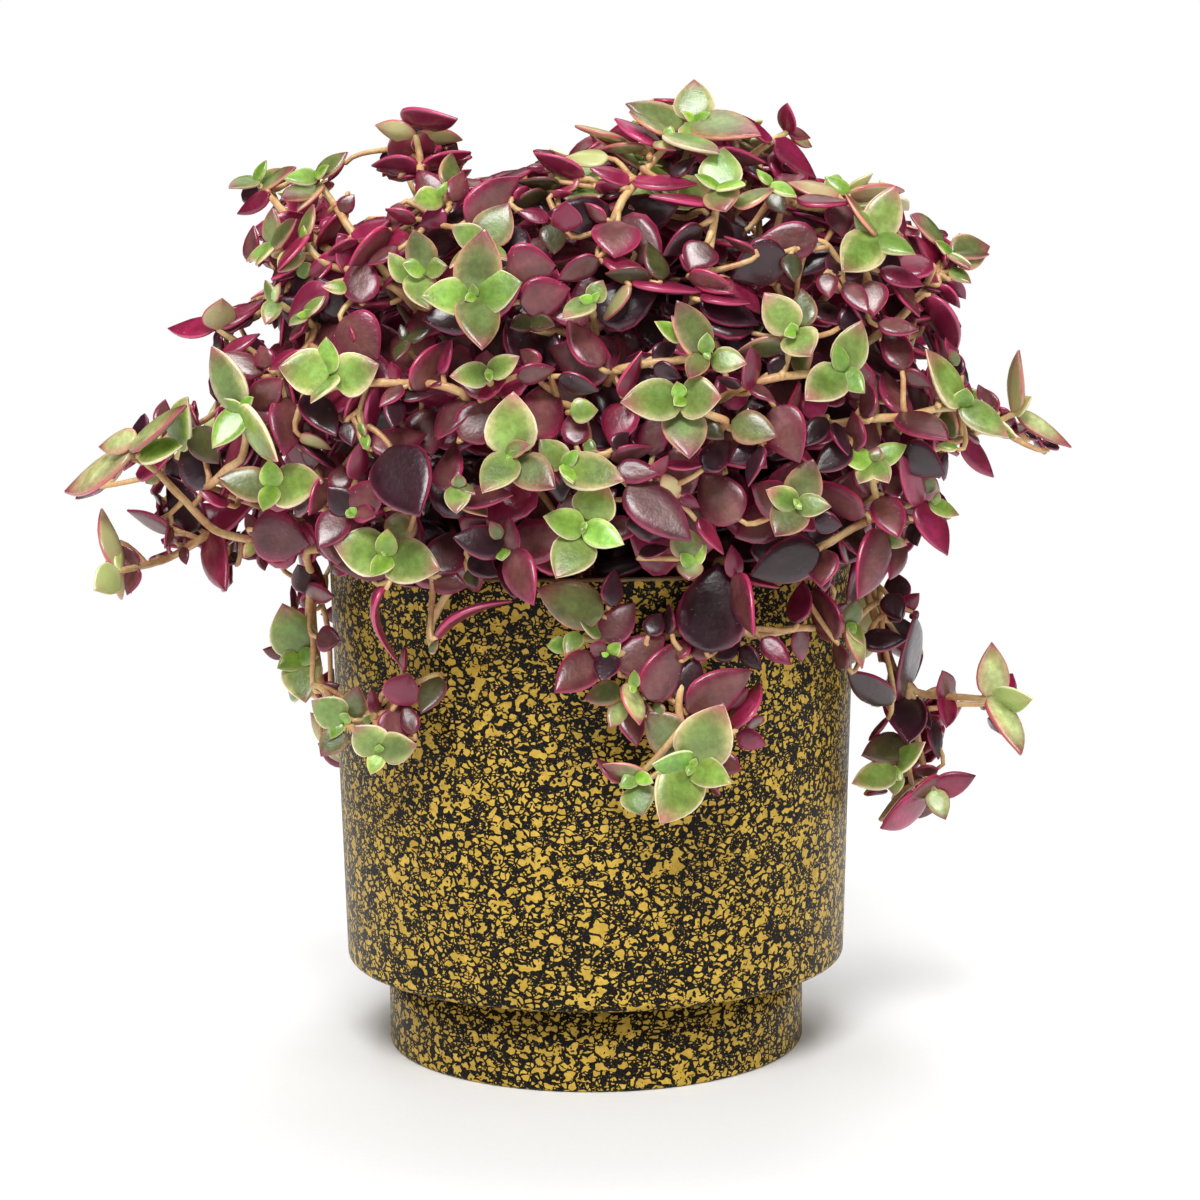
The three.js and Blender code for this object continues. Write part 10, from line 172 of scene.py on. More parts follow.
     [[446,-468,2188,-99,40,-35,86,54,4,16,5,0],[448,-473,2191,12,-20,63,55,34,4,16,5,0],[450,-471,2190,46,-20,68,83,44,3,14,5,0],[452,-448,2192,-145,48,-83,40,25,4,16,5,0],[411,-510,2166,33,-34,74,143,69,6,14,5,0],[109,-475,2121,-123,8,-33,114,92,2,12,5,2],[114,-468,2121,50,4,33,114,105,2,12,5,2],[116,-475,2121,-37,-12,-2,64,57,0,12,5,3],[113,-473,2130,141,52,3,71,58,0,12,5,3],[120,-476,2135,29,31,39,31,28,0,12,5,3],[114,-479,2131,-102,35,-41,32,27,0,12,5,3],[75,-452,2060,-140,18,-31,129,109,4,12,5,2],[82,-447,2058,32,-6,30,144,125,4,12,5,2],[278,-454,2122,-90,5,-17,89,73,1,12,5,2],[278,-444,2122,86,8,17,98,89,1,12,5,2],[286,-449,2129,-3,3,1,60,52,0,12,5,3],[276,-449,2132,178,37,-2,50,41,0,12,5,3],[285,-448,2144,74,39,22,29,27,0,12,5,3],[283,-454,2139,-79,37,-21,26,23,0,12,5,3],[256,-444,2064,153,23,6,134,108,4,12,5,2],[265,-449,2061,-25,-9,-5,151,127,4,12,5,2],[166,-588,2029,-141,-11,-46,110,96,1,12,5,2],[173,-584,2031,28,21,49,120,96,1,12,5,2],[173,-594,2034,-48,-26,18,77,67,0,12,5,3],[170,-591,2038,157,62,-37,75,66,0,12,5,3],[174,-597,2041,-4,39,66,34,30,0,12,5,3],[172,-599,2041,-117,12,-46,37,33,0,12,5,3],[150,-542,1987,-145,-8,-47,138,118,4,12,5,2],[157,-538,1989,25,17,49,133,116,4,12,5,2],[-16,-629,2045,-82,-17,14,120,94,1,12,5,2],[-18,-621,2049,102,31,-15,130,112,1,12,5,2],[-16,-628,2055,-6,31,28,74,63,0,12,5,3],[-21,-629,2054,-168,5,-24,67,55,0,12,5,3],[-20,-631,2062,119,62,-29,37,31,0,12,5,3],[-18,-634,2056,-90,15,14,33,28,0,12,5,3],[-8,-600,1988,-130,-20,-8,138,124,4,12,5,2],[-3,-594,1992,47,33,9,133,113,4,12,5,2],[405,-530,2162,-153,32,131,110,61,6,14,5,0],[345,-479,2117,-3,-33,25,105,82,5,15,2,4],[339,-480,2124,-158,59,-43,105,80,4,15,5,4],[269,-427,2063,77,41,39,144,108,5,15,0,4],[268,-434,2058,-85,-18,-30,144,131,5,15,9,4],[216,-375,1987,-156,22,-45,131,105,5,15,7,4],[222,-374,1983,-32,-14,20,131,108,5,15,6,4],[187,-313,1914,-131,-15,-39,115,96,5,15,6,4],[193,-307,1917,25,37,50,115,82,6,15,5,4],[177,-246,1853,-43,-21,32,140,111,5,15,5,4],[171,-242,1858,155,42,-42,140,116,4,15,5,4],[165,-194,1760,-58,0,0,123,106,5,15,7,4],[161,-187,1767,122,33,0,123,91,6,15,4,4],[165,-230,1673,-44,27,-19,129,93,5,15,4,4],[158,-222,1668,132,-17,18,129,117,5,15,9,4],[167,-255,1578,121,13,-1,125,107,5,15,2,4],[172,-264,1574,-60,18,1,125,97,5,15,0,4],[175,-269,1471,-170,1,2,106,89,6,15,9,4],[184,-266,1478,32,30,-5,106,82,6,15,9,4],[198,-268,1375,-57,10,9,103,85,5,15,4,4],[192,-261,1380,129,25,-10,103,86,5,15,8,4],[209,-252,1287,23,35,4,100,84,5,15,3,4],[204,-258,1280,-115,-4,4,100,80,5,15,8,4],[217,-238,1187,119,24,-10,133,111,4,15,10,4],[221,-247,1181,-68,20,9,113,77,4,15,1,4],[13,-565,1921,-76,2,19,118,90,6,15,2,4],[7,-558,1930,116,28,-22,139,121,6,15,9,4],[60,-478,1902,-37,5,80,122,86,5,15,9,4],[52,-474,1898,169,-41,-71,144,102,5,15,9,4],[104,-378,1886,160,44,-87,135,118,4,15,6,4],[109,-382,1879,-49,-40,68,135,103,5,15,9,4],[169,-502,1999,-36,-41,52,91,70,6,15,9,4],[163,-500,2006,-177,53,-81,107,82,6,15,9,4],[165,-408,1973,-12,55,87,98,81,5,15,1,4],[163,-410,1968,-86,-46,1,123,93,6,15,6,4],[155,-316,1909,174,26,-50,112,82,6,15,1,4],[162,-316,1907,-24,16,51,112,85,5,15,1,4],[239,-420,2005,-73,-23,-9,117,80,4,15,6,4],[239,-414,2011,69,48,35,117,93,4,15,8,4],[211,-351,1946,9,-1,50,127,89,5,15,8,4],[202,-355,1946,-142,-2,-50,127,97,5,15,0,4],[65,-398,1974,-177,-18,-44,116,90,5,15,8,4],[71,-397,1980,27,64,24,79,57,5,15,0,4],[118,-320,1918,124,37,-51,123,96,5,15,1,4],[67,-430,2121,-156,47,-28,116,82,4,15,2,4],[-14,-491,2140,51,21,-21,103,79,4,15,3,4],[-117,-529,2115,-32,-11,43,90,63,5,15,9,4],[235,-576,2003,17,30,20,68,55,5,15,9,4],[-79,-622,2013,119,22,1,111,94,5,15,10,4],[-70,-553,2047,-18,-2,16,83,66,4,15,6,4],[262,-654,1992,-21,-61,48,100,70,5,15,2,4],[334,-485,2076,-135,5,-1,80,61,5,15,9,4]]),
    ("shoot_front_31",
     [[802,-481,1899,782,-501,1871,760,-523,1846,743,-553,1830,733,-566,1821,679,-624,1766,614,-588,1716,583,-566,1690,555,-539,1662,528,-506,1633,504,-466,1601,483,-415,1567,465,-352,1530,449,-272,1491,436,-171,1448,425,-110,1408,416,-22,1364,409,32,1323,403,53,1283,397,39,1246,393,-12,1211,388,-104,1180,382,-180,1148,387,-243,1109,389,-290,1070]],
     [[805,-520,1853,799,-524,1860,783,-519,1862,779,-521,1867],[775,-570,1840,767,-574,1849,748,-556,1832,744,-555,1831],[808,-500,1872,800,-493,1878,783,-513,1866,779,-521,1867],[748,-610,1816,740,-617,1829,715,-592,1800,710,-592,1797],[681,-700,1648,639,-691,1670,646,-618,1718,652,-610,1746],[713,-576,1631,711,-558,1670,651,-602,1696,648,-626,1723],[808,-494,1859,806,-503,1849,782,-511,1862,779,-521,1867],[779,-530,1826,787,-518,1826,775,-520,1854,779,-521,1867],[798,-468,1917,803,-444,1927,775,-503,1874,779,-521,1867],[731,-570,1785,743,-562,1774,735,-554,1817,744,-555,1831],[700,-669,1698,694,-685,1701,658,-663,1685,652,-668,1683],[781,-423,1953,768,-445,1947,779,-458,1908,790,-476,1901],[760,-505,1775,771,-482,1780,767,-510,1823,780,-520,1844],[751,-606,1883,775,-600,1889,738,-562,1840,744,-555,1831],[755,-442,1937,755,-454,1919,775,-464,1906,790,-476,1901],[808,-458,1840,821,-448,1821,770,-483,1804,768,-498,1797],[711,-523,1799,716,-505,1811,747,-499,1794,768,-498,1797],[802,-490,1830,807,-484,1836,797,-468,1820,800,-463,1819],[728,-542,1780,726,-544,1739,679,-565,1701,680,-586,1682],[747,-511,1751,748,-509,1728,708,-539,1730,705,-555,1726],[775,-491,1852,774,-488,1863,777,-493,1873,783,-497,1883],[847,-267,1938,881,-225,1913,769,-391,1925,775,-443,1938],[733,-585,1630,729,-599,1637,704,-572,1651,701,-574,1660],[793,-388,1901,787,-401,1900,778,-404,1922,780,-413,1932],[694,-498,1600,683,-511,1545,557,-498,1628,537,-518,1643],[747,-300,1926,750,-272,1919,800,-298,1918,831,-303,1923],[774,-458,1786,777,-448,1797,789,-459,1809,800,-463,1819],[757,-195,1936,750,-190,1968,756,-261,1917,771,-288,1920],[785,-258,1829,783,-224,1832,755,-257,1895,762,-263,1925],[813,-273,1925,814,-277,1934,801,-289,1920,801,-295,1920],[724,-425,1842,735,-421,1817,761,-442,1809,785,-456,1804],[681,-256,1941,671,-268,1906,734,-244,1881,768,-247,1873],[680,-368,1939,705,-375,1909,674,-279,1911,689,-259,1913],[739,-301,1898,741,-316,1887,712,-263,1892,712,-254,1895],[837,-159,1789,833,-119,1817,766,-221,1844,768,-247,1873],[800,-158,1929,801,-165,1953,756,-198,1935,754,-214,1944],[746,-170,1989,752,-151,2001,745,-201,1950,754,-214,1944],[768,-467,1883,777,-468,1892,773,-458,1906,780,-459,1917],[793,-156,1777,785,-153,1795,794,-168,1812,804,-174,1828],[828,-88,1777,839,-93,1754,813,-136,1799,822,-154,1812],[811,-236,1757,795,-228,1785,793,-185,1806,804,-174,1828],[808,-271,1756,823,-288,1730,772,-245,1820,777,-243,1847],[744,-254,1956,742,-243,1967,747,-222,1944,754,-214,1944],[842,-226,1784,856,-228,1780,805,-219,1781,800,-219,1783],[822,-53,1847,849,-47,1832,814,-95,1789,827,-111,1778],[720,-205,1888,717,-220,1896,708,-240,1889,712,-254,1895],[739,-440,1784,728,-447,1787,736,-429,1810,741,-429,1822],[524,-674,1650,561,-646,1649,547,-568,1667,571,-554,1678],[553,-689,1651,554,-691,1638,540,-657,1651,540,-652,1652],[641,-522,1503,664,-502,1503,633,-501,1565,643,-505,1587],[854,-163,1792,847,-185,1796,803,-185,1798,797,-195,1804]],
     [[794,-473,1947,-139,22,-55,120,78,2,14,5,0],[818,-469,1910,49,65,85,59,35,2,14,5,1],[814,-483,1911,27,9,72,107,89,2,14,5,0],[812,-493,1914,-60,-33,-4,76,50,2,14,5,1],[813,-480,1915,17,-4,26,98,53,2,14,5,0],[814,-493,1911,-139,23,-61,68,41,1,10,5,1],[810,-490,1908,-48,-23,-42,63,37,0,10,5,1],[790,-474,1901,-138,24,-92,99,51,6,14,5,0],[808,-505,1876,-38,-29,45,64,37,1,10,5,0],[805,-520,1853,36,-42,-21,64,37,6,14,5,0],[775,-570,1840,27,-43,-18,75,43,6,14,5,0],[748,-610,1816,46,-51,12,162,96,6,14,5,0],[679,-706,1646,-12,-27,104,66,40,4,16,5,0],[656,-618,1747,-76,-15,-42,102,89,4,15,8,4],[661,-611,1755,71,40,58,120,86,5,15,7,4],[596,-569,1694,24,-31,45,138,102,5,15,9,4],[589,-572,1698,-121,49,-69,138,114,5,15,4,4],[532,-509,1640,56,66,60,136,113,4,15,7,4],[531,-515,1635,-101,-26,-40,136,112,6,15,5,4],[492,-448,1587,-142,6,-58,137,103,4,15,9,4],[501,-447,1585,-5,-27,50,137,97,5,15,4,4],[466,-368,1534,-121,-38,-40,139,116,5,15,1,4],[471,-362,1541,40,51,54,139,108,5,15,7,4],[450,-257,1483,-28,-19,54,122,99,5,15,5,4],[443,-257,1484,-153,2,-67,83,58,4,15,8,4],[436,-163,1447,20,66,67,112,80,4,15,9,4],[433,-168,1441,-115,-40,-29,112,96,5,15,4,4],[417,-62,1387,-169,41,-73,132,121,5,15,7,4],[424,-64,1383,-29,-21,51,132,99,6,15,7,4],[407,11,1336,-148,-15,-47,115,88,5,15,8,4],[412,15,1340,33,67,53,136,124,6,15,1,4],[391,27,1233,137,-7,47,149,110,6,15,5,4],[401,22,1238,-13,31,-57,149,104,6,15,8,4],[384,-68,1195,163,28,79,97,70,5,15,5,4],[392,-66,1187,54,-40,-34,97,75,4,15,4,4],[390,-159,1158,-5,11,-67,108,76,5,15,7,4],[379,-157,1154,146,-19,57,87,65,4,15,3,4],[717,-580,1633,-85,-65,-41,116,99,5,15,7,4],[812,-497,1861,78,46,59,68,47,4,15,3,4],[780,-531,1831,-126,-1,-17,65,44,5,15,7,4],[803,-470,1917,-103,-22,-83,69,55,4,15,9,4],[736,-572,1788,-148,38,-43,72,66,4,15,2,4],[700,-669,1698,71,-11,24,106,88,4,15,7,4],[782,-425,1958,60,12,25,67,49,4,15,3,4],[760,-506,1781,-115,-12,-1,102,70,4,15,3,4],[751,-610,1888,-166,-14,-34,104,93,6,15,1,4],[761,-445,1938,88,57,65,61,56,6,15,2,4],[812,-462,1841,-145,50,-75,66,54,5,15,4,4],[716,-525,1801,-106,-33,-66,62,44,4,15,7,4],[807,-494,1830,-125,-36,-93,54,43,5,15,7,4],[732,-547,1780,22,86,107,84,68,5,15,9,4],[747,-511,1751,-133,84,20,66,59,4,15,5,4],[779,-495,1854,-72,-75,-20,59,52,5,15,10,4],[847,-267,1938,-129,25,-20,71,63,4,15,4,4],[733,-585,1630,72,-26,68,72,50,4,15,7,4],[796,-390,1906,66,4,33,78,57,6,15,7,4],[699,-502,1600,50,73,91,96,68,4,15,1,4],[747,-300,1926,-95,12,-10,133,119,6,15,7,4],[777,-462,1789,-106,-50,-42,74,67,4,15,3,4],[762,-197,1937,-30,-76,-2,117,83,5,15,9,4],[785,-258,1829,-86,-6,-46,119,99,4,15,3,4],[813,-273,1925,107,-66,86,141,99,4,15,3,4],[724,-425,1842,-162,65,35,134,104,5,15,4,4],[683,-261,1943,52,65,50,145,105,4,15,2,4],[680,-368,1939,165,50,5,117,91,5,15,6,4],[741,-304,1902,99,34,17,67,46,4,15,6,4],[839,-162,1793,-85,-35,-16,102,93,5,15,8,4],[800,-158,1929,97,-73,-2,93,74,5,15,10,4],[746,-173,1994,-108,-31,-14,83,71,4,15,8,4],[768,-467,1883,175,-46,56,105,80,4,15,3,4],[793,-156,1777,-15,-64,-11,129,117,6,15,2,4],[828,-88,1777,155,65,20,96,86,6,15,10,4],[811,-236,1757,-27,-58,-22,109,96,5,15,3,4],[808,-271,1756,130,49,33,88,61,5,15,0,4],[744,-254,1956,-81,-45,-78,72,53,5,15,2,4],[842,-226,1784,170,18,-6,59,47,5,15,2,4],[822,-53,1847,-166,28,-9,112,93,6,15,6,4],[720,-205,1888,78,-27,14,93,66,4,15,7,4],[742,-444,1788,31,-10,49,105,75,5,15,8,4],[527,-678,1652,-143,1,-68,115,87,5,15,6,4],[559,-691,1652,102,82,64,101,71,4,15,9,4],[645,-527,1503,-138,-1,-83,131,93,4,15,9,4],[854,-163,1792,72,-9,15,57,43,4,15,2,4]]),
    ("shoot_front_32",
     [[-825,-560,1756,-783,-531,1725,-757,-509,1705,-724,-510,1683,-686,-508,1657,-653,-502,1633,-622,-492,1609,-592,-479,1584,-539,-447,1530,-494,-408,1472,-458,-367,1409,-443,-346,1375,-418,-308,1304,-408,-290,1267,-392,-258,1191,-386,-247,1151,-372,-229,1070]],
     [[-810,-580,1696,-829,-583,1687,-782,-538,1715,-783,-531,1725],[-815,-590,1582,-800,-568,1618,-789,-552,1673,-800,-555,1706],[-762,-594,1598,-774,-587,1607,-789,-576,1606,-805,-576,1610],[-849,-416,1705,-846,-455,1674,-749,-476,1691,-740,-509,1693],[-825,-481,1711,-820,-494,1702,-789,-470,1691,-785,-471,1687],[-826,-411,1766,-842,-388,1764,-823,-426,1707,-835,-439,1692],[-760,-455,1535,-758,-448,1588,-688,-483,1627,-690,-508,1660],[-759,-490,1612,-756,-504,1605,-721,-475,1612,-716,-475,1614],[-837,-284,1802,-820,-313,1837,-816,-370,1749,-833,-408,1742],[-801,-272,1802,-796,-287,1800,-815,-299,1804,-827,-310,1808],[-618,-632,1578,-651,-620,1615,-604,-510,1596,-619,-491,1606],[-728,-494,1689,-726,-488,1705,-693,-501,1665,-690,-508,1660],[-806,-461,1561,-820,-450,1569,-758,-453,1563,-751,-456,1565],[-735,-490,1465,-755,-473,1492,-734,-455,1540,-751,-456,1565],[-720,-475,1659,-719,-481,1648,-700,-483,1640,-699,-490,1636]],
     [[-830,-552,1761,147,-1,-45,143,70,6,14,5,0],[-828,-552,1761,20,26,32,128,65,6,14,5,0],[-825,-560,1756,-67,57,3,78,79,3,14,5,1],[-811,-584,1701,9,26,37,93,45,6,14,5,0],[-810,-593,1582,-125,-54,-89,55,34,6,14,5,0],[-769,-520,1708,-132,-49,7,129,101,5,15,7,4],[-685,-514,1655,-103,-2,52,149,107,4,15,0,4],[-689,-505,1660,107,23,-58,149,116,6,15,7,4],[-590,-482,1589,-46,51,51,126,86,6,15,7,4],[-600,-481,1585,-176,-29,-16,148,117,4,15,8,4],[-532,-435,1521,120,23,-47,139,101,5,15,1,4],[-530,-444,1517,-90,-22,35,139,125,5,15,10,4],[-489,-399,1455,-161,-18,-20,111,88,6,15,6,4],[-482,-400,1458,-44,31,47,95,80,5,15,9,4],[-436,-342,1355,-100,-8,15,130,116,4,15,5,4],[-441,-336,1364,134,24,-34,130,104,5,15,1,4],[-407,-290,1274,36,47,12,94,71,5,15,6,4],[-414,-293,1272,-176,-4,-24,139,127,6,15,7,4],[-394,-253,1178,164,15,-19,119,91,5,15,5,4],[-386,-258,1178,-42,-1,18,119,106,5,15,9,4],[-764,-599,1599,-30,-33,79,94,76,4,15,7,4],[-855,-418,1707,94,39,-75,86,76,4,15,3,4],[-831,-483,1711,109,31,-88,79,65,5,15,8,4],[-829,-413,1770,-55,4,38,137,115,5,15,4,4],[-765,-459,1536,-106,-83,31,99,73,5,15,9,4],[-764,-492,1614,103,28,-68,118,95,6,15,2,4],[-837,-284,1802,122,-46,-29,78,54,6,15,3,4],[-804,-274,1807,108,7,-31,89,74,5,15,2,4],[-623,-635,1575,-21,-47,133,98,85,4,15,0,4],[-732,-497,1691,-105,-67,40,62,46,4,15,2,4],[-810,-466,1561,-36,-22,93,98,73,4,15,4,4],[-739,-494,1465,-41,-46,99,149,121,4,15,8,4],[-722,-480,1662,97,58,-28,63,47,4,15,8,4]]),
    ("shoot_front_33",
     [[-276,-844,1406,-261,-794,1384,-256,-787,1381,-251,-771,1374,-218,-660,1321,-195,-586,1279,-183,-552,1255,-172,-519,1229,-152,-460,1170,-133,-408,1105,-124,-385,1070]],
     [[-306,-820,1403,-309,-830,1390,-270,-804,1394,-262,-808,1390],[-261,-750,1251,-292,-737,1268,-234,-701,1324,-232,-704,1343],[-268,-720,1223,-291,-702,1257,-223,-653,1300,-216,-654,1318]],
     [[-277,-853,1416,-96,-50,0,77,59,1,10,5,0],[-276,-866,1412,-84,82,174,30,33,2,14,5,1],[-277,-852,1417,-36,-27,40,49,29,2,14,5,0],[-271,-810,1388,-25,1,41,121,75,4,16,5,0],[-271,-785,1387,-48,-27,30,89,53,2,14,5,0],[-309,-824,1407,76,51,-14,121,74,4,16,5,0],[-263,-755,1254,-23,-26,64,80,53,5,16,5,0],[-269,-726,1225,-38,-50,61,44,35,7,14,5,0],[-243,-746,1358,-86,-44,19,98,68,4,15,0,4],[-247,-743,1364,159,36,-68,144,131,5,15,3,4],[-214,-661,1325,-5,39,61,104,74,5,15,5,4],[-220,-663,1318,-122,-49,-13,104,89,6,15,9,4],[-198,-584,1281,155,38,-59,140,97,4,15,9,4],[-190,-587,1281,-12,24,57,95,75,4,15,8,4]]),
    ("shoot_front_34",
     [[991,-310,1553,976,-298,1546,961,-293,1537,926,-301,1520,857,-367,1496,818,-410,1483,779,-419,1473,745,-419,1464,711,-415,1455,678,-407,1444,645,-395,1433,584,-362,1403,556,-347,1386,530,-332,1367,507,-316,1345,486,-297,1321,451,-257,1267,424,-216,1205,407,-178,1135,390,-164,1104,377,-153,1070]],
     [[955,-300,1558,959,-304,1549,943,-295,1536,945,-295,1530],[956,-290,1567,936,-301,1587,902,-314,1524,901,-328,1512],[913,-430,1540,886,-412,1558,890,-346,1518,901,-328,1512],[913,-430,1563,926,-453,1533,889,-346,1523,901,-328,1512],[1019,-244,1522,1025,-217,1536,951,-279,1527,945,-295,1530],[1080,-263,1467,1062,-310,1451,957,-281,1514,945,-295,1530],[881,-369,1499,885,-363,1497,876,-351,1503,879,-347,1504],[1041,-224,1490,1040,-246,1485,996,-240,1520,994,-248,1530],[607,-410,1229,608,-446,1277,532,-338,1342,534,-334,1369],[1076,-142,1500,1064,-183,1521,994,-218,1522,994,-248,1530],[812,-416,1509,809,-416,1500,813,-409,1489,819,-410,1483],[675,-391,1306,687,-381,1345,571,-366,1324,557,-370,1325],[817,-459,1479,827,-447,1473,812,-418,1482,819,-410,1483],[870,-330,1600,864,-344,1632,877,-382,1555,898,-407,1543],[808,-382,1466,808,-382,1478,811,-401,1479,819,-410,1483],[766,-336,1304,756,-376,1315,667,-362,1325,656,-381,1327],[819,-334,1449,826,-319,1473,807,-386,1475,819,-410,1483],[754,-435,1373,735,-462,1371,706,-412,1435,706,-414,1453]],
     [[995,-298,1555,-102,47,-57,199,69,3,14,5,0],[997,-303,1558,2,-36,52,157,52,3,14,5,0],[993,-310,1555,-66,34,-107,73,46,0,10,5,1],[860,-361,1494,28,-46,80,127,65,6,14,5,0],[859,-343,1494,125,17,74,77,45,6,14,5,1],[909,-433,1537,-34,-28,127,82,49,1,10,5,0],[914,-434,1567,121,49,-7,70,42,4,16,5,0],[951,-305,1558,136,56,-83,67,40,4,16,5,0],[956,-290,1567,29,-42,-17,77,46,6,14,5,0],[723,-412,1456,65,-19,69,100,79,5,15,7,4],[715,-421,1458,-81,28,-83,100,91,4,15,7,4],[616,-378,1424,73,57,66,116,88,4,15,9,4],[617,-384,1417,-77,-43,-43,116,89,4,15,2,4],[524,-332,1366,-135,40,-55,108,96,5,15,7,4],[531,-328,1361,23,-24,44,108,85,5,15,10,4],[468,-281,1293,-84,-28,-22,115,81,5,15,7,4],[468,-274,1298,82,49,31,115,94,5,15,2,4],[428,-226,1225,173,47,-30,98,72,4,15,0,4],[1018,-247,1527,-104,-27,-3,54,46,4,15,5,4],[1082,-265,1472,69,18,29,57,48,5,15,1,4],[885,-371,1503,-119,15,-47,104,79,5,15,1,4],[1044,-225,1495,88,14,29,73,55,5,15,1,4],[612,-412,1228,92,-53,114,147,116,5,15,4,4],[1076,-142,1500,74,-27,56,98,74,5,15,10,4],[815,-421,1507,4,67,120,129,112,4,15,5,4],[675,-391,1306,-143,-68,-137,102,86,6,15,4,4],[817,-459,1479,-130,19,-32,144,127,5,15,6,4],[870,-330,1600,69,-65,53,71,50,4,15,4,4],[813,-385,1466,-124,-89,-92,67,53,5,15,8,4],[766,-336,1304,76,-14,27,114,90,4,15,2,4],[819,-334,1449,-116,-56,-115,55,43,6,15,6,4],[754,-435,1373,54,4,-87,105,85,4,15,6,4]]),
    ("shoot_front_35",
     [[-694,-254,986,-677,-258,1085,-671,-280,1146,-663,-300,1189,-661,-371,1219,-657,-402,1251,-587,-378,1252,-552,-365,1249,-518,-350,1242,-485,-334,1231,-453,-318,1217,-422,-302,1199,-364,-268,1154,-315,-230,1100,-292,-213,1070],[-564,-473,867,-599,-408,893,-609,-401,900,-618,-388,907,-636,-341,923,-651,-285,952,-655,-266,971,-661,-250,993,-665,-238,1015,-668,-231,1038,-670,-229,1062,-670,-232,1085,-669,-245,1131,-669,-282,1156],[-477,-583,814,-509,-534,830,-520,-524,836,-533,-520,844,-546,-508,851,-564,-481,859,-622,-380,910]],
     [[-641,-366,1045,-688,-350,1050,-646,-293,1139,-669,-282,1156],[-633,-374,919,-680,-374,898,-639,-347,1037,-660,-350,1060],[-527,-500,870,-584,-514,857,-607,-386,936,-655,-369,934],[-492,-530,892,-484,-505,838,-599,-391,942,-655,-369,934],[-451,-570,943,-483,-559,957,-481,-512,903,-501,-506,878],[-451,-595,838,-455,-617,795,-492,-497,884,-519,-482,882],[-441,-589,918,-457,-579,885,-478,-516,898,-501,-506,878],[-399,-600,852,-381,-623,811,-466,-516,885,-501,-506,878],[-338,-640,978,-316,-603,1019,-462,-499,922,-519,-482,882],[-760,-80,973,-703,-85,955,-667,-209,1114,-669,-257,1140],[-428,-554,992,-431,-543,977,-422,-533,960,-426,-534,944],[-475,-496,889,-466,-512,892,-451,-508,924,-448,-518,929],[-736,-89,1089,-733,-123,1082,-686,-147,1072,-686,-169,1058]],
     [[-478,-594,813,-158,49,-110,85,88,1,10,5,0],[-480,-594,814,-17,12,95,95,78,1,10,5,0],[-480,-586,811,-127,-62,-33,58,44,0,10,5,0],[-478,-605,813,-83,64,172,20,22,0,10,5,1],[-699,-264,987,-163,76,-110,138,117,1,10,5,0],[-696,-275,992,-151,-26,-65,65,54,0,10,5,1],[-701,-275,990,-35,8,81,69,46,0,10,5,1],[-700,-263,991,-68,-55,29,128,103,1,10,5,0],[-669,-279,1146,-107,47,-158,99,68,5,16,5,0],[-673,-290,1149,-47,-4,105,110,55,4,16,5,0],[-668,-277,1145,132,-40,-172,56,32,4,16,5,0],[-569,-484,866,-174,36,-97,89,85,1,10,5,0],[-576,-476,872,-145,-59,-51,57,38,0,10,5,0],[-570,-495,866,-50,45,121,29,33,0,10,5,1],[-577,-476,845,-155,-52,-57,79,67,2,14,5,0],[-560,-468,854,-46,67,127,103,76,2,14,5,0],[-643,-372,1046,-18,-7,77,62,65,4,16,5,0],[-449,-600,840,78,62,27,86,83,4,16,5,0],[-452,-575,945,-18,-23,61,53,37,5,16,5,0],[-526,-506,870,14,12,91,28,23,1,10,5,0],[-761,-86,973,175,18,-91,56,36,4,16,5,0],[-400,-605,854,127,54,-43,77,46,4,16,5,0],[-441,-589,918,-32,61,-48,81,88,6,14,5,0],[-492,-530,892,-108,64,41,60,37,6,14,5,0],[-339,-644,982,-120,-44,-7,104,64,7,14,5,0],[-634,-380,919,0,24,84,47,38,4,16,5,0],[-635,-391,1253,130,20,-100,115,103,6,15,1,4],[-546,-363,1252,-89,76,110,107,82,6,15,1,4],[-550,-359,1245,133,-33,-70,107,76,6,15,6,4],[-446,-310,1213,133,15,-66,115,98,6,15,4,4],[-442,-317,1215,-51,32,61,98,80,4,15,7,4],[-378,-278,1172,4,60,23,140,105,5,15,5,4],[-428,-554,992,-74,54,88,69,62,4,15,3,4],[-479,-498,893,120,-9,-46,80,54,5,15,6,4],[-736,-89,1089,95,12,-89,112,98,5,15,0,4]]),
    ("shoot_front_36",
     [[-353,-643,1039,-356,-628,1052,-359,-629,1067,-358,-602,1100,-340,-597,1135,-297,-604,1205,-273,-580,1229,-250,-556,1226,-228,-530,1213,-207,-501,1182,-187,-503,1145,-151,-498,1070]],
     [],
     [[-357,-653,1042,-14,55,77,33,20,2,14,5,0],[-295,-610,1204,-51,3,126,96,82,4,15,3,4],[-237,-541,1223,25,85,23,105,75,5,15,5,4]]),
    ("shoot_rear_01",
     [[-791,469,813,-731,365,806,-676,287,806,-644,288,827,-623,311,858,-576,359,919,-542,404,990,-512,443,1095,-493,462,1162,-484,467,1195,-461,457,1229,-416,434,1229,-376,412,1168,-358,402,1136,-325,385,1070],[-685,318,695,-720,257,731,-720,255,747,-711,256,764,-699,258,780,-680,265,799,-664,273,812,-644,288,827],[-656,425,629,-670,402,660,-674,378,691,-674,366,707,-660,327,775,-655,318,792,-637,316,819,-623,311,858],[-605,760,1456,-605,677,1352,-595,650,1318,-566,594,1262,-549,565,1235,-512,501,1186,-493,462,1162],[-992,310,1495,-981,274,1482,-966,266,1473,-951,269,1467,-926,300,1461,-866,349,1442,-812,400,1412,-755,445,1378,-727,463,1358,-698,478,1337,-670,488,1314,-642,494,1289,-613,496,1263,-584,493,1237,-555,486,1212,-493,462,1162]],
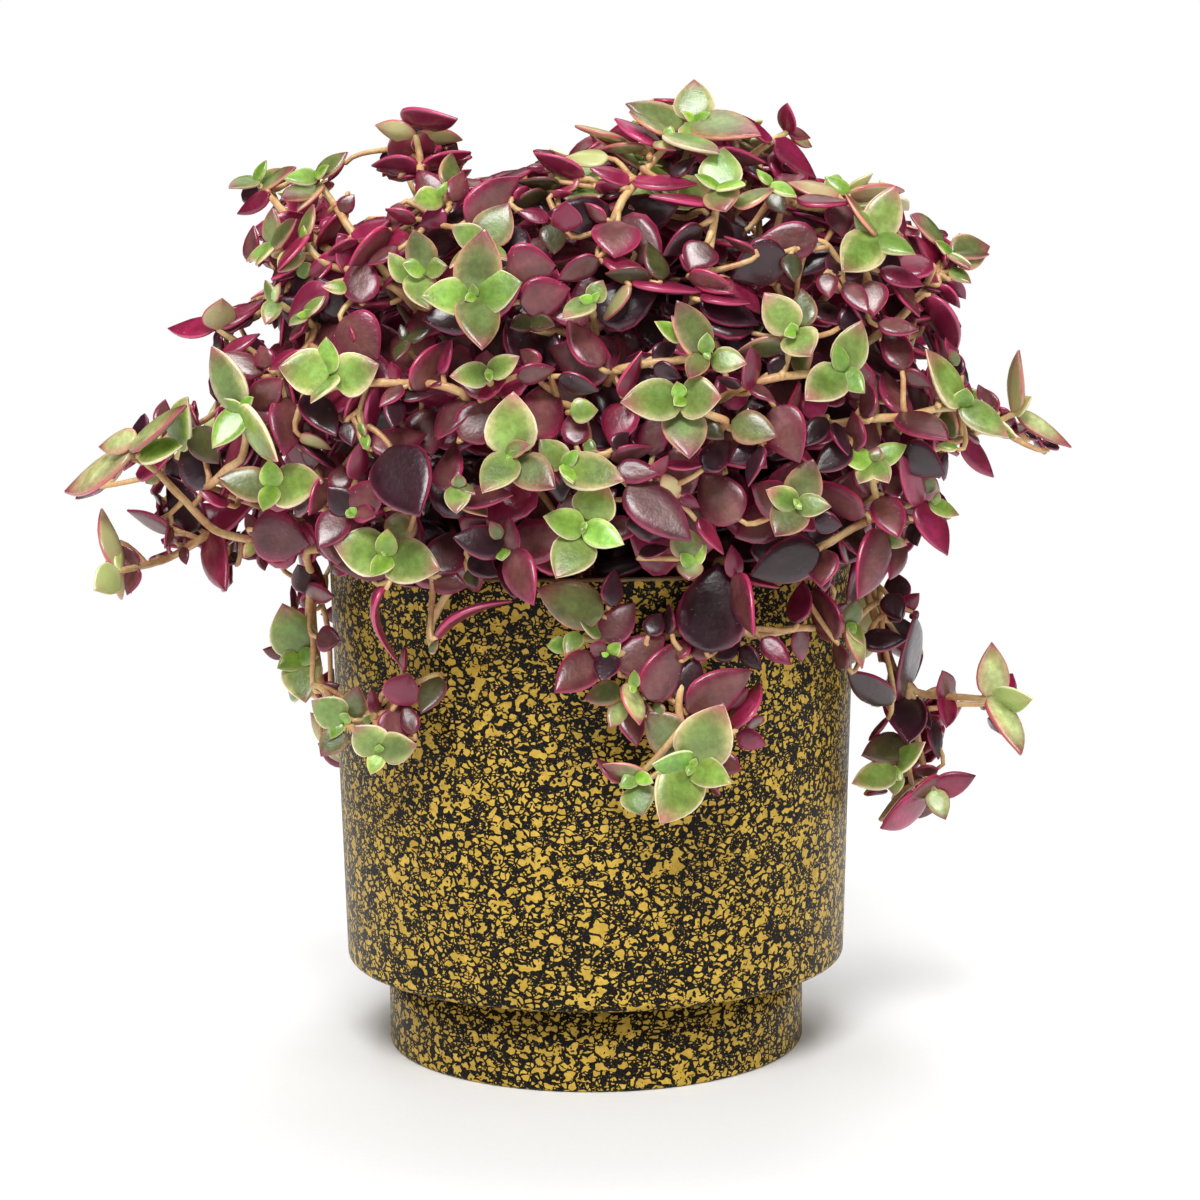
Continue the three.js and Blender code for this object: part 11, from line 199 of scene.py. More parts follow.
     [[-599,690,1345,-612,696,1337,-591,655,1326,-595,650,1318],[-630,680,1373,-627,674,1380,-609,682,1366,-605,686,1364],[-648,610,1283,-627,602,1290,-594,619,1296,-586,631,1298],[-685,570,1280,-694,552,1304,-664,500,1308,-670,488,1314],[-716,570,1307,-710,546,1329,-671,500,1314,-670,488,1314],[-628,380,1027,-568,373,1027,-515,423,1113,-504,452,1124],[-589,430,972,-597,447,951,-588,388,1025,-598,381,1034],[-609,292,1025,-586,301,1004,-590,354,1039,-598,381,1034],[-564,479,1184,-568,468,1172,-523,468,1184,-516,471,1180],[-805,538,1461,-822,504,1434,-768,444,1410,-779,427,1393],[-713,404,1282,-720,427,1307,-668,460,1309,-670,488,1314],[-770,518,1469,-770,529,1454,-787,495,1442,-801,493,1433],[-796,262,1297,-781,321,1299,-789,352,1392,-820,392,1417],[-534,451,1205,-533,467,1218,-484,456,1209,-476,464,1207],[-680,289,1262,-680,333,1290,-678,387,1297,-704,430,1300],[-848,388,1508,-859,374,1486,-831,372,1447,-841,373,1428],[-622,335,1234,-617,352,1253,-656,316,1269,-680,316,1276],[-441,351,1128,-463,325,1126,-373,385,1150,-364,406,1148],[-465,227,1125,-443,283,1121,-366,351,1158,-364,406,1148],[-565,562,1248,-565,559,1236,-543,550,1231,-541,551,1223],[-704,531,1403,-701,552,1380,-679,512,1340,-685,516,1318],[-815,314,1306,-816,309,1296,-792,295,1308,-790,291,1307],[-449,519,1173,-440,500,1161,-463,471,1202,-476,464,1207],[-757,385,1343,-763,364,1342,-775,344,1350,-791,335,1350],[-640,522,1298,-632,532,1298,-625,498,1282,-626,495,1275],[-732,468,1331,-745,465,1330,-731,457,1357,-736,457,1365],[-697,515,1296,-684,525,1288,-654,494,1297,-648,493,1295]],
     [[-796,459,811,-102,82,35,137,96,3,14,5,2],[-796,459,811,111,2,-73,125,75,0,10,5,2],[-733,349,804,52,53,-108,98,59,4,16,5,2],[-733,349,804,66,-39,-63,113,58,6,14,5,2],[-664,266,806,70,54,-84,254,148,5,16,5,2],[-664,266,806,69,-39,-57,179,125,5,16,5,2],[-689,308,693,12,-19,-83,117,83,1,10,5,2],[-688,307,693,152,42,91,112,68,1,10,5,2],[-685,318,695,121,-31,59,39,38,0,10,5,3],[-685,318,695,25,55,-117,23,25,0,10,5,3],[-688,307,693,71,-62,-17,66,61,1,10,5,2],[-606,748,1455,30,3,-79,95,71,0,10,5,2],[-606,748,1455,-170,25,77,81,70,0,10,5,2],[-606,748,1455,54,-37,-48,83,70,1,10,5,2],[-606,748,1455,112,-37,15,83,70,1,10,5,2],[-605,760,1456,-142,65,51,35,39,2,14,5,3],[-995,298,1495,78,47,-21,199,95,3,14,5,2],[-995,298,1495,-178,-36,-56,157,80,3,14,5,2],[-993,310,1495,114,34,-71,73,43,0,10,5,3],[-857,356,1434,-152,-46,-52,127,63,6,14,5,2],[-859,343,1434,-55,17,92,77,47,6,14,5,3],[-655,405,614,15,-20,-52,166,98,6,14,5,2],[-662,415,627,152,23,104,114,72,6,14,5,2],[-683,416,653,8,-15,-62,117,68,4,16,5,2],[-656,425,629,101,-53,20,85,68,3,14,5,3],[-656,425,629,74,64,-163,20,22,1,10,5,3],[-599,690,1345,-26,29,-106,151,91,4,16,5,2],[-630,680,1373,116,-47,26,118,96,4,16,5,2],[-628,380,1027,173,-1,86,105,66,5,16,5,2],[-609,292,1025,-158,41,72,62,49,5,16,5,2],[-685,570,1280,64,-49,-18,121,73,4,16,5,2],[-589,430,972,-65,47,-53,81,48,4,16,5,2],[-648,610,1283,158,-17,83,57,45,1,10,5,2],[-716,570,1307,104,-43,24,66,51,5,16,5,2],[-601,706,1384,32,4,-36,144,107,4,15,1,4],[-611,700,1388,-151,35,35,122,92,6,15,3,4],[-593,640,1301,142,-22,20,94,73,4,15,1,4],[-587,634,1309,-54,57,-7,94,68,4,15,4,4],[-551,557,1234,-136,28,53,109,85,6,15,3,4],[-543,565,1230,56,-18,-48,109,84,4,15,4,4],[-779,426,1386,-136,-45,6,118,108,4,15,1,4],[-776,430,1397,60,78,-21,118,106,4,15,2,4],[-693,473,1335,-78,19,55,108,85,5,15,7,4],[-698,484,1333,139,9,-52,108,83,4,15,1,4],[-601,496,1260,38,66,-34,143,121,4,15,0,4],[-609,493,1252,-167,-27,15,143,128,5,15,0,4],[-564,479,1184,72,45,-152,76,66,4,15,9,4],[-805,538,1461,63,36,-47,126,95,4,15,8,4],[-713,404,1282,-73,-45,84,134,97,4,15,1,4],[-770,518,1469,-91,54,39,88,78,4,15,4,4],[-796,262,1297,-104,-2,57,141,108,4,15,5,4],[-534,451,1205,-92,-41,41,74,56,4,15,4,4],[-680,289,1262,-89,-32,103,114,86,4,15,8,4],[-848,388,1508,52,51,-56,117,105,5,15,2,4],[-622,335,1234,-107,-47,55,144,124,4,15,10,4],[-441,351,1128,50,3,-78,97,67,4,15,6,4],[-465,227,1125,-111,3,76,115,98,4,15,8,4],[-565,562,1248,95,80,-91,53,42,4,15,3,4],[-704,531,1403,-97,46,87,102,80,4,15,5,4],[-815,314,1306,77,64,-48,102,74,6,15,7,4],[-449,519,1173,116,29,-92,116,79,4,15,3,4],[-757,385,1343,73,4,-45,75,65,5,15,10,4],[-640,522,1298,-129,-2,62,70,55,4,15,9,4],[-732,468,1331,13,3,-21,65,51,6,15,4,4],[-697,515,1296,-141,25,48,71,61,4,15,2,4]]),
    ("shoot_rear_02",
     [[-215,750,799,-198,728,874,-188,715,910,-176,698,944,-173,693,963,-169,674,1072,-160,654,1190,-152,624,1229,-144,594,1227,-136,564,1229,-114,481,1134,-101,433,1070],[-98,740,776,-154,730,832,-197,727,878],[-210,820,1257,-160,654,1190]],
     [[-175,690,1081,-175,700,1058,-164,660,1135,-163,662,1146],[-219,680,1034,-192,682,1026,-179,671,1087,-170,681,1097],[-192,690,1024,-186,702,1013,-183,674,1064,-182,677,1071],[-273,660,1020,-252,673,1003,-210,664,1047,-195,679,1046],[-142,747,1207,-147,748,1190,-167,711,1213,-177,709,1212],[-201,687,1262,-179,696,1281,-161,629,1239,-153,626,1227],[-186,695,1242,-194,694,1248,-179,673,1258,-178,672,1262]],
     [[-215,738,797,164,66,101,158,175,1,10,5,2],[-215,738,797,41,-47,-56,155,152,1,10,5,2],[-227,730,800,30,7,-93,122,90,0,10,5,2],[-215,738,797,139,-16,76,116,94,0,10,5,2],[-215,750,799,136,56,123,26,26,0,10,5,3],[-215,750,799,54,-42,-41,31,30,0,10,5,3],[-210,808,1256,-13,70,-70,77,86,2,14,5,2],[-206,800,1247,176,41,93,56,63,0,10,5,2],[-212,812,1239,20,50,-96,40,41,0,10,5,3],[-210,800,1247,81,-50,-9,55,62,3,14,5,2],[-115,720,770,9,23,-67,102,61,2,14,5,2],[-98,728,774,21,-28,-79,51,49,0,10,5,2],[-98,740,776,137,-16,72,52,44,0,10,5,3],[-91,720,751,120,-55,38,74,82,1,10,5,2],[-219,680,1034,-177,15,83,59,52,4,16,5,2],[-192,690,1024,-117,37,37,64,40,4,16,5,2],[-273,660,1020,-148,35,69,78,63,5,16,5,2],[-175,690,1081,-91,66,-33,69,42,5,16,5,2],[-186,742,1218,92,-43,-15,140,103,4,15,3,4],[-187,737,1229,-175,79,97,140,116,4,15,1,4],[-142,747,1207,-21,74,-47,58,40,4,15,5,4],[-201,687,1262,-158,-39,73,142,115,4,15,8,4],[-186,695,1242,8,-36,-70,55,39,6,15,1,4]]),
    ("shoot_rear_03",
     [[-32,770,1041,-37,672,1199,-38,643,1225,-42,588,1229,-48,540,1150,-55,498,1070],[-90,770,973,-33,750,1074],[26,740,1082,15,724,1117,-2,696,1146,-36,691,1169],[-49,862,1494,-38,747,1306,-37,672,1199]],
     [[-22,710,1124,-30,711,1121,-32,703,1143,-35,705,1146],[-56,850,1446,-41,848,1448,-46,819,1426,-44,817,1419],[-41,830,1475,-31,830,1471,-44,827,1452,-45,832,1444],[-46,850,1488,-35,858,1478,-45,830,1455,-45,832,1444],[-79,850,1412,-67,846,1423,-52,818,1418,-44,817,1419],[-26,710,1069,-14,717,1057,-32,712,1111,-34,722,1120],[-129,850,1428,-118,837,1411,-77,828,1422,-62,834,1419],[-122,710,1079,-104,727,1056,-54,706,1117,-34,722,1120],[-157,850,1451,-133,849,1454,-111,829,1427,-98,835,1418],[-180,840,1385,-195,833,1359,-116,824,1411,-98,835,1418],[-188,840,1389,-179,842,1395,-164,829,1388,-157,831,1386],[-223,820,1337,-206,820,1361,-170,817,1376,-157,831,1386],[-60,710,1003,-38,720,986,-88,705,1066,-99,717,1078],[-235,840,1444,-214,857,1424,-172,820,1401,-157,831,1386],[-104,780,1259,-74,782,1252,-52,725,1271,-37,723,1271],[-73,710,970,-63,681,1004,-36,698,1073,-26,715,1092],[-60,710,961,-71,706,964,-64,697,989,-66,698,994],[-64,710,931,-74,698,946,-64,694,984,-66,698,994],[-73,690,923,-68,676,943,-67,688,983,-66,698,994],[-131,680,957,-114,666,973,-80,685,991,-66,698,994],[-114,710,904,-121,727,880,-77,683,963,-67,687,971],[-152,700,902,-159,709,887,-112,698,921,-100,706,920],[-205,690,916,-181,696,903,-144,691,917,-128,703,908],[-236,680,885,-247,691,869,-191,683,910,-179,693,910],[-59,710,756,-103,726,720,-88,689,897,-100,706,920],[-292,660,920,-267,665,902,-226,671,909,-210,687,895],[-321,642,861,-307,656,842,-274,652,904,-264,665,909],[-320,640,849,-291,639,858,-274,651,902,-264,665,909],[-281,660,797,-259,652,808,-289,640,856,-296,643,866],[-33,731,1255,-32,738,1268,-36,732,1287,-38,740,1295],[-79,764,1285,-72,770,1299,-48,738,1294,-38,740,1295],[-46,663,1170,-46,666,1160,-38,680,1171,-36,691,1169],[-176,850,1460,-162,860,1450,-136,835,1445,-125,841,1440],[-246,821,1428,-267,802,1419,-210,808,1375,-203,820,1357],[-7,763,1232,15,762,1229,-30,724,1264,-37,723,1271],[5,764,1196,-8,760,1170,-6,700,1167,-10,695,1152]],
     [[-8,750,1037,34,-31,-69,133,117,4,16,5,2],[-39,762,1042,72,-41,-20,83,82,5,16,5,3],[-39,762,1047,154,44,101,40,41,0,10,5,3],[-26,762,1051,26,27,-103,43,48,4,16,5,3],[-32,770,1041,25,33,-94,20,21,0,10,5,3],[-90,758,972,-177,87,86,41,35,0,10,5,2],[-90,770,973,47,-25,-67,21,24,0,10,5,3],[57,720,1062,13,-1,-90,44,50,0,10,5,2],[31,720,1086,46,-46,-45,62,59,1,10,5,2],[-17,720,1077,5,34,-87,60,38,1,10,5,2],[-54,862,1493,-179,-6,39,111,96,1,12,5,2],[-44,863,1495,10,16,-41,124,106,1,12,5,2],[-51,864,1504,-103,58,21,65,51,0,12,5,3],[-51,872,1498,91,-19,-12,64,57,0,12,5,3],[-48,874,1509,37,39,-54,38,30,0,12,5,3],[-58,873,1507,159,20,42,37,29,0,12,5,3],[-56,850,1446,172,-9,78,92,77,4,16,5,2],[-46,850,1488,-142,38,77,54,59,5,16,5,2],[-129,850,1428,132,44,-37,68,48,6,14,5,2],[-157,850,1451,178,-6,-44,78,37,6,14,5,2],[-79,850,1412,159,-43,64,183,137,8,16,5,2],[-180,840,1385,24,58,83,63,65,3,14,5,2],[-235,840,1444,-141,36,56,94,88,5,16,5,2],[-188,840,1389,-170,-31,-73,50,41,6,14,5,2],[-22,710,1124,-8,21,-76,155,141,2,14,5,2],[-26,710,1069,-148,43,57,112,100,4,16,5,2],[-60,710,961,20,-12,-79,88,77,2,14,5,2],[-73,710,970,108,-48,-13,110,66,3,14,5,2],[-205,690,916,-166,27,79,171,128,4,16,5,2],[-321,642,861,-133,42,13,138,78,6,14,5,2],[-60,710,1003,-155,35,67,129,117,4,16,5,2],[-320,640,849,178,-17,93,70,62,6,14,5,2],[-41,830,1475,178,17,114,93,56,4,16,5,2],[-104,780,1259,-177,13,87,66,40,5,16,5,2],[-223,820,1337,178,-54,59,94,46,6,14,5,2],[-59,710,756,-20,37,-54,76,46,4,16,5,2],[-64,710,931,51,-45,-46,70,64,3,14,5,2],[-236,680,885,-45,46,-46,61,58,4,16,5,2],[-281,660,797,160,-26,81,54,61,4,16,5,2],[-292,660,920,-169,35,97,64,57,4,16,5,2],[-131,680,957,140,-37,56,43,41,3,14,5,2],[-114,710,904,-68,52,-30,46,34,5,16,5,2],[-73,690,923,110,-54,22,106,75,4,16,5,2],[-152,700,902,-50,53,-56,39,40,2,14,5,2],[-122,710,1079,-136,43,48,63,64,5,16,5,2],[-49,815,1417,176,27,36,124,113,4,15,2,4],[-38,815,1418,-1,15,-32,124,97,4,15,3,4],[-40,755,1329,-105,43,10,102,74,4,15,3,4],[-38,765,1323,80,-17,-7,102,90,5,15,8,4],[-31,705,1246,5,17,-37,116,90,4,15,1,4],[-43,706,1245,164,12,36,116,101,4,15,6,4],[-33,731,1255,-95,-63,-177,56,48,4,15,6,4],[-79,764,1285,-138,-55,98,123,89,4,15,2,4],[-46,663,1170,-105,74,11,64,56,4,15,4,4],[-176,850,1460,-143,32,96,58,43,5,15,3,4],[-246,821,1428,42,17,-77,68,51,4,15,9,4],[-7,763,1232,176,6,40,80,71,5,15,7,4],[5,764,1196,20,61,-149,109,84,6,15,1,4]]),
    ("shoot_rear_04",
     [[-586,480,1079,-513,512,1086,-451,539,1096,-393,566,1113,-367,577,1125,-345,587,1141,-328,594,1160,-314,598,1182,-302,601,1205,-284,583,1226,-267,563,1229,-252,544,1224,-239,525,1189,-227,508,1150,-208,477,1070]],
     [[-378,610,1058,-358,602,1074,-365,577,1114,-368,577,1125],[-331,640,1044,-312,625,1061,-351,590,1093,-365,587,1101],[-314,680,1202,-316,674,1174,-306,609,1197,-310,599,1190],[-320,680,1207,-313,660,1230,-295,604,1216,-295,594,1214],[-462,560,1088,-455,579,1058,-381,579,1088,-366,599,1078],[-305,594,1166,-318,585,1162,-332,583,1151,-344,587,1142]],
     [[-587,468,1078,163,73,126,63,56,2,14,5,2],[-587,468,1078,125,-69,-4,110,68,3,14,5,2],[-586,480,1079,118,-46,22,35,28,0,10,5,3],[-586,480,1079,141,-56,32,59,35,1,10,5,3],[-462,534,1076,-107,-65,-4,86,52,4,16,5,2],[-320,680,1207,109,-48,62,166,97,4,16,5,2],[-314,680,1202,70,77,35,78,55,6,14,5,2],[-462,560,1088,-112,57,21,107,68,6,14,5,2],[-378,610,1058,158,-37,71,88,65,6,14,5,2],[-331,640,1044,142,-35,67,75,51,5,16,5,2],[-305,594,1166,35,13,-64,86,61,4,15,4,4]]),
    ("shoot_rear_05",
     [[353,660,1043,331,639,1097,317,631,1124,274,615,1202,251,588,1229,227,563,1229,178,515,1182,129,473,1129,83,435,1070],[477,600,816,438,610,885,359,645,1029,342,649,1070],[567,490,869,509,523,913,455,561,958,429,582,982,373,623,1042,342,649,1070],[439,780,1264,362,696,1228,335,668,1219,274,615,1202],[188,840,1287,234,718,1235,259,650,1211,274,615,1202],[276,860,1413,277,650,1234,274,615,1202]],
     [[350,670,1207,362,668,1210,324,653,1214,319,653,1215],[331,690,1215,334,698,1205,320,658,1217,319,653,1215],[268,720,1223,275,715,1233,248,693,1226,244,691,1225],[261,750,1251,275,744,1258,239,719,1240,235,716,1234],[306,820,1403,309,829,1392,281,811,1382,275,815,1375],[425,740,1295,434,749,1280,403,731,1259,401,737,1245],[338,640,978,319,608,1013,315,618,1098,319,632,1121],[448,570,1173,454,566,1231,319,600,1209,297,634,1208],[451,570,943,496,555,963,348,599,1001,329,627,1003],[443,570,915,465,552,869,346,598,996,329,627,1003],[399,600,852,378,628,804,335,604,982,329,627,1003],[492,530,892,488,519,868,438,553,916,429,570,915],[454,560,832,457,576,807,429,560,903,429,570,915],[527,500,870,574,512,859,457,542,953,450,570,963],[543,499,1190,520,465,1168,447,542,1203,434,572,1199],[559,523,1218,551,546,1227,500,503,1198,491,507,1187],[191,827,1368,223,818,1385,251,769,1346,275,771,1336],[537,507,1208,546,499,1210,518,493,1191,517,493,1183],[455,567,1204,459,562,1201,450,550,1200,450,548,1197],[462,591,1233,450,599,1242,437,572,1210,434,572,1199],[420,540,1167,438,532,1166,452,523,1189,470,526,1192],[173,832,1440,192,829,1462,202,806,1389,215,814,1371],[192,780,1395,211,777,1397,222,784,1372,235,796,1363],[420,618,1244,404,627,1240,406,583,1221,407,580,1209],[207,757,1397,218,755,1396,213,772,1386,217,783,1382]],
     [[441,768,1263,15,10,-87,117,131,1,10,5,2],[441,768,1263,156,-14,79,139,140,1,10,5,2],[439,780,1264,120,75,146,65,66,0,10,5,3],[432,772,1263,58,-35,-36,82,64,0,10,5,3],[439,780,1264,39,31,-107,20,15,0,10,5,3],[439,780,1264,154,25,90,20,15,0,10,5,3],[479,588,814,22,49,-110,85,95,1,10,5,2],[479,588,814,163,12,89,95,98,1,10,5,2],[480,580,808,53,-62,-39,58,53,0,10,5,2],[477,600,816,97,64,172,20,22,0,10,5,3],[189,828,1286,15,9,-87,110,106,5,16,5,2],[168,820,1273,127,-48,37,143,107,4,16,5,2],[172,820,1264,178,86,91,85,64,4,16,5,2],[193,832,1303,28,55,-104,45,45,2,14,5,3],[187,832,1276,92,-43,3,35,39,0,10,5,3],[277,848,1412,84,-50,-6,77,79,1,10,5,2],[276,860,1413,96,82,174,30,33,2,14,5,3],[277,848,1412,144,-27,64,49,36,2,14,5,2],[269,806,1383,155,1,77,121,72,4,16,5,2],[271,781,1382,132,-27,54,89,65,2,14,5,2],[354,648,1041,166,55,95,33,23,2,14,5,2],[569,478,867,6,36,-97,89,100,1,10,5,2],[577,470,870,35,-59,-45,57,45,0,10,5,2],[567,490,869,130,45,121,29,33,0,10,5,3],[577,470,843,25,-52,-57,79,79,2,14,5,2],[559,462,855,134,67,121,103,89,2,14,5,2],[306,820,1403,-104,51,4,121,82,4,16,5,2],[425,740,1295,-134,50,49,81,91,3,14,5,2],[331,690,1215,-110,50,22,118,124,4,16,5,2],[350,670,1207,169,-13,82,84,81,4,16,5,2],[448,570,1173,149,-82,-67,187,95,6,14,5,2],[454,560,832,-99,58,13,89,99,4,16,5,2],[451,570,943,162,-23,79,53,46,5,16,5,2],[527,500,870,-166,12,91,28,28,1,10,5,2],[399,600,852,-53,54,-43,77,56,4,16,5,2],[443,570,915,141,58,-48,85,95,6,14,5,2],[492,530,892,72,64,29,60,46,6,14,5,2],[338,640,978,60,-44,-31,104,69,7,14,5,2],[261,750,1251,157,-26,70,80,71,5,16,5,2],[268,720,1223,142,-50,55,44,46,7,14,5,2],[385,715,1231,7,-39,-41,133,91,6,15,5,4],[378,718,1241,156,55,64,133,97,5,15,1,4],[311,652,1210,116,-34,72,144,127,5,15,8,4],[317,644,1215,-31,20,-84,144,104,4,15,1,4],[224,765,1251,37,-3,-66,109,92,5,15,2,4],[213,760,1253,-165,12,69,109,97,4,15,1,4],[249,670,1212,141,-40,33,146,134,4,15,0,4],[251,667,1223,-178,76,103,146,113,4,15,8,4],[273,760,1320,115,-25,20,118,91,4,15,8,4],[278,753,1328,-28,66,-48,118,80,4,15,8,4],[283,675,1253,13,-1,-50,133,93,4,15,3,4],[543,499,1190,56,27,-64,133,108,5,15,3,4],[559,523,1218,-70,-20,-62,102,76,4,15,4,4],[191,827,1368,165,-28,68,129,95,6,15,5,4],[537,507,1208,138,-11,32,53,39,6,15,6,4],[455,567,1204,132,23,67,55,38,4,15,7,4],[462,591,1233,-36,-31,-78,102,81,4,15,8,4],[420,540,1167,155,5,60,108,74,4,15,7,4],[173,832,1440,170,-49,63,55,50,6,15,0,4],[192,780,1395,171,-8,155,117,89,5,15,6,4],[420,618,1244,-31,14,-65,77,70,4,15,5,4],[207,757,1397,169,4,68,110,86,6,15,8,4]]),
    ("shoot_crown_01",
     [[177,-464,2176,166,-387,2157,161,-350,2153,148,-246,2114,133,-121,2033,127,-112,1995,121,-90,1955,117,-56,1913,114,-5,1869,112,63,1821,109,88,1776,112,73,1735,114,17,1696,117,-18,1653,120,-34,1614,122,-30,1572,125,-8,1528,128,-30,1488,131,-38,1445,135,-81,1406,138,-114,1365,141,-134,1323,145,-145,1280,148,-145,1236,151,-138,1192,154,-186,1152,157,-229,1111,159,-265,1070],[76,-268,2144,87,-243,2071,89,-236,2058,94,-174,2014,101,-129,1967,107,-73,1919,114,-5,1869]],
     [[-29,-215,2119,-51,-240,2069,67,-154,1992,98,-147,1986],[-97,-325,2098,-100,-289,2124,-43,-235,2075,-28,-218,2090],[-5,-323,2115,-34,-314,2109,-54,-275,2091,-71,-267,2099],[-58,-241,2121,-67,-250,2118,-67,-259,2099,-71,-267,2099]],
     [[179,-462,2188,98,19,8,119,104,1,12,5,0],[179,-470,2181,-80,-5,-8,101,85,1,12,5,0],[175,-468,2191,-165,27,-13,74,67,0,12,5,1],[184,-467,2196,7,12,12,72,60,0,12,5,1],[182,-473,2198,-75,28,-9,32,28,0,12,5,1],[182,-468,2204,91,51,12,29,25,0,12,5,1],[70,-272,2157,177,-1,-17,99,81,1,12,5,2],[78,-272,2158,-7,14,17,93,83,1,12,5,2],[73,-278,2159,-95,3,7,61,50,0,12,5,3],[73,-272,2167,91,37,-9,58,52,0,12,5,3],[77,-276,2170,-20,45,24,30,26,0,12,5,3],[70,-277,2173,-172,31,-20,27,25,0,12,5,3],[80,-255,2090,-145,-9,-9,146,128,4,12,5,2],[87,-250,2093,33,23,9,130,106,4,12,5,2],[162,-386,2159,-157,-35,-71,99,86,4,15,8,4],[169,-383,2166,9,58,82,117,81,6,15,6,4],[154,-268,2124,-11,31,80,136,110,6,15,9,4],[148,-269,2123,-146,5,-69,92,76,6,15,1,4],[138,-171,2070,84,71,11,122,87,4,15,3,4],[137,-176,2063,-110,-30,-24,122,90,6,15,9,4],[122,-106,1986,-180,31,-30,104,78,5,15,7,4],[128,-108,1984,-39,6,19,104,75,5,15,3,4],[113,-38,1891,-127,-36,-29,116,87,6,15,3,4],[115,-32,1898,110,61,-13,116,83,4,15,4,4],[115,59,1821,-52,-14,15,130,105,5,15,3,4],[109,63,1823,-176,33,-33,130,109,5,15,10,4],[109,50,1724,-175,52,65,127,115,6,15,5,4],[115,56,1716,62,-40,-25,127,88,6,15,10,4],[122,-24,1650,-32,40,-18,112,89,4,15,1,4],[113,-16,1646,138,-10,14,112,89,5,15,6,4],[120,-17,1544,-165,6,-26,121,85,4,15,2,4],[127,-15,1546,18,36,26,121,106,6,15,5,4],[131,-35,1439,97,-21,2,106,87,5,15,4,4],[136,-42,1447,-27,38,-39,106,74,5,15,9,4],[136,-111,1378,-114,48,19,150,118,5,15,4,4],[142,-103,1372,33,-14,-34,150,105,4,15,7,4],[151,-142,1268,31,17,-3,143,128,5,15,2,4],[140,-144,1267,170,8,0,143,105,5,15,3,4],[151,-172,1171,-127,64,32,91,71,5,15,4,4],[89,-209,2044,157,54,-55,149,126,5,15,3,4],[104,-119,1964,37,51,34,97,88,4,15,0,4],[97,-124,1958,-153,-28,-40,143,102,4,15,7,4],[-31,-219,2122,50,56,21,111,77,4,15,9,4],[-96,-329,2103,-84,-35,-1,112,94,5,15,10,4],[-5,-323,2115,-18,10,2,95,84,5,15,5,4],[-58,-241,2121,42,15,-7,66,48,5,15,2,4]]),
    ("shoot_crown_02",
     [[31,571,2202,6,479,2100,2,467,2084,-3,438,2040,-11,394,1960,-14,375,1918,-16,359,1876,-20,334,1791,-21,324,1747,-21,311,1659,-19,301,1524,-14,302,1343,-6,311,1070],[64,454,2125,57,437,2090,50,430,2072,24,412,2021,-11,394,1960],[29,210,2151,31,215,2112,27,230,2076,10,279,1991,-16,359,1876],[-153,366,2162,-117,368,2113,-68,378,2043,-11,394,1960],[-22,745,2091,-11,667,2106,16,515,2142],[195,457,2182,85,478,2135,45,483,2124,9,488,2111],[-53,418,2183,1,464,2080]],
     [[-43,650,2114,-58,651,2114,-14,630,2110,-4,629,2115],[11,690,2068,-5,684,2060,-4,660,2092,-9,658,2108],[18,700,2063,-3,710,2070,-3,661,2090,-9,658,2108],[-14,710,2047,2,710,2048,-4,684,2069,-1,682,2083],[61,700,2059,35,699,2057,12,670,2068,-4,671,2081],[78,720,2030,98,718,2029,46,692,2047,37,692,2061],[93,690,2043,74,687,2051,50,685,2050,37,692,2061],[93,670,2092,66,664,2089,34,668,2066,16,679,2068],[82,750,1979,54,744,1974,66,704,2020,63,702,2043],[-81,550,2151,-121,537,2134,-15,480,2091,4,473,2091],[78,760,1961,79,748,1994,65,704,2014,63,702,2043],[163,720,2024,188,736,2003,85,695,2028,63,702,2043],[-81,600,2154,-104,599,2146,-84,542,2130,-86,532,2133],[-320,229,2137,-274,267,2134,-155,326,2092,-117,368,2112],[-28,182,2122,-15,211,2120,13,218,2071,25,234,2072],[-334,200,2146,-314,201,2155,-301,233,2129,-295,247,2134],[-278,322,2116,-259,325,2129,-229,299,2108,-217,296,2117],[-249,109,2134,-254,160,2129,-276,210,2113,-295,247,2134],[-271,154,2148,-271,160,2155,-262,163,2128,-261,167,2126],[-95,304,2206,-66,286,2229,-126,331,2116,-140,347,2107],[-152,243,2102,-150,271,2093,-198,279,2101,-217,296,2117],[-58,251,2123,-45,276,2120,-9,222,2085,6,218,2088],[-267,189,2120,-278,186,2115,-277,212,2119,-283,222,2125],[164,714,1967,169,702,1981,149,711,2000,146,719,2018],[226,731,1864,182,742,1889,168,696,1950,157,710,1993],[-105,281,2191,-96,279,2193,-96,299,2183,-94,306,2186],[187,514,2100,173,489,2090,151,471,2134,143,466,2159],[-126,314,2199,-142,315,2196,-111,314,2161,-107,318,2157],[-228,340,2073,-207,344,2077,-197,315,2094,-191,312,2112],[247,741,1927,227,733,1935,199,720,1908,186,724,1908],[-331,281,2152,-334,263,2155,-301,253,2131,-295,247,2134],[-263,261,2086,-269,235,2087,-265,207,2104,-271,195,2124],[115,188,1997,114,228,1972,33,249,1977,11,276,1995],[-324,246,2145,-316,243,2152,-300,246,2132,-295,247,2134],[-285,207,2087,-281,219,2088,-269,227,2086,-266,235,2092],[-212,408,2051,-225,380,2052,-202,342,2068,-204,329,2088]],
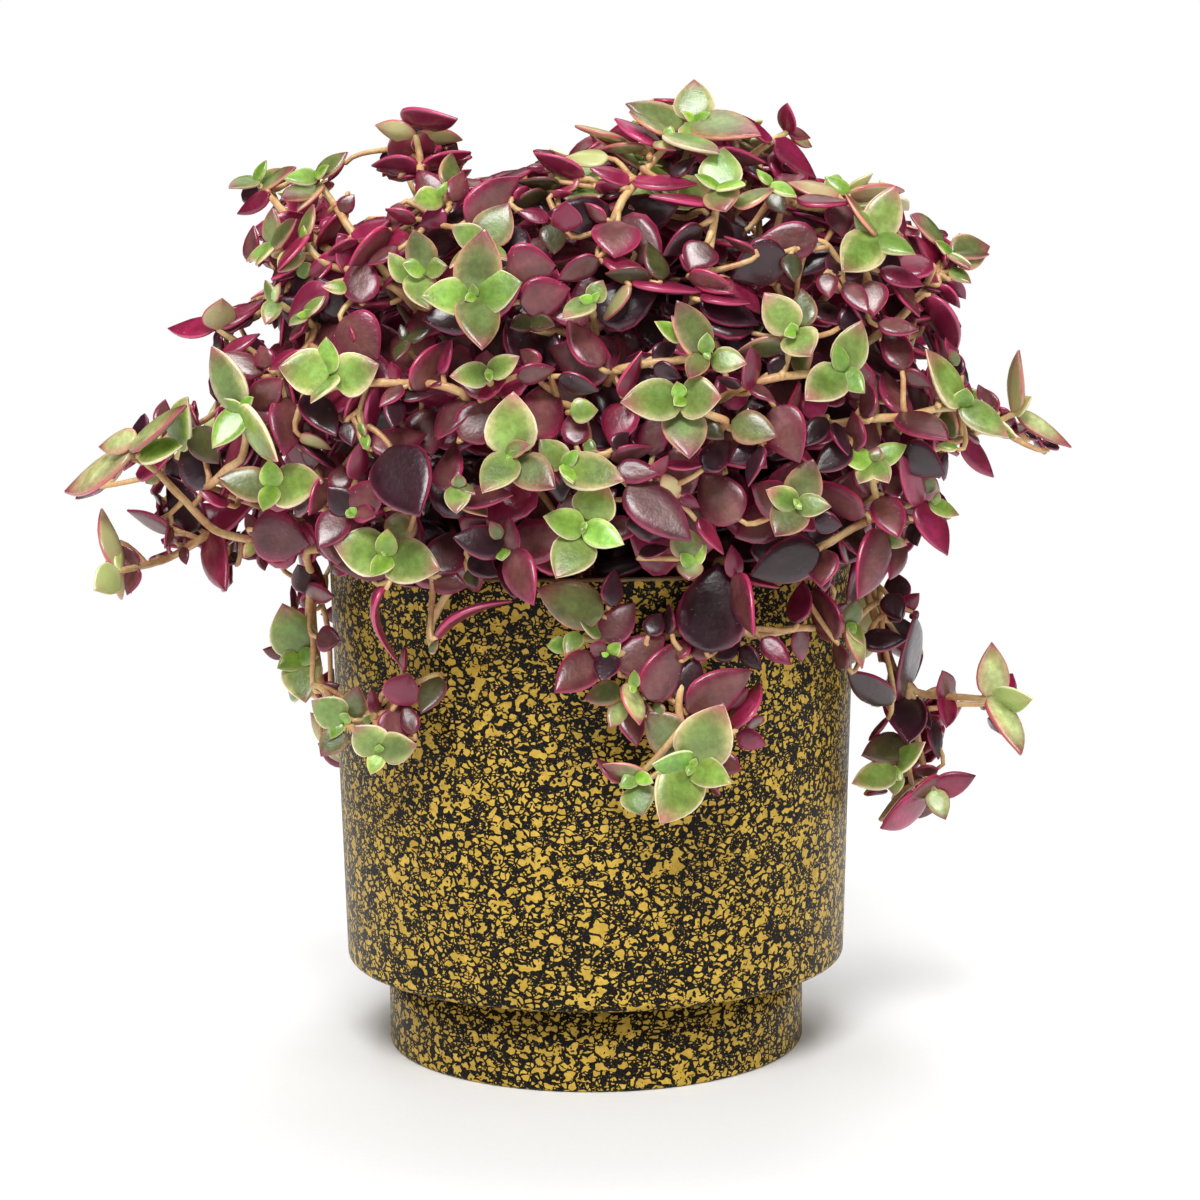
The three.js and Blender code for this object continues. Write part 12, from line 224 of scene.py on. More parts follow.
     [[-55,414,2185,-119,30,11,115,101,1,12,5,2],[-50,422,2182,64,-16,-10,115,98,1,12,5,2],[-48,419,2192,-15,28,-26,79,64,0,12,5,3],[-57,423,2191,148,9,23,77,69,0,12,5,3],[-50,429,2198,69,17,-10,37,30,0,12,5,3],[-54,421,2202,-132,62,21,40,34,0,12,5,3],[194,452,2184,-103,28,-12,82,75,1,12,5,2],[196,461,2180,74,-14,11,86,70,1,12,5,2],[202,458,2189,-12,8,-21,58,47,0,12,5,3],[193,461,2191,153,30,24,63,52,0,12,5,3],[201,467,2197,68,18,12,28,24,0,12,5,3],[199,458,2200,-89,60,-22,26,23,0,12,5,3],[-26,747,2091,145,6,34,98,80,1,12,5,2],[-18,742,2091,-28,5,-34,114,103,1,12,5,2],[-21,745,2101,-121,54,-1,71,59,0,12,5,3],[-17,753,2095,59,-13,1,66,54,0,12,5,3],[-12,751,2106,-7,32,-41,35,31,0,12,5,3],[-21,756,2106,123,33,41,33,27,0,12,5,3],[26,572,2203,170,18,13,131,120,2,12,5,2],[36,571,2201,-7,-5,-12,114,104,2,12,5,2],[33,568,2212,-91,32,-14,76,67,0,12,5,3],[34,578,2210,80,7,12,79,63,0,12,5,3],[40,574,2218,0,28,-14,35,31,0,12,5,3],[30,576,2220,158,50,20,42,38,0,12,5,3],[26,213,2161,127,8,-6,105,84,2,12,5,2],[32,206,2155,-54,5,6,97,85,2,12,5,2],[24,206,2164,-143,14,-2,59,46,0,12,5,3],[30,210,2170,36,26,2,68,56,0,12,5,3],[31,204,2173,-59,38,8,29,24,0,12,5,3],[27,209,2178,131,41,-8,32,27,0,12,5,3],[33,211,2085,-96,2,3,154,138,4,12,5,2],[34,219,2091,85,12,-4,141,114,4,12,5,2],[68,457,2123,39,-17,-14,94,80,1,12,5,2],[60,452,2127,-145,31,16,111,91,1,12,5,2],[62,462,2132,125,5,24,60,51,0,12,5,3],[69,455,2134,-37,32,-29,65,59,0,12,5,3],[63,460,2143,-164,62,30,35,30,0,12,5,3],[70,465,2139,47,15,-14,31,26,0,12,5,3],[50,428,2062,120,-12,21,142,117,4,12,5,2],[55,420,2065,-55,24,-23,136,107,4,12,5,2],[-155,361,2162,-112,-7,34,100,86,1,12,5,2],[-152,371,2164,76,18,-35,107,91,1,12,5,2],[-155,364,2173,-35,53,21,67,57,0,12,5,3],[-163,368,2168,158,-14,-13,58,50,0,12,5,3],[-163,371,2179,102,43,-49,28,24,0,12,5,3],[-166,362,2177,-131,21,36,31,27,0,12,5,3],[-114,361,2111,-91,9,37,146,115,4,12,5,2],[-115,371,2110,98,2,-36,171,153,4,12,5,2],[163,720,2024,-147,34,76,48,34,6,14,5,2],[78,760,1961,96,-70,2,70,78,7,14,5,2],[11,690,2068,19,23,39,121,70,6,14,5,2],[93,670,2092,13,5,71,40,24,6,14,5,2],[-43,650,2114,-5,1,55,98,57,0,10,5,2],[18,700,2063,-25,-17,51,82,48,2,14,5,2],[78,720,2030,176,2,-78,43,26,6,14,5,2],[-14,710,2047,179,-6,-70,65,40,6,14,5,2],[82,750,1979,11,9,114,72,43,6,14,5,2],[-81,600,2154,2,19,165,116,56,3,14,5,2],[-81,550,2151,17,21,115,83,48,2,14,5,2],[61,700,2059,3,5,-130,93,54,7,14,5,2],[93,690,2043,9,-22,-111,87,51,7,14,5,2],[21,511,2136,4,-11,-39,128,107,4,15,8,4],[9,511,2139,170,26,44,128,96,4,15,4,4],[-6,444,2041,121,-4,23,113,103,4,15,6,4],[-1,435,2046,-60,55,-23,113,90,4,15,6,4],[-17,390,1956,-173,28,25,144,127,5,15,9,4],[-5,393,1954,20,2,-22,144,103,4,15,4,4],[-13,350,1865,-46,33,-15,136,123,6,15,4,4],[-21,359,1862,126,-1,13,136,125,6,15,5,4],[-15,334,1779,27,-3,-10,139,127,5,15,3,4],[-25,329,1780,-159,32,12,139,117,4,15,10,4],[-26,311,1687,-150,7,7,126,110,5,15,4,4],[-16,317,1687,31,3,-7,126,96,5,15,9,4],[-18,299,1593,-64,13,-1,145,120,5,15,4,4],[-23,310,1592,116,13,1,145,124,4,15,4,4],[-13,303,1503,25,13,-2,141,105,5,15,9,4],[-24,299,1502,-157,27,2,141,111,5,15,3,4],[-19,306,1412,123,17,-2,107,87,4,15,0,4],[-13,296,1412,-58,27,2,107,87,5,15,5,4],[-18,300,1297,-150,14,-1,135,113,5,15,4,4],[-7,306,1298,30,28,1,135,113,4,15,6,4],[-7,300,1201,-69,10,2,133,109,4,15,9,4],[-12,312,1201,113,21,-2,133,109,5,15,4,4],[20,251,2027,-68,-5,2,138,108,6,15,8,4],[16,261,2033,114,41,-3,138,115,5,15,5,4],[5,312,1946,5,22,40,103,85,5,15,8,4],[-6,307,1945,-144,18,-39,103,70,5,15,2,4],[-77,382,2051,126,15,-36,121,95,4,15,3,4],[-74,371,2051,-101,15,36,121,110,4,15,2,4],[-10,656,2103,156,-72,62,114,81,5,15,6,4],[-10,659,2114,107,61,172,114,91,4,15,3,4],[3,566,2126,168,-50,82,127,101,4,15,3,4],[12,569,2131,19,7,-104,149,122,5,15,9,4],[115,470,2141,-27,-43,-16,108,89,5,15,7,4],[111,474,2152,69,78,95,108,98,4,15,4,4],[-320,229,2137,-141,3,10,55,42,4,15,9,4],[-28,182,2122,-114,4,1,116,101,4,15,9,4],[-334,200,2146,-178,-25,-8,78,57,4,15,1,4],[-278,322,2116,-171,-34,-4,129,114,4,15,6,4],[-249,109,2134,-84,6,9,72,57,4,15,8,4],[-273,150,2152,-93,-46,22,70,59,6,15,0,4],[-95,304,2206,148,-33,33,80,64,4,15,3,4],[-152,243,2102,-93,19,-9,113,92,4,15,7,4],[-58,251,2123,-117,6,-35,111,90,5,15,0,4],[-268,186,2125,15,19,25,149,128,4,15,7,4],[164,714,1967,115,-47,-20,122,86,4,15,1,4],[226,731,1864,-14,-28,-98,96,70,4,15,9,4],[-105,281,2191,165,-13,14,54,37,4,15,8,4],[187,514,2100,61,19,-83,112,88,6,15,8,4],[-126,314,2199,-4,10,12,91,76,6,15,1,4],[-228,340,2073,-169,-13,35,112,92,4,15,1,4],[247,741,1927,23,-22,-36,53,42,4,15,3,4],[-331,281,2152,80,-7,-14,58,46,4,15,6,4],[-263,261,2086,76,-4,10,71,54,5,15,3,4],[115,188,1997,-89,32,-57,65,54,4,15,9,4],[-324,246,2145,156,-41,28,53,41,6,15,8,4],[-285,207,2087,-108,-6,5,103,85,4,15,4,4],[-212,408,2051,66,-2,0,103,90,6,15,6,4]]),
    ("shoot_crown_03",
     [[881,-109,1596,807,-54,1558,767,-19,1537,722,24,1510,684,7,1491,646,-4,1469,610,-8,1445,575,-7,1419,542,1,1391,511,15,1360,482,35,1327,456,63,1291,432,101,1253,411,103,1217,389,87,1178,370,21,1144,352,-39,1108,336,-84,1070]],
     [[900,57,1690,916,18,1647,827,-44,1597,839,-77,1575],[858,-145,1560,865,-129,1542,833,-92,1570,839,-77,1575],[861,-19,1710,851,-41,1725,859,-10,1645,874,-8,1628],[823,-10,1601,823,-10,1618,832,-41,1594,844,-52,1593],[818,-123,1400,838,-107,1454,776,-58,1516,795,-43,1552],[818,-39,1387,839,10,1415,695,-1,1469,688,9,1493],[885,-72,1670,896,-79,1652,859,-29,1658,863,-16,1657],[781,-202,1647,796,-155,1650,816,-136,1574,854,-122,1556],[500,53,1155,494,91,1169,412,85,1199,402,97,1202],[837,58,1388,831,52,1361,806,1,1403,812,-17,1406],[868,12,1569,867,-3,1586,863,-3,1612,874,-8,1628],[832,-115,1516,836,-97,1509,799,-81,1505,800,-71,1502],[922,9,1603,934,-3,1593,872,1,1598,867,-1,1598],[825,-65,1345,822,-44,1323,804,-8,1384,815,10,1394],[831,-191,1359,841,-157,1369,809,-128,1412,822,-112,1427]],
     [[886,-112,1595,-45,-32,-26,131,114,1,12,5,0],[881,-106,1601,127,45,31,131,110,1,12,5,0],[896,-108,1607,46,-6,39,86,76,0,12,5,1],[888,-114,1606,-104,36,-50,72,65,0,12,5,1],[899,-111,1615,80,67,71,38,34,0,12,5,1],[899,-114,1608,-31,-2,-22,43,37,0,12,5,1],[823,-61,1564,15,-18,53,125,88,4,15,3,4],[818,-65,1568,-121,38,-75,125,104,4,15,5,4],[740,9,1524,35,67,90,131,109,4,15,8,4],[740,4,1517,-80,-45,-33,131,116,4,15,1,4],[650,-8,1473,-62,29,-69,126,109,6,15,1,4],[654,1,1473,71,-3,55,126,95,6,15,1,4],[562,-6,1402,-37,-26,-19,132,100,5,15,5,4],[562,-2,1412,107,67,48,132,95,5,15,3,4],[497,31,1340,46,2,47,140,111,5,15,1,4],[486,26,1338,-122,35,-53,95,72,4,15,8,4],[444,91,1267,33,22,52,137,121,5,15,9,4],[397,85,1184,-43,2,-35,104,87,4,15,0,4],[392,95,1183,94,-11,29,104,81,5,15,9,4],[374,20,1139,25,-40,-41,81,58,4,15,5,4],[365,18,1147,174,56,64,119,106,6,15,6,4],[903,55,1694,113,45,25,118,87,5,15,2,4],[858,-145,1560,-113,45,-52,145,99,4,15,4,4],[861,-19,1710,65,-31,46,96,87,6,15,4,4],[823,-10,1601,24,-87,35,72,65,4,15,4,4],[823,-126,1399,-142,-64,-108,110,75,6,15,2,4],[818,-39,1387,-114,-27,-146,100,75,5,15,4,4],[885,-72,1670,148,53,20,134,111,4,15,1,4],[781,-202,1647,-109,-3,103,98,79,5,15,2,4],[500,53,1155,-81,-20,-38,137,102,4,15,1,4],[839,53,1389,48,72,70,145,110,5,15,9,4],[868,12,1569,86,-49,25,87,73,4,15,4,4],[832,-115,1516,-101,21,-31,108,97,5,15,4,4],[924,7,1608,134,31,4,136,110,4,15,7,4],[825,-65,1345,-81,46,-81,64,49,5,15,2,4],[834,-193,1363,-107,-15,-44,77,61,6,15,4,4]]),
    ("shoot_crown_04",
     [[-678,-61,2083,-652,-16,2053,-642,-3,2042,-587,26,1984,-558,45,1949,-531,69,1913,-505,101,1874,-482,102,1837,-460,106,1799,-441,88,1761,-425,81,1721,-410,81,1680,-398,88,1637,-388,101,1592,-373,99,1505,-367,78,1462,-363,62,1419,-360,55,1374,-358,56,1329,-356,66,1283,-355,22,1241,-355,-16,1199,-354,-76,1114,-354,-99,1070],[-772,214,2044,-726,149,2035,-674,73,2030,-636,28,2023,-617,11,2017]],
     [[-792,27,1972,-805,-14,1992,-699,80,2006,-691,97,2032],[-802,84,1853,-778,128,1878,-743,48,1952,-752,38,1999],[-414,165,2117,-446,161,2067,-523,59,1986,-580,30,1976],[-447,208,2045,-474,237,2000,-459,121,1871,-486,102,1844],[-717,382,1992,-692,377,2046,-712,210,2010,-740,168,2039],[-764,151,1988,-782,116,1983,-741,64,1986,-752,38,1999],[-711,304,1998,-717,293,2001,-706,284,2015,-710,279,2025],[-630,259,2041,-627,240,2064,-681,271,2021,-710,279,2025],[-690,262,1988,-701,267,1970,-696,294,2010,-707,308,2024],[-809,336,1862,-832,288,1889,-717,240,1973,-721,221,2027],[-538,234,2031,-520,257,2037,-469,214,2012,-457,211,2017],[-604,88,2108,-594,71,2140,-618,43,2033,-638,30,2023],[-692,244,2057,-699,229,2057,-708,225,2030,-721,221,2027],[-775,-64,1970,-762,-55,1997,-765,1,1977,-776,22,1989],[-499,300,2040,-503,278,2045,-501,250,2024,-510,238,2028],[-626,185,2065,-605,196,2081,-638,237,2039,-654,258,2042],[-549,303,2063,-536,310,2080,-508,274,2036,-502,268,2036],[-725,-49,1995,-691,-52,2022,-630,-3,2001,-618,11,2018],[-638,227,2075,-630,229,2081,-634,231,2053,-636,234,2049],[-766,318,1988,-764,324,2011,-714,307,2009,-707,308,2024],[-792,314,1902,-787,323,1900,-802,313,1883,-810,314,1879],[-808,280,1876,-810,270,1877,-799,290,1891,-800,295,1898],[-833,272,1895,-838,263,1904,-803,288,1895,-800,295,1898],[-626,377,2040,-635,348,2062,-676,319,2018,-707,308,2024],[-772,213,1831,-768,193,1870,-767,121,1855,-787,96,1873],[-746,-43,1934,-767,-18,1916,-740,38,1935,-756,64,1947],[-845,310,1802,-861,287,1793,-808,309,1855,-810,314,1879],[-628,193,1999,-654,158,1975,-672,102,1999,-708,77,2017],[-652,388,2011,-647,382,2027,-637,360,2032,-640,354,2045],[-777,133,1841,-771,127,1857,-778,104,1862,-787,96,1873],[-470,289,2045,-480,293,2037,-491,271,2034,-502,268,2036],[-458,166,2172,-469,141,2163,-431,158,2103,-430,158,2094],[-433,208,2176,-444,177,2182,-424,168,2103,-430,158,2094],[-757,-2,1848,-766,-17,1826,-744,-13,1902,-754,-17,1927],[-834,-53,1828,-831,-78,1850,-762,-22,1851,-756,-13,1866],[-748,59,1933,-754,57,1926,-756,73,1923,-763,78,1922],[-695,31,2011,-688,45,2015,-661,46,2019,-657,51,2027],[-691,287,1972,-692,295,1966,-694,285,1990,-699,287,1999],[-582,283,2054,-592,265,2049,-531,285,2048,-523,289,2055],[-365,19,2065,-398,55,2040,-402,124,2067,-430,158,2094],[-562,243,2037,-549,237,2049,-518,237,2025,-510,238,2028],[-849,154,1842,-855,125,1843,-783,123,1850,-777,115,1859],[-380,75,2186,-403,110,2190,-419,133,2122,-443,154,2121],[-521,174,2051,-500,187,2059,-471,139,2046,-464,130,2056],[-328,62,2063,-341,69,2050,-364,49,2050,-382,45,2056],[-733,255,1896,-748,255,1869,-750,202,1856,-770,188,1852],[-492,198,2048,-481,210,2052,-461,206,2020,-457,211,2017],[-599,246,2001,-584,244,2023,-558,268,2031,-554,279,2050],[-568,-122,1993,-606,-92,1978,-575,-11,1981,-599,20,1997],[-581,251,1912,-618,231,1897,-613,184,1959,-643,169,1990],[-472,191,2076,-457,185,2075,-473,159,2053,-479,151,2052],[-627,-39,1931,-615,-54,1917,-591,-37,1965,-589,-37,1984],[-420,-48,2055,-428,-14,2063,-383,23,2044,-382,45,2056],[-456,116,2037,-467,104,2031,-483,101,2020,-498,97,2022],[-322,-31,2014,-339,-8,1991,-359,27,2032,-382,45,2056],[-400,201,2004,-414,214,1992,-441,200,1985,-462,202,1989],[-741,106,1927,-750,101,1919,-753,85,1921,-763,78,1922],[-638,95,1954,-665,96,1931,-557,64,1929,-546,55,1933],[-337,183,2012,-363,151,2012,-379,121,2038,-405,105,2065],[-596,58,1981,-607,55,1969,-566,46,1956,-562,42,1954],[-424,91,2098,-435,76,2097,-397,79,2061,-394,75,2057],[-567,-144,1946,-567,-166,1940,-572,-107,1970,-583,-97,1986],[-839,-74,1825,-837,-63,1830,-818,-60,1837,-817,-57,1843]],
     [[-775,210,2044,-122,-18,33,114,90,2,12,5,0],[-771,218,2048,66,30,-36,115,98,2,12,5,0],[-776,211,2055,-58,48,38,62,49,0,12,5,1],[-785,215,2056,146,-13,-25,58,54,0,12,5,1],[-788,214,2064,99,53,-59,33,30,0,12,5,1],[-787,209,2058,-140,10,31,34,28,0,12,5,1],[-682,-57,2085,124,-2,-20,112,97,2,12,5,0],[-677,-65,2087,-61,15,21,110,95,2,12,5,0],[-686,-64,2093,-148,0,8,78,67,0,12,5,1],[-682,-61,2101,39,40,-11,67,62,0,12,5,1],[-683,-67,2103,-77,45,29,38,33,0,12,5,1],[-688,-62,2107,136,29,-23,31,25,0,12,5,1],[-641,-7,2040,-90,-22,40,118,93,4,15,7,4],[-643,3,2044,110,13,-46,118,82,4,15,3,4],[-583,23,1984,-54,23,47,128,106,5,15,8,4],[-590,27,1980,179,-25,-24,128,88,4,15,3,4],[-528,80,1907,125,28,-45,117,84,5,15,0,4],[-523,71,1903,-67,-17,41,117,99,4,15,8,4],[-485,103,1836,162,-6,-15,127,114,5,15,4,4],[-474,100,1835,-30,41,19,127,94,6,15,5,4],[-435,81,1733,-158,12,19,105,74,6,15,7,4],[-425,87,1736,41,38,-24,105,89,5,15,1,4],[-394,89,1640,20,28,11,148,132,5,15,6,4],[-403,87,1632,-154,4,-10,148,122,5,15,3,4],[-379,104,1554,72,26,-10,130,88,5,15,1,4],[-381,95,1548,-114,9,9,130,104,5,15,1,4],[-366,80,1451,87,-14,-6,144,111,6,15,3,4],[-367,69,1455,-95,27,7,144,98,6,15,10,4],[-361,50,1349,-110,25,2,100,79,4,15,2,4],[-358,59,1355,73,29,-2,100,70,5,15,4,4],[-357,20,1248,-120,63,24,139,106,5,15,1,4],[-354,28,1240,74,-36,-13,139,121,5,15,4,4],[-349,-47,1163,-13,33,-38,116,94,4,15,4,4],[-360,-42,1159,150,-11,32,116,92,4,15,3,4],[-726,138,2033,-164,-30,77,128,89,4,15,6,4],[-717,144,2039,56,32,-98,128,113,4,15,0,4],[-661,51,2033,-177,51,115,117,106,4,15,7,4],[-656,56,2023,81,-45,-53,117,81,5,15,3,4],[-792,27,1972,73,-24,-18,131,90,4,15,1,4],[-802,84,1853,-119,-26,23,98,75,6,15,2,4],[-419,163,2120,8,57,12,115,102,5,15,5,4],[-447,208,2045,-47,48,42,81,74,4,15,2,4],[-717,382,1992,168,-65,-31,132,95,6,15,6,4],[-764,151,1988,62,7,-27,105,73,4,15,6,4],[-711,304,1998,60,-14,11,119,94,5,15,9,4],[-630,259,2041,97,-50,6,108,97,4,15,6,4],[-690,262,1988,-24,57,1,112,89,5,15,8,4],[-809,336,1862,64,-27,-4,146,117,4,15,6,4],[-538,234,2031,-129,-12,27,111,82,6,15,2,4],[-604,88,2108,121,-59,-45,79,67,6,15,8,4],[-692,244,2057,65,1,-16,73,63,4,15,9,4],[-780,-67,1974,-144,-59,5,63,47,4,15,0,4],[-499,300,2040,80,-14,2,128,95,6,15,8,4],[-626,185,2065,-152,-35,12,100,77,4,15,4,4],[-549,303,2063,-152,-49,-6,81,64,6,15,4,4],[-725,-49,1995,176,-38,-5,108,87,4,15,3,4],[-638,227,2075,-166,-36,6,63,45,4,15,6,4],[-766,318,1988,-105,-75,38,111,95,4,15,0,4],[-792,314,1902,-120,7,16,59,43,6,15,4,4],[-808,280,1876,76,-4,-132,62,46,6,15,1,4],[-833,272,1895,62,-40,-15,62,50,6,15,4,4],[-626,377,2040,72,-36,-95,123,106,6,15,5,4],[-772,213,1831,101,-63,-70,97,76,4,15,7,4],[-746,-43,1934,-50,30,3,87,60,4,15,7,4],[-845,310,1802,54,19,-16,76,52,6,15,4,4],[-630,190,2004,53,28,0,102,78,4,15,6,4],[-652,388,2011,126,-62,-34,58,47,4,15,7,4],[-777,133,1841,134,-62,-16,71,65,4,15,6,4],[-470,289,2045,-24,38,-26,76,68,4,15,4,4],[-457,164,2178,66,18,14,114,102,4,15,2,4],[-433,208,2176,70,-11,1,75,59,6,15,3,4],[-760,-6,1852,59,51,-8,125,105,4,15,5,4],[-834,-53,1828,99,-41,-52,64,45,6,15,8,4],[-751,55,1936,18,46,32,56,40,4,15,8,4],[-696,30,2017,-114,-15,5,75,57,4,15,5,4],[-691,287,1972,-79,36,19,63,47,5,15,9,4],[-582,283,2054,58,13,-20,54,37,4,15,2,4],[-365,19,2065,-47,26,-10,101,80,4,15,3,4],[-562,243,2037,156,-41,7,57,47,4,15,8,4],[-849,154,1842,79,-2,-20,92,67,4,15,6,4],[-381,74,2192,-56,-4,15,115,95,4,15,1,4],[-521,174,2051,-149,-19,26,92,70,6,15,3,4],[-328,62,2063,-30,40,-36,118,90,6,15,5,4],[-733,255,1896,1,61,-3,95,75,4,15,6,4],[-491,195,2053,-132,-15,-20,61,51,6,15,10,4],[-604,245,2005,171,-55,-20,106,77,4,15,10,4],[-568,-122,1993,-39,18,13,76,55,4,15,9,4],[-581,251,1912,29,20,-16,123,99,6,15,8,4],[-472,191,2076,157,3,10,56,38,6,15,8,4],[-628,-44,1935,130,36,-42,116,107,5,15,9,4],[-420,-49,2060,-77,-13,-3,88,63,5,15,1,4],[-456,116,2037,48,21,-18,89,70,5,15,5,4],[-322,-31,2014,-54,40,-4,99,69,6,15,7,4],[-400,201,2004,-43,34,-9,146,100,4,15,6,4],[-745,104,1931,28,40,-1,108,94,5,15,2,4],[-638,95,1954,-1,41,-9,100,75,4,15,9,4],[-337,183,2012,51,0,-31,120,110,5,15,3,4],[-599,54,1984,17,48,32,75,63,5,15,10,4],[-424,91,2098,55,5,7,96,68,4,15,4,4],[-566,-146,1951,91,14,10,61,44,4,15,3,4],[-839,-77,1830,-98,-26,-1,90,64,6,15,5,4]]),
    ("shoot_crown_05",
     [[645,749,1849,569,665,1782,521,610,1733,498,584,1708,456,534,1651,437,511,1621,403,468,1555,374,430,1483,362,414,1446,342,386,1367,334,374,1326,321,354,1242,311,337,1157,302,324,1070],[445,845,1711,473,750,1722,521,610,1733],[824,561,1750,732,600,1753,679,624,1765,569,665,1782],[803,582,1731,725,597,1736,617,622,1751,544,637,1758],[604,750,1776,569,665,1782],[677,700,1808,594,692,1804]],
     [[496,780,1719,493,779,1707,474,758,1719,470,756,1721],[527,760,1762,546,754,1781,570,722,1770,593,721,1777],[585,750,1699,552,742,1705,573,696,1756,581,693,1779],[621,730,1700,604,728,1709,576,728,1708,568,736,1713],[810,580,1696,834,584,1685,752,584,1722,745,593,1734],[608,750,1606,627,733,1632,588,722,1680,594,729,1708],[697,690,1667,685,702,1630,608,708,1694,594,729,1708],[712,680,1650,697,682,1643,676,690,1654,671,700,1658],[660,700,1598,661,690,1616,662,693,1641,671,700,1658],[815,590,1582,795,561,1630,699,648,1630,689,687,1650],[562,726,1687,562,737,1680,585,723,1681,597,727,1681],[606,621,1836,612,636,1818,593,640,1788,598,655,1778],[760,494,1807,789,473,1773,768,551,1722,793,584,1704],[597,653,1675,599,660,1644,637,674,1637,662,694,1628],[729,570,1757,731,576,1746,715,589,1740,716,599,1737],[694,599,1844,675,625,1840,655,617,1782,655,634,1769],[547,624,1656,536,628,1681,510,595,1701,509,596,1720],[554,595,1877,583,581,1865,582,617,1817,603,637,1806],[785,516,1571,762,535,1586,762,570,1605,770,598,1618],[610,578,1836,615,586,1823,589,602,1826,588,615,1826],[524,576,1875,537,572,1859,558,586,1854,576,597,1853],[549,721,1723,554,718,1716,561,729,1715,568,736,1713]],
     [[604,750,1776,166,47,90,20,23,0,10,5,3],[604,750,1776,36,-1,-73,27,23,0,10,5,3],[606,738,1776,-180,39,61,61,37,1,10,5,2],[606,738,1776,49,-32,-37,54,35,1,10,5,2],[679,688,1809,-34,68,-73,52,34,1,10,5,2],[679,688,1809,63,-55,-10,67,58,1,10,5,2],[679,688,1809,131,52,104,53,27,3,14,5,2],[827,548,1757,-33,-1,57,143,70,6,14,5,2],[827,548,1757,-160,26,-58,128,67,6,14,5,2],[825,560,1756,113,57,-33,78,87,3,14,5,3],[649,746,1848,-31,-7,-39,99,86,2,12,5,2],[641,752,1850,140,17,41,85,72,2,12,5,2],[651,756,1852,59,-19,13,53,48,0,12,5,3],[648,749,1859,-106,57,-23,61,48,0,12,5,3],[650,759,1863,112,40,54,27,22,0,12,5,3],[658,754,1861,-10,19,-41,26,23,0,12,5,3],[450,846,1709,9,-20,-35,147,132,2,12,5,2],[441,845,1713,-180,31,39,138,117,2,12,5,2],[446,855,1715,102,-15,27,87,79,0,12,5,3],[450,847,1720,-51,49,-41,81,69,0,12,5,3],[446,856,1726,145,53,63,40,32,0,12,5,3],[455,857,1722,28,8,-33,43,39,0,12,5,3],[800,586,1730,119,-1,36,110,100,1,12,5,2],[806,577,1731,-52,12,-37,95,82,1,12,5,2],[804,583,1741,-156,56,12,59,52,0,12,5,3],[811,587,1735,32,-16,-7,68,57,0,12,5,3],[814,585,1746,-28,37,-47,29,23,0,12,5,3],[808,593,1744,99,25,40,34,26,0,12,5,3],[810,580,1696,-171,26,37,93,46,6,14,5,2],[712,680,1650,-7,26,-77,100,69,4,16,5,2],[697,690,1667,-45,67,-50,52,59,4,16,5,2],[621,730,1700,8,-27,112,77,47,6,14,5,2],[527,760,1762,163,-42,78,119,134,4,16,5,2],[496,780,1719,15,80,-153,35,20,6,14,5,2],[585,750,1699,13,-9,-106,83,48,4,16,5,2],[608,750,1606,139,-45,53,131,93,5,16,5,2],[660,700,1598,95,-61,0,144,104,4,16,5,2],[815,590,1582,55,-54,-47,55,34,6,14,5,2],[597,691,1799,5,-36,-37,112,95,4,15,5,4],[588,692,1808,167,50,49,112,86,4,15,5,4],[527,624,1739,98,-17,42,138,108,4,15,6,4],[531,615,1745,-50,41,-58,138,114,4,15,2,4],[464,550,1674,178,40,36,141,122,5,15,5,4],[474,550,1667,13,-21,-28,141,118,5,15,3,4],[431,495,1608,-52,30,-42,147,115,5,15,5,4],[426,505,1604,106,-3,35,147,118,4,15,3,4],[389,443,1506,7,-17,-22,116,93,5,15,8,4],[378,442,1510,171,44,30,116,90,4,15,4,4],[352,408,1412,99,-2,18,143,129,5,15,1,4],[355,396,1416,-74,24,-20,143,118,5,15,3,4],[326,371,1316,179,24,15,121,88,5,15,0,4],[338,371,1313,9,17,-14,121,96,5,15,7,4],[320,344,1221,-70,25,-11,112,100,6,15,8,4],[316,355,1220,102,18,11,112,99,4,15,3,4],[464,758,1723,-169,20,98,145,120,4,15,6,4],[498,672,1724,137,-68,31,118,85,6,15,6,4],[498,673,1736,129,65,158,118,85,6,15,1,4],[741,594,1752,-63,-79,-37,131,116,5,15,2,4],[743,595,1764,-8,69,161,131,121,5,15,6,4],[640,646,1769,65,-25,96,90,83,5,15,7,4],[637,635,1772,-102,3,-99,133,96,4,15,9,4],[714,596,1733,-94,-48,-88,131,97,6,15,0,4],[717,603,1741,52,44,113,131,92,6,15,7,4],[622,624,1745,52,-59,73,131,117,6,15,9,4],[562,726,1687,-89,35,-55,107,90,5,15,8,4],[606,621,1836,-113,48,18,75,57,4,15,3,4],[760,494,1807,145,43,37,59,54,5,15,9,4],[597,653,1675,-99,77,31,77,69,4,15,6,4],[729,570,1757,-110,58,-2,73,50,5,15,9,4],[694,599,1844,-55,6,-52,100,73,4,15,1,4],[547,624,1656,-18,-65,-32,117,92,4,15,2,4],[554,595,1877,154,20,39,101,75,4,15,1,4],[785,516,1571,-39,-27,-29,112,78,4,15,4,4],[610,578,1836,-121,54,-3,96,67,4,15,9,4],[524,576,1875,163,50,77,97,73,6,15,1,4],[549,721,1723,151,48,23,106,85,5,15,5,4]]),
    ("shoot_rear_06",
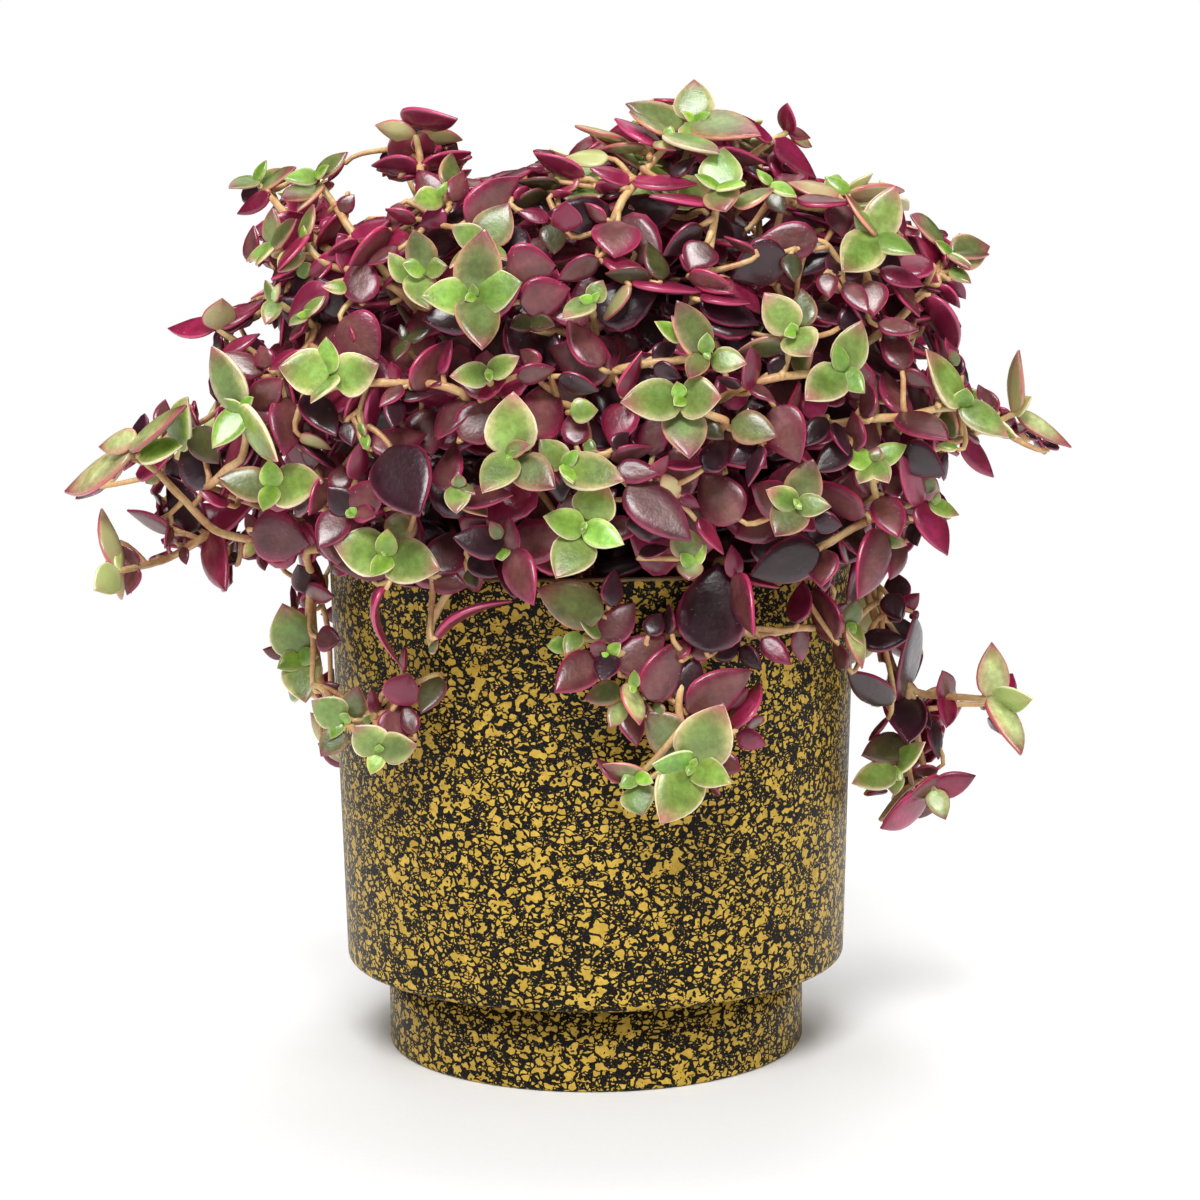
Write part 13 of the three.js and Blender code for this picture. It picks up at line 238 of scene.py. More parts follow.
     [[-614,710,1934,-575,647,1903,-545,602,1878,-509,551,1844,-487,523,1821,-444,474,1770,-423,453,1741,-402,434,1710,-363,403,1643,-344,390,1608,-310,371,1532,-294,363,1493,-267,352,1412,-243,345,1329,-224,341,1243,-194,336,1070],[-568,593,2030,-556,611,1932,-551,611,1884],[-810,490,1848,-734,543,1811,-686,572,1799,-663,581,1800,-640,588,1807,-618,590,1816,-577,588,1841,-530,580,1865],[-493,596,2006,-466,498,1797],[-500,717,1931,-519,685,1916,-551,611,1884],[-748,502,1988,-530,580,1865],[-452,712,2051,-536,672,1953,-572,644,1902]],
     [[-511,670,1929,-518,667,1939,-532,665,1939,-542,668,1945],[-805,520,1853,-795,528,1865,-769,518,1829,-765,522,1824],[-775,570,1840,-764,576,1852,-762,530,1825,-765,522,1824],[-542,640,2011,-541,635,2029,-552,606,1981,-561,602,1977],[-544,620,2032,-555,619,2028,-545,616,2005,-549,618,1999],[-808,500,1872,-798,492,1880,-784,514,1849,-783,522,1845],[-449,680,2012,-435,679,2013,-476,686,2006,-489,694,2009],[-748,610,1816,-736,621,1836,-698,573,1800,-691,569,1800],[-489,720,1930,-513,721,1931,-513,671,1908,-528,665,1908],[-629,680,1863,-607,678,1873,-589,660,1895,-585,663,1911],[-604,710,1838,-602,702,1857,-597,674,1868,-602,671,1883],[-662,640,1900,-675,624,1924,-586,634,1895,-572,644,1902],[-410,660,2046,-392,666,2063,-447,672,2012,-466,686,2009],[-547,740,1833,-528,723,1859,-512,695,1892,-512,696,1920],[-394,670,2050,-414,680,2031,-443,673,2011,-466,686,2009],[-503,750,1854,-498,738,1881,-503,700,1898,-512,696,1920],[-428,750,1895,-427,733,1926,-484,698,1906,-512,696,1920],[-415,750,1903,-452,751,1918,-480,697,1908,-512,696,1920],[-391,680,2030,-385,677,2039,-413,668,2032,-422,669,2037],[-620,720,1746,-569,712,1758,-597,607,1796,-609,590,1822],[-687,444,1906,-690,466,1878,-648,506,1919,-651,536,1933],[-577,690,1877,-561,701,1889,-525,692,1886,-515,702,1895],[-667,480,1929,-674,482,1923,-664,486,1910,-667,491,1906],[-762,523,1720,-783,494,1723,-752,514,1794,-765,522,1824],[-697,559,1755,-688,574,1742,-665,570,1786,-664,581,1800],[-388,659,1985,-400,644,1999,-425,665,2006,-444,676,2021],[-717,632,1786,-710,651,1802,-669,587,1793,-664,581,1800],[-493,781,1834,-490,797,1850,-494,737,1862,-501,733,1877],[-813,437,1620,-788,477,1641,-761,481,1707,-769,509,1740],[-756,557,1682,-742,567,1701,-757,503,1704,-769,493,1714],[-795,403,1697,-788,384,1718,-769,457,1686,-774,482,1687],[-754,484,1741,-741,467,1746,-762,455,1702,-775,451,1693],[-755,587,1687,-743,598,1684,-746,549,1694,-751,541,1698],[-730,573,1682,-740,562,1682,-741,546,1693,-751,541,1698],[-707,543,1659,-706,551,1640,-733,537,1687,-751,541,1698],[-458,723,1805,-495,709,1771,-551,689,1761,-597,701,1758],[-475,693,1778,-479,682,1774,-497,699,1774,-508,706,1775],[-472,663,1679,-454,653,1716,-469,687,1756,-482,714,1788],[-487,666,1835,-510,645,1850,-519,602,1858,-540,594,1874],[-807,428,1782,-812,403,1797,-777,418,1717,-782,421,1701],[-474,483,2013,-503,495,1988,-470,531,1938,-482,559,1928],[-520,512,1896,-510,527,1899,-481,524,1876,-475,534,1876]],
     [[-615,698,1935,-163,71,73,120,113,1,10,5,2],[-615,698,1935,44,-35,-55,143,132,1,10,5,2],[-615,698,1935,4,55,-75,78,62,0,10,5,2],[-615,698,1935,151,-28,52,102,70,0,10,5,2],[-615,698,1935,7,50,-10,115,83,2,14,5,2],[-790,470,1883,41,22,-49,120,69,2,14,5,2],[-814,465,1850,-131,65,91,59,35,2,14,5,3],[-812,478,1849,-153,9,72,107,105,2,14,5,2],[-810,490,1848,120,-33,-16,76,43,2,14,5,3],[-812,478,1849,-163,-4,20,98,58,2,14,5,2],[-810,490,1848,41,23,-55,68,39,1,10,5,3],[-810,490,1848,132,-23,0,63,39,0,10,5,3],[-786,470,1841,42,24,-86,99,56,6,14,5,2],[-569,590,2039,-15,34,89,64,45,0,10,5,3],[-572,565,2041,154,34,-34,71,43,0,10,5,3],[-571,578,2040,-152,3,-38,155,72,3,14,5,2],[-502,721,1929,114,-19,7,126,99,1,12,5,2],[-498,713,1934,-64,32,-8,121,102,1,12,5,2],[-505,719,1940,-167,25,28,74,58,0,12,5,3],[-496,723,1939,31,11,-26,67,57,0,12,5,3],[-499,721,1950,-53,65,-16,36,30,0,12,5,3],[-503,729,1945,110,14,7,33,28,0,12,5,3],[-454,716,2049,118,-21,12,92,73,2,12,5,2],[-450,708,2054,-58,35,-13,91,81,2,12,5,2],[-457,714,2060,-167,28,32,62,54,0,12,5,3],[-448,718,2058,33,7,-28,63,53,0,12,5,3],[-451,717,2069,-40,66,-28,33,28,0,12,5,3],[-455,725,2064,112,11,11,28,24,0,12,5,3],[-752,499,1987,-153,-9,28,107,85,1,12,5,2],[-743,504,1990,34,21,-30,100,84,1,12,5,2],[-750,500,1998,-76,47,22,69,54,0,12,5,3],[-753,508,1994,118,-9,-15,59,49,0,12,5,3],[-751,509,2005,59,48,-45,30,27,0,12,5,3],[-760,505,2002,-169,20,30,30,27,0,12,5,3],[-498,598,2005,160,-11,14,103,81,1,12,5,2],[-489,595,2008,-17,24,-15,90,78,1,12,5,2],[-497,595,2016,-120,33,21,64,58,0,12,5,3],[-493,604,2013,73,5,-18,57,52,0,12,5,3],[-492,601,2024,-2,56,-25,29,26,0,12,5,3],[-501,604,2021,152,21,15,25,23,0,12,5,3],[-485,573,1945,-165,1,22,136,107,4,12,5,2],[-476,576,1946,20,12,-22,137,121,4,12,5,2],[-544,620,2032,4,17,148,116,65,3,14,5,2],[-410,660,2046,-163,-42,-45,69,43,6,14,5,2],[-449,680,2012,175,-5,21,119,76,4,16,5,2],[-542,640,2011,99,-76,8,78,88,4,16,5,2],[-489,720,1930,-2,-3,-99,129,109,4,16,5,2],[-415,750,1903,-2,-22,-104,129,140,5,16,5,2],[-511,670,1929,25,-51,-62,100,97,5,16,5,2],[-428,750,1895,93,-62,-10,70,63,7,14,5,2],[-808,500,1872,142,-29,75,64,39,1,10,5,2],[-805,520,1853,-144,-42,-57,64,39,6,14,5,2],[-775,570,1840,-153,-43,-48,75,44,6,14,5,2],[-629,680,1863,174,-23,54,99,57,6,14,5,2],[-604,710,1838,104,-67,13,83,93,4,16,5,2],[-547,740,1833,138,-47,65,90,64,4,16,5,2],[-748,610,1816,-134,-51,-18,162,94,6,14,5,2],[-503,750,1854,110,-65,18,60,62,4,16,5,2],[-620,720,1746,171,-13,70,88,53,4,16,5,2],[-662,640,1900,50,-50,-50,93,67,5,16,5,2],[-394,670,2050,-27,40,-45,49,30,0,10,5,2],[-391,680,2030,152,-51,74,57,57,7,14,5,2],[-567,643,1896,66,-32,-51,141,102,4,15,0,4],[-575,636,1900,-160,10,67,141,128,4,15,10,4],[-515,561,1844,118,-40,-7,142,126,4,15,7,4],[-516,554,1853,-136,45,63,142,114,5,15,1,4],[-468,492,1793,-147,-4,49,122,110,5,15,4,4],[-459,499,1795,49,17,-52,122,105,4,15,3,4],[-415,445,1738,-60,62,13,134,109,5,15,3,4],[-421,452,1730,128,-28,-7,134,91,6,15,3,4],[-361,409,1650,50,15,-36,123,93,5,15,5,4],[-370,401,1648,-150,13,36,123,92,5,15,6,4],[-331,384,1571,135,-6,-7,134,96,4,15,1,4],[-324,376,1577,-52,44,10,134,96,5,15,10,4],[-291,356,1473,-140,18,21,115,84,5,15,2,4],[-284,365,1475,58,27,-23,115,92,6,15,9,4],[-248,345,1367,-33,31,5,143,124,5,15,6,4],[-258,351,1364,149,-6,-4,143,125,5,15,1,4],[-229,348,1282,66,25,-13,119,96,5,15,1,4],[-235,337,1282,-120,3,12,119,92,5,15,6,4],[-218,342,1184,150,4,-4,134,120,4,15,10,4],[-208,336,1186,-33,31,5,134,121,4,15,5,4],[-562,602,1950,-125,11,-1,126,90,4,15,9,4],[-555,611,1952,54,34,1,101,83,5,15,5,4],[-746,542,1811,150,-27,-60,137,97,6,15,10,4],[-739,534,1815,-78,21,78,137,94,4,15,1,4],[-631,589,1804,11,-71,-176,137,113,4,15,5,4],[-636,588,1815,-171,53,178,137,100,4,15,5,4],[-470,540,1884,31,20,-28,102,89,5,15,1,4],[-481,540,1883,156,4,21,102,79,4,15,3,4],[-674,524,1941,-126,-28,34,150,105,4,15,4,4],[-672,531,1950,79,50,-50,150,121,6,15,0,4],[-595,550,1901,-90,-15,57,140,126,4,15,8,4],[-599,561,1902,141,-1,-58,119,93,6,15,7,4],[-504,684,1982,-3,-26,-19,83,70,6,15,3,4],[-513,686,1990,158,57,32,122,94,4,15,8,4],[-687,444,1906,-81,51,-13,100,90,4,15,9,4],[-577,690,1877,-144,-30,11,55,39,5,15,9,4],[-667,480,1929,-14,43,-4,121,97,4,15,9,4],[-762,523,1720,55,-4,-38,105,83,4,15,4,4],[-697,559,1755,-120,35,24,97,76,4,15,6,4],[-388,659,1985,52,-35,-30,113,97,4,15,1,4],[-717,632,1786,-112,-40,95,103,81,6,15,9,4],[-493,781,1834,-101,-46,73,129,101,4,15,3,4],[-813,437,1620,-122,-24,-47,104,89,4,15,1,4],[-756,557,1682,-147,-48,31,123,110,4,15,5,4],[-795,403,1697,111,-47,-77,90,82,5,15,0,4],[-754,484,1741,128,-15,-21,59,51,5,15,2,4],[-755,587,1687,-134,8,47,67,54,4,15,9,4],[-730,573,1682,48,1,-63,102,86,5,15,6,4],[-707,543,1659,-98,66,76,113,93,4,15,6,4],[-458,723,1805,20,41,-45,86,58,4,15,6,4],[-475,693,1778,70,20,-43,57,50,5,15,9,4],[-472,663,1679,152,-61,0,120,102,4,15,4,4],[-487,666,1835,42,-26,-28,75,64,6,15,4,4],[-807,428,1782,79,-29,-38,105,78,4,15,4,4],[-474,483,2013,-22,38,-14,72,62,4,15,4,4],[-520,512,1896,-124,-10,25,106,79,6,15,3,4]]),
    ("shoot_crown_06",
     [[-916,212,1573,-802,181,1511,-728,161,1467,-659,143,1417,-595,127,1360,-540,113,1296,-493,102,1225,-453,93,1149,-420,85,1070],[-885,91,1561,-802,181,1511],[-892,272,1602,-839,191,1532]],
     [[-955,300,1558,-970,315,1525,-872,244,1563,-865,232,1567],[-881,354,1567,-857,364,1591,-872,273,1559,-888,253,1558],[-913,430,1563,-925,451,1535,-865,352,1570,-869,335,1575],[-913,430,1540,-885,411,1558,-865,352,1565,-869,335,1575],[-707,230,1120,-686,194,1164,-588,143,1303,-583,124,1347],[-711,129,1091,-712,151,1063,-685,191,1138,-694,214,1144],[-716,129,1071,-690,117,1044,-685,191,1134,-694,214,1144],[-737,141,1067,-713,142,1099,-690,194,1133,-694,214,1144],[-690,195,814,-674,159,859,-673,151,1032,-696,143,1078],[-853,6,1734,-836,63,1736,-817,104,1577,-843,136,1537],[-863,238,1722,-859,191,1759,-816,105,1678,-834,69,1674],[-869,347,1606,-874,337,1621,-863,314,1577,-870,307,1570],[-846,-49,1616,-844,-2,1620,-815,51,1635,-832,83,1646],[-835,124,1632,-839,115,1626,-827,102,1621,-830,95,1618],[-814,273,1680,-828,239,1652,-834,237,1591,-865,232,1567],[-670,164,1199,-679,147,1199,-635,165,1234,-634,167,1242],[-849,209,1621,-859,198,1601,-841,209,1566,-852,212,1550],[-821,-66,1654,-818,-26,1627,-811,37,1664,-834,69,1674],[-668,146,1172,-669,149,1155,-659,177,1190,-664,189,1192],[-823,16,1681,-821,14,1690,-816,17,1660,-819,17,1654],[-734,84,1205,-752,115,1193,-658,139,1221,-654,159,1219],[-812,278,1581,-820,260,1578,-829,244,1589,-845,236,1593],[-784,39,1203,-796,52,1146,-701,135,1142,-707,167,1110],[-833,62,1491,-817,86,1503,-827,117,1525,-843,136,1537],[-875,46,1403,-871,90,1439,-826,113,1505,-843,136,1537],[-726,142,1245,-719,168,1247,-661,153,1229,-654,159,1219],[-807,150,1458,-806,169,1450,-767,165,1482,-765,171,1490],[-494,120,1135,-494,139,1137,-467,101,1172,-467,96,1178],[-771,82,1266,-771,61,1246,-725,102,1222,-726,110,1203],[-850,497,1591,-863,523,1568,-870,425,1559,-895,411,1551],[-849,176,1735,-847,188,1733,-850,200,1730,-857,209,1731],[-798,89,1398,-797,63,1409,-840,70,1417,-870,65,1422],[-849,137,1659,-847,145,1673,-831,127,1688,-834,125,1700],[-856,135,1301,-860,103,1270,-763,92,1261,-757,80,1243],[-865,-33,1629,-863,-30,1638,-844,-25,1621,-843,-22,1620],[-833,71,1376,-834,81,1368,-813,71,1402,-814,71,1410],[-639,211,1160,-626,208,1140,-638,184,1207,-649,178,1217],[-839,225,1568,-843,217,1572,-843,209,1580,-850,205,1585],[-848,-29,1732,-830,-50,1748,-813,-36,1663,-819,-39,1645],[-857,-52,1786,-866,-28,1774,-825,-42,1727,-829,-41,1713]],
     [[-896,272,1599,-173,-35,13,92,83,1,12,5,2],[-888,273,1605,11,48,-16,106,91,1,12,5,2],[-898,268,1609,-105,25,47,62,53,0,12,5,3],[-898,278,1608,103,4,-42,56,48,0,12,5,3],[-900,275,1618,54,77,-56,33,29,0,12,5,3],[-908,274,1612,180,-2,11,30,25,0,12,5,3],[-917,208,1574,-109,11,40,100,90,2,12,5,0],[-914,217,1573,80,0,-39,99,83,2,12,5,0],[-917,214,1583,-5,59,-11,52,45,0,12,5,1],[-925,215,1577,168,-19,6,55,49,0,12,5,1],[-929,219,1590,103,25,-44,25,21,0,12,5,1],[-928,212,1587,-134,35,50,30,26,0,12,5,1],[-886,86,1561,-112,4,60,94,81,2,12,5,0],[-883,96,1561,80,3,-60,95,77,2,12,5,0],[-890,92,1570,-13,80,-3,56,46,0,12,5,1],[-895,94,1562,164,-40,1,68,57,0,12,5,1],[-903,97,1573,110,19,-66,29,24,0,12,5,1],[-901,90,1570,-142,19,66,27,24,0,12,5,1],[-707,230,1120,121,-47,39,80,69,5,16,5,2],[-716,124,1074,155,43,-49,61,48,6,14,5,2],[-738,135,1067,-178,-52,-84,25,28,6,14,5,2],[-690,195,814,114,-50,67,87,50,5,16,5,2],[-711,129,1091,-88,52,-7,85,74,5,16,5,2],[-913,430,1540,146,-28,109,82,51,1,10,5,2],[-913,430,1563,-59,49,-55,70,42,4,16,5,2],[-955,300,1558,-44,56,-59,67,44,4,16,5,2],[-881,354,1567,-156,-42,-41,77,47,6,14,5,2],[-842,188,1528,-139,-34,48,102,71,4,15,6,4],[-835,195,1536,52,41,-54,102,93,4,15,8,4],[-757,165,1489,-84,43,54,101,71,6,15,9,4],[-759,174,1482,107,-36,-47,101,71,4,15,3,4],[-679,153,1438,53,33,-48,109,97,4,15,3,4],[-686,145,1432,-139,-23,43,109,88,5,15,6,4],[-607,134,1365,134,-17,-25,104,85,5,15,0,4],[-602,125,1373,-72,51,40,104,83,4,15,3,4],[-547,109,1301,-136,9,38,148,112,5,15,4,4],[-542,120,1303,72,25,-42,148,129,4,15,2,4],[-487,98,1225,-41,32,13,141,120,6,15,4,4],[-495,105,1219,146,0,-11,141,97,4,15,2,4],[-853,6,1734,-107,-2,1,93,67,4,15,1,4],[-863,238,1722,95,-39,-46,111,94,6,15,4,4],[-869,347,1606,62,-54,61,66,57,5,15,9,4],[-846,-49,1616,-93,-5,64,134,97,4,15,8,4],[-835,124,1632,67,28,-88,129,90,6,15,6,4],[-814,273,1680,67,38,3,127,100,4,15,5,4],[-670,164,1199,61,-1,-40,79,65,4,15,0,4],[-849,209,1621,46,53,-27,109,82,4,15,9,4],[-821,-66,1654,-94,33,40,87,75,5,15,1,4],[-668,146,1172,-68,80,68,89,74,6,15,2,4],[-823,16,1681,140,-69,-29,65,47,4,15,3,4],[-739,81,1206,-59,18,79,111,89,6,15,9,4],[-812,278,1581,66,9,-87,123,97,5,15,3,4],[-784,39,1203,-46,73,54,148,114,5,15,10,4],[-833,62,1491,-123,-23,33,100,77,6,15,3,4],[-879,43,1407,-95,-39,38,131,101,4,15,9,4],[-726,142,1245,-104,-4,72,96,80,6,15,8,4],[-807,150,1458,-92,21,59,121,110,6,15,3,4],[-494,120,1135,-88,-5,82,131,103,4,15,3,4],[-771,82,1266,89,43,-79,111,85,4,15,2,4],[-850,497,1591,-64,39,58,107,82,4,15,7,4],[-849,176,1735,-99,8,23,56,52,6,15,4,4],[-798,89,1398,91,-22,-62,118,88,6,15,3,4],[-849,137,1659,-107,-59,60,116,94,6,15,2,4],[-856,135,1301,83,43,-77,102,80,4,15,7,4],[-865,-33,1629,-122,-65,60,115,94,4,15,7,4],[-833,71,1376,-84,40,5,119,82,4,15,8,4],[-639,211,1160,163,57,-170,64,55,4,15,10,4],[-839,225,1568,67,-26,-55,97,82,4,15,8,4],[-848,-29,1732,131,-30,55,95,72,4,15,5,4],[-857,-52,1786,-70,26,9,78,63,4,15,9,4]]),
    ("shoot_rear_07",
     [[-239,910,1689,-162,851,1664,-108,805,1644,-82,778,1632,-58,749,1618,-38,720,1602,-21,690,1584,-8,660,1562,3,631,1539,10,603,1512,15,577,1484,18,552,1453,19,528,1420,16,487,1349,13,469,1312,5,438,1234,-3,412,1153,-12,390,1070],[163,930,1479,128,863,1504,99,814,1523,32,743,1562,-21,690,1584],[49,889,1596,-38,809,1618,-82,778,1632],[-527,860,1649,-450,839,1649,-373,826,1632,-328,819,1629,-213,809,1627,-143,794,1628,-112,783,1628,-82,778,1632],[549,840,1649,491,831,1639,409,827,1631,359,829,1625,130,806,1605,85,791,1603,-2,747,1597,-38,720,1602],[-6,880,1628,-44,834,1632,-82,778,1632],[14,900,1327,-23,874,1517,-21,857,1567,-13,840,1587,-4,822,1600,13,782,1615,16,760,1617,13,734,1616,-21,690,1584],[209,890,1646,122,801,1634,92,773,1625,24,718,1595,-21,690,1584],[193,899,1723,31,815,1659,-11,782,1634,-58,749,1618],[-6,860,1796,-82,778,1632],[115,890,1797,20,817,1691,-21,784,1660,-58,749,1618],[616,670,1942,514,694,1884,401,718,1824,328,729,1785,253,734,1746,176,731,1707,137,727,1686,98,719,1664,19,698,1616,-21,690,1584],[237,900,1806,168,851,1754,73,792,1680,-10,748,1627,-38,720,1602],[-222,815,1863,-203,812,1828,-187,807,1792,-177,805,1754,-168,811,1718,-153,822,1684,-137,832,1655],[-276,770,2033,-261,777,1914,-256,779,1895,-251,783,1876,-235,797,1833,-216,811,1801,-194,824,1771,-167,828,1742,-142,822,1711,-108,805,1644],[-98,851,1892,-108,846,1813,-119,835,1694,-137,832,1655],[-64,752,2013,-57,753,1893,-53,757,1754,-55,754,1664,-58,749,1618],[55,900,1454,42,825,1547,28,787,1591,16,760,1617],[-426,850,1729,-404,831,1640],[772,290,2107,673,476,2007,633,546,1970,587,611,1934,563,641,1916,509,695,1882],[685,630,1933,704,596,1925,690,593,1919,671,595,1914,517,672,1868,473,703,1862],[599,540,2088,480,656,1920,401,718,1824],[220,810,1919,201,830,1843,176,855,1759],[123,820,1757,9,744,1648,-38,720,1602],[387,780,1716,322,789,1671,222,815,1613]],
     [[-131,840,1679,-122,844,1674,-123,814,1671,-121,811,1670],[396,820,1621,390,815,1628,372,823,1624,367,829,1626],[-320,830,1624,-331,831,1620,-341,820,1627,-351,822,1630],[-376,820,1644,-368,822,1638,-355,818,1633,-351,822,1630],[-248,780,1917,-254,776,1926,-259,772,1935,-265,775,1945],[-62,760,1964,-63,757,1968,-61,752,1954,-60,752,1952],[-137,850,1662,-128,848,1667,-127,834,1676,-125,834,1683],[152,850,1644,172,854,1639,175,813,1616,184,812,1610],[408,820,1638,407,818,1633,399,824,1631,398,828,1630],[-47,830,1651,-58,834,1647,-59,806,1636,-64,804,1632],[-233,820,1800,-219,819,1802,-204,807,1807,-196,810,1812],[-337,830,1617,-331,827,1622,-323,818,1625,-321,819,1629],[105,850,1497,109,850,1506,109,832,1511,111,832,1516],[452,810,1626,450,816,1635,432,820,1630,428,828,1633],[102,830,1665,86,836,1651,99,783,1634,99,780,1627],[308,830,1647,312,830,1638,305,822,1626,306,824,1620],[-213,800,1853,-199,794,1856,-199,802,1820,-196,810,1812],[-39,760,1973,-47,762,1966,-55,750,1955,-60,752,1952],[-235,780,1802,-219,779,1810,-204,796,1807,-196,810,1812],[42,850,1568,53,851,1567,41,824,1555,41,822,1551],[482,800,1630,477,806,1641,462,817,1633,459,830,1636],[62,850,1643,78,848,1648,81,839,1671,88,845,1682],[-236,760,1958,-247,758,1966,-259,765,1967,-269,773,1974],[-210,840,1637,-210,845,1625,-201,809,1629,-199,806,1627],[-410,810,1711,-423,811,1712,-414,830,1701,-419,843,1699],[411,820,1596,410,812,1606,398,821,1620,398,828,1630],[11,850,1499,23,846,1504,40,852,1501,49,861,1503],[230,850,1594,243,851,1587,240,820,1609,245,818,1615],[-22,850,1659,-30,855,1648,-40,830,1638,-46,831,1632],[-462,800,1648,-464,807,1634,-464,827,1647,-469,844,1649],[-67,850,1600,-59,844,1583,-26,834,1589,-13,840,1587],[220,840,1653,220,844,1637,220,815,1621,222,815,1613],[145,820,1799,163,823,1795,179,827,1805,192,839,1812],[-86,800,1836,-68,800,1839,-62,759,1828,-55,755,1831],[-152,810,1841,-158,818,1825,-184,803,1816,-196,810,1812],[-30,800,1882,-11,800,1889,-49,758,1862,-56,754,1861],[-86,820,1830,-96,825,1841,-71,785,1830,-67,781,1834],[-17,800,1890,-28,800,1896,-31,777,1875,-36,776,1873],[-129,810,1853,-147,810,1852,-159,803,1827,-171,811,1823],[122,850,1510,123,852,1508,124,853,1507,124,856,1506],[379,820,1621,388,826,1610,345,820,1621,337,827,1623],[-341,830,1615,-342,812,1591,-275,807,1622,-260,814,1627],[30,850,1497,29,862,1480,-5,863,1480,-17,880,1475],[401,820,1596,413,821,1595,396,821,1620,398,828,1630],[175,800,1867,189,800,1865,198,813,1863,207,824,1865],[561,730,1840,540,735,1855,516,696,1867,509,695,1882],[509,700,1948,527,697,1940,484,659,1925,483,653,1924],[495,710,1938,477,715,1947,481,661,1923,483,653,1924],[514,750,1830,489,743,1829,470,708,1846,464,705,1857],[-459,790,1741,-460,802,1716,-423,820,1706,-419,843,1699],[482,770,1800,482,778,1784,487,740,1823,493,737,1834],[-352,770,1906,-383,771,1890,-273,766,1885,-254,781,1887],[270,840,1511,291,851,1488,243,822,1577,240,834,1600],[519,790,1546,529,773,1581,464,806,1612,459,830,1636],[46,770,1949,46,754,1914,-16,760,1883,-36,776,1873],[486,800,1546,492,795,1558,502,785,1567,512,786,1575],[478,800,1520,484,788,1539,498,781,1561,512,786,1575],[462,810,1491,493,825,1484,492,779,1553,512,786,1575],[419,820,1491,427,808,1509,463,803,1500,484,810,1503],[520,442,2018,558,460,1981,588,511,1965,630,550,1968],[536,482,2014,528,483,2022,535,458,2002,538,454,2002],[136,834,1772,120,835,1768,133,824,1735,133,829,1727],[639,565,1916,625,578,1920,604,582,1932,599,594,1943],[-345,702,1888,-353,708,1867,-336,745,1886,-339,770,1893],[-269,725,1744,-229,749,1724,-182,774,1706,-162,816,1704],[188,799,1660,205,793,1652,206,803,1622,215,815,1612],[-232,719,1898,-230,737,1877,-239,760,1863,-245,787,1859],[-400,759,1826,-397,752,1857,-348,756,1870,-339,770,1893],[-360,736,1828,-375,736,1841,-346,719,1863,-345,722,1879],[554,521,2057,574,500,2067,535,464,2007,538,454,2002],[-148,853,1542,-116,854,1567,-66,827,1575,-43,841,1588],[9,730,1898,10,709,1880,-40,738,1864,-56,754,1861],[-90,762,1894,-81,758,1901,-65,751,1889,-57,753,1891],[346,820,1498,364,798,1487,284,823,1519,269,839,1526],[175,833,1469,170,832,1496,124,820,1504,111,832,1516],[521,727,1586,503,743,1575,493,770,1592,492,796,1597],[499,732,1457,508,734,1489,486,770,1509,493,799,1527],[445,760,1485,455,758,1509,475,780,1516,493,799,1527],[-29,688,1983,-53,685,1995,-52,727,1953,-60,752,1952],[495,789,1499,498,788,1508,479,780,1512,476,782,1517],[-387,789,1710,-408,786,1702,-429,792,1715,-449,805,1720],[-428,717,1710,-456,714,1686,-423,783,1704,-432,822,1708],[-123,803,1576,-116,807,1594,-113,779,1613,-111,783,1628],[339,758,1478,352,757,1459,324,791,1497,325,814,1503],[-91,777,1584,-85,776,1600,-73,758,1613,-68,761,1624],[-3,686,1921,-19,690,1941,-37,690,1956,-48,703,1977],[-536,749,1669,-543,757,1634,-473,791,1646,-464,821,1643],[474,637,1931,483,642,1921,465,655,1907,467,667,1904],[-342,746,1657,-341,732,1702,-243,734,1701,-222,754,1723],[506,390,2058,523,416,2041,528,447,2022,547,474,2024]],
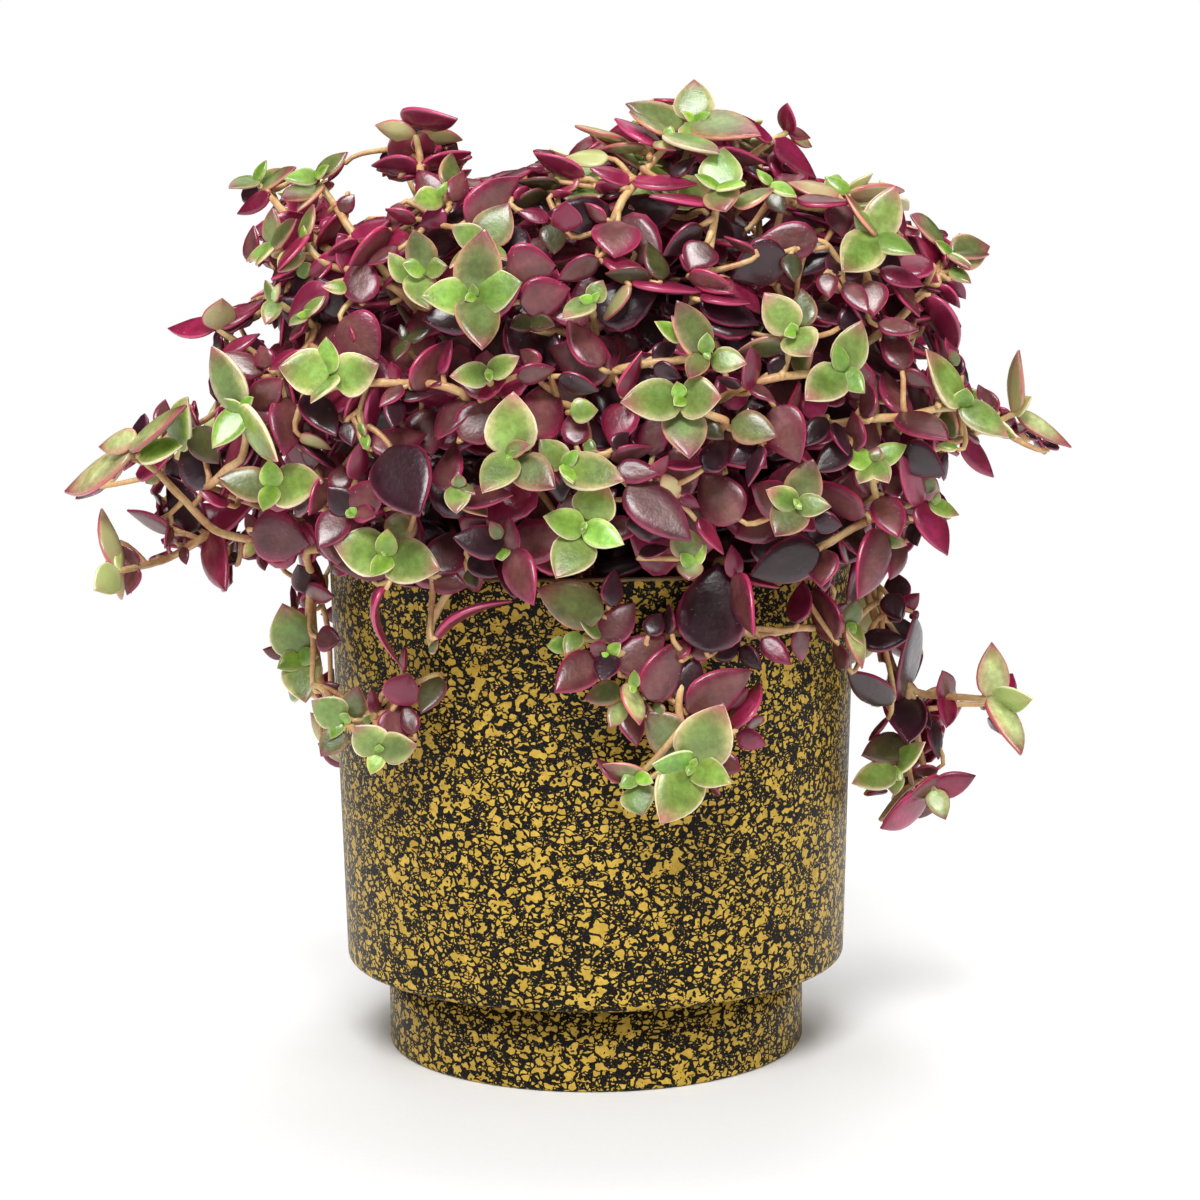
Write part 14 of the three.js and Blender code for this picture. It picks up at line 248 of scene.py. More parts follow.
     [[238,888,1807,-168,80,74,143,145,2,14,5,2],[238,888,1807,19,-2,-75,116,119,0,10,5,2],[238,888,1807,165,12,85,111,125,0,10,5,2],[238,888,1807,103,-52,13,150,135,2,14,5,2],[237,900,1806,72,79,-154,29,32,0,10,5,3],[237,900,1806,44,-21,-57,32,32,0,10,5,3],[164,918,1478,-123,87,33,133,148,1,10,5,2],[164,918,1478,50,-43,-39,119,114,1,10,5,2],[154,910,1466,146,-30,60,118,121,2,14,5,2],[170,922,1487,152,13,86,59,54,2,14,5,3],[163,930,1479,55,-50,-34,20,21,0,10,5,3],[163,930,1479,144,38,102,20,21,0,10,5,3],[14,888,1326,14,13,-85,93,95,0,10,5,2],[14,888,1326,154,-18,74,103,89,0,10,5,2],[6,880,1342,180,65,81,88,99,1,10,5,2],[15,880,1305,50,-43,-45,124,136,1,10,5,2],[14,900,1327,131,53,121,20,21,0,10,5,3],[14,900,1327,51,-45,-38,20,21,0,10,5,3],[-529,848,1649,40,-31,-58,131,125,1,10,5,2],[-529,848,1649,-176,68,82,113,111,1,10,5,2],[-527,860,1649,34,69,-106,62,53,0,10,5,3],[-529,848,1649,138,-39,44,80,71,0,10,5,2],[-277,758,2034,-101,64,8,100,112,1,10,5,2],[-276,770,2033,22,21,-45,65,38,0,10,5,3],[-276,770,2033,135,-1,30,82,47,0,10,5,3],[-276,770,2033,108,-49,13,73,82,2,14,5,3],[-248,750,2003,23,2,-14,135,91,6,14,5,2],[-311,750,1996,175,20,55,91,55,2,14,5,2],[550,828,1649,14,10,-87,106,118,1,10,5,2],[537,820,1635,169,22,84,107,120,1,10,5,2],[550,828,1649,-90,85,6,80,73,0,10,5,2],[535,820,1645,52,-41,-25,95,55,1,10,5,2],[-239,898,1690,2,60,-75,122,108,2,14,5,2],[-223,890,1677,4,55,-57,103,63,2,14,5,2],[-239,910,1689,100,58,180,51,50,0,10,5,3],[-254,890,1677,160,-14,72,78,83,1,10,5,2],[-233,902,1681,59,-41,-36,81,71,2,14,5,3],[-193,865,1716,15,27,-79,73,54,0,10,5,2],[-239,910,1689,121,-54,23,26,24,0,10,5,3],[209,878,1646,20,-2,-78,89,80,1,10,5,2],[209,878,1646,173,29,79,77,71,1,10,5,2],[209,890,1646,68,56,-151,20,22,0,10,5,3],[209,890,1646,99,-47,9,26,23,0,10,5,3],[55,888,1454,3,45,-88,77,86,1,10,5,2],[55,888,1454,154,-13,73,147,120,1,10,5,2],[55,900,1454,160,47,94,52,45,0,10,5,3],[55,900,1454,110,-42,20,60,45,0,10,5,3],[-427,838,1729,-10,55,-67,104,116,1,10,5,2],[-428,826,1729,123,-40,38,85,95,1,10,5,2],[-426,850,1729,41,-20,-70,32,36,0,10,5,3],[-426,850,1729,21,73,-109,24,27,0,10,5,3],[772,290,2107,-173,61,56,53,33,0,10,5,3],[774,278,2108,51,-19,-6,93,60,1,10,5,2],[768,240,2098,160,38,-54,72,60,1,10,5,0],[764,270,2088,141,15,27,129,77,2,14,5,2],[731,338,2068,-28,-24,56,101,50,6,14,5,2],[687,618,1934,9,-35,-36,72,44,1,10,5,2],[687,618,1934,36,-48,-4,67,38,1,10,5,2],[694,610,1939,-158,83,48,80,54,2,14,5,2],[687,618,1934,135,27,54,104,63,2,14,5,2],[751,533,1905,-165,83,92,81,48,4,16,5,2],[601,528,2089,17,-5,-66,79,51,0,10,5,2],[601,528,2089,178,35,49,88,52,2,14,5,2],[599,540,2088,138,22,-37,51,29,0,10,5,3],[607,520,2063,51,-19,-12,114,70,2,14,5,2],[593,520,2067,60,-39,36,106,61,2,14,5,2],[544,594,2008,-173,50,-84,48,51,4,16,5,3],[545,582,2009,-58,-36,-4,147,87,4,16,5,2],[618,658,1943,-152,67,22,81,48,2,14,5,2],[616,670,1942,-140,84,33,31,23,0,10,5,3],[614,650,1948,64,-41,33,122,73,6,14,5,2],[631,625,1920,56,-36,-28,91,62,1,10,5,2],[631,637,1869,145,37,90,45,46,0,10,5,3],[220,798,1919,-159,58,63,103,115,2,14,5,2],[220,798,1919,13,25,-84,81,81,1,10,5,2],[220,798,1919,136,-34,36,78,47,1,10,5,2],[220,798,1919,52,-31,2,121,68,1,10,5,2],[-6,848,1796,-164,59,68,51,57,1,10,5,2],[-6,860,1796,27,12,-81,36,35,0,10,5,3],[-6,848,1796,43,-27,-54,96,65,1,10,5,2],[-6,860,1796,168,50,85,27,24,0,10,5,3],[123,808,1757,45,-12,-64,71,59,7,14,5,2],[123,808,1757,138,-11,66,77,59,7,14,5,2],[388,768,1717,175,22,74,61,38,7,14,5,2],[388,768,1717,-37,62,-48,42,35,7,14,5,2],[388,768,1717,69,-43,-17,68,40,7,14,5,2],[-221,819,1862,74,-16,-16,120,95,1,12,5,2],[-224,810,1865,-110,29,17,119,104,1,12,5,2],[-228,819,1870,160,3,23,79,68,0,12,5,3],[-219,818,1873,-2,33,-28,78,64,0,12,5,3],[-226,818,1881,-130,60,32,38,35,0,12,5,3],[-224,827,1877,83,16,-16,36,32,0,12,5,3],[-1,879,1627,-7,-6,-55,87,71,2,12,5,2],[-11,881,1628,161,14,57,95,82,2,12,5,2],[-4,890,1628,84,-36,12,67,60,0,12,5,3],[-3,884,1637,-68,73,-36,57,49,0,12,5,3],[-6,895,1638,129,29,69,32,25,0,12,5,3],[4,893,1637,20,13,-57,31,26,0,12,5,3],[52,889,1592,24,-53,-28,104,88,1,12,5,2],[47,888,1601,-171,65,41,97,80,1,12,5,2],[50,899,1599,119,-7,60,60,52,0,12,5,3],[57,892,1602,-24,24,-70,58,50,0,12,5,3],[56,901,1608,95,69,129,31,25,0,12,5,3],[61,903,1600,40,-22,-18,29,23,0,12,5,3],[-66,756,2010,120,-23,8,111,96,1,12,5,2],[-62,748,2015,-58,36,-9,115,95,1,12,5,2],[-69,754,2021,-164,24,33,69,58,0,12,5,3],[-60,758,2020,37,10,-30,61,55,0,12,5,3],[-64,757,2031,-45,69,-20,33,28,0,12,5,3],[-68,764,2026,115,10,7,33,28,0,12,5,3],[114,894,1794,94,-28,13,86,76,2,12,5,2],[115,885,1800,-82,42,-16,98,90,2,12,5,2],[112,895,1805,165,28,40,61,51,0,12,5,3],[121,895,1803,9,5,-35,54,44,0,12,5,3],[119,896,1814,-53,72,-41,26,24,0,12,5,3],[118,904,1808,87,4,12,28,24,0,12,5,3],[189,902,1722,129,-8,26,115,96,2,12,5,2],[196,895,1724,-44,21,-28,103,81,2,12,5,2],[191,900,1733,-153,45,21,62,49,0,12,5,3],[198,905,1729,40,-7,-15,69,54,0,12,5,3],[199,903,1740,-22,48,-41,29,26,0,12,5,3],[193,911,1737,114,21,28,29,25,0,12,5,3],[-99,855,1889,100,-30,5,127,109,1,12,5,2],[-97,847,1895,-78,43,-6,132,104,1,12,5,2],[-103,856,1899,175,20,40,78,70,0,12,5,3],[-93,857,1899,19,11,-37,85,68,0,12,5,3],[-97,858,1909,-64,76,-19,33,30,0,12,5,3],[-99,866,1903,97,3,5,35,28,0,12,5,3],[46,770,1949,91,66,0,65,73,6,14,5,2],[482,770,1800,-87,63,-8,117,108,4,16,5,2],[-62,760,1964,78,-56,-10,97,109,4,16,5,2],[145,820,1799,-169,13,95,111,122,4,16,5,2],[514,750,1830,16,3,-99,58,37,1,10,5,2],[561,730,1840,-12,-36,77,115,85,6,14,5,2],[495,710,1938,-14,-25,43,78,48,6,14,5,2],[509,700,1948,172,23,-44,94,57,6,14,5,2],[175,800,1867,179,7,96,106,119,4,16,5,2],[-17,800,1890,-2,-27,-104,97,71,4,16,5,2],[-30,800,1882,-179,-20,44,110,63,6,14,5,2],[-86,800,1836,180,-11,21,155,99,6,14,5,2],[-86,820,1830,-29,-45,112,101,58,3,14,5,2],[-129,810,1853,1,4,-103,95,59,7,14,5,2],[-152,810,1841,-53,56,-38,99,63,7,14,5,2],[-39,760,1973,-12,39,-92,59,40,4,16,5,2],[-213,800,1853,158,-11,93,94,58,4,16,5,2],[-236,760,1958,10,-35,-93,105,69,5,16,5,2],[-352,770,1906,-2,28,-136,72,45,4,16,5,2],[-233,820,1800,178,-9,27,106,58,6,14,5,2],[482,800,1630,-48,-55,-3,108,60,6,14,5,2],[452,810,1626,-77,-57,-30,136,81,6,14,5,2],[408,820,1638,50,69,48,41,41,6,14,5,2],[396,820,1621,41,-40,-60,72,46,4,16,5,2],[379,820,1621,-147,47,64,133,86,4,16,5,2],[308,830,1647,-178,69,44,77,46,6,14,5,2],[401,820,1596,-175,2,-46,70,40,5,16,5,2],[411,820,1596,83,-50,-17,82,71,5,16,5,2],[519,790,1546,122,-61,39,58,52,5,16,5,2],[486,800,1546,142,-55,52,31,20,1,10,5,2],[478,800,1520,117,-56,28,41,32,0,10,5,2],[462,810,1491,-154,11,71,127,88,4,16,5,2],[419,820,1491,124,-52,40,184,193,5,16,5,2],[270,840,1511,-153,43,56,119,130,4,16,5,2],[220,840,1653,-99,75,13,46,51,4,16,5,2],[230,850,1594,-177,31,72,69,42,6,14,5,2],[105,850,1497,179,-68,51,90,52,6,14,5,2],[122,850,1510,-110,47,36,165,146,4,16,5,2],[30,850,1497,-85,54,-7,90,81,4,16,5,2],[42,850,1568,-174,4,84,59,66,1,10,5,2],[11,850,1499,162,-21,79,29,32,1,10,5,2],[-22,850,1659,-34,49,-64,128,92,4,16,5,2],[152,850,1644,-168,13,96,83,64,4,16,5,2],[102,830,1665,-21,37,-88,57,59,4,16,5,2],[-67,850,1600,143,59,-23,107,62,6,14,5,2],[-131,840,1679,-159,29,86,62,58,5,16,5,2],[-137,850,1662,166,-25,91,64,58,5,16,5,2],[-462,800,1648,-74,62,-45,141,83,2,14,5,2],[-341,830,1615,87,53,45,107,62,6,14,5,2],[-337,830,1617,150,-35,56,69,41,4,16,5,2],[-376,820,1644,-166,38,94,62,59,5,16,5,2],[-320,830,1624,-8,18,-85,53,34,5,16,5,2],[-459,790,1741,-86,63,-13,92,82,2,14,5,2],[-235,780,1802,175,-28,87,137,85,5,16,5,2],[-410,810,1711,-5,-6,-101,100,64,2,14,5,2],[-248,780,1917,36,-54,-55,73,82,4,16,5,2],[-47,830,1651,-21,20,-91,150,133,4,16,5,2],[62,850,1643,171,-19,96,90,59,5,16,5,2],[-210,840,1637,-92,66,-8,23,26,7,14,5,2],[-171,858,1661,139,-69,-2,110,96,4,15,6,4],[-170,855,1672,-162,68,116,129,102,4,15,2,4],[-89,777,1633,-160,9,75,128,103,4,15,5,4],[-80,784,1635,64,24,-81,128,102,4,15,1,4],[-35,715,1606,-21,79,-36,104,84,4,15,7,4],[-39,719,1595,132,-55,11,104,81,4,15,1,4],[10,626,1531,33,7,-48,137,111,5,15,1,4],[-1,622,1532,-163,8,48,137,107,6,15,9,4],[16,548,1438,113,-7,13,111,77,5,15,1,4],[21,539,1445,-48,57,-25,111,82,5,15,9,4],[10,488,1354,-177,23,30,108,95,5,15,4,4],[22,490,1352,14,-3,-27,108,83,5,15,2,4],[9,446,1273,-86,32,-7,125,98,6,15,8,4],[9,458,1269,89,7,6,125,97,4,15,9,4],[5,419,1179,-3,17,-18,125,102,5,15,1,4],[-6,421,1179,167,13,18,125,107,4,15,9,4],[129,851,1506,-14,-17,-105,128,93,4,15,9,4],[119,858,1508,143,9,111,109,99,4,15,10,4],[73,790,1532,145,-53,111,113,91,6,15,7,4],[78,791,1542,50,55,176,113,101,6,15,5,4],[14,733,1569,122,14,109,120,94,4,15,6,4],[19,726,1563,-18,-57,-76,120,87,6,15,7,4],[-19,831,1609,115,-48,84,104,85,4,15,10,4],[-359,818,1628,-121,-24,78,133,99,6,15,1,4],[-357,829,1629,92,-13,-86,113,103,4,15,6,4],[-257,811,1633,-130,62,121,144,127,4,15,6,4],[-257,812,1621,-143,-66,44,144,98,4,15,2,4],[-165,805,1629,79,8,-91,102,84,6,15,3,4],[-168,794,1625,-131,-26,78,102,87,4,15,9,4],[461,831,1630,32,-75,30,125,86,4,15,3,4],[358,835,1624,84,-7,84,131,116,4,15,2,4],[359,823,1625,-67,9,-88,131,105,5,15,3,4],[239,820,1620,54,60,126,110,99,4,15,10,4],[240,819,1609,56,-69,51,110,86,5,15,5,4],[151,803,1609,-80,21,-87,102,87,5,15,6,4],[150,814,1605,80,-19,81,102,88,4,15,5,4],[56,771,1599,-47,-31,-81,103,89,5,15,6,4],[53,777,1608,62,61,141,103,77,6,15,5,4],[-10,890,1413,165,-28,169,102,75,5,15,1,4],[1,885,1415,-29,-3,-167,102,69,4,15,8,4],[-21,881,1513,77,2,173,149,107,4,15,1,4],[-3,830,1600,68,20,-137,69,60,4,15,0,4],[-10,822,1595,-158,-26,117,101,85,4,15,2,4],[16,742,1611,24,-70,-59,86,72,6,15,7,4],[10,743,1621,145,50,110,127,107,5,15,5,4],[151,821,1637,-37,5,-85,125,86,4,15,9,4],[143,829,1638,126,16,87,125,91,4,15,6,4],[67,759,1613,100,-20,61,87,68,4,15,7,4],[69,751,1621,-82,67,-54,128,112,4,15,0,4],[115,865,1692,89,-7,66,124,104,4,15,10,4],[118,855,1697,-63,39,-75,124,92,4,15,3,4],[33,822,1665,106,37,79,100,81,4,15,0,4],[39,816,1657,-13,-33,-42,100,84,4,15,2,4],[-43,827,1720,111,15,34,146,112,4,15,9,4],[-39,817,1724,-85,40,-25,146,123,4,15,4,4],[60,854,1735,92,-9,41,135,114,6,15,9,4],[60,845,1741,-111,53,-24,114,87,4,15,5,4],[542,685,1893,-40,-37,-25,126,105,5,15,7,4],[537,689,1904,143,84,23,107,76,4,15,3,4],[453,713,1854,67,33,72,85,73,6,15,8,4],[453,701,1851,-78,5,-62,126,107,6,15,8,4],[369,723,1814,117,85,51,113,94,4,15,4,4],[374,720,1803,-45,-46,-31,113,99,4,15,9,4],[262,727,1751,-87,1,-63,111,84,4,15,6,4],[263,739,1751,82,4,63,111,101,5,15,9,4],[188,731,1706,-3,-42,-6,101,74,4,15,5,4],[182,732,1716,172,66,11,101,77,4,15,4,4],[87,721,1654,65,-19,46,125,89,4,15,6,4],[88,711,1657,-67,3,-60,125,108,4,15,10,4],[179,851,1757,-22,-8,-48,104,88,6,15,5,4],[171,855,1764,152,66,50,104,72,4,15,2,4],[86,807,1691,109,-6,55,104,74,4,15,3,4],[89,796,1694,-49,40,-68,104,90,4,15,2,4],[-1,751,1639,-120,78,-28,102,81,5,15,8,4],[3,755,1629,39,-50,9,102,73,4,15,7,4],[-189,802,1782,-142,13,13,107,93,6,15,7,4],[-182,812,1783,68,22,-17,107,80,6,15,1,4],[-270,778,1943,154,24,-7,105,86,4,15,1,4],[-259,776,1944,10,31,2,105,79,4,15,3,4],[-233,791,1832,-83,9,25,140,121,4,15,6,4],[-238,801,1834,129,10,-29,95,71,5,15,10,4],[-194,824,1763,-175,-41,-3,131,104,4,15,2,4],[-106,850,1802,60,16,3,142,125,4,15,6,4],[-122,833,1712,-141,11,1,124,90,5,15,3,4],[-115,841,1711,59,3,1,106,75,4,15,3,4],[-63,748,1923,-136,21,1,116,81,6,15,6,4],[-53,753,1923,3,30,2,99,70,6,15,2,4],[-50,751,1826,-46,19,3,114,80,4,15,8,4],[-60,758,1826,156,15,-3,78,62,4,15,2,4],[-57,752,1723,-129,10,0,143,121,4,15,4,4],[43,840,1520,-151,-60,149,92,81,5,15,2,4],[50,847,1527,50,24,-163,92,78,6,15,4,4],[699,439,2025,-8,-7,56,141,103,5,15,9,4],[645,534,1981,28,40,72,143,105,4,15,3,4],[640,526,1974,-112,-47,-47,143,103,5,15,4,4],[589,598,1940,-140,13,-67,105,74,5,15,9,4],[599,602,1935,-11,-29,42,105,95,4,15,6,4],[625,617,1895,-39,-52,-13,144,112,5,15,2,4],[623,618,1907,-157,74,-48,98,76,4,15,6,4],[526,674,1873,59,22,77,83,67,4,15,5,4],[525,667,1865,-41,-51,-15,121,99,5,15,1,4],[511,635,1956,27,12,46,127,89,6,15,3,4],[502,627,1957,-124,17,-47,127,100,4,15,4,4],[455,681,1893,84,51,38,124,107,4,15,4,4],[459,674,1885,-32,-30,7,84,67,6,15,1,4],[198,827,1833,-94,0,-17,141,100,4,15,2,4],[196,837,1836,121,40,5,120,90,4,15,6,4],[68,776,1699,-32,5,-50,140,113,6,15,10,4],[0,741,1632,38,-23,9,86,77,4,15,7,4],[-4,734,1640,-90,57,-46,126,89,4,15,4,4],[314,797,1667,76,17,60,114,87,4,15,3,4],[311,786,1668,-115,23,-57,114,101,6,15,5,4],[520,442,2018,-154,41,9,65,58,4,15,6,4],[536,482,2014,-9,-44,-15,62,56,6,15,8,4],[136,834,1772,-4,13,3,66,47,4,15,5,4],[639,565,1916,-42,-13,-83,148,109,4,15,7,4],[-345,702,1888,-34,65,-45,96,84,6,15,5,4],[-269,725,1744,-149,23,16,111,95,4,15,4,4],[188,799,1660,161,24,36,70,64,4,15,3,4],[-232,719,1898,-98,48,32,105,91,5,15,8,4],[-400,759,1826,113,-76,-25,100,83,5,15,2,4],[-360,736,1828,2,-40,-66,121,102,6,15,2,4],[554,521,2057,133,-19,51,114,98,4,15,8,4],[-148,853,1542,-178,-38,52,108,92,4,15,7,4],[9,730,1898,92,41,76,88,80,4,15,0,4],[-90,762,1894,160,-34,55,74,64,4,15,9,4],[346,820,1498,129,21,43,77,60,4,15,7,4],[175,833,1469,13,-79,-77,57,51,4,15,1,4],[521,727,1586,-40,24,-84,99,82,5,15,1,4],[499,732,1457,-167,-73,162,115,91,4,15,9,4],[445,760,1485,169,-67,98,129,113,5,15,3,4],[-29,688,1983,8,-27,-62,112,94,6,15,3,4],[495,789,1499,147,-69,24,67,57,4,15,8,4],[-387,789,1710,8,21,10,103,87,4,15,1,4],[-428,717,1710,6,40,-86,130,100,4,15,0,4],[-123,803,1576,-156,-65,48,123,96,6,15,2,4],[339,758,1478,174,56,60,116,88,4,15,9,4],[-91,777,1584,172,-69,38,69,55,4,15,9,4],[-3,686,1921,-16,-51,-46,134,96,4,15,9,4],[-536,749,1669,-49,72,-15,106,95,4,15,7,4],[474,637,1931,-153,44,22,79,66,4,15,9,4],[-342,746,1657,93,-73,-34,86,69,6,15,10,4],[506,390,2058,-124,29,-10,148,126,4,15,2,4]]),
    ("shoot_crown_07",
     [[362,104,2257,349,99,2220,340,98,2202,280,102,2101,236,90,2026,217,87,1988,200,86,1948,186,88,1907,174,93,1865,166,106,1821,160,98,1778,152,90,1692,152,85,1649,153,83,1604,157,85,1560,161,90,1515,166,102,1469,172,82,1426,178,69,1382,184,60,1338,190,54,1293,196,51,1248,202,52,1203,213,63,1111,218,17,1070],[-2,-36,2144,6,-33,2105,13,-26,2088,31,-8,2058,81,48,1980,110,88,1940,141,85,1903,174,93,1865],[173,183,2151,170,157,2075,171,130,2008,178,100,1941,186,88,1907],[284,240,2160,252,195,2077,235,150,2035,217,87,1988],[270,149,2232,245,111,2122,241,102,2094,236,90,2026],[155,338,2243,158,297,2174,161,285,2159,181,224,2112,199,171,2074,223,115,2045,236,90,2026],[201,-34,2212,236,90,2026],[353,-141,2223,334,-74,2185,280,102,2101]],
     [[-112,-75,2187,-122,-19,2202,-14,-34,2089,14,-26,2089],[432,219,2128,401,184,2164,293,209,2093,265,213,2109],[-52,-166,2134,-42,-125,2157,-39,-58,2105,-37,-30,2121],[-89,-13,2168,-80,-8,2178,-67,-27,2141,-61,-33,2141],[408,248,2116,414,222,2119,359,210,2115,350,201,2127],[376,235,2215,366,264,2220,372,207,2143,379,201,2134],[-38,13,2187,-17,6,2195,-54,-21,2143,-61,-33,2141],[-100,-138,2125,-108,-114,2135,-54,-95,2115,-41,-85,2127],[-157,94,2134,-122,130,2131,-89,7,2131,-73,-20,2157],[-144,-118,2145,-126,-125,2152,-101,-113,2123,-89,-114,2127],[-6,40,2190,13,37,2191,-28,7,2170,-36,-3,2174],[-14,106,2223,-26,65,2227,-30,22,2168,-36,-3,2174],[62,61,2235,76,94,2241,4,28,2178,-14,18,2179],[9,55,2242,-1,39,2243,-18,51,2203,-27,50,2201],[319,187,2215,292,173,2227,267,142,2173,257,130,2175],[413,66,2195,388,67,2208,352,89,2189,339,98,2202],[70,126,2188,51,154,2202,0,87,2194,-22,76,2217],[417,143,2110,428,169,2104,377,193,2106,373,213,2119],[-51,43,2150,-50,65,2144,-95,59,2128,-111,65,2134],[437,243,2153,448,230,2151,411,213,2135,408,206,2137],[7,113,2241,-7,111,2244,1,97,2207,-1,93,2205],[89,71,2145,81,23,2148,61,31,2029,56,19,2019],[-170,-200,2070,-135,-188,2089,-125,-133,2105,-116,-119,2138],[-67,-64,2112,-64,-49,2114,-44,-38,2112,-37,-30,2121],[-173,-193,2081,-177,-201,2079,-153,-185,2080,-148,-184,2084],[-138,108,2072,-158,110,2064,-129,95,2108,-128,92,2133],[-148,-192,2137,-159,-204,2143,-146,-183,2090,-148,-184,2084]],
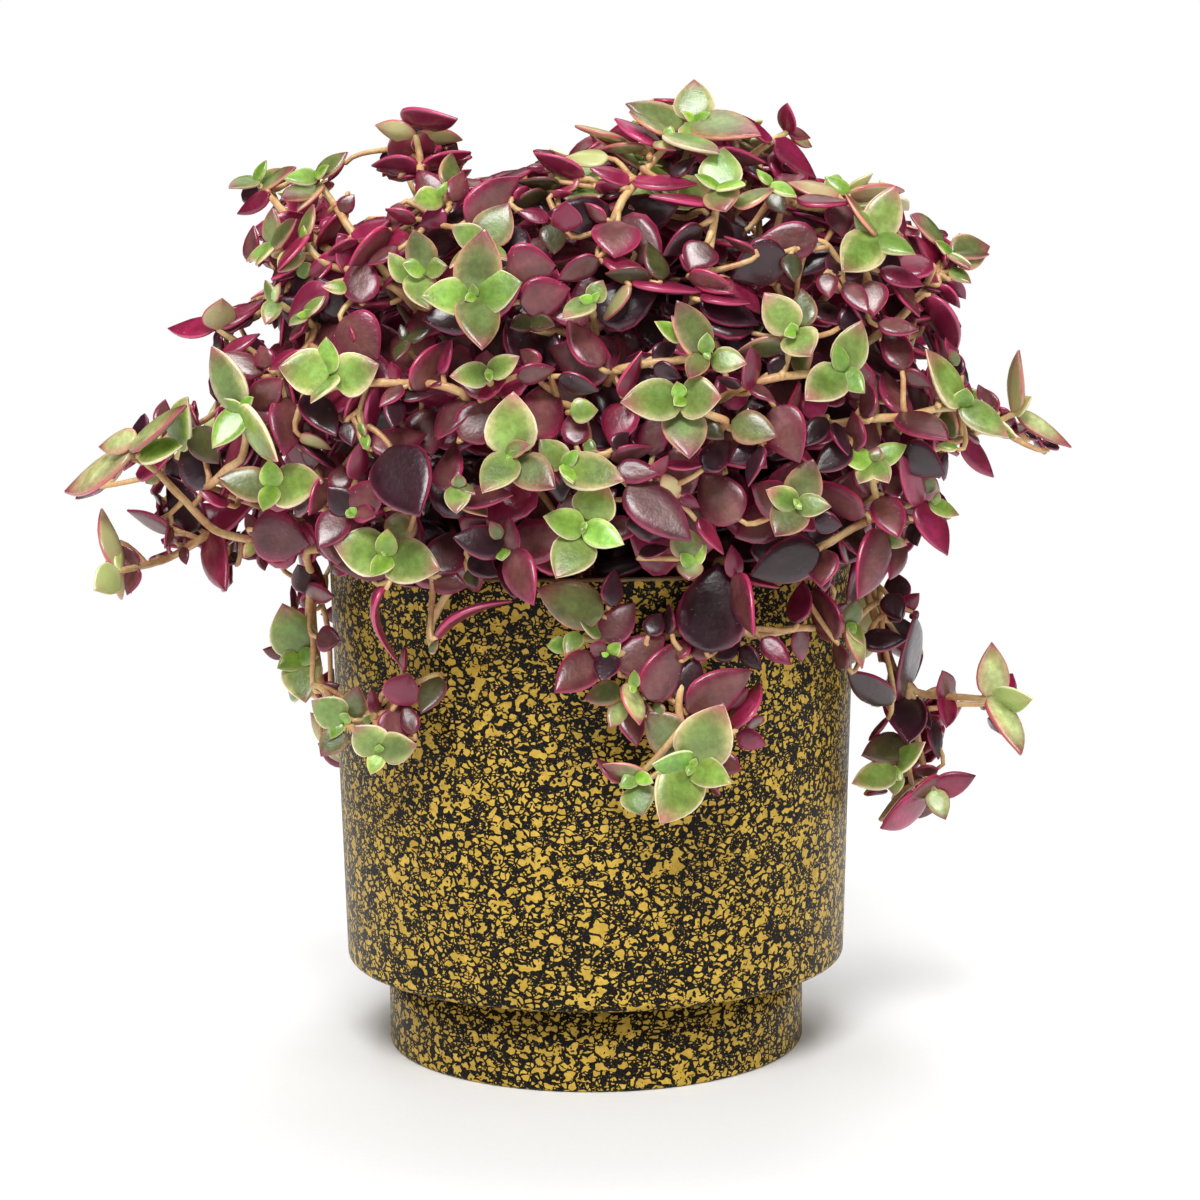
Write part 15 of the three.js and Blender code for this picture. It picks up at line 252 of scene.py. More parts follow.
     [[351,-146,2226,-125,10,-9,102,88,1,12,5,0],[357,-138,2226,53,4,9,110,93,1,12,5,0],[359,-145,2234,-36,11,-3,67,59,0,12,5,1],[354,-141,2241,142,29,3,57,45,0,12,5,1],[358,-142,2248,46,36,11,29,23,0,12,5,1],[353,-146,2244,-119,43,-12,29,23,0,12,5,1],[198,-31,2213,132,16,21,130,101,1,12,5,0],[205,-38,2211,-43,-3,-20,115,103,1,12,5,0],[201,-37,2222,-128,39,-13,74,60,0,12,5,1],[208,-30,2218,44,0,10,84,74,0,12,5,1],[211,-36,2228,-31,28,-23,40,36,0,12,5,1],[209,-31,2233,115,47,30,38,30,0,12,5,1],[359,101,2259,-131,27,-9,85,77,1,12,5,2],[366,108,2255,47,-13,8,91,75,1,12,5,2],[369,102,2265,-38,11,-20,56,49,0,12,5,3],[362,109,2266,127,27,23,63,55,0,12,5,3],[371,109,2278,42,20,8,26,22,0,12,5,3],[365,104,2275,-121,59,-16,28,23,0,12,5,3],[332,90,2186,-145,28,-4,139,118,4,12,5,2],[340,95,2182,34,-15,3,138,114,4,12,5,2],[279,239,2161,-172,23,8,79,65,1,12,5,2],[289,241,2159,9,-10,-8,98,89,1,12,5,2],[287,237,2169,-73,27,-19,58,47,0,12,5,3],[287,245,2173,95,12,17,52,42,0,12,5,3],[293,244,2176,14,23,-8,29,23,0,12,5,3],[284,242,2178,180,56,13,27,23,0,12,5,3],[262,231,2083,98,-1,16,169,143,4,12,5,2],[264,221,2085,-78,14,-17,162,145,4,12,5,2],[267,147,2235,-155,28,-8,111,94,1,12,5,2],[275,151,2231,23,-14,7,107,86,1,12,5,2],[276,145,2241,-62,12,-22,60,52,0,12,5,3],[275,152,2247,103,25,24,71,63,0,12,5,3],[281,150,2253,19,19,7,31,28,0,12,5,3],[274,148,2251,-147,61,-14,34,27,0,12,5,3],[239,146,2167,-162,29,-5,149,133,4,12,5,2],[247,148,2163,17,-15,5,149,128,4,12,5,2],[151,341,2241,136,-16,20,119,110,1,12,5,2],[158,335,2245,-38,29,-22,139,112,1,12,5,2],[151,340,2252,-150,37,29,82,70,0,12,5,3],[158,346,2249,49,-1,-23,79,66,0,12,5,3],[157,344,2260,-15,58,-39,38,31,0,12,5,3],[150,350,2256,125,15,20,41,33,0,12,5,3],[161,301,2173,52,-16,-20,155,130,4,12,5,2],[155,294,2176,-133,29,22,151,127,4,12,5,2],[-4,-40,2146,-117,2,8,126,114,1,12,5,2],[0,-31,2147,65,12,-8,106,96,1,12,5,2],[1,-38,2156,-29,28,6,68,56,0,12,5,3],[-7,-35,2160,155,12,-5,69,60,0,12,5,3],[-5,-35,2169,72,45,-12,37,31,0,12,5,3],[-7,-40,2164,-122,34,10,35,32,0,12,5,3],[4,-35,2083,-169,-3,1,133,113,4,12,5,2],[13,-33,2085,11,17,-1,126,110,4,12,5,2],[169,186,2153,141,15,9,88,71,2,12,5,2],[177,180,2151,-37,-1,-8,84,71,2,12,5,2],[172,179,2161,-124,28,-9,58,51,0,12,5,3],[178,185,2166,50,12,8,52,45,0,12,5,3],[180,180,2169,-32,32,-10,28,26,0,12,5,3],[177,184,2174,134,47,12,26,24,0,12,5,3],[156,183,2085,143,15,8,139,123,4,12,5,2],[164,178,2084,-35,-1,-8,141,127,4,12,5,2],[282,97,2097,-47,0,-30,120,82,6,15,7,4],[234,91,2009,19,-4,4,120,106,5,15,7,4],[224,87,2015,-156,49,-7,120,102,5,15,9,4],[192,93,1924,82,7,20,109,85,4,15,5,4],[193,81,1923,-74,1,-18,109,78,6,15,10,4],[159,104,1817,-173,36,11,96,67,5,15,8,4],[168,109,1821,53,13,-1,113,100,4,15,7,4],[154,95,1710,78,20,2,113,103,5,15,8,4],[154,85,1705,-79,28,-5,96,68,6,15,4,4],[148,82,1603,-170,4,-1,102,88,5,15,7,4],[159,82,1604,-11,8,3,102,90,4,15,0,4],[166,89,1508,-32,6,16,145,109,5,15,1,4],[158,93,1508,157,24,-17,145,102,5,15,5,4],[179,68,1397,-60,32,-2,107,91,6,15,9,4],[173,78,1393,119,-12,1,107,92,5,15,7,4],[190,59,1287,100,0,-7,102,69,5,15,8,4],[192,48,1288,-81,13,7,102,76,6,15,1,4],[198,48,1199,-133,-3,2,109,77,4,15,4,4],[208,53,1201,6,12,4,128,94,5,15,1,4],[44,4,2034,-117,-20,12,132,105,6,15,4,4],[44,12,2040,94,35,-29,132,107,4,15,6,4],[87,52,1979,-10,56,48,127,93,5,15,5,4],[79,54,1975,160,-10,-49,150,119,6,15,8,4],[136,88,1917,44,56,-33,141,123,5,15,5,4],[128,84,1910,-161,-8,18,141,121,5,15,5,4],[174,129,1993,71,1,-14,142,100,5,15,10,4],[166,122,1996,-164,26,27,142,116,5,15,7,4],[242,153,2037,9,7,-50,118,93,6,15,3,4],[231,156,2038,135,12,52,100,75,5,15,5,4],[245,101,2075,27,-3,-9,97,78,4,15,1,4],[237,93,2077,-114,35,2,114,80,6,15,10,4],[177,223,2106,154,-36,36,111,79,4,15,8,4],[187,223,2111,24,21,-58,89,61,5,15,7,4],[210,11,2141,-165,13,-34,121,105,4,15,7,4],[218,11,2143,-8,22,35,121,111,6,15,9,4],[336,-70,2184,-29,-22,44,132,97,4,15,4,4],[331,-69,2190,175,63,-59,112,93,4,15,0,4],[314,6,2152,24,50,68,120,84,5,15,8,4],[311,3,2145,-75,-40,-2,120,109,5,15,2,4],[-112,-76,2193,-80,-15,-1,70,58,4,15,1,4],[432,219,2128,49,-38,-22,129,102,5,15,6,4],[-55,-168,2139,-104,-29,26,119,108,5,15,4,4],[-93,-16,2172,-152,-44,-8,140,107,4,15,10,4],[408,248,2116,104,-7,-14,106,77,4,15,2,4],[376,235,2215,-72,-9,-8,113,85,6,15,3,4],[-38,13,2187,162,-21,8,122,87,4,15,5,4],[-98,-140,2130,-72,-22,-13,53,45,4,15,4,4],[-157,94,2134,-133,4,-10,95,84,4,15,3,4],[-144,-118,2145,159,-20,-5,72,50,4,15,3,4],[-6,40,2190,172,-5,8,63,49,5,15,1,4],[-14,106,2223,73,-5,-43,66,49,4,15,1,4],[62,61,2235,-113,-11,12,109,75,6,15,9,4],[9,55,2242,56,-5,-54,60,51,4,15,2,4],[319,187,2215,27,-21,20,121,94,4,15,8,4],[413,66,2195,-3,-28,-7,59,49,6,15,1,4],[70,123,2193,-56,-23,18,139,123,4,15,9,4],[417,143,2110,-112,11,13,123,96,4,15,2,4],[-51,43,2150,-92,15,9,66,50,4,15,8,4],[437,243,2153,129,7,21,103,84,4,15,4,4],[7,113,2241,5,-11,-50,85,68,4,15,2,4],[89,71,2145,81,-4,8,56,46,4,15,3,4],[-172,-203,2075,-163,-26,-23,110,96,4,15,0,4],[-65,-66,2118,-102,-7,-21,113,97,4,15,9,4],[-169,-196,2085,61,13,49,108,79,4,15,8,4],[-140,105,2077,-6,21,27,98,87,6,15,4,4],[-148,-192,2137,48,-21,-7,87,71,6,15,9,4]]),
    ("shoot_rear_08",
     [[748,720,1577,759,684,1506,763,668,1496,781,597,1463,788,561,1448,792,520,1430,791,488,1417,785,456,1405,773,425,1393,758,396,1381,738,368,1369,715,343,1355,689,320,1341,661,300,1325,631,281,1308,569,252,1269,538,240,1246,478,221,1194,422,207,1135,372,197,1070],[697,270,989,694,263,1028,691,268,1047,676,316,1133,662,371,1218,664,354,1262,665,342,1282,665,329,1300,661,300,1325],[893,404,1477,868,361,1443,840,323,1406,818,303,1380,792,291,1352,778,287,1339,748,285,1312,707,289,1281,677,314,1276,646,298,1288,601,265,1289],[688,710,1408,734,599,1399,760,528,1396,769,493,1395,774,459,1394,773,425,1393],[798,443,1209,788,404,1212,780,387,1216,718,291,1255,684,256,1280,601,265,1289],[509,790,1357,556,753,1361,589,731,1367,644,701,1383,704,673,1405]],
     [[791,384,1190,795,380,1198,780,386,1211,781,388,1216],[780,328,1229,774,330,1220,754,337,1234,751,342,1234],[540,740,1400,540,748,1386,547,745,1371,555,754,1361],[821,381,1237,806,381,1230,785,384,1223,781,388,1216],[836,367,1246,839,377,1256,803,376,1234,799,383,1228],[573,730,1425,560,712,1451,624,694,1397,653,697,1386],[825,480,1362,806,474,1351,778,457,1387,774,455,1394],[503,760,1428,507,749,1408,529,742,1392,545,747,1379],[778,450,1269,765,425,1287,756,380,1239,766,365,1225],[761,520,1307,792,518,1314,752,509,1376,764,514,1396],[622,750,1521,654,765,1536,583,709,1449,584,712,1427],[756,500,1294,743,516,1272,753,432,1277,766,419,1267],[642,360,1044,677,357,1049,656,318,1113,677,312,1126],[909,311,1267,898,280,1312,779,285,1317,765,285,1327],[896,470,1532,925,451,1573,797,494,1453,792,516,1429],[911,190,1294,940,178,1272,883,268,1291,894,298,1286],[634,370,918,680,381,899,638,347,1037,660,351,1059],[1013,290,1531,1016,322,1480,878,337,1463,869,362,1443],[630,618,1363,645,586,1379,696,593,1392,734,599,1399],[611,683,1518,618,686,1539,614,721,1506,623,743,1503],[879,344,1574,885,352,1534,873,340,1484,893,346,1457],[875,320,1566,876,300,1565,871,337,1526,881,346,1514],[874,294,1556,876,272,1566,869,330,1524,881,346,1514],[671,239,1200,702,224,1203,626,252,1270,629,261,1287],[819,159,1492,798,185,1539,836,264,1530,874,305,1544],[711,406,1337,723,383,1352,686,338,1344,693,323,1343],[683,159,1170,668,185,1156,662,215,1214,672,237,1221],[716,476,1303,714,463,1288,738,451,1282,755,448,1273],[860,214,1570,862,235,1571,836,245,1543,840,258,1535],[735,220,1283,747,219,1305,731,266,1305,743,285,1308],[770,314,1564,774,327,1534,821,285,1543,856,282,1538],[671,319,1246,673,308,1247,668,312,1271,674,312,1278],[791,300,1706,801,315,1649,803,260,1570,840,258,1535],[795,321,1362,793,308,1361,784,295,1352,787,289,1347],[824,408,1600,835,375,1605,853,356,1556,881,347,1544],[815,323,1646,818,314,1640,799,301,1644,800,296,1645],[560,135,1184,570,155,1220,524,209,1235,533,238,1241],[821,271,1529,820,278,1525,819,286,1537,823,293,1540],[856,265,1722,848,291,1734,799,289,1683,795,302,1675],[831,273,1455,826,297,1455,828,308,1419,841,324,1407],[803,338,1769,787,325,1798,784,305,1694,795,302,1675],[570,697,1435,563,702,1446,585,709,1450,595,719,1454],[479,221,1113,466,235,1105,433,209,1138,427,208,1140],[836,72,1544,833,90,1509,802,151,1518,813,179,1512],[814,387,1751,817,401,1727,785,328,1732,789,314,1731],[801,480,1650,805,502,1604,844,461,1556,884,468,1530],[823,290,1477,824,306,1475,822,297,1445,830,302,1435],[760,509,1329,778,489,1319,746,457,1289,755,448,1273],[717,445,1587,691,397,1571,753,331,1551,793,309,1543],[752,521,1532,760,527,1498,765,550,1470,786,571,1452],[629,505,1254,636,479,1209,638,381,1262,664,357,1256],[610,628,1345,610,637,1363,633,601,1369,649,600,1375],[563,695,1376,577,686,1387,590,694,1405,606,703,1413]],
     [[885,397,1511,-32,-11,-66,115,68,3,14,5,3],[898,387,1490,144,25,36,213,96,3,14,5,2],[816,355,1493,116,46,98,168,97,0,10,5,2],[883,376,1474,148,7,50,133,82,0,10,5,3],[916,237,1423,145,22,50,126,76,6,14,5,0],[883,233,1427,9,-42,-72,35,39,3,14,5,0],[801,434,1208,-47,61,-111,167,86,3,14,5,2],[798,443,1209,72,-25,141,92,89,0,10,5,3],[798,443,1209,-76,43,-94,73,51,0,10,5,3],[798,443,1209,-79,-50,-115,93,44,3,14,5,3],[787,375,1212,13,61,-120,60,44,4,16,5,2],[787,375,1212,18,-74,-54,71,47,4,16,5,2],[688,245,1279,122,-42,89,204,100,6,14,5,0],[750,708,1577,-12,66,-95,153,92,1,10,5,2],[750,708,1577,36,-49,-41,114,87,0,10,5,2],[750,708,1577,133,-35,5,178,109,1,10,5,2],[748,720,1577,7,33,-89,48,34,1,10,5,3],[748,720,1577,135,32,101,56,37,0,10,5,3],[727,700,1586,151,35,87,106,93,4,16,5,2],[690,698,1408,9,9,-81,121,105,2,14,5,2],[688,710,1408,73,83,-168,64,68,0,10,5,3],[688,710,1408,79,-42,-5,81,62,0,10,5,3],[690,698,1408,155,3,79,135,134,1,10,5,2],[511,778,1356,1,48,-90,76,85,5,16,5,2],[511,778,1356,166,41,88,103,111,4,16,5,2],[509,790,1357,148,44,101,20,22,0,10,5,3],[509,790,1357,50,-34,-44,22,24,0,10,5,3],[533,770,1354,44,-46,-40,101,100,4,16,5,2],[502,782,1358,141,-11,77,67,58,4,16,5,3],[699,258,988,17,76,-116,138,127,1,10,5,2],[697,270,989,29,-26,-65,65,60,0,10,5,3],[697,270,989,145,8,87,69,52,0,10,5,3],[699,258,988,112,-55,35,128,111,1,10,5,2],[670,274,1150,73,47,-176,99,75,5,16,5,2],[670,274,1150,143,-6,100,90,54,4,16,5,2],[670,274,1150,-48,-40,-160,56,33,4,16,5,2],[821,381,1237,2,26,-47,118,68,4,16,5,2],[907,187,1290,158,35,-138,171,109,6,14,5,2],[825,480,1362,18,29,124,73,42,6,14,5,2],[761,520,1307,177,-13,92,134,149,4,16,5,2],[622,750,1521,-155,-23,-47,78,46,3,14,5,2],[503,760,1428,111,60,-15,91,59,6,14,5,2],[540,740,1400,-88,60,-4,63,71,4,16,5,2],[573,730,1425,55,-49,-51,98,58,4,16,5,2],[909,311,1267,71,-55,-50,57,33,4,16,5,2],[836,367,1246,-107,-46,-44,92,56,6,14,5,2],[791,384,1190,126,-57,25,49,30,4,16,5,2],[642,360,1044,174,-9,90,58,65,4,16,5,2],[778,450,1269,63,-33,-50,51,39,3,14,5,2],[756,500,1294,-51,47,-43,63,39,4,16,5,2],[634,370,918,-166,23,79,46,44,4,16,5,2],[896,470,1532,147,-50,61,108,94,7,14,5,2],[1013,290,1531,-96,58,9,80,53,4,16,5,2],[780,328,1229,-22,54,-58,162,98,5,16,5,2],[763,680,1496,69,-35,-34,120,92,4,15,6,4],[758,674,1505,-133,53,50,120,107,4,15,8,4],[776,595,1459,175,-27,61,146,104,6,15,6,4],[787,595,1465,27,37,-78,146,109,5,15,4,4],[788,516,1434,174,58,81,115,105,4,15,6,4],[795,519,1425,35,-46,-48,115,95,4,15,0,4],[771,410,1391,-31,32,-72,117,101,4,15,5,4],[763,416,1385,130,-25,62,117,95,4,15,4,4],[724,348,1354,-5,-47,-48,126,108,4,15,5,4],[717,349,1363,150,57,68,126,94,4,15,6,4],[647,297,1316,90,-14,55,107,92,4,15,8,4],[650,287,1321,-64,28,-64,107,93,4,15,9,4],[561,251,1270,138,68,52,110,80,6,15,9,4],[569,249,1261,-6,-38,-22,110,79,6,15,3,4],[493,220,1211,-79,35,-52,105,79,6,15,8,4],[492,231,1209,110,9,49,105,76,4,15,9,4],[667,368,1220,-20,-25,-163,142,104,5,15,2,4],[658,374,1223,132,-7,170,142,126,6,15,5,4],[781,287,1333,10,-27,-4,83,69,4,15,9,4],[773,286,1342,-175,61,8,122,95,4,15,9,4],[696,304,1275,25,-44,67,127,98,6,15,1,4],[689,297,1280,-123,9,-84,108,82,6,15,2,4],[719,626,1396,157,-43,53,108,96,4,15,7,4],[724,627,1407,41,74,-107,108,81,5,15,1,4],[749,544,1398,-171,16,91,144,129,5,15,9,4],[760,548,1395,43,-14,-82,144,104,5,15,4,4],[583,737,1359,103,-62,-50,115,90,4,15,7,4],[578,733,1369,-163,38,124,115,88,4,15,1,4],[630,618,1363,116,-25,52,120,94,4,15,5,4],[611,683,1518,-159,-71,131,100,78,4,15,3,4],[879,344,1574,-126,75,35,97,86,4,15,3,4],[875,320,1566,94,2,52,103,92,4,15,3,4],[874,294,1556,95,-25,27,68,52,6,15,5,4],[671,239,1200,155,-5,60,61,54,6,15,4,4],[819,159,1492,-51,-55,-33,123,94,6,15,4,4],[711,406,1337,119,-30,87,123,97,6,15,7,4],[683,159,1170,-60,26,-95,98,68,6,15,1,4],[716,476,1303,82,49,77,60,44,5,15,3,4],[860,214,1570,-98,-2,-64,141,117,4,15,7,4],[740,218,1281,177,-61,-162,142,97,4,15,7,4],[770,314,1564,-106,66,-63,142,120,4,15,1,4],[671,319,1246,104,-3,68,66,56,4,15,7,4],[791,300,1706,-125,73,-19,112,90,4,15,9,4],[795,321,1362,82,4,60,108,91,4,15,0,4],[824,408,1600,108,-8,49,101,84,4,15,8,4],[815,323,1646,107,32,55,118,98,4,15,2,4],[566,133,1184,-117,-58,-99,112,81,4,15,1,4],[821,271,1529,-81,30,-62,96,71,4,15,5,4],[856,265,1722,-73,-24,-27,116,101,4,15,6,4],[831,273,1455,-79,1,-36,116,90,6,15,7,4],[803,338,1769,36,-54,30,111,97,6,15,4,4],[570,697,1435,-38,-52,-51,97,83,4,15,9,4],[479,221,1113,-49,21,-73,106,83,6,15,5,4],[836,72,1544,-83,63,-32,114,86,4,15,7,4],[814,387,1751,-99,59,-57,65,48,4,15,9,4],[801,480,1650,-102,65,-29,121,103,5,15,4,4],[823,290,1477,-94,8,-59,65,55,4,15,5,4],[760,509,1329,132,19,51,83,65,4,15,6,4],[717,445,1587,61,16,119,101,92,4,15,4,4],[752,521,1532,-145,73,15,66,45,5,15,7,4],[629,505,1254,104,59,125,100,75,4,15,5,4],[610,628,1345,-91,-64,-129,149,135,4,15,3,4],[563,695,1376,148,-33,-3,72,63,4,15,1,4]]),
    ("shoot_crown_08",
     [[794,250,1975,695,215,1882,616,187,1796,566,169,1729,543,161,1694,504,147,1619,487,141,1580,458,131,1500,447,127,1458,427,122,1373,413,119,1286,401,118,1196,393,108,1070],[639,357,2039,622,303,1956,615,264,1900,616,187,1796],[676,175,2048,652,173,1971,639,173,1925,629,176,1883,616,187,1796],[734,-6,2004,672,207,1859],[616,426,2128,648,384,2067,668,352,2027,699,291,1978,732,228,1918]],
     [[561,90,2068,600,80,2035,619,151,1995,658,173,1993],[769,-50,1938,761,-23,1964,718,20,1955,719,41,1972],[589,-45,2064,611,7,2044,668,22,1975,719,41,1972],[864,120,1787,867,61,1795,717,93,1891,705,88,1940],[568,6,2097,577,-13,2089,588,-14,2054,604,-21,2049],[844,41,1782,845,22,1775,825,76,1805,830,88,1816],[821,-40,1882,822,-73,1876,761,-30,1927,758,-28,1951],[804,301,1883,782,333,1891,727,257,1917,721,249,1938],[748,378,1932,727,389,1962,690,324,1972,687,314,1996],[807,328,1855,797,338,1867,778,309,1881,778,306,1894],[799,117,1820,809,108,1813,817,95,1815,830,88,1816],[806,116,1683,805,154,1708,808,72,1763,834,60,1797],[725,-121,1850,720,-79,1859,743,-54,1901,770,-36,1929],[778,-59,1784,780,-21,1792,783,-52,1859,805,-52,1893],[716,-13,1936,703,-9,1955,689,20,1963,691,31,1980],[767,112,1839,757,145,1862,685,164,1859,678,183,1876],[714,455,1800,689,478,1849,705,381,1904,729,373,1952],[799,236,1902,811,216,1894,740,228,1909,732,228,1918],[832,-25,1831,827,-35,1848,795,-42,1853,793,-48,1865],[748,-51,1819,749,-61,1811,767,-43,1807,781,-41,1806],[668,228,2089,659,198,2117,631,168,2010,636,153,1999],[639,55,2074,633,80,2076,589,84,2046,583,94,2047],[596,191,2108,612,201,2091,626,184,2062,646,184,2057],[828,142,1661,825,123,1664,804,127,1695,806,124,1708],[775,-104,1924,783,-84,1922,776,-58,1909,786,-45,1910],[734,68,1783,735,94,1760,777,99,1739,809,110,1733],[769,184,1806,790,166,1778,784,126,1744,809,110,1733],[783,140,1953,810,127,1941,725,100,1917,720,88,1914],[711,447,1837,708,450,1839,705,453,1830,705,456,1829],[799,243,1867,793,257,1869,780,228,1890,781,225,1902],[687,87,2024,689,61,2027,662,37,1995,666,21,1995],[748,-14,1988,737,-23,2004,703,1,1960,698,6,1958],[794,63,1937,809,38,1929,744,11,1946,743,-6,1958],[721,-66,1912,724,-55,1911,729,-67,1888,736,-68,1883],[730,-23,1982,736,-9,1979,723,7,1963,728,17,1962],[596,-7,2092,600,9,2090,597,-17,2055,604,-21,2049],[658,152,2020,666,157,2014,654,167,1996,658,173,1993],[545,360,2137,560,351,2174,607,379,2082,641,393,2080],[688,503,1899,717,503,1897,691,436,1879,704,423,1880]],
     [[789,249,1977,-166,29,4,117,100,2,12,5,0],[798,251,1973,15,-16,-4,113,96,2,12,5,2],[798,246,1983,-66,22,-24,71,57,0,12,5,1],[796,256,1983,98,15,23,70,61,0,12,5,3],[805,254,1989,17,18,-4,31,28,0,12,5,3],[796,251,1993,-171,62,7,35,32,0,12,5,3],[737,-10,2004,-57,-6,-23,113,96,2,12,5,0],[732,-1,2006,117,19,24,107,92,2,12,5,0],[742,-3,2011,31,-4,12,68,56,0,12,5,1],[734,-8,2015,-139,42,-17,80,69,0,12,5,1],[744,-4,2025,97,48,36,33,29,0,12,5,1],[745,-9,2020,-44,24,-25,39,36,0,12,5,1],[613,422,2129,-126,27,-9,95,82,1,12,5,2],[619,430,2126,52,-14,8,98,81,1,12,5,2],[623,424,2135,-33,11,-21,67,55,0,12,5,3],[615,431,2137,132,27,23,65,58,0,12,5,3],[625,433,2142,47,19,9,27,24,0,12,5,3],[619,425,2146,-116,60,-17,29,24,0,12,5,3],[643,354,2038,-29,-7,-29,100,90,2,12,5,2],[635,359,2041,144,19,30,97,76,2,12,5,2],[645,364,2045,60,-9,13,69,63,0,12,5,3],[641,356,2050,-108,48,-19,64,57,0,12,5,3],[642,365,2056,121,46,43,33,29,0,12,5,3],[651,360,2054,-12,22,-31,32,27,0,12,5,3],[605,338,1978,121,5,32,163,144,4,12,5,2],[611,330,1978,-52,7,-32,165,129,4,12,5,2],[680,175,2045,8,-29,-15,96,80,1,12,5,2],[672,174,2050,-177,43,18,86,73,1,12,5,2],[680,182,2053,93,3,36,62,56,0,12,5,3],[682,173,2056,-61,29,-42,55,44,0,12,5,3],[682,180,2064,150,72,46,25,22,0,12,5,3],[690,181,2059,16,3,-13,26,22,0,12,5,3],[639,158,1997,116,4,39,145,131,4,12,5,2],[644,149,1998,-55,7,-39,137,107,4,12,5,2],[733,223,1913,-31,-11,-38,106,76,6,15,9,4],[725,227,1920,177,51,16,106,93,6,15,9,4],[655,204,1835,52,-17,23,138,108,4,15,9,4],[650,196,1842,-108,49,-35,138,122,6,15,1,4],[572,177,1746,129,24,35,139,113,4,15,5,4],[580,169,1742,-38,-5,-32,139,119,5,15,7,4],[527,152,1672,-128,34,-16,112,87,5,15,10,4],[533,160,1667,48,-19,14,112,91,5,15,0,4],[485,135,1562,-43,-6,-19,106,83,5,15,3,4],[476,143,1564,133,17,20,106,89,4,15,7,4],[451,130,1453,32,4,4,140,113,4,15,4,4],[441,124,1456,-144,37,-5,140,114,5,15,7,4],[427,116,1347,-44,19,-10,107,86,4,15,7,4],[422,124,1353,108,24,11,107,89,5,15,10,4],[414,123,1261,42,2,5,124,87,5,15,4,4],[403,119,1262,-178,12,0,146,119,6,15,9,4],[613,265,1892,108,-11,14,100,74,6,15,6,4],[617,256,1899,-55,54,-23,100,91,4,15,8,4],[638,177,1927,95,21,13,138,118,6,15,1,4],[635,168,1921,-118,16,-13,117,89,5,15,2,4],[712,59,1955,-107,-24,-31,132,107,5,15,1,4],[717,64,1961,34,32,54,132,107,5,15,6,4],[691,153,1895,-19,-12,47,108,77,4,15,1,4],[685,154,1901,148,61,-35,91,63,5,15,5,4],[654,384,2057,74,-16,-31,123,97,5,15,4,4],[650,374,2063,-135,48,47,123,99,4,15,8,4],[684,314,1991,148,-24,27,99,75,5,15,0,4],[691,310,2000,-40,63,-19,117,90,4,15,3,4],[561,90,2068,166,39,14,142,108,6,15,1,4],[770,-54,1942,-74,-43,-2,145,110,4,15,5,4],[589,-45,2064,-113,19,-4,140,104,4,15,7,4],[864,120,1787,93,-8,33,94,75,4,15,10,4],[569,4,2103,115,21,-1,97,77,4,15,8,4],[843,39,1788,94,19,-9,106,91,4,15,8,4],[821,-41,1888,92,10,1,141,121,4,15,7,4],[804,301,1883,-55,-11,-68,102,75,6,15,1,4],[748,378,1932,-28,-52,-55,132,98,4,15,3,4],[807,328,1855,-46,-41,-43,128,113,4,15,5,4],[799,117,1820,139,28,35,98,85,6,15,7,4],[806,116,1683,-90,-33,-71,133,110,5,15,4,4],[725,-121,1850,-84,-11,-30,117,86,5,15,3,4],[778,-59,1784,-94,-12,-75,99,84,6,15,3,4],[716,-13,1936,-21,-54,-19,97,87,4,15,8,4],[767,112,1839,-73,-34,-62,128,88,4,15,7,4],[714,455,1800,-42,-55,-45,145,113,6,15,8,4],[799,236,1902,120,19,89,87,70,4,15,9,4],[832,-25,1831,61,-56,55,123,104,4,15,5,4],[753,-52,1822,98,40,57,108,87,4,15,8,4],[668,228,2089,72,-42,36,97,89,4,15,2,4],[639,55,2074,-75,-5,-43,134,108,4,15,1,4],[596,191,2108,-149,41,-28,61,51,4,15,8,4],[828,142,1661,81,-9,47,120,84,4,15,0,4],[780,-106,1926,-110,7,-66,68,60,5,15,6,4],[734,68,1783,-93,40,-67,128,93,4,15,9,4],[769,184,1806,139,45,31,134,102,4,15,5,4],[783,140,1953,154,22,43,103,75,4,15,5,4],[711,447,1837,-52,-32,-39,145,124,4,15,8,4],[799,242,1873,-68,-7,8,117,89,6,15,0,4],[687,87,2024,93,-5,3,95,73,6,15,2,4],[748,-14,1988,43,-48,39,53,42,5,15,6,4],[794,63,1937,122,15,19,82,69,4,15,6,4],[721,-66,1912,-102,3,-68,111,90,6,15,7,4],[736,-25,1983,-111,13,-82,115,101,4,15,10,4],[596,-7,2092,-106,7,-44,77,60,4,15,1,4],[658,152,2020,-152,34,7,129,113,5,15,3,4],[545,360,2137,148,-64,51,101,91,4,15,6,4],[688,503,1899,-179,2,53,73,53,6,15,5,4]]),
    ("shoot_crown_09",
     [[560,-333,2038,541,-297,1972,537,-291,1962,452,-179,1838,431,-151,1804,410,-128,1769,391,-110,1733,356,-79,1657,342,-58,1617,328,-31,1575,317,-59,1537,307,-81,1498,299,-98,1458,291,-110,1416,285,-120,1374,276,-135,1288,270,-145,1201,264,-156,1070],[581,-268,2042,544,-241,1976,452,-179,1838],[432,-17,2168,417,-20,2090,415,-16,2071,416,8,2039,417,-19,1996,425,-102,1883,431,-151,1804]],
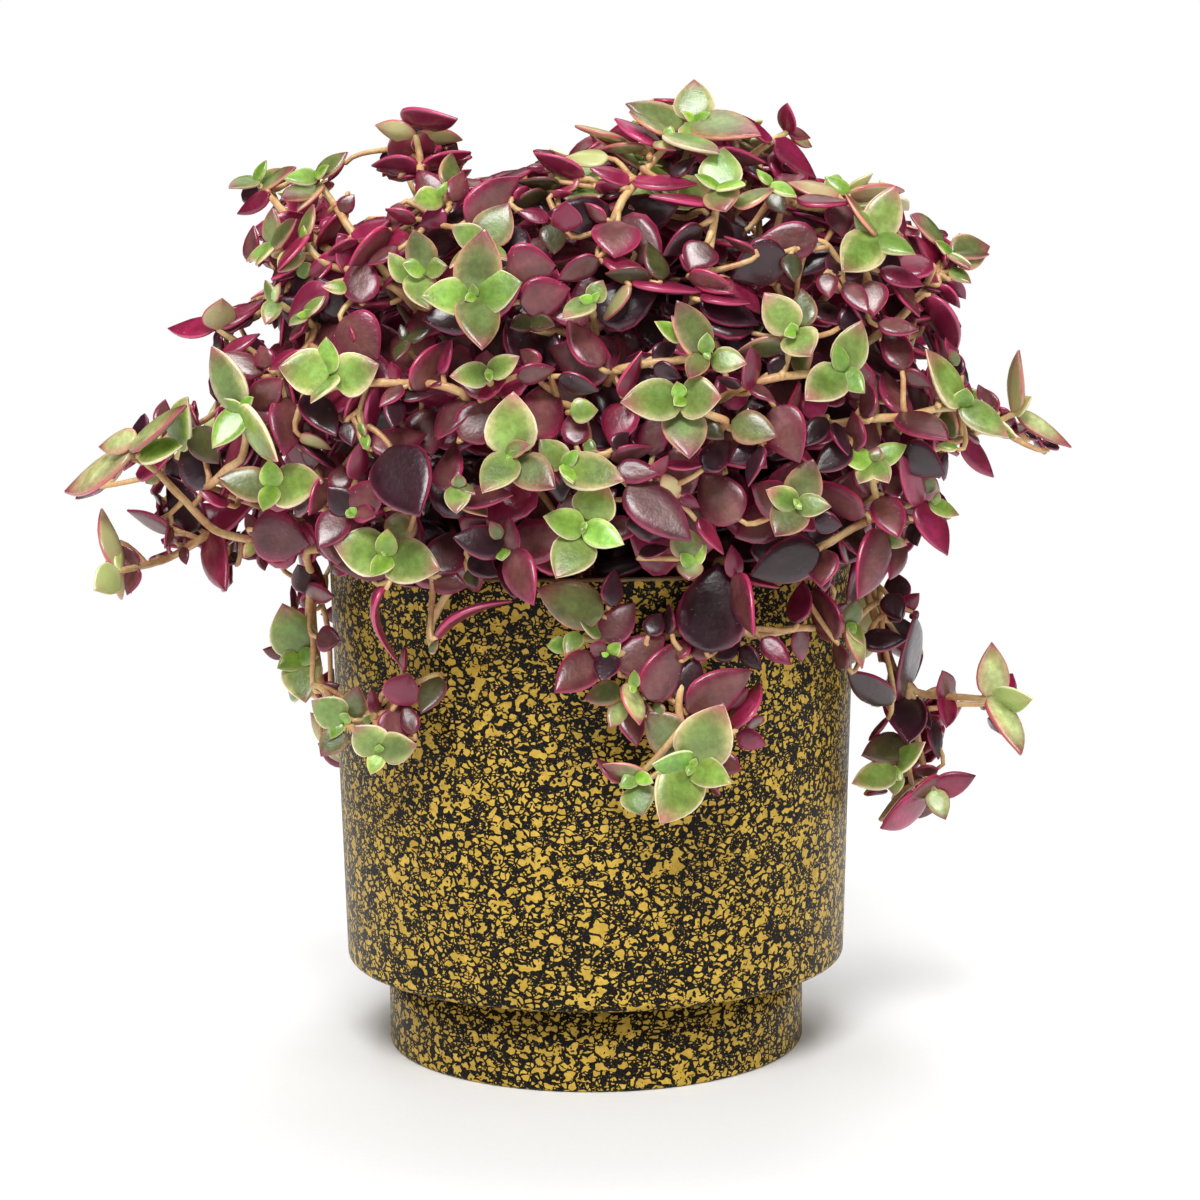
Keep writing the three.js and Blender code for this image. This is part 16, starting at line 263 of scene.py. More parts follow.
     [[594,-298,2031,579,-296,2045,554,-304,2000,548,-311,1997],[599,-65,2036,585,-120,2055,524,-186,1953,528,-231,1952],[518,215,2116,533,157,2116,423,45,2046,416,-3,2053],[446,169,2151,441,143,2164,473,137,2097,491,129,2093],[497,-60,2158,491,-94,2166,431,-28,2109,421,-19,2109],[652,-301,2029,644,-337,2019,563,-303,1995,548,-311,1997],[648,-292,1976,614,-284,1985,569,-254,1985,557,-249,1999],[487,45,2153,462,11,2151,423,-4,2082,415,-20,2078],[563,134,2140,556,110,2143,513,149,2104,506,156,2103],[544,175,2148,545,191,2150,519,181,2115,516,184,2111],[488,163,2118,478,160,2122,472,143,2111,470,138,2113],[519,28,2066,519,53,2055,467,66,2062,459,78,2073],[407,-85,2108,391,-69,2118,408,-35,2077,415,-20,2078],[630,-180,2060,615,-172,2086,581,-129,2025,577,-117,2026],[625,-331,2056,632,-319,2057,626,-318,2024,632,-317,2018],[632,-289,2046,628,-302,2044,628,-308,2022,632,-317,2018],[555,157,2039,560,186,2035,517,175,2084,516,184,2111],[521,-12,1991,491,-18,2011,433,-25,1972,418,-30,1981]],
     [[431,-22,2169,-101,12,-10,114,95,2,12,5,2],[433,-12,2168,77,1,10,101,81,2,12,5,2],[438,-18,2177,-11,10,-6,61,55,0,12,5,3],[429,-16,2179,165,30,6,63,51,0,12,5,3],[436,-15,2191,71,34,12,28,23,0,12,5,3],[434,-21,2187,-93,45,-14,33,30,0,12,5,3],[415,-18,2101,138,13,10,122,99,4,12,5,2],[423,-25,2100,-40,1,-9,126,110,4,12,5,2],[590,-269,2051,17,-13,17,106,84,1,12,5,2],[580,-270,2049,-158,26,-19,122,97,1,12,5,2],[589,-269,2062,95,35,24,73,67,0,12,5,3],[589,-275,2054,-70,2,-19,63,56,0,12,5,3],[587,-274,2065,-140,56,-31,30,25,0,12,5,3],[594,-273,2067,7,19,18,32,29,0,12,5,3],[559,-257,1979,-18,-19,3,107,88,4,12,5,2],[553,-255,1988,163,33,-3,110,89,4,12,5,2],[568,-341,2053,-3,-9,26,99,78,1,12,5,2],[560,-341,2055,-177,21,-28,101,87,1,12,5,2],[566,-343,2063,75,45,21,65,59,0,12,5,3],[564,-347,2055,-92,-7,-15,58,47,0,12,5,3],[566,-349,2069,-154,49,-41,31,27,0,12,5,3],[569,-349,2068,-18,21,28,30,28,0,12,5,3],[551,-316,1997,-70,-23,-4,170,142,4,12,5,2],[548,-309,2002,108,37,4,173,138,4,12,5,2],[521,-277,1943,-125,5,-47,148,128,4,15,5,4],[527,-271,1944,34,13,49,148,123,6,15,10,4],[475,-208,1866,-41,-23,9,136,96,4,15,3,4],[470,-205,1873,148,57,-16,136,114,5,15,8,4],[420,-133,1783,41,26,45,108,78,5,15,7,4],[416,-140,1781,-114,3,-40,108,96,6,15,6,4],[369,-94,1699,158,36,-12,100,84,4,15,7,4],[378,-98,1694,-24,-26,11,100,88,5,15,5,4],[332,-52,1600,-123,11,-34,129,100,6,15,7,4],[341,-48,1606,29,28,39,129,115,5,15,3,4],[308,-70,1506,103,-15,19,111,80,5,15,4,4],[311,-81,1511,-71,31,-21,111,96,4,15,8,4],[287,-107,1427,169,35,21,117,90,5,15,4,4],[299,-109,1426,-14,17,-20,99,82,5,15,5,4],[286,-129,1326,5,1,-8,147,106,5,15,3,4],[275,-131,1328,-158,31,6,147,120,6,15,9,4],[267,-139,1214,127,16,7,136,110,5,15,2,4],[273,-149,1215,-69,22,-6,136,107,4,15,1,4],[500,-210,1904,10,-7,29,116,104,6,15,3,4],[493,-212,1907,-149,38,-37,116,84,4,15,5,4],[423,-10,2005,22,8,-38,143,103,4,15,7,4],[422,-77,1907,102,-14,3,108,93,5,15,5,4],[424,-87,1914,-75,53,-5,108,84,6,15,5,4],[598,-299,2035,-5,-43,13,83,60,5,15,8,4],[599,-65,2036,76,-18,-1,99,69,4,15,7,4],[518,215,2116,104,0,22,86,75,4,15,0,4],[446,169,2151,79,-26,32,70,58,4,15,2,4],[497,-60,2158,79,-14,22,106,79,4,15,6,4],[655,-303,2034,78,16,30,55,44,5,15,7,4],[648,-292,1976,-14,-13,-25,80,65,5,15,5,4],[487,45,2153,54,2,-27,103,85,6,15,6,4],[563,134,2140,73,-8,0,78,57,4,15,10,4],[544,175,2148,-92,-7,-17,57,43,4,15,9,4],[488,163,2118,15,-21,14,67,61,5,15,2,4],[519,28,2066,-89,24,-32,113,88,4,15,2,4],[409,-87,2114,-45,-23,6,71,65,4,15,1,4],[633,-184,2063,-27,-56,24,132,109,4,15,5,4],[625,-331,2056,-121,-3,10,79,71,6,15,4,4],[632,-289,2046,74,7,-2,88,62,5,15,5,4],[555,157,2039,-100,8,11,72,62,6,15,8,4],[521,-12,1991,11,-33,8,101,78,4,15,2,4]]),
    ("shoot_rear_09",
     [[-434,850,1369,-401,759,1343,-377,695,1321,-347,622,1289,-317,556,1248,-302,526,1224,-288,498,1197,-275,471,1167,-250,424,1104,-239,403,1070],[-720,650,1364,-602,648,1342,-502,651,1319,-467,653,1314,-362,658,1306],[-186,930,1595,-246,885,1566,-267,863,1542,-307,816,1484,-325,797,1458,-360,764,1399,-391,733,1334],[-808,650,1575,-698,692,1553,-616,719,1533,-546,738,1509,-515,744,1493,-486,749,1475,-461,750,1452,-441,749,1426,-423,745,1397,-391,733,1334],[-420,882,1598,-412,838,1445,-415,820,1401,-420,810,1358]],
     [[-239,850,1538,-224,846,1551,-231,876,1564,-231,895,1573],[-603,760,1550,-602,769,1538,-591,729,1531,-592,726,1525],[-553,780,1491,-569,776,1501,-558,738,1509,-566,733,1516],[-355,810,1493,-369,806,1501,-319,805,1481,-311,811,1478],[-572,770,1477,-572,778,1456,-522,743,1488,-513,745,1492],[-641,630,1298,-649,621,1313,-627,638,1336,-630,648,1347],[-362,830,1489,-367,821,1506,-320,808,1480,-311,811,1478],[-495,680,1262,-518,677,1270,-502,650,1309,-512,651,1321],[-514,790,1536,-507,780,1554,-508,748,1502,-513,745,1492],[-675,700,1484,-652,694,1497,-625,705,1521,-619,718,1534],[-511,650,1256,-514,636,1275,-483,644,1303,-482,652,1316],[-500,800,1546,-510,796,1558,-503,767,1528,-509,763,1522],[-392,800,1573,-377,791,1603,-346,799,1508,-340,816,1490],[-317,800,1336,-335,813,1315,-359,747,1356,-379,745,1360],[-483,740,1331,-455,733,1337,-417,728,1355,-404,738,1360],[-681,700,1648,-641,692,1669,-621,700,1558,-619,718,1534],[-673,710,1650,-680,729,1620,-663,692,1570,-674,701,1548],[-819,590,1511,-836,612,1481,-756,641,1551,-755,671,1565],[-811,600,1476,-859,611,1469,-731,649,1539,-728,681,1560],[-825,570,1639,-826,593,1595,-755,634,1580,-755,671,1565],[-190,862,1468,-178,864,1501,-216,851,1536,-229,867,1559],[-703,625,1542,-686,648,1544,-672,674,1545,-674,701,1548],[-766,572,1449,-747,602,1440,-753,618,1506,-766,646,1524],[-662,638,1550,-669,637,1556,-678,643,1545,-688,648,1544],[-737,554,1508,-733,567,1489,-742,592,1487,-754,612,1480],[-651,591,1454,-652,622,1487,-623,664,1500,-634,705,1516],[-702,622,1427,-699,636,1399,-660,633,1372,-660,648,1353],[-633,676,1589,-629,683,1593,-628,693,1588,-630,702,1589],[-500,720,1340,-492,726,1353,-463,725,1340,-456,735,1339],[-655,530,1505,-681,505,1508,-707,560,1492,-740,582,1489],[-416,693,1460,-398,683,1427,-398,713,1385,-404,738,1360],[-714,636,1527,-722,628,1549,-744,636,1563,-765,645,1576],[-648,559,1358,-628,588,1363,-601,616,1348,-601,648,1342],[-320,784,1588,-325,776,1568,-345,787,1551,-359,799,1540],[-520,724,1548,-514,729,1528,-510,732,1505,-513,745,1492]],
     [[-186,918,1595,21,-7,-79,136,130,1,10,5,2],[-186,918,1595,159,-4,80,92,103,1,10,5,2],[-186,930,1595,39,72,-122,37,41,0,10,5,3],[-195,922,1595,47,-26,-52,42,45,0,10,5,3],[-192,885,1570,94,-52,4,134,135,2,14,5,2],[-302,822,1544,162,-21,74,103,105,2,14,5,2],[-435,838,1368,11,24,-82,79,77,1,10,5,2],[-435,838,1368,160,-4,80,77,74,1,10,5,2],[-436,826,1368,-178,70,87,104,116,2,14,5,2],[-436,826,1368,49,-43,-52,102,115,2,14,5,2],[-434,850,1369,36,44,-100,20,21,0,10,5,3],[-434,850,1369,134,-36,44,20,21,0,10,5,3],[-810,638,1575,30,47,-75,161,99,1,10,5,2],[-808,650,1575,107,56,172,50,56,0,10,5,3],[-810,638,1575,162,-36,59,131,80,1,10,5,2],[-804,617,1665,48,50,-106,45,34,2,14,5,3],[-671,714,1551,-74,41,132,143,86,4,16,5,2],[-671,714,1551,125,-22,-93,159,93,4,16,5,2],[-722,638,1363,147,-63,37,136,82,6,14,5,2],[-722,638,1363,54,43,-104,156,77,6,14,5,2],[-736,630,1385,139,70,145,43,48,2,14,5,3],[-741,642,1359,-169,-25,80,75,46,1,10,5,3],[-754,642,1359,123,68,163,34,26,1,10,5,3],[-424,880,1596,-162,-26,51,140,110,2,12,5,2],[-416,884,1601,31,34,-57,121,109,2,12,5,2],[-426,884,1606,-125,56,64,80,73,0,12,5,3],[-425,891,1599,96,-29,-35,78,65,0,12,5,3],[-427,895,1610,72,45,-84,41,34,0,12,5,3],[-435,891,1605,173,-3,44,37,34,0,12,5,3],[-317,800,1336,-35,43,-74,140,140,8,16,5,2],[-603,760,1550,-92,52,-9,100,60,4,16,5,2],[-572,770,1477,-87,70,-13,92,68,4,16,5,2],[-514,790,1536,123,-57,55,83,50,5,16,5,2],[-362,830,1489,61,-60,-9,97,59,5,16,5,2],[-483,740,1331,166,-11,95,62,69,5,16,5,2],[-675,700,1484,166,-30,94,113,105,5,16,5,2],[-641,630,1298,49,-52,-77,181,109,4,16,5,2],[-673,710,1650,-70,56,-3,120,86,4,16,5,2],[-811,600,1476,-13,8,-98,47,28,1,10,5,2],[-495,680,1262,8,-18,-88,165,131,5,16,5,2],[-819,590,1511,-51,47,-85,119,70,2,14,5,2],[-355,810,1493,15,-31,-78,73,76,5,16,5,2],[-511,650,1256,80,-54,-6,94,98,4,16,5,2],[-825,570,1639,-88,62,-12,58,35,5,16,5,2],[-239,850,1538,166,-38,66,54,60,7,14,5,2],[-500,800,1546,22,-47,-64,81,71,5,16,5,2],[-553,780,1491,14,-34,-76,99,88,5,16,5,2],[-681,700,1648,168,-27,92,66,51,4,16,5,2],[-392,800,1573,148,-59,66,133,133,8,16,5,2],[-409,768,1341,157,-33,49,148,120,4,15,9,4],[-399,769,1348,44,33,-88,148,133,4,15,5,4],[-373,675,1318,-160,47,77,120,107,4,15,5,4],[-366,681,1310,46,-38,-59,120,89,4,15,1,4],[-325,583,1270,24,54,-70,107,88,6,15,1,4],[-334,584,1262,153,-21,36,107,77,4,15,1,4],[-289,494,1202,-104,49,30,141,124,4,15,0,4],[-631,654,1347,110,0,-79,82,69,4,15,9,4],[-631,642,1348,-117,8,83,121,97,4,15,1,4],[-545,653,1324,123,-42,-57,117,96,5,15,3,4],[-542,650,1334,3,87,-2,93,85,4,15,7,4],[-455,647,1313,-95,2,85,118,84,4,15,5,4],[-456,659,1313,103,0,-85,118,88,5,15,6,4],[-335,795,1448,121,23,45,104,83,6,15,5,4],[-329,786,1450,-64,32,-40,104,81,4,15,6,4],[-374,753,1383,-159,39,13,122,86,6,15,4,4],[-366,758,1377,47,-30,2,83,65,5,15,9,4],[-571,729,1513,-130,-47,35,98,78,5,15,2,4],[-568,731,1523,-37,70,48,115,90,6,15,8,4],[-471,744,1460,-104,-2,46,139,101,6,15,5,4],[-472,756,1460,111,7,-48,118,87,4,15,5,4],[-418,861,1511,124,10,7,144,119,4,15,5,4],[-414,827,1431,-103,41,0,136,112,6,15,4,4],[-411,837,1426,77,-14,0,136,120,4,15,7,4],[-190,862,1468,-169,-70,87,70,63,4,15,8,4],[-703,625,1542,-127,-3,62,143,101,4,15,3,4],[-766,572,1449,-121,14,50,125,95,4,15,0,4],[-662,638,1550,9,-41,104,103,91,6,15,10,4],[-737,554,1508,-106,55,53,122,87,6,15,2,4],[-651,591,1454,-87,-47,44,139,100,4,15,4,4],[-702,622,1427,-101,65,87,101,83,4,15,9,4],[-633,676,1589,-123,-25,64,77,66,4,15,3,4],[-500,720,1340,-144,-51,12,105,88,4,15,3,4],[-655,530,1505,44,-5,-74,114,87,4,15,1,4],[-416,693,1460,150,58,119,107,75,4,15,3,4],[-714,636,1527,47,-62,-82,97,79,4,15,10,4],[-648,559,1358,-124,-7,57,82,75,4,15,4,4],[-320,784,1588,60,65,-76,57,47,4,15,8,4],[-520,724,1548,-142,70,73,74,67,6,15,9,4]]),
    ("shoot_crown_10",
     [[-309,493,2089,-310,488,2049,-307,482,2030,-285,435,1929,-246,357,1781,-227,321,1705,-211,290,1626,-198,264,1545,-188,244,1461,-177,223,1333,-171,211,1202,-168,204,1070],[-233,570,2077,-310,488,2043],[-444,480,2126,-415,485,2100,-380,487,2080,-310,488,2043],[-172,670,2154,-142,685,2081,-133,689,2042,-133,689,2023,-138,685,2004,-148,675,1991,-167,655,1979,-184,636,1974,-222,585,1969,-261,524,1968,-294,453,1966]],
     [[-180,690,2066,-165,691,2056,-144,684,2043,-133,689,2042],[-89,700,2062,-105,694,2058,-122,687,2042,-133,689,2042],[-405,530,2162,-428,519,2146,-392,491,2098,-394,487,2089],[-124,610,2142,-154,611,2142,-141,655,2100,-149,682,2100],[-270,610,2134,-233,603,2140,-266,539,2067,-271,528,2060],[-394,670,2050,-346,649,2078,-277,593,2088,-253,591,2122],[-351,297,2176,-310,320,2214,-329,431,2062,-338,488,2058],[-304,525,2104,-321,515,2101,-291,507,2058,-291,508,2052],[-96,545,2046,-109,582,2014,-161,596,1976,-186,633,1974],[-219,561,2027,-219,578,2014,-219,573,1977,-223,585,1969],[-524,434,2089,-548,393,2082,-415,464,2074,-394,487,2089],[-215,689,2012,-208,708,1999,-177,656,1981,-167,655,1979],[-434,393,2120,-438,410,2103,-438,432,2083,-447,451,2081],[-477,535,2045,-447,556,2046,-407,490,2068,-394,487,2089],[-412,311,2112,-394,291,2135,-346,312,2149,-334,319,2178],[-425,384,2091,-400,371,2119,-342,364,2118,-326,367,2144],[-365,516,2134,-375,504,2138,-391,501,2113,-403,500,2113],[-342,455,2143,-325,461,2152,-328,419,2107,-328,412,2104],[-425,408,2151,-421,428,2147,-431,413,2103,-439,420,2096],[-420,544,2058,-427,546,2052,-425,523,2057,-429,519,2060],[-517,354,2058,-505,360,2081,-501,403,2069,-506,425,2083],[-464,310,2083,-447,301,2105,-404,300,2108,-393,303,2128],[-592,414,2071,-590,385,2084,-518,397,2066,-504,399,2076],[-543,349,2045,-545,372,2037,-507,383,2061,-504,399,2076],[-575,488,2063,-551,502,2085,-537,411,2061,-536,396,2073],[-361,419,2109,-357,432,2103,-335,428,2087,-330,435,2086],[-397,523,2111,-400,536,2101,-404,503,2076,-411,501,2071],[-506,384,2006,-495,399,2009,-509,381,2041,-516,384,2059],[-247,551,1947,-251,558,1941,-251,535,1960,-255,534,1968],[-321,404,2044,-312,394,2061,-322,406,2082,-328,412,2104],[-139,623,1913,-147,638,1891,-173,621,1952,-186,633,1974],[-364,603,2091,-367,603,2108,-329,617,2078,-322,628,2081],[-534,337,2039,-528,338,2049,-530,360,2042,-533,370,2047],[-200,582,2009,-205,569,2026,-227,559,1972,-239,560,1968]],
     [[-172,670,2154,-150,72,52,26,29,0,10,5,3],[-173,658,2155,-21,30,35,106,67,2,14,5,2],[-173,658,2155,135,-21,-9,160,105,1,10,5,2],[-149,650,2135,-23,31,-12,117,72,6,14,5,2],[-144,662,2138,135,-20,15,64,38,3,14,5,3],[-92,692,2056,174,-7,-40,143,73,6,14,5,2],[-233,558,2079,-92,68,2,103,115,1,10,5,2],[-207,550,2073,10,15,-71,136,85,2,14,5,2],[-233,558,2079,142,-15,40,190,117,2,14,5,2],[-233,570,2077,11,38,-79,38,25,0,10,5,3],[-233,570,2077,159,23,68,46,27,0,10,5,3],[-233,570,2077,109,-50,15,76,85,1,10,5,3],[-446,468,2128,81,40,1,86,52,4,16,5,2],[-446,468,2128,-168,-20,-75,55,33,4,16,5,2],[-446,468,2128,-134,-20,-40,83,41,3,14,5,2],[-448,443,2131,35,48,43,40,24,4,16,5,2],[-407,506,2104,-147,-34,-40,143,73,6,14,5,2],[-314,492,2089,-175,9,5,98,89,2,12,5,2],[-304,493,2089,7,5,-5,89,70,2,12,5,2],[-309,488,2098,-83,25,-2,69,61,0,12,5,3],[-310,498,2097,95,15,2,59,50,0,12,5,3],[-304,495,2107,10,38,-6,31,27,0,12,5,3],[-314,494,2107,-178,42,7,33,28,0,12,5,3],[-316,488,2017,154,6,5,129,116,4,12,5,2],[-307,484,2017,-25,8,-5,129,110,4,12,5,2],[-89,700,2062,19,14,132,92,56,6,14,5,2],[-124,610,2142,-1,-1,160,98,50,3,14,5,2],[-270,610,2134,169,-9,30,120,72,4,16,5,2],[-405,530,2162,27,32,143,110,66,6,14,5,2],[-180,690,2066,-175,35,103,69,41,5,16,5,2],[-394,670,2050,157,-28,89,67,40,0,10,5,2],[-280,437,1924,47,1,-29,131,97,5,15,1,4],[-289,429,1926,-147,23,32,131,102,5,15,2,4],[-266,390,1836,140,-16,12,116,83,5,15,8,4],[-257,384,1841,-36,32,-14,116,81,5,15,1,4],[-245,342,1759,-144,20,29,149,103,6,15,6,4],[-236,350,1758,51,8,-28,149,105,5,15,5,4],[-216,303,1672,-41,33,-9,109,79,5,15,9,4],[-225,309,1668,153,0,15,109,82,5,15,8,4],[-196,272,1559,50,12,-18,148,105,4,15,0,4],[-204,264,1560,-144,31,21,148,104,6,15,7,4],[-192,246,1457,147,-4,6,140,126,5,15,9,4],[-182,240,1460,-31,20,-6,140,117,6,15,4,4],[-175,218,1338,-66,13,0,134,94,5,15,7,4],[-182,228,1336,134,3,3,134,94,5,15,0,4],[-167,216,1239,24,25,-5,145,109,4,15,2,4],[-178,212,1239,-160,22,5,145,106,4,15,1,4],[-160,666,1978,83,-60,34,147,112,5,15,3,4],[-160,660,1989,-79,69,-50,147,108,5,15,7,4],[-237,574,1968,132,-9,86,133,107,4,15,4,4],[-227,568,1968,-30,-10,-88,133,113,4,15,7,4],[-351,297,2176,-151,-39,-1,145,111,4,15,8,4],[-304,525,2104,31,7,-8,64,45,4,15,1,4],[-96,545,2046,-71,39,-11,135,106,5,15,4,4],[-219,561,2027,-92,36,-46,79,58,4,15,7,4],[-524,434,2089,60,9,-7,86,62,4,15,5,4],[-215,689,2012,-111,32,-5,142,119,6,15,5,4],[-434,393,2120,-77,44,-1,71,55,4,15,9,4],[-477,535,2045,-145,-2,4,104,84,4,15,8,4],[-412,311,2112,133,-41,-39,115,99,4,15,0,4],[-425,384,2091,153,-45,5,110,83,4,15,5,4],[-365,516,2134,50,-16,-17,105,95,4,15,9,4],[-342,455,2143,-162,-27,55,95,68,4,15,4,4],[-425,408,2151,-101,13,-19,132,90,4,15,6,4],[-420,544,2058,-21,36,-54,107,87,4,15,3,4],[-517,354,2058,-153,-61,30,65,48,4,15,3,4],[-464,310,2083,153,-48,12,72,59,6,15,6,4],[-592,414,2071,95,-24,-16,85,70,5,15,5,4],[-543,349,2045,-86,18,44,66,47,4,15,10,4],[-575,488,2063,-150,-38,-24,112,98,4,15,6,4],[-361,419,2109,-108,28,-40,88,80,4,15,2,4],[-397,523,2111,-79,36,-13,63,46,4,15,7,4],[-506,384,2006,-128,-10,54,96,83,4,15,2,4],[-247,551,1947,-57,34,20,54,45,6,15,2,4],[-321,404,2044,133,-54,23,116,92,4,15,10,4],[-139,623,1913,-64,53,19,128,93,4,15,7,4],[-364,603,2091,10,-78,130,134,117,6,15,7,4],[-534,337,2039,-171,-57,-17,91,64,4,15,4,4],[-200,582,2009,69,-50,22,66,57,5,15,2,4]]),
    ("shoot_rear_10",
     [[319,730,2026,294,623,1962,275,559,1912,266,529,1884,255,502,1854,245,478,1822,234,457,1787,212,422,1714,202,408,1675,181,387,1594,172,379,1553,154,368,1468,139,362,1381,125,358,1293,100,357,1070],[342,810,1868,302,658,1985],[328,433,2098,296,412,1963,245,478,1822],[381,538,2166,370,587,2104,365,597,2088,323,615,2014,294,623,1962],[217,675,2117,253,588,1990,275,559,1912],[143,631,2088,258,600,1964,285,590,1938],[371,382,2167,353,418,2098,339,439,2067,324,458,2035,266,529,1884]],
     [[292,710,2017,296,717,2005,301,682,1998,307,678,1997],[304,690,2045,305,700,2031,304,676,2004,307,678,1997],[304,730,1995,288,733,2003,304,685,1992,307,678,1997],[260,750,1972,279,758,1954,303,721,1938,321,723,1935],[369,720,1981,348,718,1973,325,699,1954,315,702,1952],[406,750,1914,383,744,1928,341,737,1911,327,744,1918],[429,720,1958,413,710,1972,388,731,1924,380,745,1920],[467,581,2038,433,579,2064,385,572,2082,370,583,2111],[430,504,2083,417,526,2076,413,553,2066,415,577,2071],[457,405,2026,418,429,2009,347,433,2022,326,455,2041],[399,667,1929,395,686,1918,390,707,1928,393,730,1935],[476,564,2009,461,565,2024,445,570,2038,441,579,2055],[312,337,2182,300,371,2173,340,385,2117,357,409,2114],[255,642,2074,265,636,2083,240,624,2047,237,624,2044],[295,477,2112,300,444,2131,311,393,2125,323,377,2146],[461,353,2031,443,370,2033,433,396,2015,431,417,2020],[369,508,2038,348,519,2035,333,462,2033,326,455,2041],[481,271,2021,452,316,2022,429,373,2003,431,417,2020],[369,479,2113,351,486,2124,350,433,2088,349,424,2089],[250,617,1890,254,598,1911,259,547,1884,268,536,1891],[513,253,2038,493,255,2052,470,284,2017,465,298,2019],[422,538,2113,429,536,2133,382,554,2122,374,566,2134]],
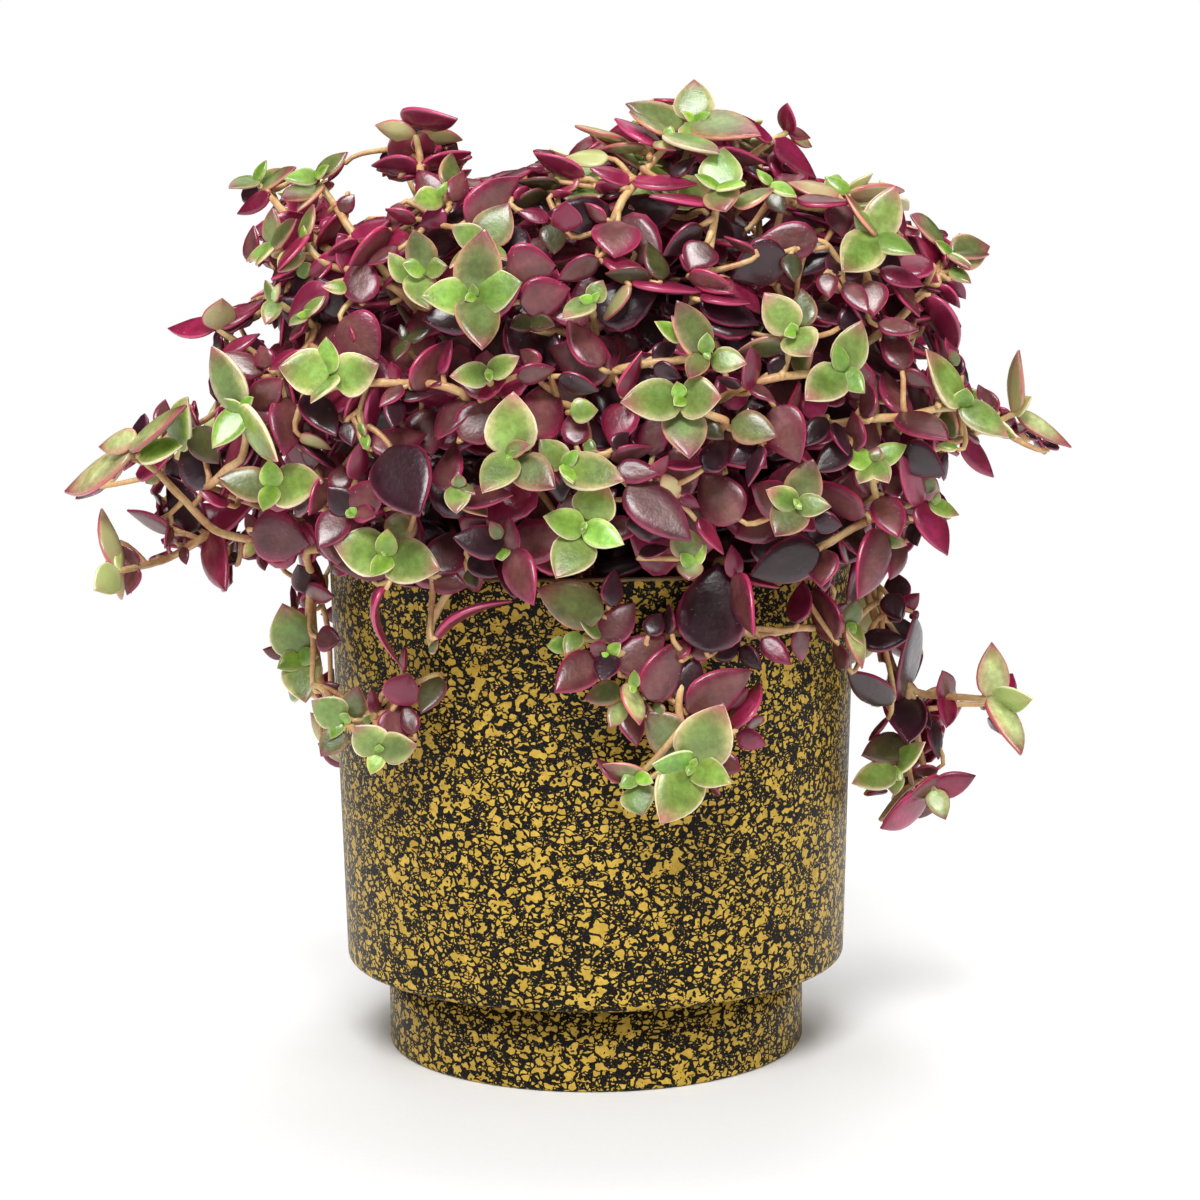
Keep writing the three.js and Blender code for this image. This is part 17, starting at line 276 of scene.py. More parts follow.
     [[383,518,2180,-4,15,82,96,58,3,14,5,2],[383,518,2180,-141,0,-58,133,65,3,14,5,2],[409,510,2216,140,-5,-62,157,76,6,14,5,2],[383,518,2180,-52,-25,53,118,95,2,14,5,2],[382,530,2179,-119,-24,-42,84,67,2,14,5,3],[370,578,2106,-17,3,64,118,70,6,14,5,2],[370,578,2106,-161,14,-44,122,78,6,14,5,2],[369,590,2105,-127,-23,-62,29,32,2,14,5,3],[343,798,1868,-5,75,-80,88,95,2,14,5,2],[343,798,1868,14,13,-85,53,59,0,10,5,2],[343,798,1868,165,8,84,52,58,0,10,5,2],[383,778,1845,2,55,-80,75,64,1,10,5,2],[375,778,1857,124,-46,34,111,88,1,10,5,2],[319,718,2027,44,-16,-52,79,76,0,10,5,2],[319,718,2027,-154,58,76,36,29,0,10,5,2],[367,385,2167,140,12,24,115,105,1,12,5,2],[375,379,2167,-34,1,-23,131,110,1,12,5,2],[371,381,2177,-122,43,-7,77,67,0,12,5,3],[376,388,2173,53,-3,5,75,62,0,12,5,3],[380,384,2183,-20,31,-27,41,33,0,12,5,3],[372,390,2184,123,41,32,41,35,0,12,5,3],[143,636,2087,95,-6,10,105,87,1,12,5,2],[144,626,2089,-83,20,-11,112,89,1,12,5,2],[140,633,2097,178,30,15,76,68,0,12,5,3],[149,633,2095,8,9,-13,71,62,0,12,5,3],[146,630,2106,-73,52,-17,33,29,0,12,5,3],[145,640,2104,88,26,11,31,26,0,12,5,3],[325,429,2099,-124,22,-5,95,80,1,12,5,2],[331,437,2096,55,-9,5,104,88,1,12,5,2],[334,432,2106,-30,14,-16,66,60,0,12,5,3],[326,438,2107,138,24,17,70,57,0,12,5,3],[335,440,2114,52,25,6,28,24,0,12,5,3],[329,432,2116,-119,55,-9,33,29,0,12,5,3],[310,425,2025,98,-1,14,166,150,4,12,5,2],[312,416,2026,-78,14,-15,139,116,4,12,5,2],[216,678,2115,112,-26,11,92,78,2,12,5,2],[219,671,2120,-64,40,-13,108,90,2,12,5,2],[212,678,2125,-175,26,38,58,53,0,12,5,3],[222,681,2124,29,7,-33,63,56,0,12,5,3],[218,681,2135,-42,71,-31,30,25,0,12,5,3],[215,689,2129,107,6,10,29,23,0,12,5,3],[216,639,2060,136,-20,23,115,103,4,12,5,2],[223,633,2064,-37,32,-26,119,109,4,12,5,2],[429,720,1958,31,-35,-103,125,77,4,16,5,2],[406,750,1914,14,-31,-51,75,44,4,16,5,2],[369,720,1981,6,21,-107,69,41,6,14,5,2],[304,730,1995,-12,-27,78,72,62,6,14,5,2],[304,690,2045,-97,54,16,99,68,2,14,5,2],[292,710,2017,-119,58,44,77,69,4,16,5,2],[260,750,1972,-157,42,87,156,123,4,16,5,2],[307,653,1981,-2,-6,-57,104,76,4,15,6,4],[295,655,1983,148,23,65,104,92,4,15,8,4],[284,588,1929,78,-26,4,119,82,4,15,2,4],[283,581,1938,-82,79,-21,119,89,4,15,4,4],[252,510,1862,154,19,46,127,113,5,15,4,4],[263,507,1860,-12,-5,-43,127,109,5,15,7,4],[229,444,1776,-94,54,-14,146,111,5,15,7,4],[231,454,1770,75,-6,8,146,133,5,15,4,4],[210,409,1685,-11,14,-24,114,82,4,15,3,4],[199,414,1686,155,18,24,114,95,5,15,9,4],[185,393,1597,62,-15,6,114,98,4,15,5,4],[180,383,1601,-117,26,-6,114,102,5,15,4,4],[158,376,1512,143,26,15,147,131,5,15,5,4],[168,370,1511,-30,0,-13,147,125,4,15,6,4],[146,365,1393,29,17,2,121,107,4,15,4,4],[136,360,1396,-150,23,-2,121,111,5,15,6,4],[121,363,1286,120,13,7,139,123,5,15,9,4],[127,353,1285,-57,9,-7,139,121,4,15,0,4],[109,352,1192,-124,22,-5,148,134,4,15,4,4],[118,360,1191,34,-1,3,148,125,5,15,1,4],[321,738,1918,173,-51,121,135,102,6,15,9,4],[327,743,1926,71,43,-177,135,117,5,15,5,4],[288,430,1924,2,0,25,123,103,5,15,2,4],[277,428,1927,-168,22,-27,123,110,5,15,4,4],[336,610,2026,-14,-23,6,102,93,4,15,6,4],[326,613,2032,170,51,-9,102,88,4,15,4,4],[260,588,1979,49,6,-27,97,82,4,15,8,4],[251,580,1980,-144,19,28,142,124,4,15,10,4],[200,618,2019,136,-32,-20,145,114,4,15,6,4],[205,609,2026,-75,36,38,145,99,4,15,1,4],[352,419,2086,-57,-31,1,127,88,4,15,3,4],[309,480,2004,85,54,24,94,68,4,15,7,4],[307,469,2000,-117,-5,-29,138,123,6,15,9,4],[467,581,2038,3,-36,24,96,68,5,15,2,4],[430,504,2083,-61,15,41,111,90,5,15,2,4],[457,405,2026,-32,20,10,65,46,4,15,3,4],[399,667,1929,-79,29,-6,96,72,4,15,8,4],[476,564,2009,-4,-46,-79,59,40,4,15,6,4],[312,337,2182,-70,13,-57,134,102,5,15,8,4],[255,642,2074,147,-37,25,57,46,6,15,8,4],[295,477,2112,98,-29,35,130,115,4,15,2,4],[461,353,2031,-44,-4,7,102,70,4,15,4,4],[369,508,2038,-26,6,-51,54,42,6,15,9,4],[481,271,2021,-57,-1,-25,132,97,4,15,3,4],[369,479,2113,-22,-29,-19,102,87,4,15,7,4],[250,617,1890,101,-46,5,117,104,4,15,3,4],[513,253,2038,-6,-35,19,101,78,4,15,3,4],[422,538,2113,160,-69,34,55,49,6,15,5,4]]),
]

# ---------------------------------------------------------------- colour helpers
def lin(c):
    out = []
    for v in c:
        v = v / 255.0
        out.append(v / 12.92 if v <= 0.04045 else ((v + 0.055) / 1.055) ** 2.4)
    return out


# kinds of leaf: middle of the upper face, outer part, broad margin, thin edge, lower face, tip;
# then where the broad margin starts and how far the tip's blush reaches
KINDS = [
    ((110, 142, 50), (130, 160, 66), (172, 186, 104), (232, 226, 176), (180, 190, 118), (176, 146, 100), 0.66, 0.35),
    ((106, 130, 54), (126, 144, 70), (184, 178, 120), (238, 222, 182), (184, 178, 120), (162, 96, 92), 0.62, 0.70),
    ((100, 112, 58), (112, 108, 64), (156, 136, 92), (214, 142, 122), (150, 54, 76), (128, 60, 68), 0.62, 0.85),
    ((170, 178, 108), (180, 174, 118), (192, 168, 122), (190, 92, 98), (178, 172, 118), (150, 54, 72), 0.62, 0.92),
    ((104, 58, 54), (100, 42, 52), (124, 34, 62), (182, 50, 92), (132, 22, 62), (124, 32, 60), 0.56, 0.60),
    ((46, 22, 28), (50, 18, 30), (70, 20, 38), (146, 34, 74), (96, 14, 46), (66, 18, 36), 0.58, 0.50),
    ((124, 26, 56), (124, 24, 58), (144, 34, 72), (186, 62, 104), (116, 20, 54), (110, 22, 50), 0.58, 0.60),
    # a dull dark green, a darker copy of the green kinds given to green leaves that sit in shade: painted shade
    ((62, 62, 30), (68, 60, 34), (86, 54, 46), (126, 56, 62), (112, 44, 54), (84, 46, 46), 0.64, 0.60),
    ((112, 74, 68), (108, 52, 60), (132, 44, 70), (176, 50, 90), (132, 28, 64), (114, 36, 58), 0.68, 0.60),
]
KIND_LIN = np.array([[lin(c) for c in k[:6]] for k in KINDS])
KIND_BAND = np.array([k[6] for k in KINDS])
KIND_REACH = np.array([k[7] for k in KINDS])

# ---------------------------------------------------------------- leaf shape
UC = np.array([0, 0.03, 0.08, 0.18, 0.36, 0.55, 0.72, 0.86, 0.95, 1.0])
WC = np.array([0.16, 0.40, 0.64, 0.89, 1.0, 0.90, 0.66, 0.36, 0.13, 0.0])
FINE_U = np.linspace(0, 1, 401)


def smooth_table(x, y):
    # monotone cubic through the outline's points
    h = np.diff(x)
    s = np.diff(y) / h
    m = np.zeros(len(x))
    for i in range(1, len(x) - 1):
        if s[i - 1] * s[i] > 0:
            w1, w2 = 2 * h[i] + h[i - 1], h[i] + 2 * h[i - 1]
            m[i] = (w1 + w2) / (w1 / s[i - 1] + w2 / s[i])
    m[0], m[-1] = s[0], s[-1]
    k = np.clip(np.searchsorted(x, FINE_U, side="right") - 1, 0, len(h) - 1)
    t = (FINE_U - x[k]) / h[k]
    return (
        (1 + 2 * t) * (1 - t) ** 2 * y[k]
        + t * (1 - t) ** 2 * h[k] * m[k]
        + t * t * (3 - 2 * t) * y[k + 1]
        + t * t * (t - 1) * h[k] * m[k + 1]
    )


OUTLINE = smooth_table(UC, WC)


def half_width(u):
    return np.interp(u, FINE_U, OUTLINE)


# rings of each level of detail: stations along the leaf, points round a section
LEVELS = [
    (np.array([0.0, 0.035, 0.09, 0.17, 0.27, 0.38, 0.49, 0.60, 0.70, 0.79, 0.87, 0.935, 0.98]), 16),
    (np.array([0.0, 0.05, 0.13, 0.26, 0.42, 0.58, 0.73, 0.86, 0.95]), 12),
    (np.array([0.0, 0.10, 0.28, 0.50, 0.72, 0.90]), 10),
]


def section(n):
    # angles round a leaf's section, evenly spaced
    a = 2 * np.pi * (np.arange(n) + 0.5) / n
    return a


def build_leaves(rows, rng):
    """Vertices, faces and the per-vertex facts of a shoot's leaves."""
    rows = np.array(rows, float)
    V, F, A, B, CT, CO, CB, CE, CU, CP = [], [], [], [], [], [], [], [], [], []
    base = 0
    flags = rows[:, 11].astype(int)
    for level in (0, 1, 2):
        sel = rows[(flags // 2) == level]
        if not len(sel):
            continue
        us, n = LEVELS[level]
        m = len(sel)
        b = sel[:, 0:3] * 0.1
        yaw, pit, rol = (np.radians(sel[:, i]) for i in (3, 4, 5))
        L, W = sel[:, 6] * 0.1, sel[:, 7] * 0.1
        kind = sel[:, 8].astype(int)
        cup, curl = sel[:, 9] * 0.0025, sel[:, 10] * 0.01
        d = np.stack([np.cos(pit) * np.cos(yaw), np.cos(pit) * np.sin(yaw), np.sin(pit)], 1)
        up = np.array([0, 0, 1.0])
        r0 = up - d * d[:, 2:3]
        short = np.linalg.norm(r0, axis=1) < 1e-3
        r0[short] = np.array([1.0, 0, 0]) - d[short, 0:1] * d[short]
        r0 /= np.linalg.norm(r0, axis=1)[:, None]
        r1 = np.cross(d, r0)
        nn = r0 * np.cos(rol)[:, None] + r1 * np.sin(rol)[:, None]
        s = np.cross(nn, d)
        T = np.minimum(2.6, 0.10 * L + 0.78)
        sway = rng.uniform(-0.05, 0.05, m)
        twist = rng.uniform(-0.22, 0.22, m)
        wave = rng.uniform(0, 6.28, m)
        phi = section(n)
        cs, sn = np.cos(phi), np.sin(phi)
        # flattened, rounded section: full at the edge, a shallow channel on top, a soft keel below
        vx = np.sign(cs) * np.abs(cs) ** 0.90
        P = np.zeros((m, len(us), n, 3))
        tp = np.interp(us, [0, 0.12, 0.35, 0.6, 0.85, 1.0], [0.62, 0.86, 1.0, 0.92, 0.62, 0.25])
        hw = W[:, None] / 2 * half_width(us)[None, :]
        hw = np.maximum(hw, 0.24 * T[:, None] * tp[None, :])
        for j, u in enumerate(us):
            h = (T * tp[j])[:, None]
            x = hw[:, j][:, None] * vx[None, :]
            top = 0.54 * np.abs(sn)[None, :] ** 0.80
            channel = 0.10 * np.exp(-((vx[None, :] / 0.30) ** 2)) * (1 - 0.6 * u) * np.minimum(1, u * 8)
            zt = h * (top - channel)
            zb = -h * (0.54 * np.abs(sn)[None, :] ** 0.8 * (0.66 + 0.52 * np.exp(-((vx[None, :] / 0.34) ** 2))))
            z = np.where(sn[None, :] > 0, zt, zb)
            z = z + cup[:, None] * x * x / (W[:, None] / 2) + (curl * L * (u * u - u * 0.25))[:, None]
            z = z + 0.10 * np.sin(wave[:, None] + 5.0 * u + 2.0 * vx[None, :]) * min(1.0, u * 4) * (1 - 0.5 * u)
            tw = twist[:, None] * u
            x2 = x * np.cos(tw) - (z - (curl * L * (u * u - u * 0.25))[:, None]) * np.sin(tw) * 0.6
            z2 = z + x * np.sin(tw)
            x2 = x2 + (sway * L * u * u)[:, None]
            P[:, j] = b[:, None, :] + d[:, None, :] * (u * L)[:, None, None] + s[:, None, :] * x2[:, :, None] + nn[:, None, :] * z2[:, :, None]
        tipz = curl * L * 0.75 - 0.15
        tip = b + d * (L * 1.0)[:, None] + nn * tipz[:, None] + s * (sway * L)[:, None]
        foot = b - d * 0.25
        k = len(us) * n
        allv = np.concatenate([P.reshape(m, k, 3), tip[:, None], foot[:, None]], 1)
        V.append(allv.reshape(-1, 3))
        # faces of one leaf
        f = []
        for j in range(len(us) - 1):
            for i in range(n):
                i2 = (i + 1) % n
                f.append((j * n + i, j * n + i2, (j + 1) * n + i2, (j + 1) * n + i))
        quads = np.array(f)
        last = (len(us) - 1) * n
        tris = [(last + i, last + (i + 1) % n, k) for i in range(n)]
        tris += [((i + 1) % n, i, k + 1) for i in range(n)]
        tris = np.array(tris)
        off = base + np.arange(m)[:, None, None] * (k + 2)
        F.append(("q", (quads[None] + off).reshape(-1, 4)))
        F.append(("t", (tris[None] + off).reshape(-1, 3)))
        base += m * (k + 2)
        # per-vertex facts
        uu = np.concatenate([np.repeat(us, n), [1.0, 0.0]])
        mm = np.concatenate([np.tile(np.abs(vx), len(us)), [1.0, 0.0]])
        # near the tip the whole width counts as edge
        side = np.concatenate([np.tile((sn > 0).astype(float), len(us)), [0.5, 0.5]])
        A.append(np.tile(np.stack([uu, mm, side], 1), (m, 1)))
        rnd = rng.uniform(0, 1, m)
        inner = (sel[:, 11].astype(int) % 2).astype(float)
        reach = np.clip(KIND_REACH[kind] + rng.normal(0, 0.12, m), 0, 1)
        band = np.clip(KIND_BAND[kind] + rng.normal(0, 0.07, m), 0.45, 0.92)
        B.append(np.repeat(np.stack([reach, rnd, band], 1), k + 2, 0))
        jit = rng.normal(1.0, 0.10, (m, 1, 1)) * rng.normal(1.0, 0.04, (m, 1, 3))
        # leaf colours darkened towards the inside of the bush: painted shade
        cols = KIND_LIN[kind] * np.clip(jit, 0.6, 1.5) * (0.24 + 0.76 * painted_shade_openness(b + d * (L * 0.5)[:, None]))[:, None, None]
        # the young inner pair of a tip is brighter and yellower
        young = (inner > 0.5) & (kind <= 1)
        cols[young, 0:2] = cols[young, 0:2] * np.array([1.02, 1.10, 0.80])
        for i, dst in enumerate((CT, CO, CB, CE, CU, CP)):
            dst.append(np.repeat(cols[:, i], k + 2, 0))
    return [np.concatenate(x) for x in (V, A, B, CT, CO, CB, CE, CU, CP)], F, base


def painted_shade_openness(P):
    """1 at the outside of the bush, falling towards the inside of it: the factor for painted shade, which darkens
    colours where shade falls inside the bush.
    """
    q = (P - np.array([0.0, 3.0, 146.0])) / np.where(P[:, 2:3] >= 146.0, [98.0, 92.0, 84.0], [98.0, 92.0, 42.0])
    f = (np.abs(q) ** 2.5).sum(1) ** 0.4
    f = np.where(P[:, 2] < 122.0, 1.0, f)
    return np.clip((f - 0.50) / 0.34, 0, 1)


def catmull(P, per):
    """A smooth line through the points, about per millimetres between samples."""
    P = np.asarray(P, float)
    if len(P) < 3:
        n = max(2, int(np.linalg.norm(P[1] - P[0]) / per) + 1)
        return P[0] + (P[1] - P[0]) * np.linspace(0, 1, n)[:, None]
    Q = np.vstack([2 * P[0] - P[1], P, 2 * P[-1] - P[-2]])
    out = []
    for i in range(1, len(Q) - 2):
        p0, p1, p2, p3 = Q[i - 1], Q[i], Q[i + 1], Q[i + 2]
        t0 = 0.0
        t1 = t0 + max(np.linalg.norm(p1 - p0), 1e-6) ** 0.5
        t2 = t1 + max(np.linalg.norm(p2 - p1), 1e-6) ** 0.5
        t3 = t2 + max(np.linalg.norm(p3 - p2), 1e-6) ** 0.5
        n = max(1, int(round(np.linalg.norm(p2 - p1) / per)))
        for t in np.linspace(t1, t2, n, endpoint=False):
            a1 = (t1 - t) / (t1 - t0) * p0 + (t - t0) / (t1 - t0) * p1
            a2 = (t2 - t) / (t2 - t1) * p1 + (t - t1) / (t2 - t1) * p2
            a3 = (t3 - t) / (t3 - t2) * p2 + (t - t2) / (t3 - t2) * p3
            b1 = (t2 - t) / (t2 - t0) * a1 + (t - t0) / (t2 - t0) * a2
            b2 = (t3 - t) / (t3 - t1) * a2 + (t - t1) / (t3 - t1) * a3
            out.append((t2 - t) / (t2 - t1) * b1 + (t - t1) / (t2 - t1) * b2)
    out.append(P[-1])
    return np.array(out)


def tube(points, radii, sides, base):
    """A closed tube with rounded ends along the points."""
    n = len(points)
    tan = np.gradient(points, axis=0)
    tan /= np.linalg.norm(tan, axis=1)[:, None] + 1e-12
    ref = np.array([0.0, 0, 1]) if abs(tan[0][2]) < 0.9 else np.array([1.0, 0, 0])
    x = np.cross(tan[0], ref)
    x /= np.linalg.norm(x)
    xs = [x]
    for i in range(1, n):
        x = xs[-1] - tan[i] * np.dot(xs[-1], tan[i])
        x /= np.linalg.norm(x) + 1e-12
        xs.append(x)
    xs = np.array(xs)
    ys = np.cross(tan, xs)
    a = 2 * np.pi * np.arange(sides) / sides
    ring = (
        points[:, None, :]
        + radii[:, None, None] * (np.cos(a)[None, :, None] * xs[:, None, :] + np.sin(a)[None, :, None] * ys[:, None, :])
    )
    v = np.vstack([ring.reshape(-1, 3), points[0] - tan[0] * radii[0] * 0.7, points[-1] + tan[-1] * radii[-1] * 0.7])
    q = []
    for j in range(n - 1):
        for i in range(sides):
            i2 = (i + 1) % sides
            q.append((base + j * sides + i, base + j * sides + i2, base + (j + 1) * sides + i2, base + (j + 1) * sides + i))
    k = n * sides
    t = [(base + (i + 1) % sides, base + i, base + k) for i in range(sides)]
    t += [(base + (n - 1) * sides + i, base + (n - 1) * sides + (i + 1) % sides, base + k + 1) for i in range(sides)]
    along = np.concatenate([np.repeat(np.linspace(0, 1, n), sides), [0, 1]])
    return v, np.array(q).reshape(-1, 4), np.array(t).reshape(-1, 3), along


def mesh_object(name, verts, quads, tris, mats, mat_index=None):
    me = bpy.data.meshes.new(name)
    nq, nt = len(quads), len(tris)
    me.vertices.add(len(verts))
    me.vertices.foreach_set("co", (np.asarray(verts) * MM).astype(np.float32).ravel())
    loops = np.concatenate([np.asarray(quads).ravel(), np.asarray(tris).ravel()]).astype(np.int32)
    me.loops.add(len(loops))
    me.loops.foreach_set("vertex_index", loops)
    starts = np.concatenate([np.arange(nq) * 4, nq * 4 + np.arange(nt) * 3]).astype(np.int32)
    me.polygons.add(nq + nt)
    me.polygons.foreach_set("loop_start", starts)
    me.polygons.foreach_set("use_smooth", np.ones(nq + nt, bool))
    for m in mats:
        me.materials.append(m)
    if mat_index is not None:
        me.polygons.foreach_set("material_index", mat_index.astype(np.int32))
    me.update(calc_edges=True)
    me.validate()
    ob = bpy.data.objects.new(name, me)
    bpy.context.scene.collection.objects.link(ob)
    return ob


def vec_attr(me, name, data):
    at = me.attributes.new(name, "FLOAT_VECTOR", "POINT")
    at.data.foreach_set("vector", np.asarray(data, np.float32).ravel())


def col_attr(me, name, data):
    at = me.color_attributes.new(name, "FLOAT_COLOR", "POINT")
    rgba = np.ones((len(data), 4), np.float32)
    rgba[:, :3] = data
    at.data.foreach_set("color", rgba.ravel())


# ---------------------------------------------------------------- material helpers
class Net:
    def __init__(self, name):
        self.mat = bpy.data.materials.new(name)
        self.mat.use_nodes = True
        self.t = self.mat.node_tree
        self.t.nodes.clear()
        self.out = self.t.nodes.new("ShaderNodeOutputMaterial")
        self.bsdf = self.t.nodes.new("ShaderNodeBsdfPrincipled")
        self.t.links.new(self.bsdf.outputs[0], self.out.inputs[0])

    def node(self, kind, **props):
        n = self.t.nodes.new(kind)
        for k, v in props.items():
            setattr(n, k, v)
        return n

    def put(self, socket, value):
        if isinstance(value, bpy.types.NodeSocket):
            self.t.links.new(value, socket)
        elif value is not None:
            socket.default_value = value

    def math(self, op, a, b=None, c=None, clamp=False):
        n = self.node("ShaderNodeMath", operation=op, use_clamp=clamp)
        self.put(n.inputs[0], a)
        if b is not None:
            self.put(n.inputs[1], b)
        if c is not None:
            self.put(n.inputs[2], c)
        return n.outputs[0]

    def vmath(self, op, a, b=None, scale=None):
        n = self.node("ShaderNodeVectorMath", operation=op)
        self.put(n.inputs[0], a)
        if b is not None:
            self.put(n.inputs[1], b)
        if scale is not None:
            self.put(n.inputs["Scale"], scale)
        return n.outputs["Value"] if op in ("LENGTH", "DOT_PRODUCT", "DISTANCE") else n.outputs[0]

    def ramp(self, x, lo, hi, a=0.0, b=1.0, smooth=True):
        n = self.node("ShaderNodeMapRange", interpolation_type="SMOOTHSTEP" if smooth else "LINEAR")
        self.put(n.inputs["Value"], x)
        self.put(n.inputs["From Min"], lo)
        self.put(n.inputs["From Max"], hi)
        self.put(n.inputs["To Min"], a)
        self.put(n.inputs["To Max"], b)
        return n.outputs[0]

    def mix(self, f, a, b, blend="MIX"):
        n = self.node("ShaderNodeMix", data_type="RGBA", blend_type=blend)
        n.clamp_factor = True
        self.put(n.inputs[0], f)
        for s, v in ((n.inputs[6], a), (n.inputs[7], b)):
            if isinstance(v, (tuple, list)):
                v = tuple(v) + (1.0,) if len(v) == 3 else tuple(v)
            self.put(s, v)
        return n.outputs[2]

    def noise(self, vec, scale, detail=2.0, rough=0.5, out="Fac", distortion=0.0):
        n = self.node("ShaderNodeTexNoise")
        self.put(n.inputs["Vector"], vec)
        n.inputs["Scale"].default_value = scale
        n.inputs["Detail"].default_value = detail
        n.inputs["Roughness"].default_value = rough
        n.inputs["Distortion"].default_value = distortion
        return n.outputs[out]

    def voronoi(self, vec, scale, feature="F1", out="Distance", rand=1.0):
        n = self.node("ShaderNodeTexVoronoi", feature=feature)
        self.put(n.inputs["Vector"], vec)
        n.inputs["Scale"].default_value = scale
        n.inputs["Randomness"].default_value = rand
        return n.outputs[out]

    def attr(self, name, out="Vector"):
        n = self.node("ShaderNodeAttribute", attribute_name=name)
        return n.outputs[out]

    def split(self, v):
        n = self.node("ShaderNodeSeparateXYZ")
        self.put(n.inputs[0], v)
        return n.outputs[0], n.outputs[1], n.outputs[2]

    def join(self, x, y, z):
        n = self.node("ShaderNodeCombineXYZ")
        for i, v in enumerate((x, y, z)):
            self.put(n.inputs[i], v)
        return n.outputs[0]

    def coords(self):
        return self.node("ShaderNodeTexCoord").outputs["Object"]

    def bump(self, height, distance, strength=1.0, normal=None):
        n = self.node("ShaderNodeBump")
        n.inputs["Strength"].default_value = strength
        n.inputs["Distance"].default_value = distance
        self.put(n.inputs["Height"], height)
        if normal is not None:
            self.put(n.inputs["Normal"], normal)
        return n.outputs[0]


# ---------------------------------------------------------------- leaf material
def leaf_material():
    n = Net("leaf_skin")
    co = n.coords()
    u, m, side = n.split(n.attr("la"))
    reach, rnd, band = n.split(n.attr("lb"))
    ctop, cout, cband, cedge, cund, ctip = (n.attr(a, "Color") for a in ("ct", "co", "cb", "ce", "cu", "cp"))
    seed = n.vmath("MULTIPLY", n.join(rnd, rnd, rnd), (0.9, 1.7, 2.3))
    here = n.vmath("ADD", co, seed)
    wob = n.noise(here, 330.0, 3.0, 0.6)
    big = n.noise(here, 110.0, 2.0, 0.5)
    # the margin closes round the tip; its inner limit wanders
    near_tip = n.ramp(u, 0.80, 1.0, 0.0, 0.8)
    e = n.math("MAXIMUM", m, near_tip)
    e = n.math("ADD", e, n.math("MULTIPLY_ADD", wob, 0.30, -0.15))
    face = n.mix(n.ramp(e, 0.15, 0.75), ctop, cout)
    face = n.mix(n.ramp(e, band, n.math("ADD", band, 0.34)), face, cband)
    # blush from the tip
    t = n.math("ADD", u, n.math("MULTIPLY_ADD", big, 0.5, -0.25))
    t0 = n.math("MULTIPLY_ADD", reach, -0.50, 0.95)
    face = n.mix(n.math("MULTIPLY", n.ramp(t, t0, n.math("ADD", t0, 0.45)), n.math("MULTIPLY_ADD", reach, 0.5, 0.35)), face, ctip)
    face = n.mix(n.math("MULTIPLY", n.ramp(n.math("ADD", u, n.math("MULTIPLY_ADD", wob, 0.16, -0.08)), 0.82, 0.97), n.math("MULTIPLY", reach, 0.85)), face, ctip)
    cloud = n.ramp(big, 0.32, 0.70, 0.70, 1.20)
    face = n.mix(1.0, face, n.join(cloud, cloud, cloud), "MULTIPLY")
    # fine mottling, and a painted bluish sheen over parts of the face: a reflection painted into the colour
    skin = n.noise(here, 820.0, 2.0, 0.65)
    fine = n.ramp(skin, 0.30, 0.72, 0.86, 1.16)
    face = n.mix(1.0, face, n.join(fine, fine, fine), "MULTIPLY")
    painted_sheen = n.math("MULTIPLY", n.ramp(n.noise(here, 150.0, 1.0, 0.5), 0.44, 0.64, 0.0, 0.65), n.ramp(m, 0.85, 0.25))
    face = n.mix(painted_sheen, face, n.mix(1.0, face, (1.45, 1.58, 1.95), "MULTIPLY"))
    under = n.mix(n.math("MULTIPLY", n.ramp(u, 0.50, 1.0), 0.6), cund, ctip)
    under = n.mix(n.math("MULTIPLY", n.ramp(u, 0.30, 0.0), 0.40), under, cedge)
    col = n.mix(n.ramp(side, 0.35, 0.65), under, face)
    # thin bright edge, broken here and there
    e0 = n.math("MULTIPLY_ADD", wob, 0.12, 0.83)
    edge = n.math("MULTIPLY", n.ramp(m, e0, n.math("ADD", e0, 0.07)), n.ramp(big, 0.28, 0.55, 0.45, 1.0))
    col = n.mix(n.math("MULTIPLY", edge, n.ramp(u, 0.0, 0.10)), col, cedge)
    # small pale pores inside the edge
    pores = n.voronoi(here, 1000.0, "F1", "Distance", 1.0)
    near = n.math("MULTIPLY", n.ramp(m, 0.35, 0.60), n.ramp(m, 0.94, 0.82))
    dot = n.math("MULTIPLY", n.math("MULTIPLY", n.ramp(pores, 0.19, 0.09), near), n.ramp(wob, 0.50, 0.60))
    col = n.mix(n.math("MULTIPLY", dot, 0.30), col, (0.75, 0.62, 0.55))
    n.put(n.bsdf.inputs["Base Color"], col)
    n.put(n.bsdf.inputs["Roughness"], n.math("MULTIPLY_ADD", wob, 0.30, 0.20))
    n.bsdf.inputs["IOR"].default_value = 1.50
    n.bsdf.inputs["Coat Weight"].default_value = 0.45
    n.bsdf.inputs["Coat Roughness"].default_value = 0.22
    n.put(n.bsdf.inputs["Normal"], n.bump(skin, 0.00011, 1.0))
    return n.mat


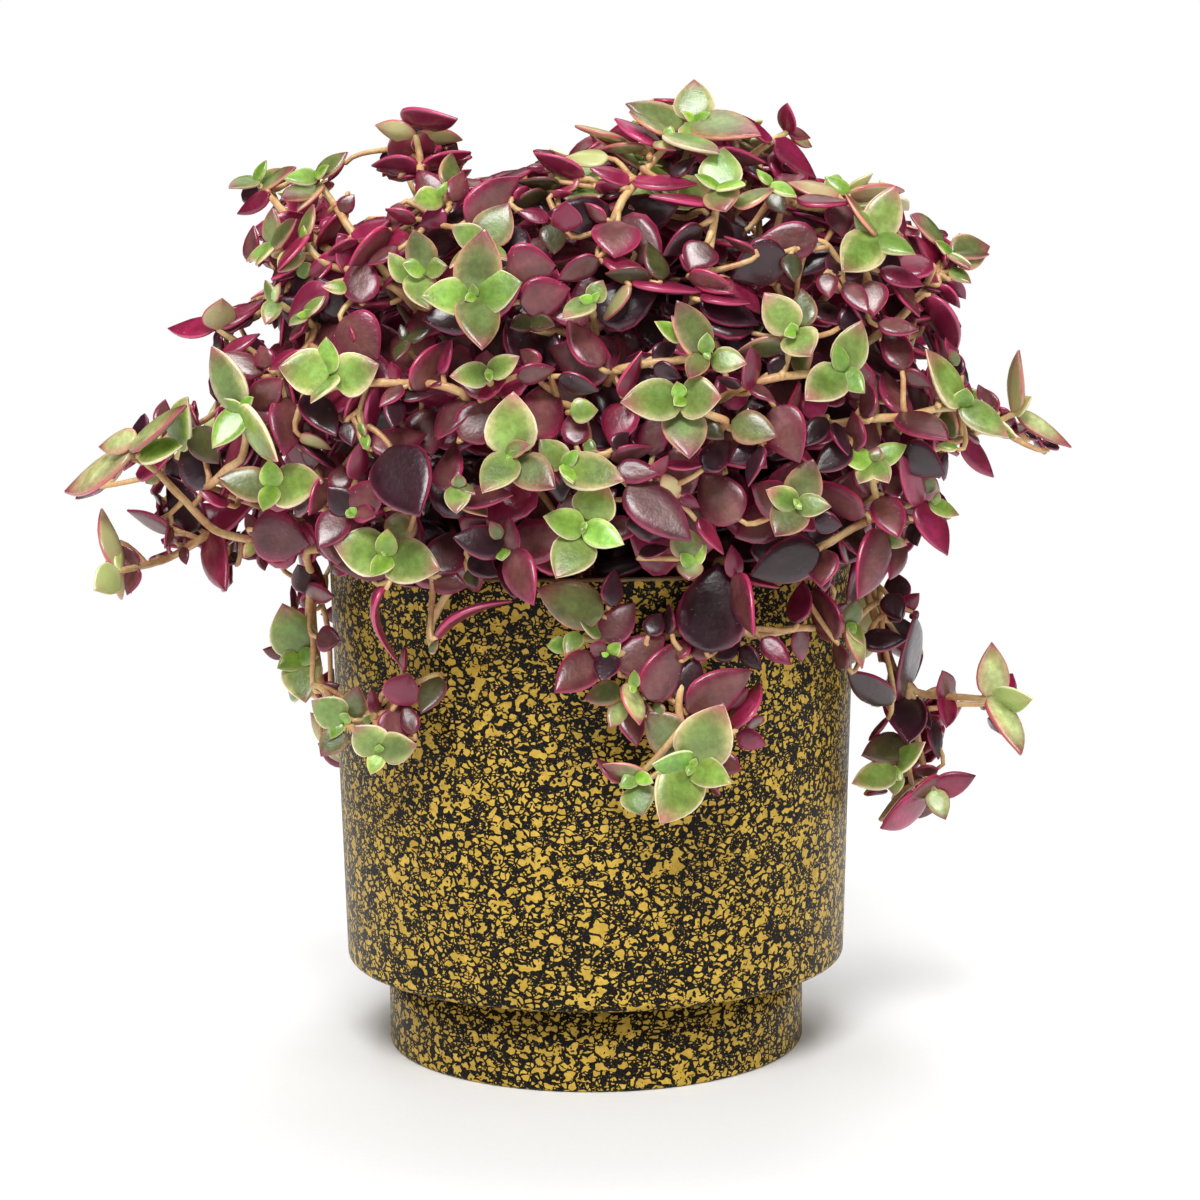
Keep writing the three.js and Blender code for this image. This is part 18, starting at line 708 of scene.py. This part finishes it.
def stem_material():
    n = Net("stem_skin")
    co = n.coords()
    age, rnd, painted_shade_open = n.split(n.attr("lb"))
    a = n.noise(co, 170.0, 3.0, 0.55)
    f = n.noise(co, 1100.0, 2.0, 0.6)
    tan = n.mix(n.ramp(a, 0.35, 0.65), lin((216, 180, 124)), lin((202, 152, 104)))
    red = n.mix(n.ramp(f, 0.35, 0.65), lin((158, 92, 76)), lin((186, 132, 92)))
    green = lin((190, 182, 122))
    col = n.mix(n.ramp(n.math("ADD", age, n.math("MULTIPLY_ADD", a, 0.9, -0.45)), 0.45, 1.05), tan, red)
    col = n.mix(n.ramp(age, 0.16, 0.0, 0.0, 0.5), col, green)
    # darker towards the inside of the bush (painted shade), times a fine random tone
    dark = n.math("MULTIPLY", n.ramp(f, 0.35, 0.75, 0.84, 1.06), n.ramp(painted_shade_open, 0.0, 1.0, 0.22, 1.0))
    col = n.mix(1.0, col, n.join(dark, dark, dark), "MULTIPLY")
    n.put(n.bsdf.inputs["Base Color"], col)
    n.put(n.bsdf.inputs["Roughness"], n.math("MULTIPLY_ADD", a, 0.2, 0.32))
    n.bsdf.inputs["Coat Weight"].default_value = 0.15
    n.bsdf.inputs["Coat Roughness"].default_value = 0.25
    n.put(n.bsdf.inputs["Normal"], n.bump(f, 0.00006, 0.7))
    return n.mat


def pot_material():
    n = Net("speckled_glaze")
    co = n.coords()
    w1 = n.vmath("SUBTRACT", n.noise(co, 560.0, 1.0, 0.5, "Color"), (0.5, 0.5, 0.5))
    p = n.vmath("ADD", co, n.vmath("SCALE", w1, scale=0.0012))

    def spots(cell_mm, share, small, large, offset, warp, stretch=(1.0, 1.0, 1.0), metric="EUCLIDEAN"):
        """Scattered spots: in some cells, what lies within a radius of the cell's point."""
        v = n.vmath("ADD", co, n.vmath("SCALE", w1, scale=warp))
        v = n.vmath("ADD", n.vmath("MULTIPLY", v, stretch), (offset, offset * 1.6, offset * 0.6))
        vo = n.node("ShaderNodeTexVoronoi", feature="F1", distance=metric)
        n.put(vo.inputs["Vector"], v)
        vo.inputs["Scale"].default_value = 1000.0 / cell_mm
        c = n.split(vo.outputs["Color"])
        size = n.math("MULTIPLY_ADD", c[1], large - small, small)
        gap = n.math("SUBTRACT", size, vo.outputs["Distance"])
        on = n.math("LESS_THAN", c[0], share)
        return n.math("MULTIPLY", n.math("GREATER_THAN", gap, 0.0), on), n.math("SUBTRACT", 1.0, n.math("MULTIPLY", n.math("GREATER_THAN", gap, -0.16), on)), c

    def flakes(cell_mm, share, gap_lo, gap_hi, offset, warp, stretch):
        """Irregular polygons: cells of a warped pattern, some left out, with dark gaps of varying width."""
        v = n.vmath("ADD", co, n.vmath("SCALE", w1, scale=warp))
        v = n.vmath("ADD", n.vmath("MULTIPLY", v, stretch), (offset, offset * 0.7, offset * 1.3))
        edge = n.voronoi(v, 1000.0 / cell_mm, "DISTANCE_TO_EDGE", "Distance")
        c = n.split(n.voronoi(v, 1000.0 / cell_mm, "F1", "Color"))
        gap = n.ramp(wide, 0.34, 0.43, gap_lo, gap_hi)
        on = n.math("LESS_THAN", c[0], share)
        return n.math("MULTIPLY", on, n.math("GREATER_THAN", edge, gap)), n.math("SUBTRACT", 1.0, on), c

    wide = n.noise(co, 300.0, 2.0, 0.5)
    bays = n.math("LESS_THAN", n.noise(p, 820.0, 1.0, 0.5), 0.595)
    one, free1, pa = flakes(3.0, 0.50, -0.01, 0.13, 0.0, 0.0024, (0.88, 0.88, 1.32))
    one = n.math("MULTIPLY", one, bays)
    two, free2, pb = flakes(1.75, 0.50, -0.01, 0.15, 0.31, 0.0013, (0.92, 0.92, 1.2))
    three, free3, _ = flakes(1.05, 0.42, 0.12, 0.17, 0.83, 0.0007, (0.8, 0.8, 1.3))
    d1, d1_off, _ = spots(0.84, 0.66, 0.22, 0.40, 0.11, 0.0004)
    d2, _, _ = spots(0.56, 0.62, 0.18, 0.36, 0.47, 0.0002)
    gold = n.math("MAXIMUM", one, n.math("MULTIPLY", two, free1))
    left = n.math("MULTIPLY", free1, free2)
    gold = n.math("MAXIMUM", gold, n.math("MULTIPLY", three, left))
    left = n.math("MULTIPLY", left, free3)
    gold = n.math("MAXIMUM", gold, n.math("MULTIPLY", n.math("MAXIMUM", d1, n.math("MULTIPLY", d2, d1_off)), left))
    x, y, z = n.split(co)
    rim = n.ramp(n.math("ADD", z, n.math("MULTIPLY_ADD", n.noise(co, 300.0), 0.0006, -0.0003)), 0.11925, 0.11955)
    shade = n.noise(co, 800.0, 2.0, 0.6)
    tone = n.math("MULTIPLY", n.math("MULTIPLY_ADD", pa[1], 0.16, 0.90), n.ramp(shade, 0.3, 0.75, 0.88, 1.08))
    goldc = n.mix(1.0, n.mix(pb[2], lin((198, 164, 72)), lin((180, 147, 58))), n.join(tone, tone, tone), "MULTIPLY")
    grain = n.noise(co, 2200.0, 2.0, 0.7)
    darkc = n.mix(n.ramp(grain, 0.42, 0.70), lin((11, 9, 8)), lin((42, 38, 32)))
    col = n.mix(gold, darkc, goldc)
    col = n.mix(rim, col, n.mix(shade, lin((150, 118, 84)), lin((186, 156, 118))))
    n.put(n.bsdf.inputs["Base Color"], col)
    n.put(n.bsdf.inputs["Roughness"], n.math("MULTIPLY_ADD", shade, 0.16, 0.32))
    n.bsdf.inputs["IOR"].default_value = 1.45
    n.bsdf.inputs["Specular IOR Level"].default_value = 0.12
    n.put(n.bsdf.inputs["Normal"], n.bump(grain, 0.00003, 0.5))
    return n.mat


def soil_material():
    n = Net("bark_compost")
    co = n.coords()
    a = n.noise(co, 240.0, 4.0, 0.65)
    b = n.voronoi(co, 420.0, "F1", "Distance")
    pk = n.split(n.voronoi(co, 420.0, "F1", "Color"))
    col = n.mix(n.ramp(a, 0.35, 0.7), lin((30, 20, 15)), lin((66, 45, 32)))
    col = n.mix(n.math("MULTIPLY", n.math("GREATER_THAN", pk[0], 0.82), 0.6), col, lin((96, 70, 48)))
    n.put(n.bsdf.inputs["Base Color"], col)
    n.put(n.bsdf.inputs["Roughness"], n.math("MULTIPLY_ADD", a, 0.15, 0.82))
    n.put(n.bsdf.inputs["Normal"], n.bump(n.math("MULTIPLY_ADD", b, 0.8, a), 0.0009, 0.9))
    return n.mat


LEAF, STEM, POT, SOIL = leaf_material(), stem_material(), pot_material(), soil_material()


# ---------------------------------------------------------------- pot and soil
def arc(cx, cz, r, a0, a1, steps):
    return [
        (cx + r * math.cos(math.radians(a0 + (a1 - a0) * i / steps)), cz + r * math.sin(math.radians(a0 + (a1 - a0) * i / steps)))
        for i in range(steps + 1)
    ]


def densify(profile, step):
    out = [profile[0]]
    for (r0, z0), (r1, z1) in zip(profile[:-1], profile[1:]):
        n = max(1, int(math.ceil(math.hypot(r1 - r0, z1 - z0) / step)))
        out += [(r0 + (r1 - r0) * i / n, z0 + (z1 - z0) * i / n) for i in range(1, n + 1)]
    return out


def lathe(name, profile, seg, mat):
    """Profile from the axis round the outside and back to the axis; closed body."""
    inner = profile[1:-1]
    a = 2 * np.pi * np.arange(seg) / seg
    rings = np.array([[(r * math.cos(t), r * math.sin(t), z) for t in a] for r, z in inner]).reshape(-1, 3)
    v = np.vstack([rings, [(0, 0, profile[0][1])], [(0, 0, profile[-1][1])]])
    q = []
    for j in range(len(inner) - 1):
        for i in range(seg):
            i2 = (i + 1) % seg
            q.append((j * seg + i, j * seg + i2, (j + 1) * seg + i2, (j + 1) * seg + i))
    k = len(inner) * seg
    t = [((i + 1) % seg, i, k) for i in range(seg)]
    last = (len(inner) - 1) * seg
    t += [(last + i, last + (i + 1) % seg, k + 1) for i in range(seg)]
    return mesh_object(name, v, np.array(q), np.array(t), [mat])


inner_top, inner_step, inner_foot = RIM_RADIUS - WALL, BODY_RADIUS - WALL, FOOT_RADIUS - WALL
step_top = FOOT_HEIGHT + WALL
profile = [(0, 0)]
profile += [(20, 0), (40, 0)]
profile += arc(FOOT_RADIUS - 0.9, 0.9, 0.9, -90, 0, 5)
profile += [(FOOT_RADIUS, 10), (FOOT_RADIUS, FOOT_HEIGHT - 0.5)]
profile += arc(FOOT_RADIUS + 0.5, FOOT_HEIGHT - 0.5, 0.5, 180, 90, 3)
profile += [(BODY_RADIUS - 4, FOOT_HEIGHT)]
profile += arc(BODY_RADIUS - 1.9, FOOT_HEIGHT + 1.9, 1.9, -90, 0, 8)
profile += [(BODY_RADIUS + (RIM_RADIUS - BODY_RADIUS) * t, FOOT_HEIGHT + 2 + (RIM_HEIGHT - 3 - FOOT_HEIGHT - 2) * t) for t in (0.25, 0.5, 0.75, 1.0)]
profile += arc(RIM_RADIUS - 1.0, RIM_HEIGHT - 1.0, 1.0, 0, 90, 5)
profile += arc(inner_top + 1.0, RIM_HEIGHT - 1.0, 1.0, 90, 180, 5)
profile += [(inner_step, step_top + 3), (inner_step - 3, step_top), (inner_foot + 2, step_top - 1), (inner_foot, step_top - 3), (inner_foot, FLOOR + 2), (inner_foot - 2, FLOOR), (20, FLOOR), (0, FLOOR)]
pot = lathe("pot_look", profile, 288, POT)
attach(pot, "root")
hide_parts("pot")

# the growing medium: a lumpy disc down to the pot's floor
rng = np.random.default_rng(7)
seg, rad = 120, 34
grid = []
lumps = rng.uniform(-1, 1, (260, 2)) * 60
lump_r = rng.uniform(1.6, 4.2, 260)
lump_h = rng.uniform(0.4, 1.7, 260)
rim_r = inner_top - 0.5
for j in range(1, rad + 1):
    r = rim_r * j / rad
    for i in range(seg):
        t = 2 * math.pi * i / seg
        x, y = r * math.cos(t), r * math.sin(t)
        d = np.hypot(lumps[:, 0] - x, lumps[:, 1] - y) / lump_r
        z = SOIL_HEIGHT + float(np.sum(lump_h * np.exp(-d * d * 1.6)) * 0.8) - 0.6
        if j == rad:
            z = SOIL_HEIGHT - 0.8
        grid.append((x, y, z))
low = [(0, FLOOR + 0.4), (inner_foot - 2.5, FLOOR + 0.4), (inner_foot - 0.5, FLOOR + 2.6), (inner_foot - 0.5, step_top - 3), (inner_foot + 1.5, step_top - 0.5), (inner_step - 3.5, step_top + 0.5), (inner_step - 0.5, step_top + 3.5)]
v = list(grid)
for r, z in reversed(low[1:]):
    v += [(r * math.cos(2 * math.pi * i / seg), r * math.sin(2 * math.pi * i / seg), z) for i in range(seg)]
rings = rad + len(low) - 1
q = [(j * seg + i, (j + 1) * seg + i, (j + 1) * seg + (i + 1) % seg, j * seg + (i + 1) % seg) for j in range(rings - 1) for i in range(seg)]
k = len(v)
v += [(0, 0, SOIL_HEIGHT + 0.4), (0, 0, FLOOR + 0.4)]
t = [(k, i, (i + 1) % seg) for i in range(seg)]
last = (rings - 1) * seg
t += [(k + 1, last + (i + 1) % seg, last + i) for i in range(seg)]
soil = mesh_object("soil_look", np.array(v), np.array(q), np.array(t), [SOIL])
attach(soil, "root")
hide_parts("soil")

# ---------------------------------------------------------------- shoots
total = 0
for si, (name, stems, twigs, leaves) in enumerate(SHOOTS):
    rng = np.random.default_rng(1000 + si)
    if leaves:
        (V, A, B, CT, CO, CB, CE, CU, CP), faces, base = build_leaves(leaves, rng)
        quads = [f for k, f in faces if k == "q"]
        tris = [f for k, f in faces if k == "t"]
    else:
        V = A = B = CT = CO = CB = CE = CU = CP = np.zeros((0, 3))
        quads, tris, base = [], [], 0
    nq_leaf, nt_leaf = sum(len(x) for x in quads), sum(len(x) for x in tris)
    VS, BS = [V], [B]
    sq, st = [], []
    count = base
    for row in stems:
        P = np.array(row, float).reshape(-1, 3) * 0.1
        C = catmull(P, 2.6)
        n = len(C)
        s = np.linspace(0, 1, n)
        length = np.linalg.norm(np.diff(C, axis=0), axis=1).sum()
        dist = s * length
        r = STEM_R * np.interp(dist, [0, 8, 40, 120], [0.72, 0.88, 1.0, 1.12]) * (1 + 0.05 * np.sin(dist * 0.9 + si))
        v, qf, tf, along = tube(C, r, 8, count)
        VS.append(v)
        sq.append(qf)
        st.append(tf)
        age = np.clip(along * length / 70.0, 0, 1)
        # the third value, 1 outside and falling inside the bush, later darkens the stem there: painted shade
        BS.append(np.stack([age, np.full(len(v), rng.uniform()), painted_shade_openness(v)], 1))
        count += len(v)
    for row in twigs:
        P = np.array(row, float).reshape(4, 3) * 0.1
        length = np.linalg.norm(P[3] - P[0])
        n = max(3, min(9, int(length / 2.2) + 2))
        tt = np.linspace(0, 1, n)[:, None]
        C = (1 - tt) ** 3 * P[0] + 3 * (1 - tt) ** 2 * tt * P[1] + 3 * (1 - tt) * tt**2 * P[2] + tt**3 * P[3]
        r = TWIG_R * np.linspace(0.8, 1.1, n)
        v, qf, tf, along = tube(C, r, 6, count)
        VS.append(v)
        sq.append(qf)
        st.append(tf)
        # the third value, 1 outside and falling inside the bush, later darkens the twig there: painted shade
        BS.append(np.stack([0.25 + 0.5 * along, np.full(len(v), rng.uniform()), painted_shade_openness(v)], 1))
        count += len(v)
    allv = np.vstack(VS)
    extra = len(allv) - len(V)
    Q = np.vstack(quads + sq)
    Tt = np.vstack(tris + st)
    nsq, nst = sum(len(x) for x in sq), sum(len(x) for x in st)
    mi = np.concatenate([np.zeros(nq_leaf), np.ones(nsq), np.zeros(nt_leaf), np.ones(nst)])
    ob = mesh_object(name + "_look", allv, Q, Tt, [LEAF, STEM], mi)
    me = ob.data
    pad = lambda a: np.vstack([a, np.zeros((extra, 3))])
    vec_attr(me, "la", pad(A))
    vec_attr(me, "lb", np.vstack(BS))
    for nm, c in (("ct", CT), ("co", CO), ("cb", CB), ("ce", CE), ("cu", CU), ("cp", CP)):
        col_attr(me, nm, pad(c))
    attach(ob, "root")
    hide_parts(name)
    total += 2 * len(Q) + len(Tt)
print("foliage triangles", total)

# ---------------------------------------------------------------- floor, light, camera
def floor_material():
    n = Net("paper_floor")
    co = n.coords()
    x, y, z = n.split(co)
    d = n.vmath("LENGTH", n.join(x, y, 0.0))
    grain = n.noise(co, 700.0, 3.0, 0.6)
    tone = n.ramp(grain, 0.3, 0.7, 0.865, 0.88)
    n.put(n.bsdf.inputs["Base Color"], n.join(tone, tone, tone))
    n.bsdf.inputs["Roughness"].default_value = 0.8
    n.bsdf.inputs["Specular IOR Level"].default_value = 0.15
    em = n.node("ShaderNodeEmission")
    em.inputs["Color"].default_value = (1, 1, 1, 1)
    em.inputs["Strength"].default_value = 1.0
    mx = n.node("ShaderNodeMixShader")
    n.put(mx.inputs[0], n.ramp(d, 0.12, 0.55))
    n.t.links.new(n.bsdf.outputs[0], mx.inputs[1])
    n.t.links.new(em.outputs[0], mx.inputs[2])
    n.t.links.new(mx.outputs[0], n.out.inputs[0])
    return n.mat


bpy.ops.mesh.primitive_plane_add(size=40, location=(0, 0, -0.00005))
floor = bpy.context.object
floor.name = "floor"
floor.data.materials.append(floor_material())

world = bpy.data.worlds.new("studio")
bpy.context.scene.world = world
world.use_nodes = True
bg = world.node_tree.nodes["Background"]
bg.inputs[0].default_value = (1, 1, 1, 1)
bg.inputs[1].default_value = 0.32
world.cycles_visibility.glossy = False


def area(name, loc, target, size, power, colour=(1, 1, 1)):
    li = bpy.data.lights.new(name, "AREA")
    li.shape = "RECTANGLE"
    li.size, li.size_y = size
    li.energy = power
    li.color = colour
    ob = bpy.data.objects.new(name, li)
    ob.location = loc
    ob.rotation_mode = "QUATERNION"
    ob.rotation_quaternion = (Vector(target) - Vector(loc)).to_track_quat("-Z", "Y")
    bpy.context.scene.collection.objects.link(ob)
    return ob


area("key", (-0.10, -0.98, 1.15), (0, 0, 0.12), (0.60, 0.45), 19.0)
area("fill_right", (0.95, -0.65, 0.45), (0, 0, 0.12), (0.5, 0.6), 3.0).visible_glossy = False
area("fill_left", (-0.95, -0.65, 0.45), (0, 0, 0.12), (0.5, 0.6), 2.4).visible_glossy = False
area("top_sheen", (0.0, 0.45, 1.30), (0, 0, 0.12), (1.0, 0.9), 4.0)
area("top_soft", (0.0, 0.45, 1.30), (0, 0, 0.12), (1.0, 0.9), 13.0).visible_glossy = False

# a white dome far away, seen by the camera only
me = bpy.data.meshes.new("backdrop")
rings, segs = 12, 48
vs = [(18 * math.cos(a) * math.cos(b), 18 * math.sin(a) * math.cos(b), 18 * math.sin(b) - 0.5) for b in [math.pi / 2 * j / rings for j in range(rings)] for a in [2 * math.pi * i / segs for i in range(segs)]]
vs.append((0, 0, 17.5))
fs = [(j * segs + i, j * segs + (i + 1) % segs, (j + 1) * segs + (i + 1) % segs, (j + 1) * segs + i) for j in range(rings - 1) for i in range(segs)]
fs += [((rings - 1) * segs + i, (rings - 1) * segs + (i + 1) % segs, rings * segs) for i in range(segs)]
me.from_pydata(vs, [], fs)
dome = bpy.data.objects.new("backdrop", me)
bpy.context.scene.collection.objects.link(dome)
dn = Net("backdrop_white")
em = dn.node("ShaderNodeEmission")
em.inputs["Color"].default_value = (1, 1, 1, 1)
em.inputs["Strength"].default_value = 1.0
dn.t.links.new(em.outputs[0], dn.out.inputs[0])
me.materials.append(dn.mat)
for flag in ("visible_diffuse", "visible_glossy", "visible_transmission", "visible_volume_scatter", "visible_shadow"):
    setattr(dome, flag, False)

cam_data = bpy.data.cameras.new("camera")
cam = bpy.data.objects.new("camera", cam_data)
bpy.context.scene.collection.objects.link(cam)
bpy.context.scene.camera = cam
pitch, roll, focal = 0.0889, -0.0080, 2214.9
fw = Vector((0, math.cos(pitch), -math.sin(pitch)))
up = Vector((0, math.sin(pitch), math.cos(pitch)))
rt = Vector((1, 0, 0))
c, s = math.cos(roll), math.sin(roll)
rt2, up2 = c * rt + s * up, -s * rt + c * up
m = Matrix((
    (rt2.x, up2.x, -fw.x, 1.79 * MM),
    (rt2.y, up2.y, -fw.y, -551.1 * MM),
    (rt2.z, up2.z, -fw.z, 158.7 * MM),
    (0, 0, 0, 1),
))
cam.matrix_world = m
cam_data.sensor_width = 36.0
cam_data.lens = focal / 1200.0 * 36.0
cam_data.clip_start, cam_data.clip_end = 0.01, 50.0
cam_data.dof.use_dof = False

scene = bpy.context.scene
scene.view_settings.view_transform = "Standard"
scene.view_settings.look = "None"
scene.view_settings.exposure = 0.0
scene.view_settings.gamma = 1.0
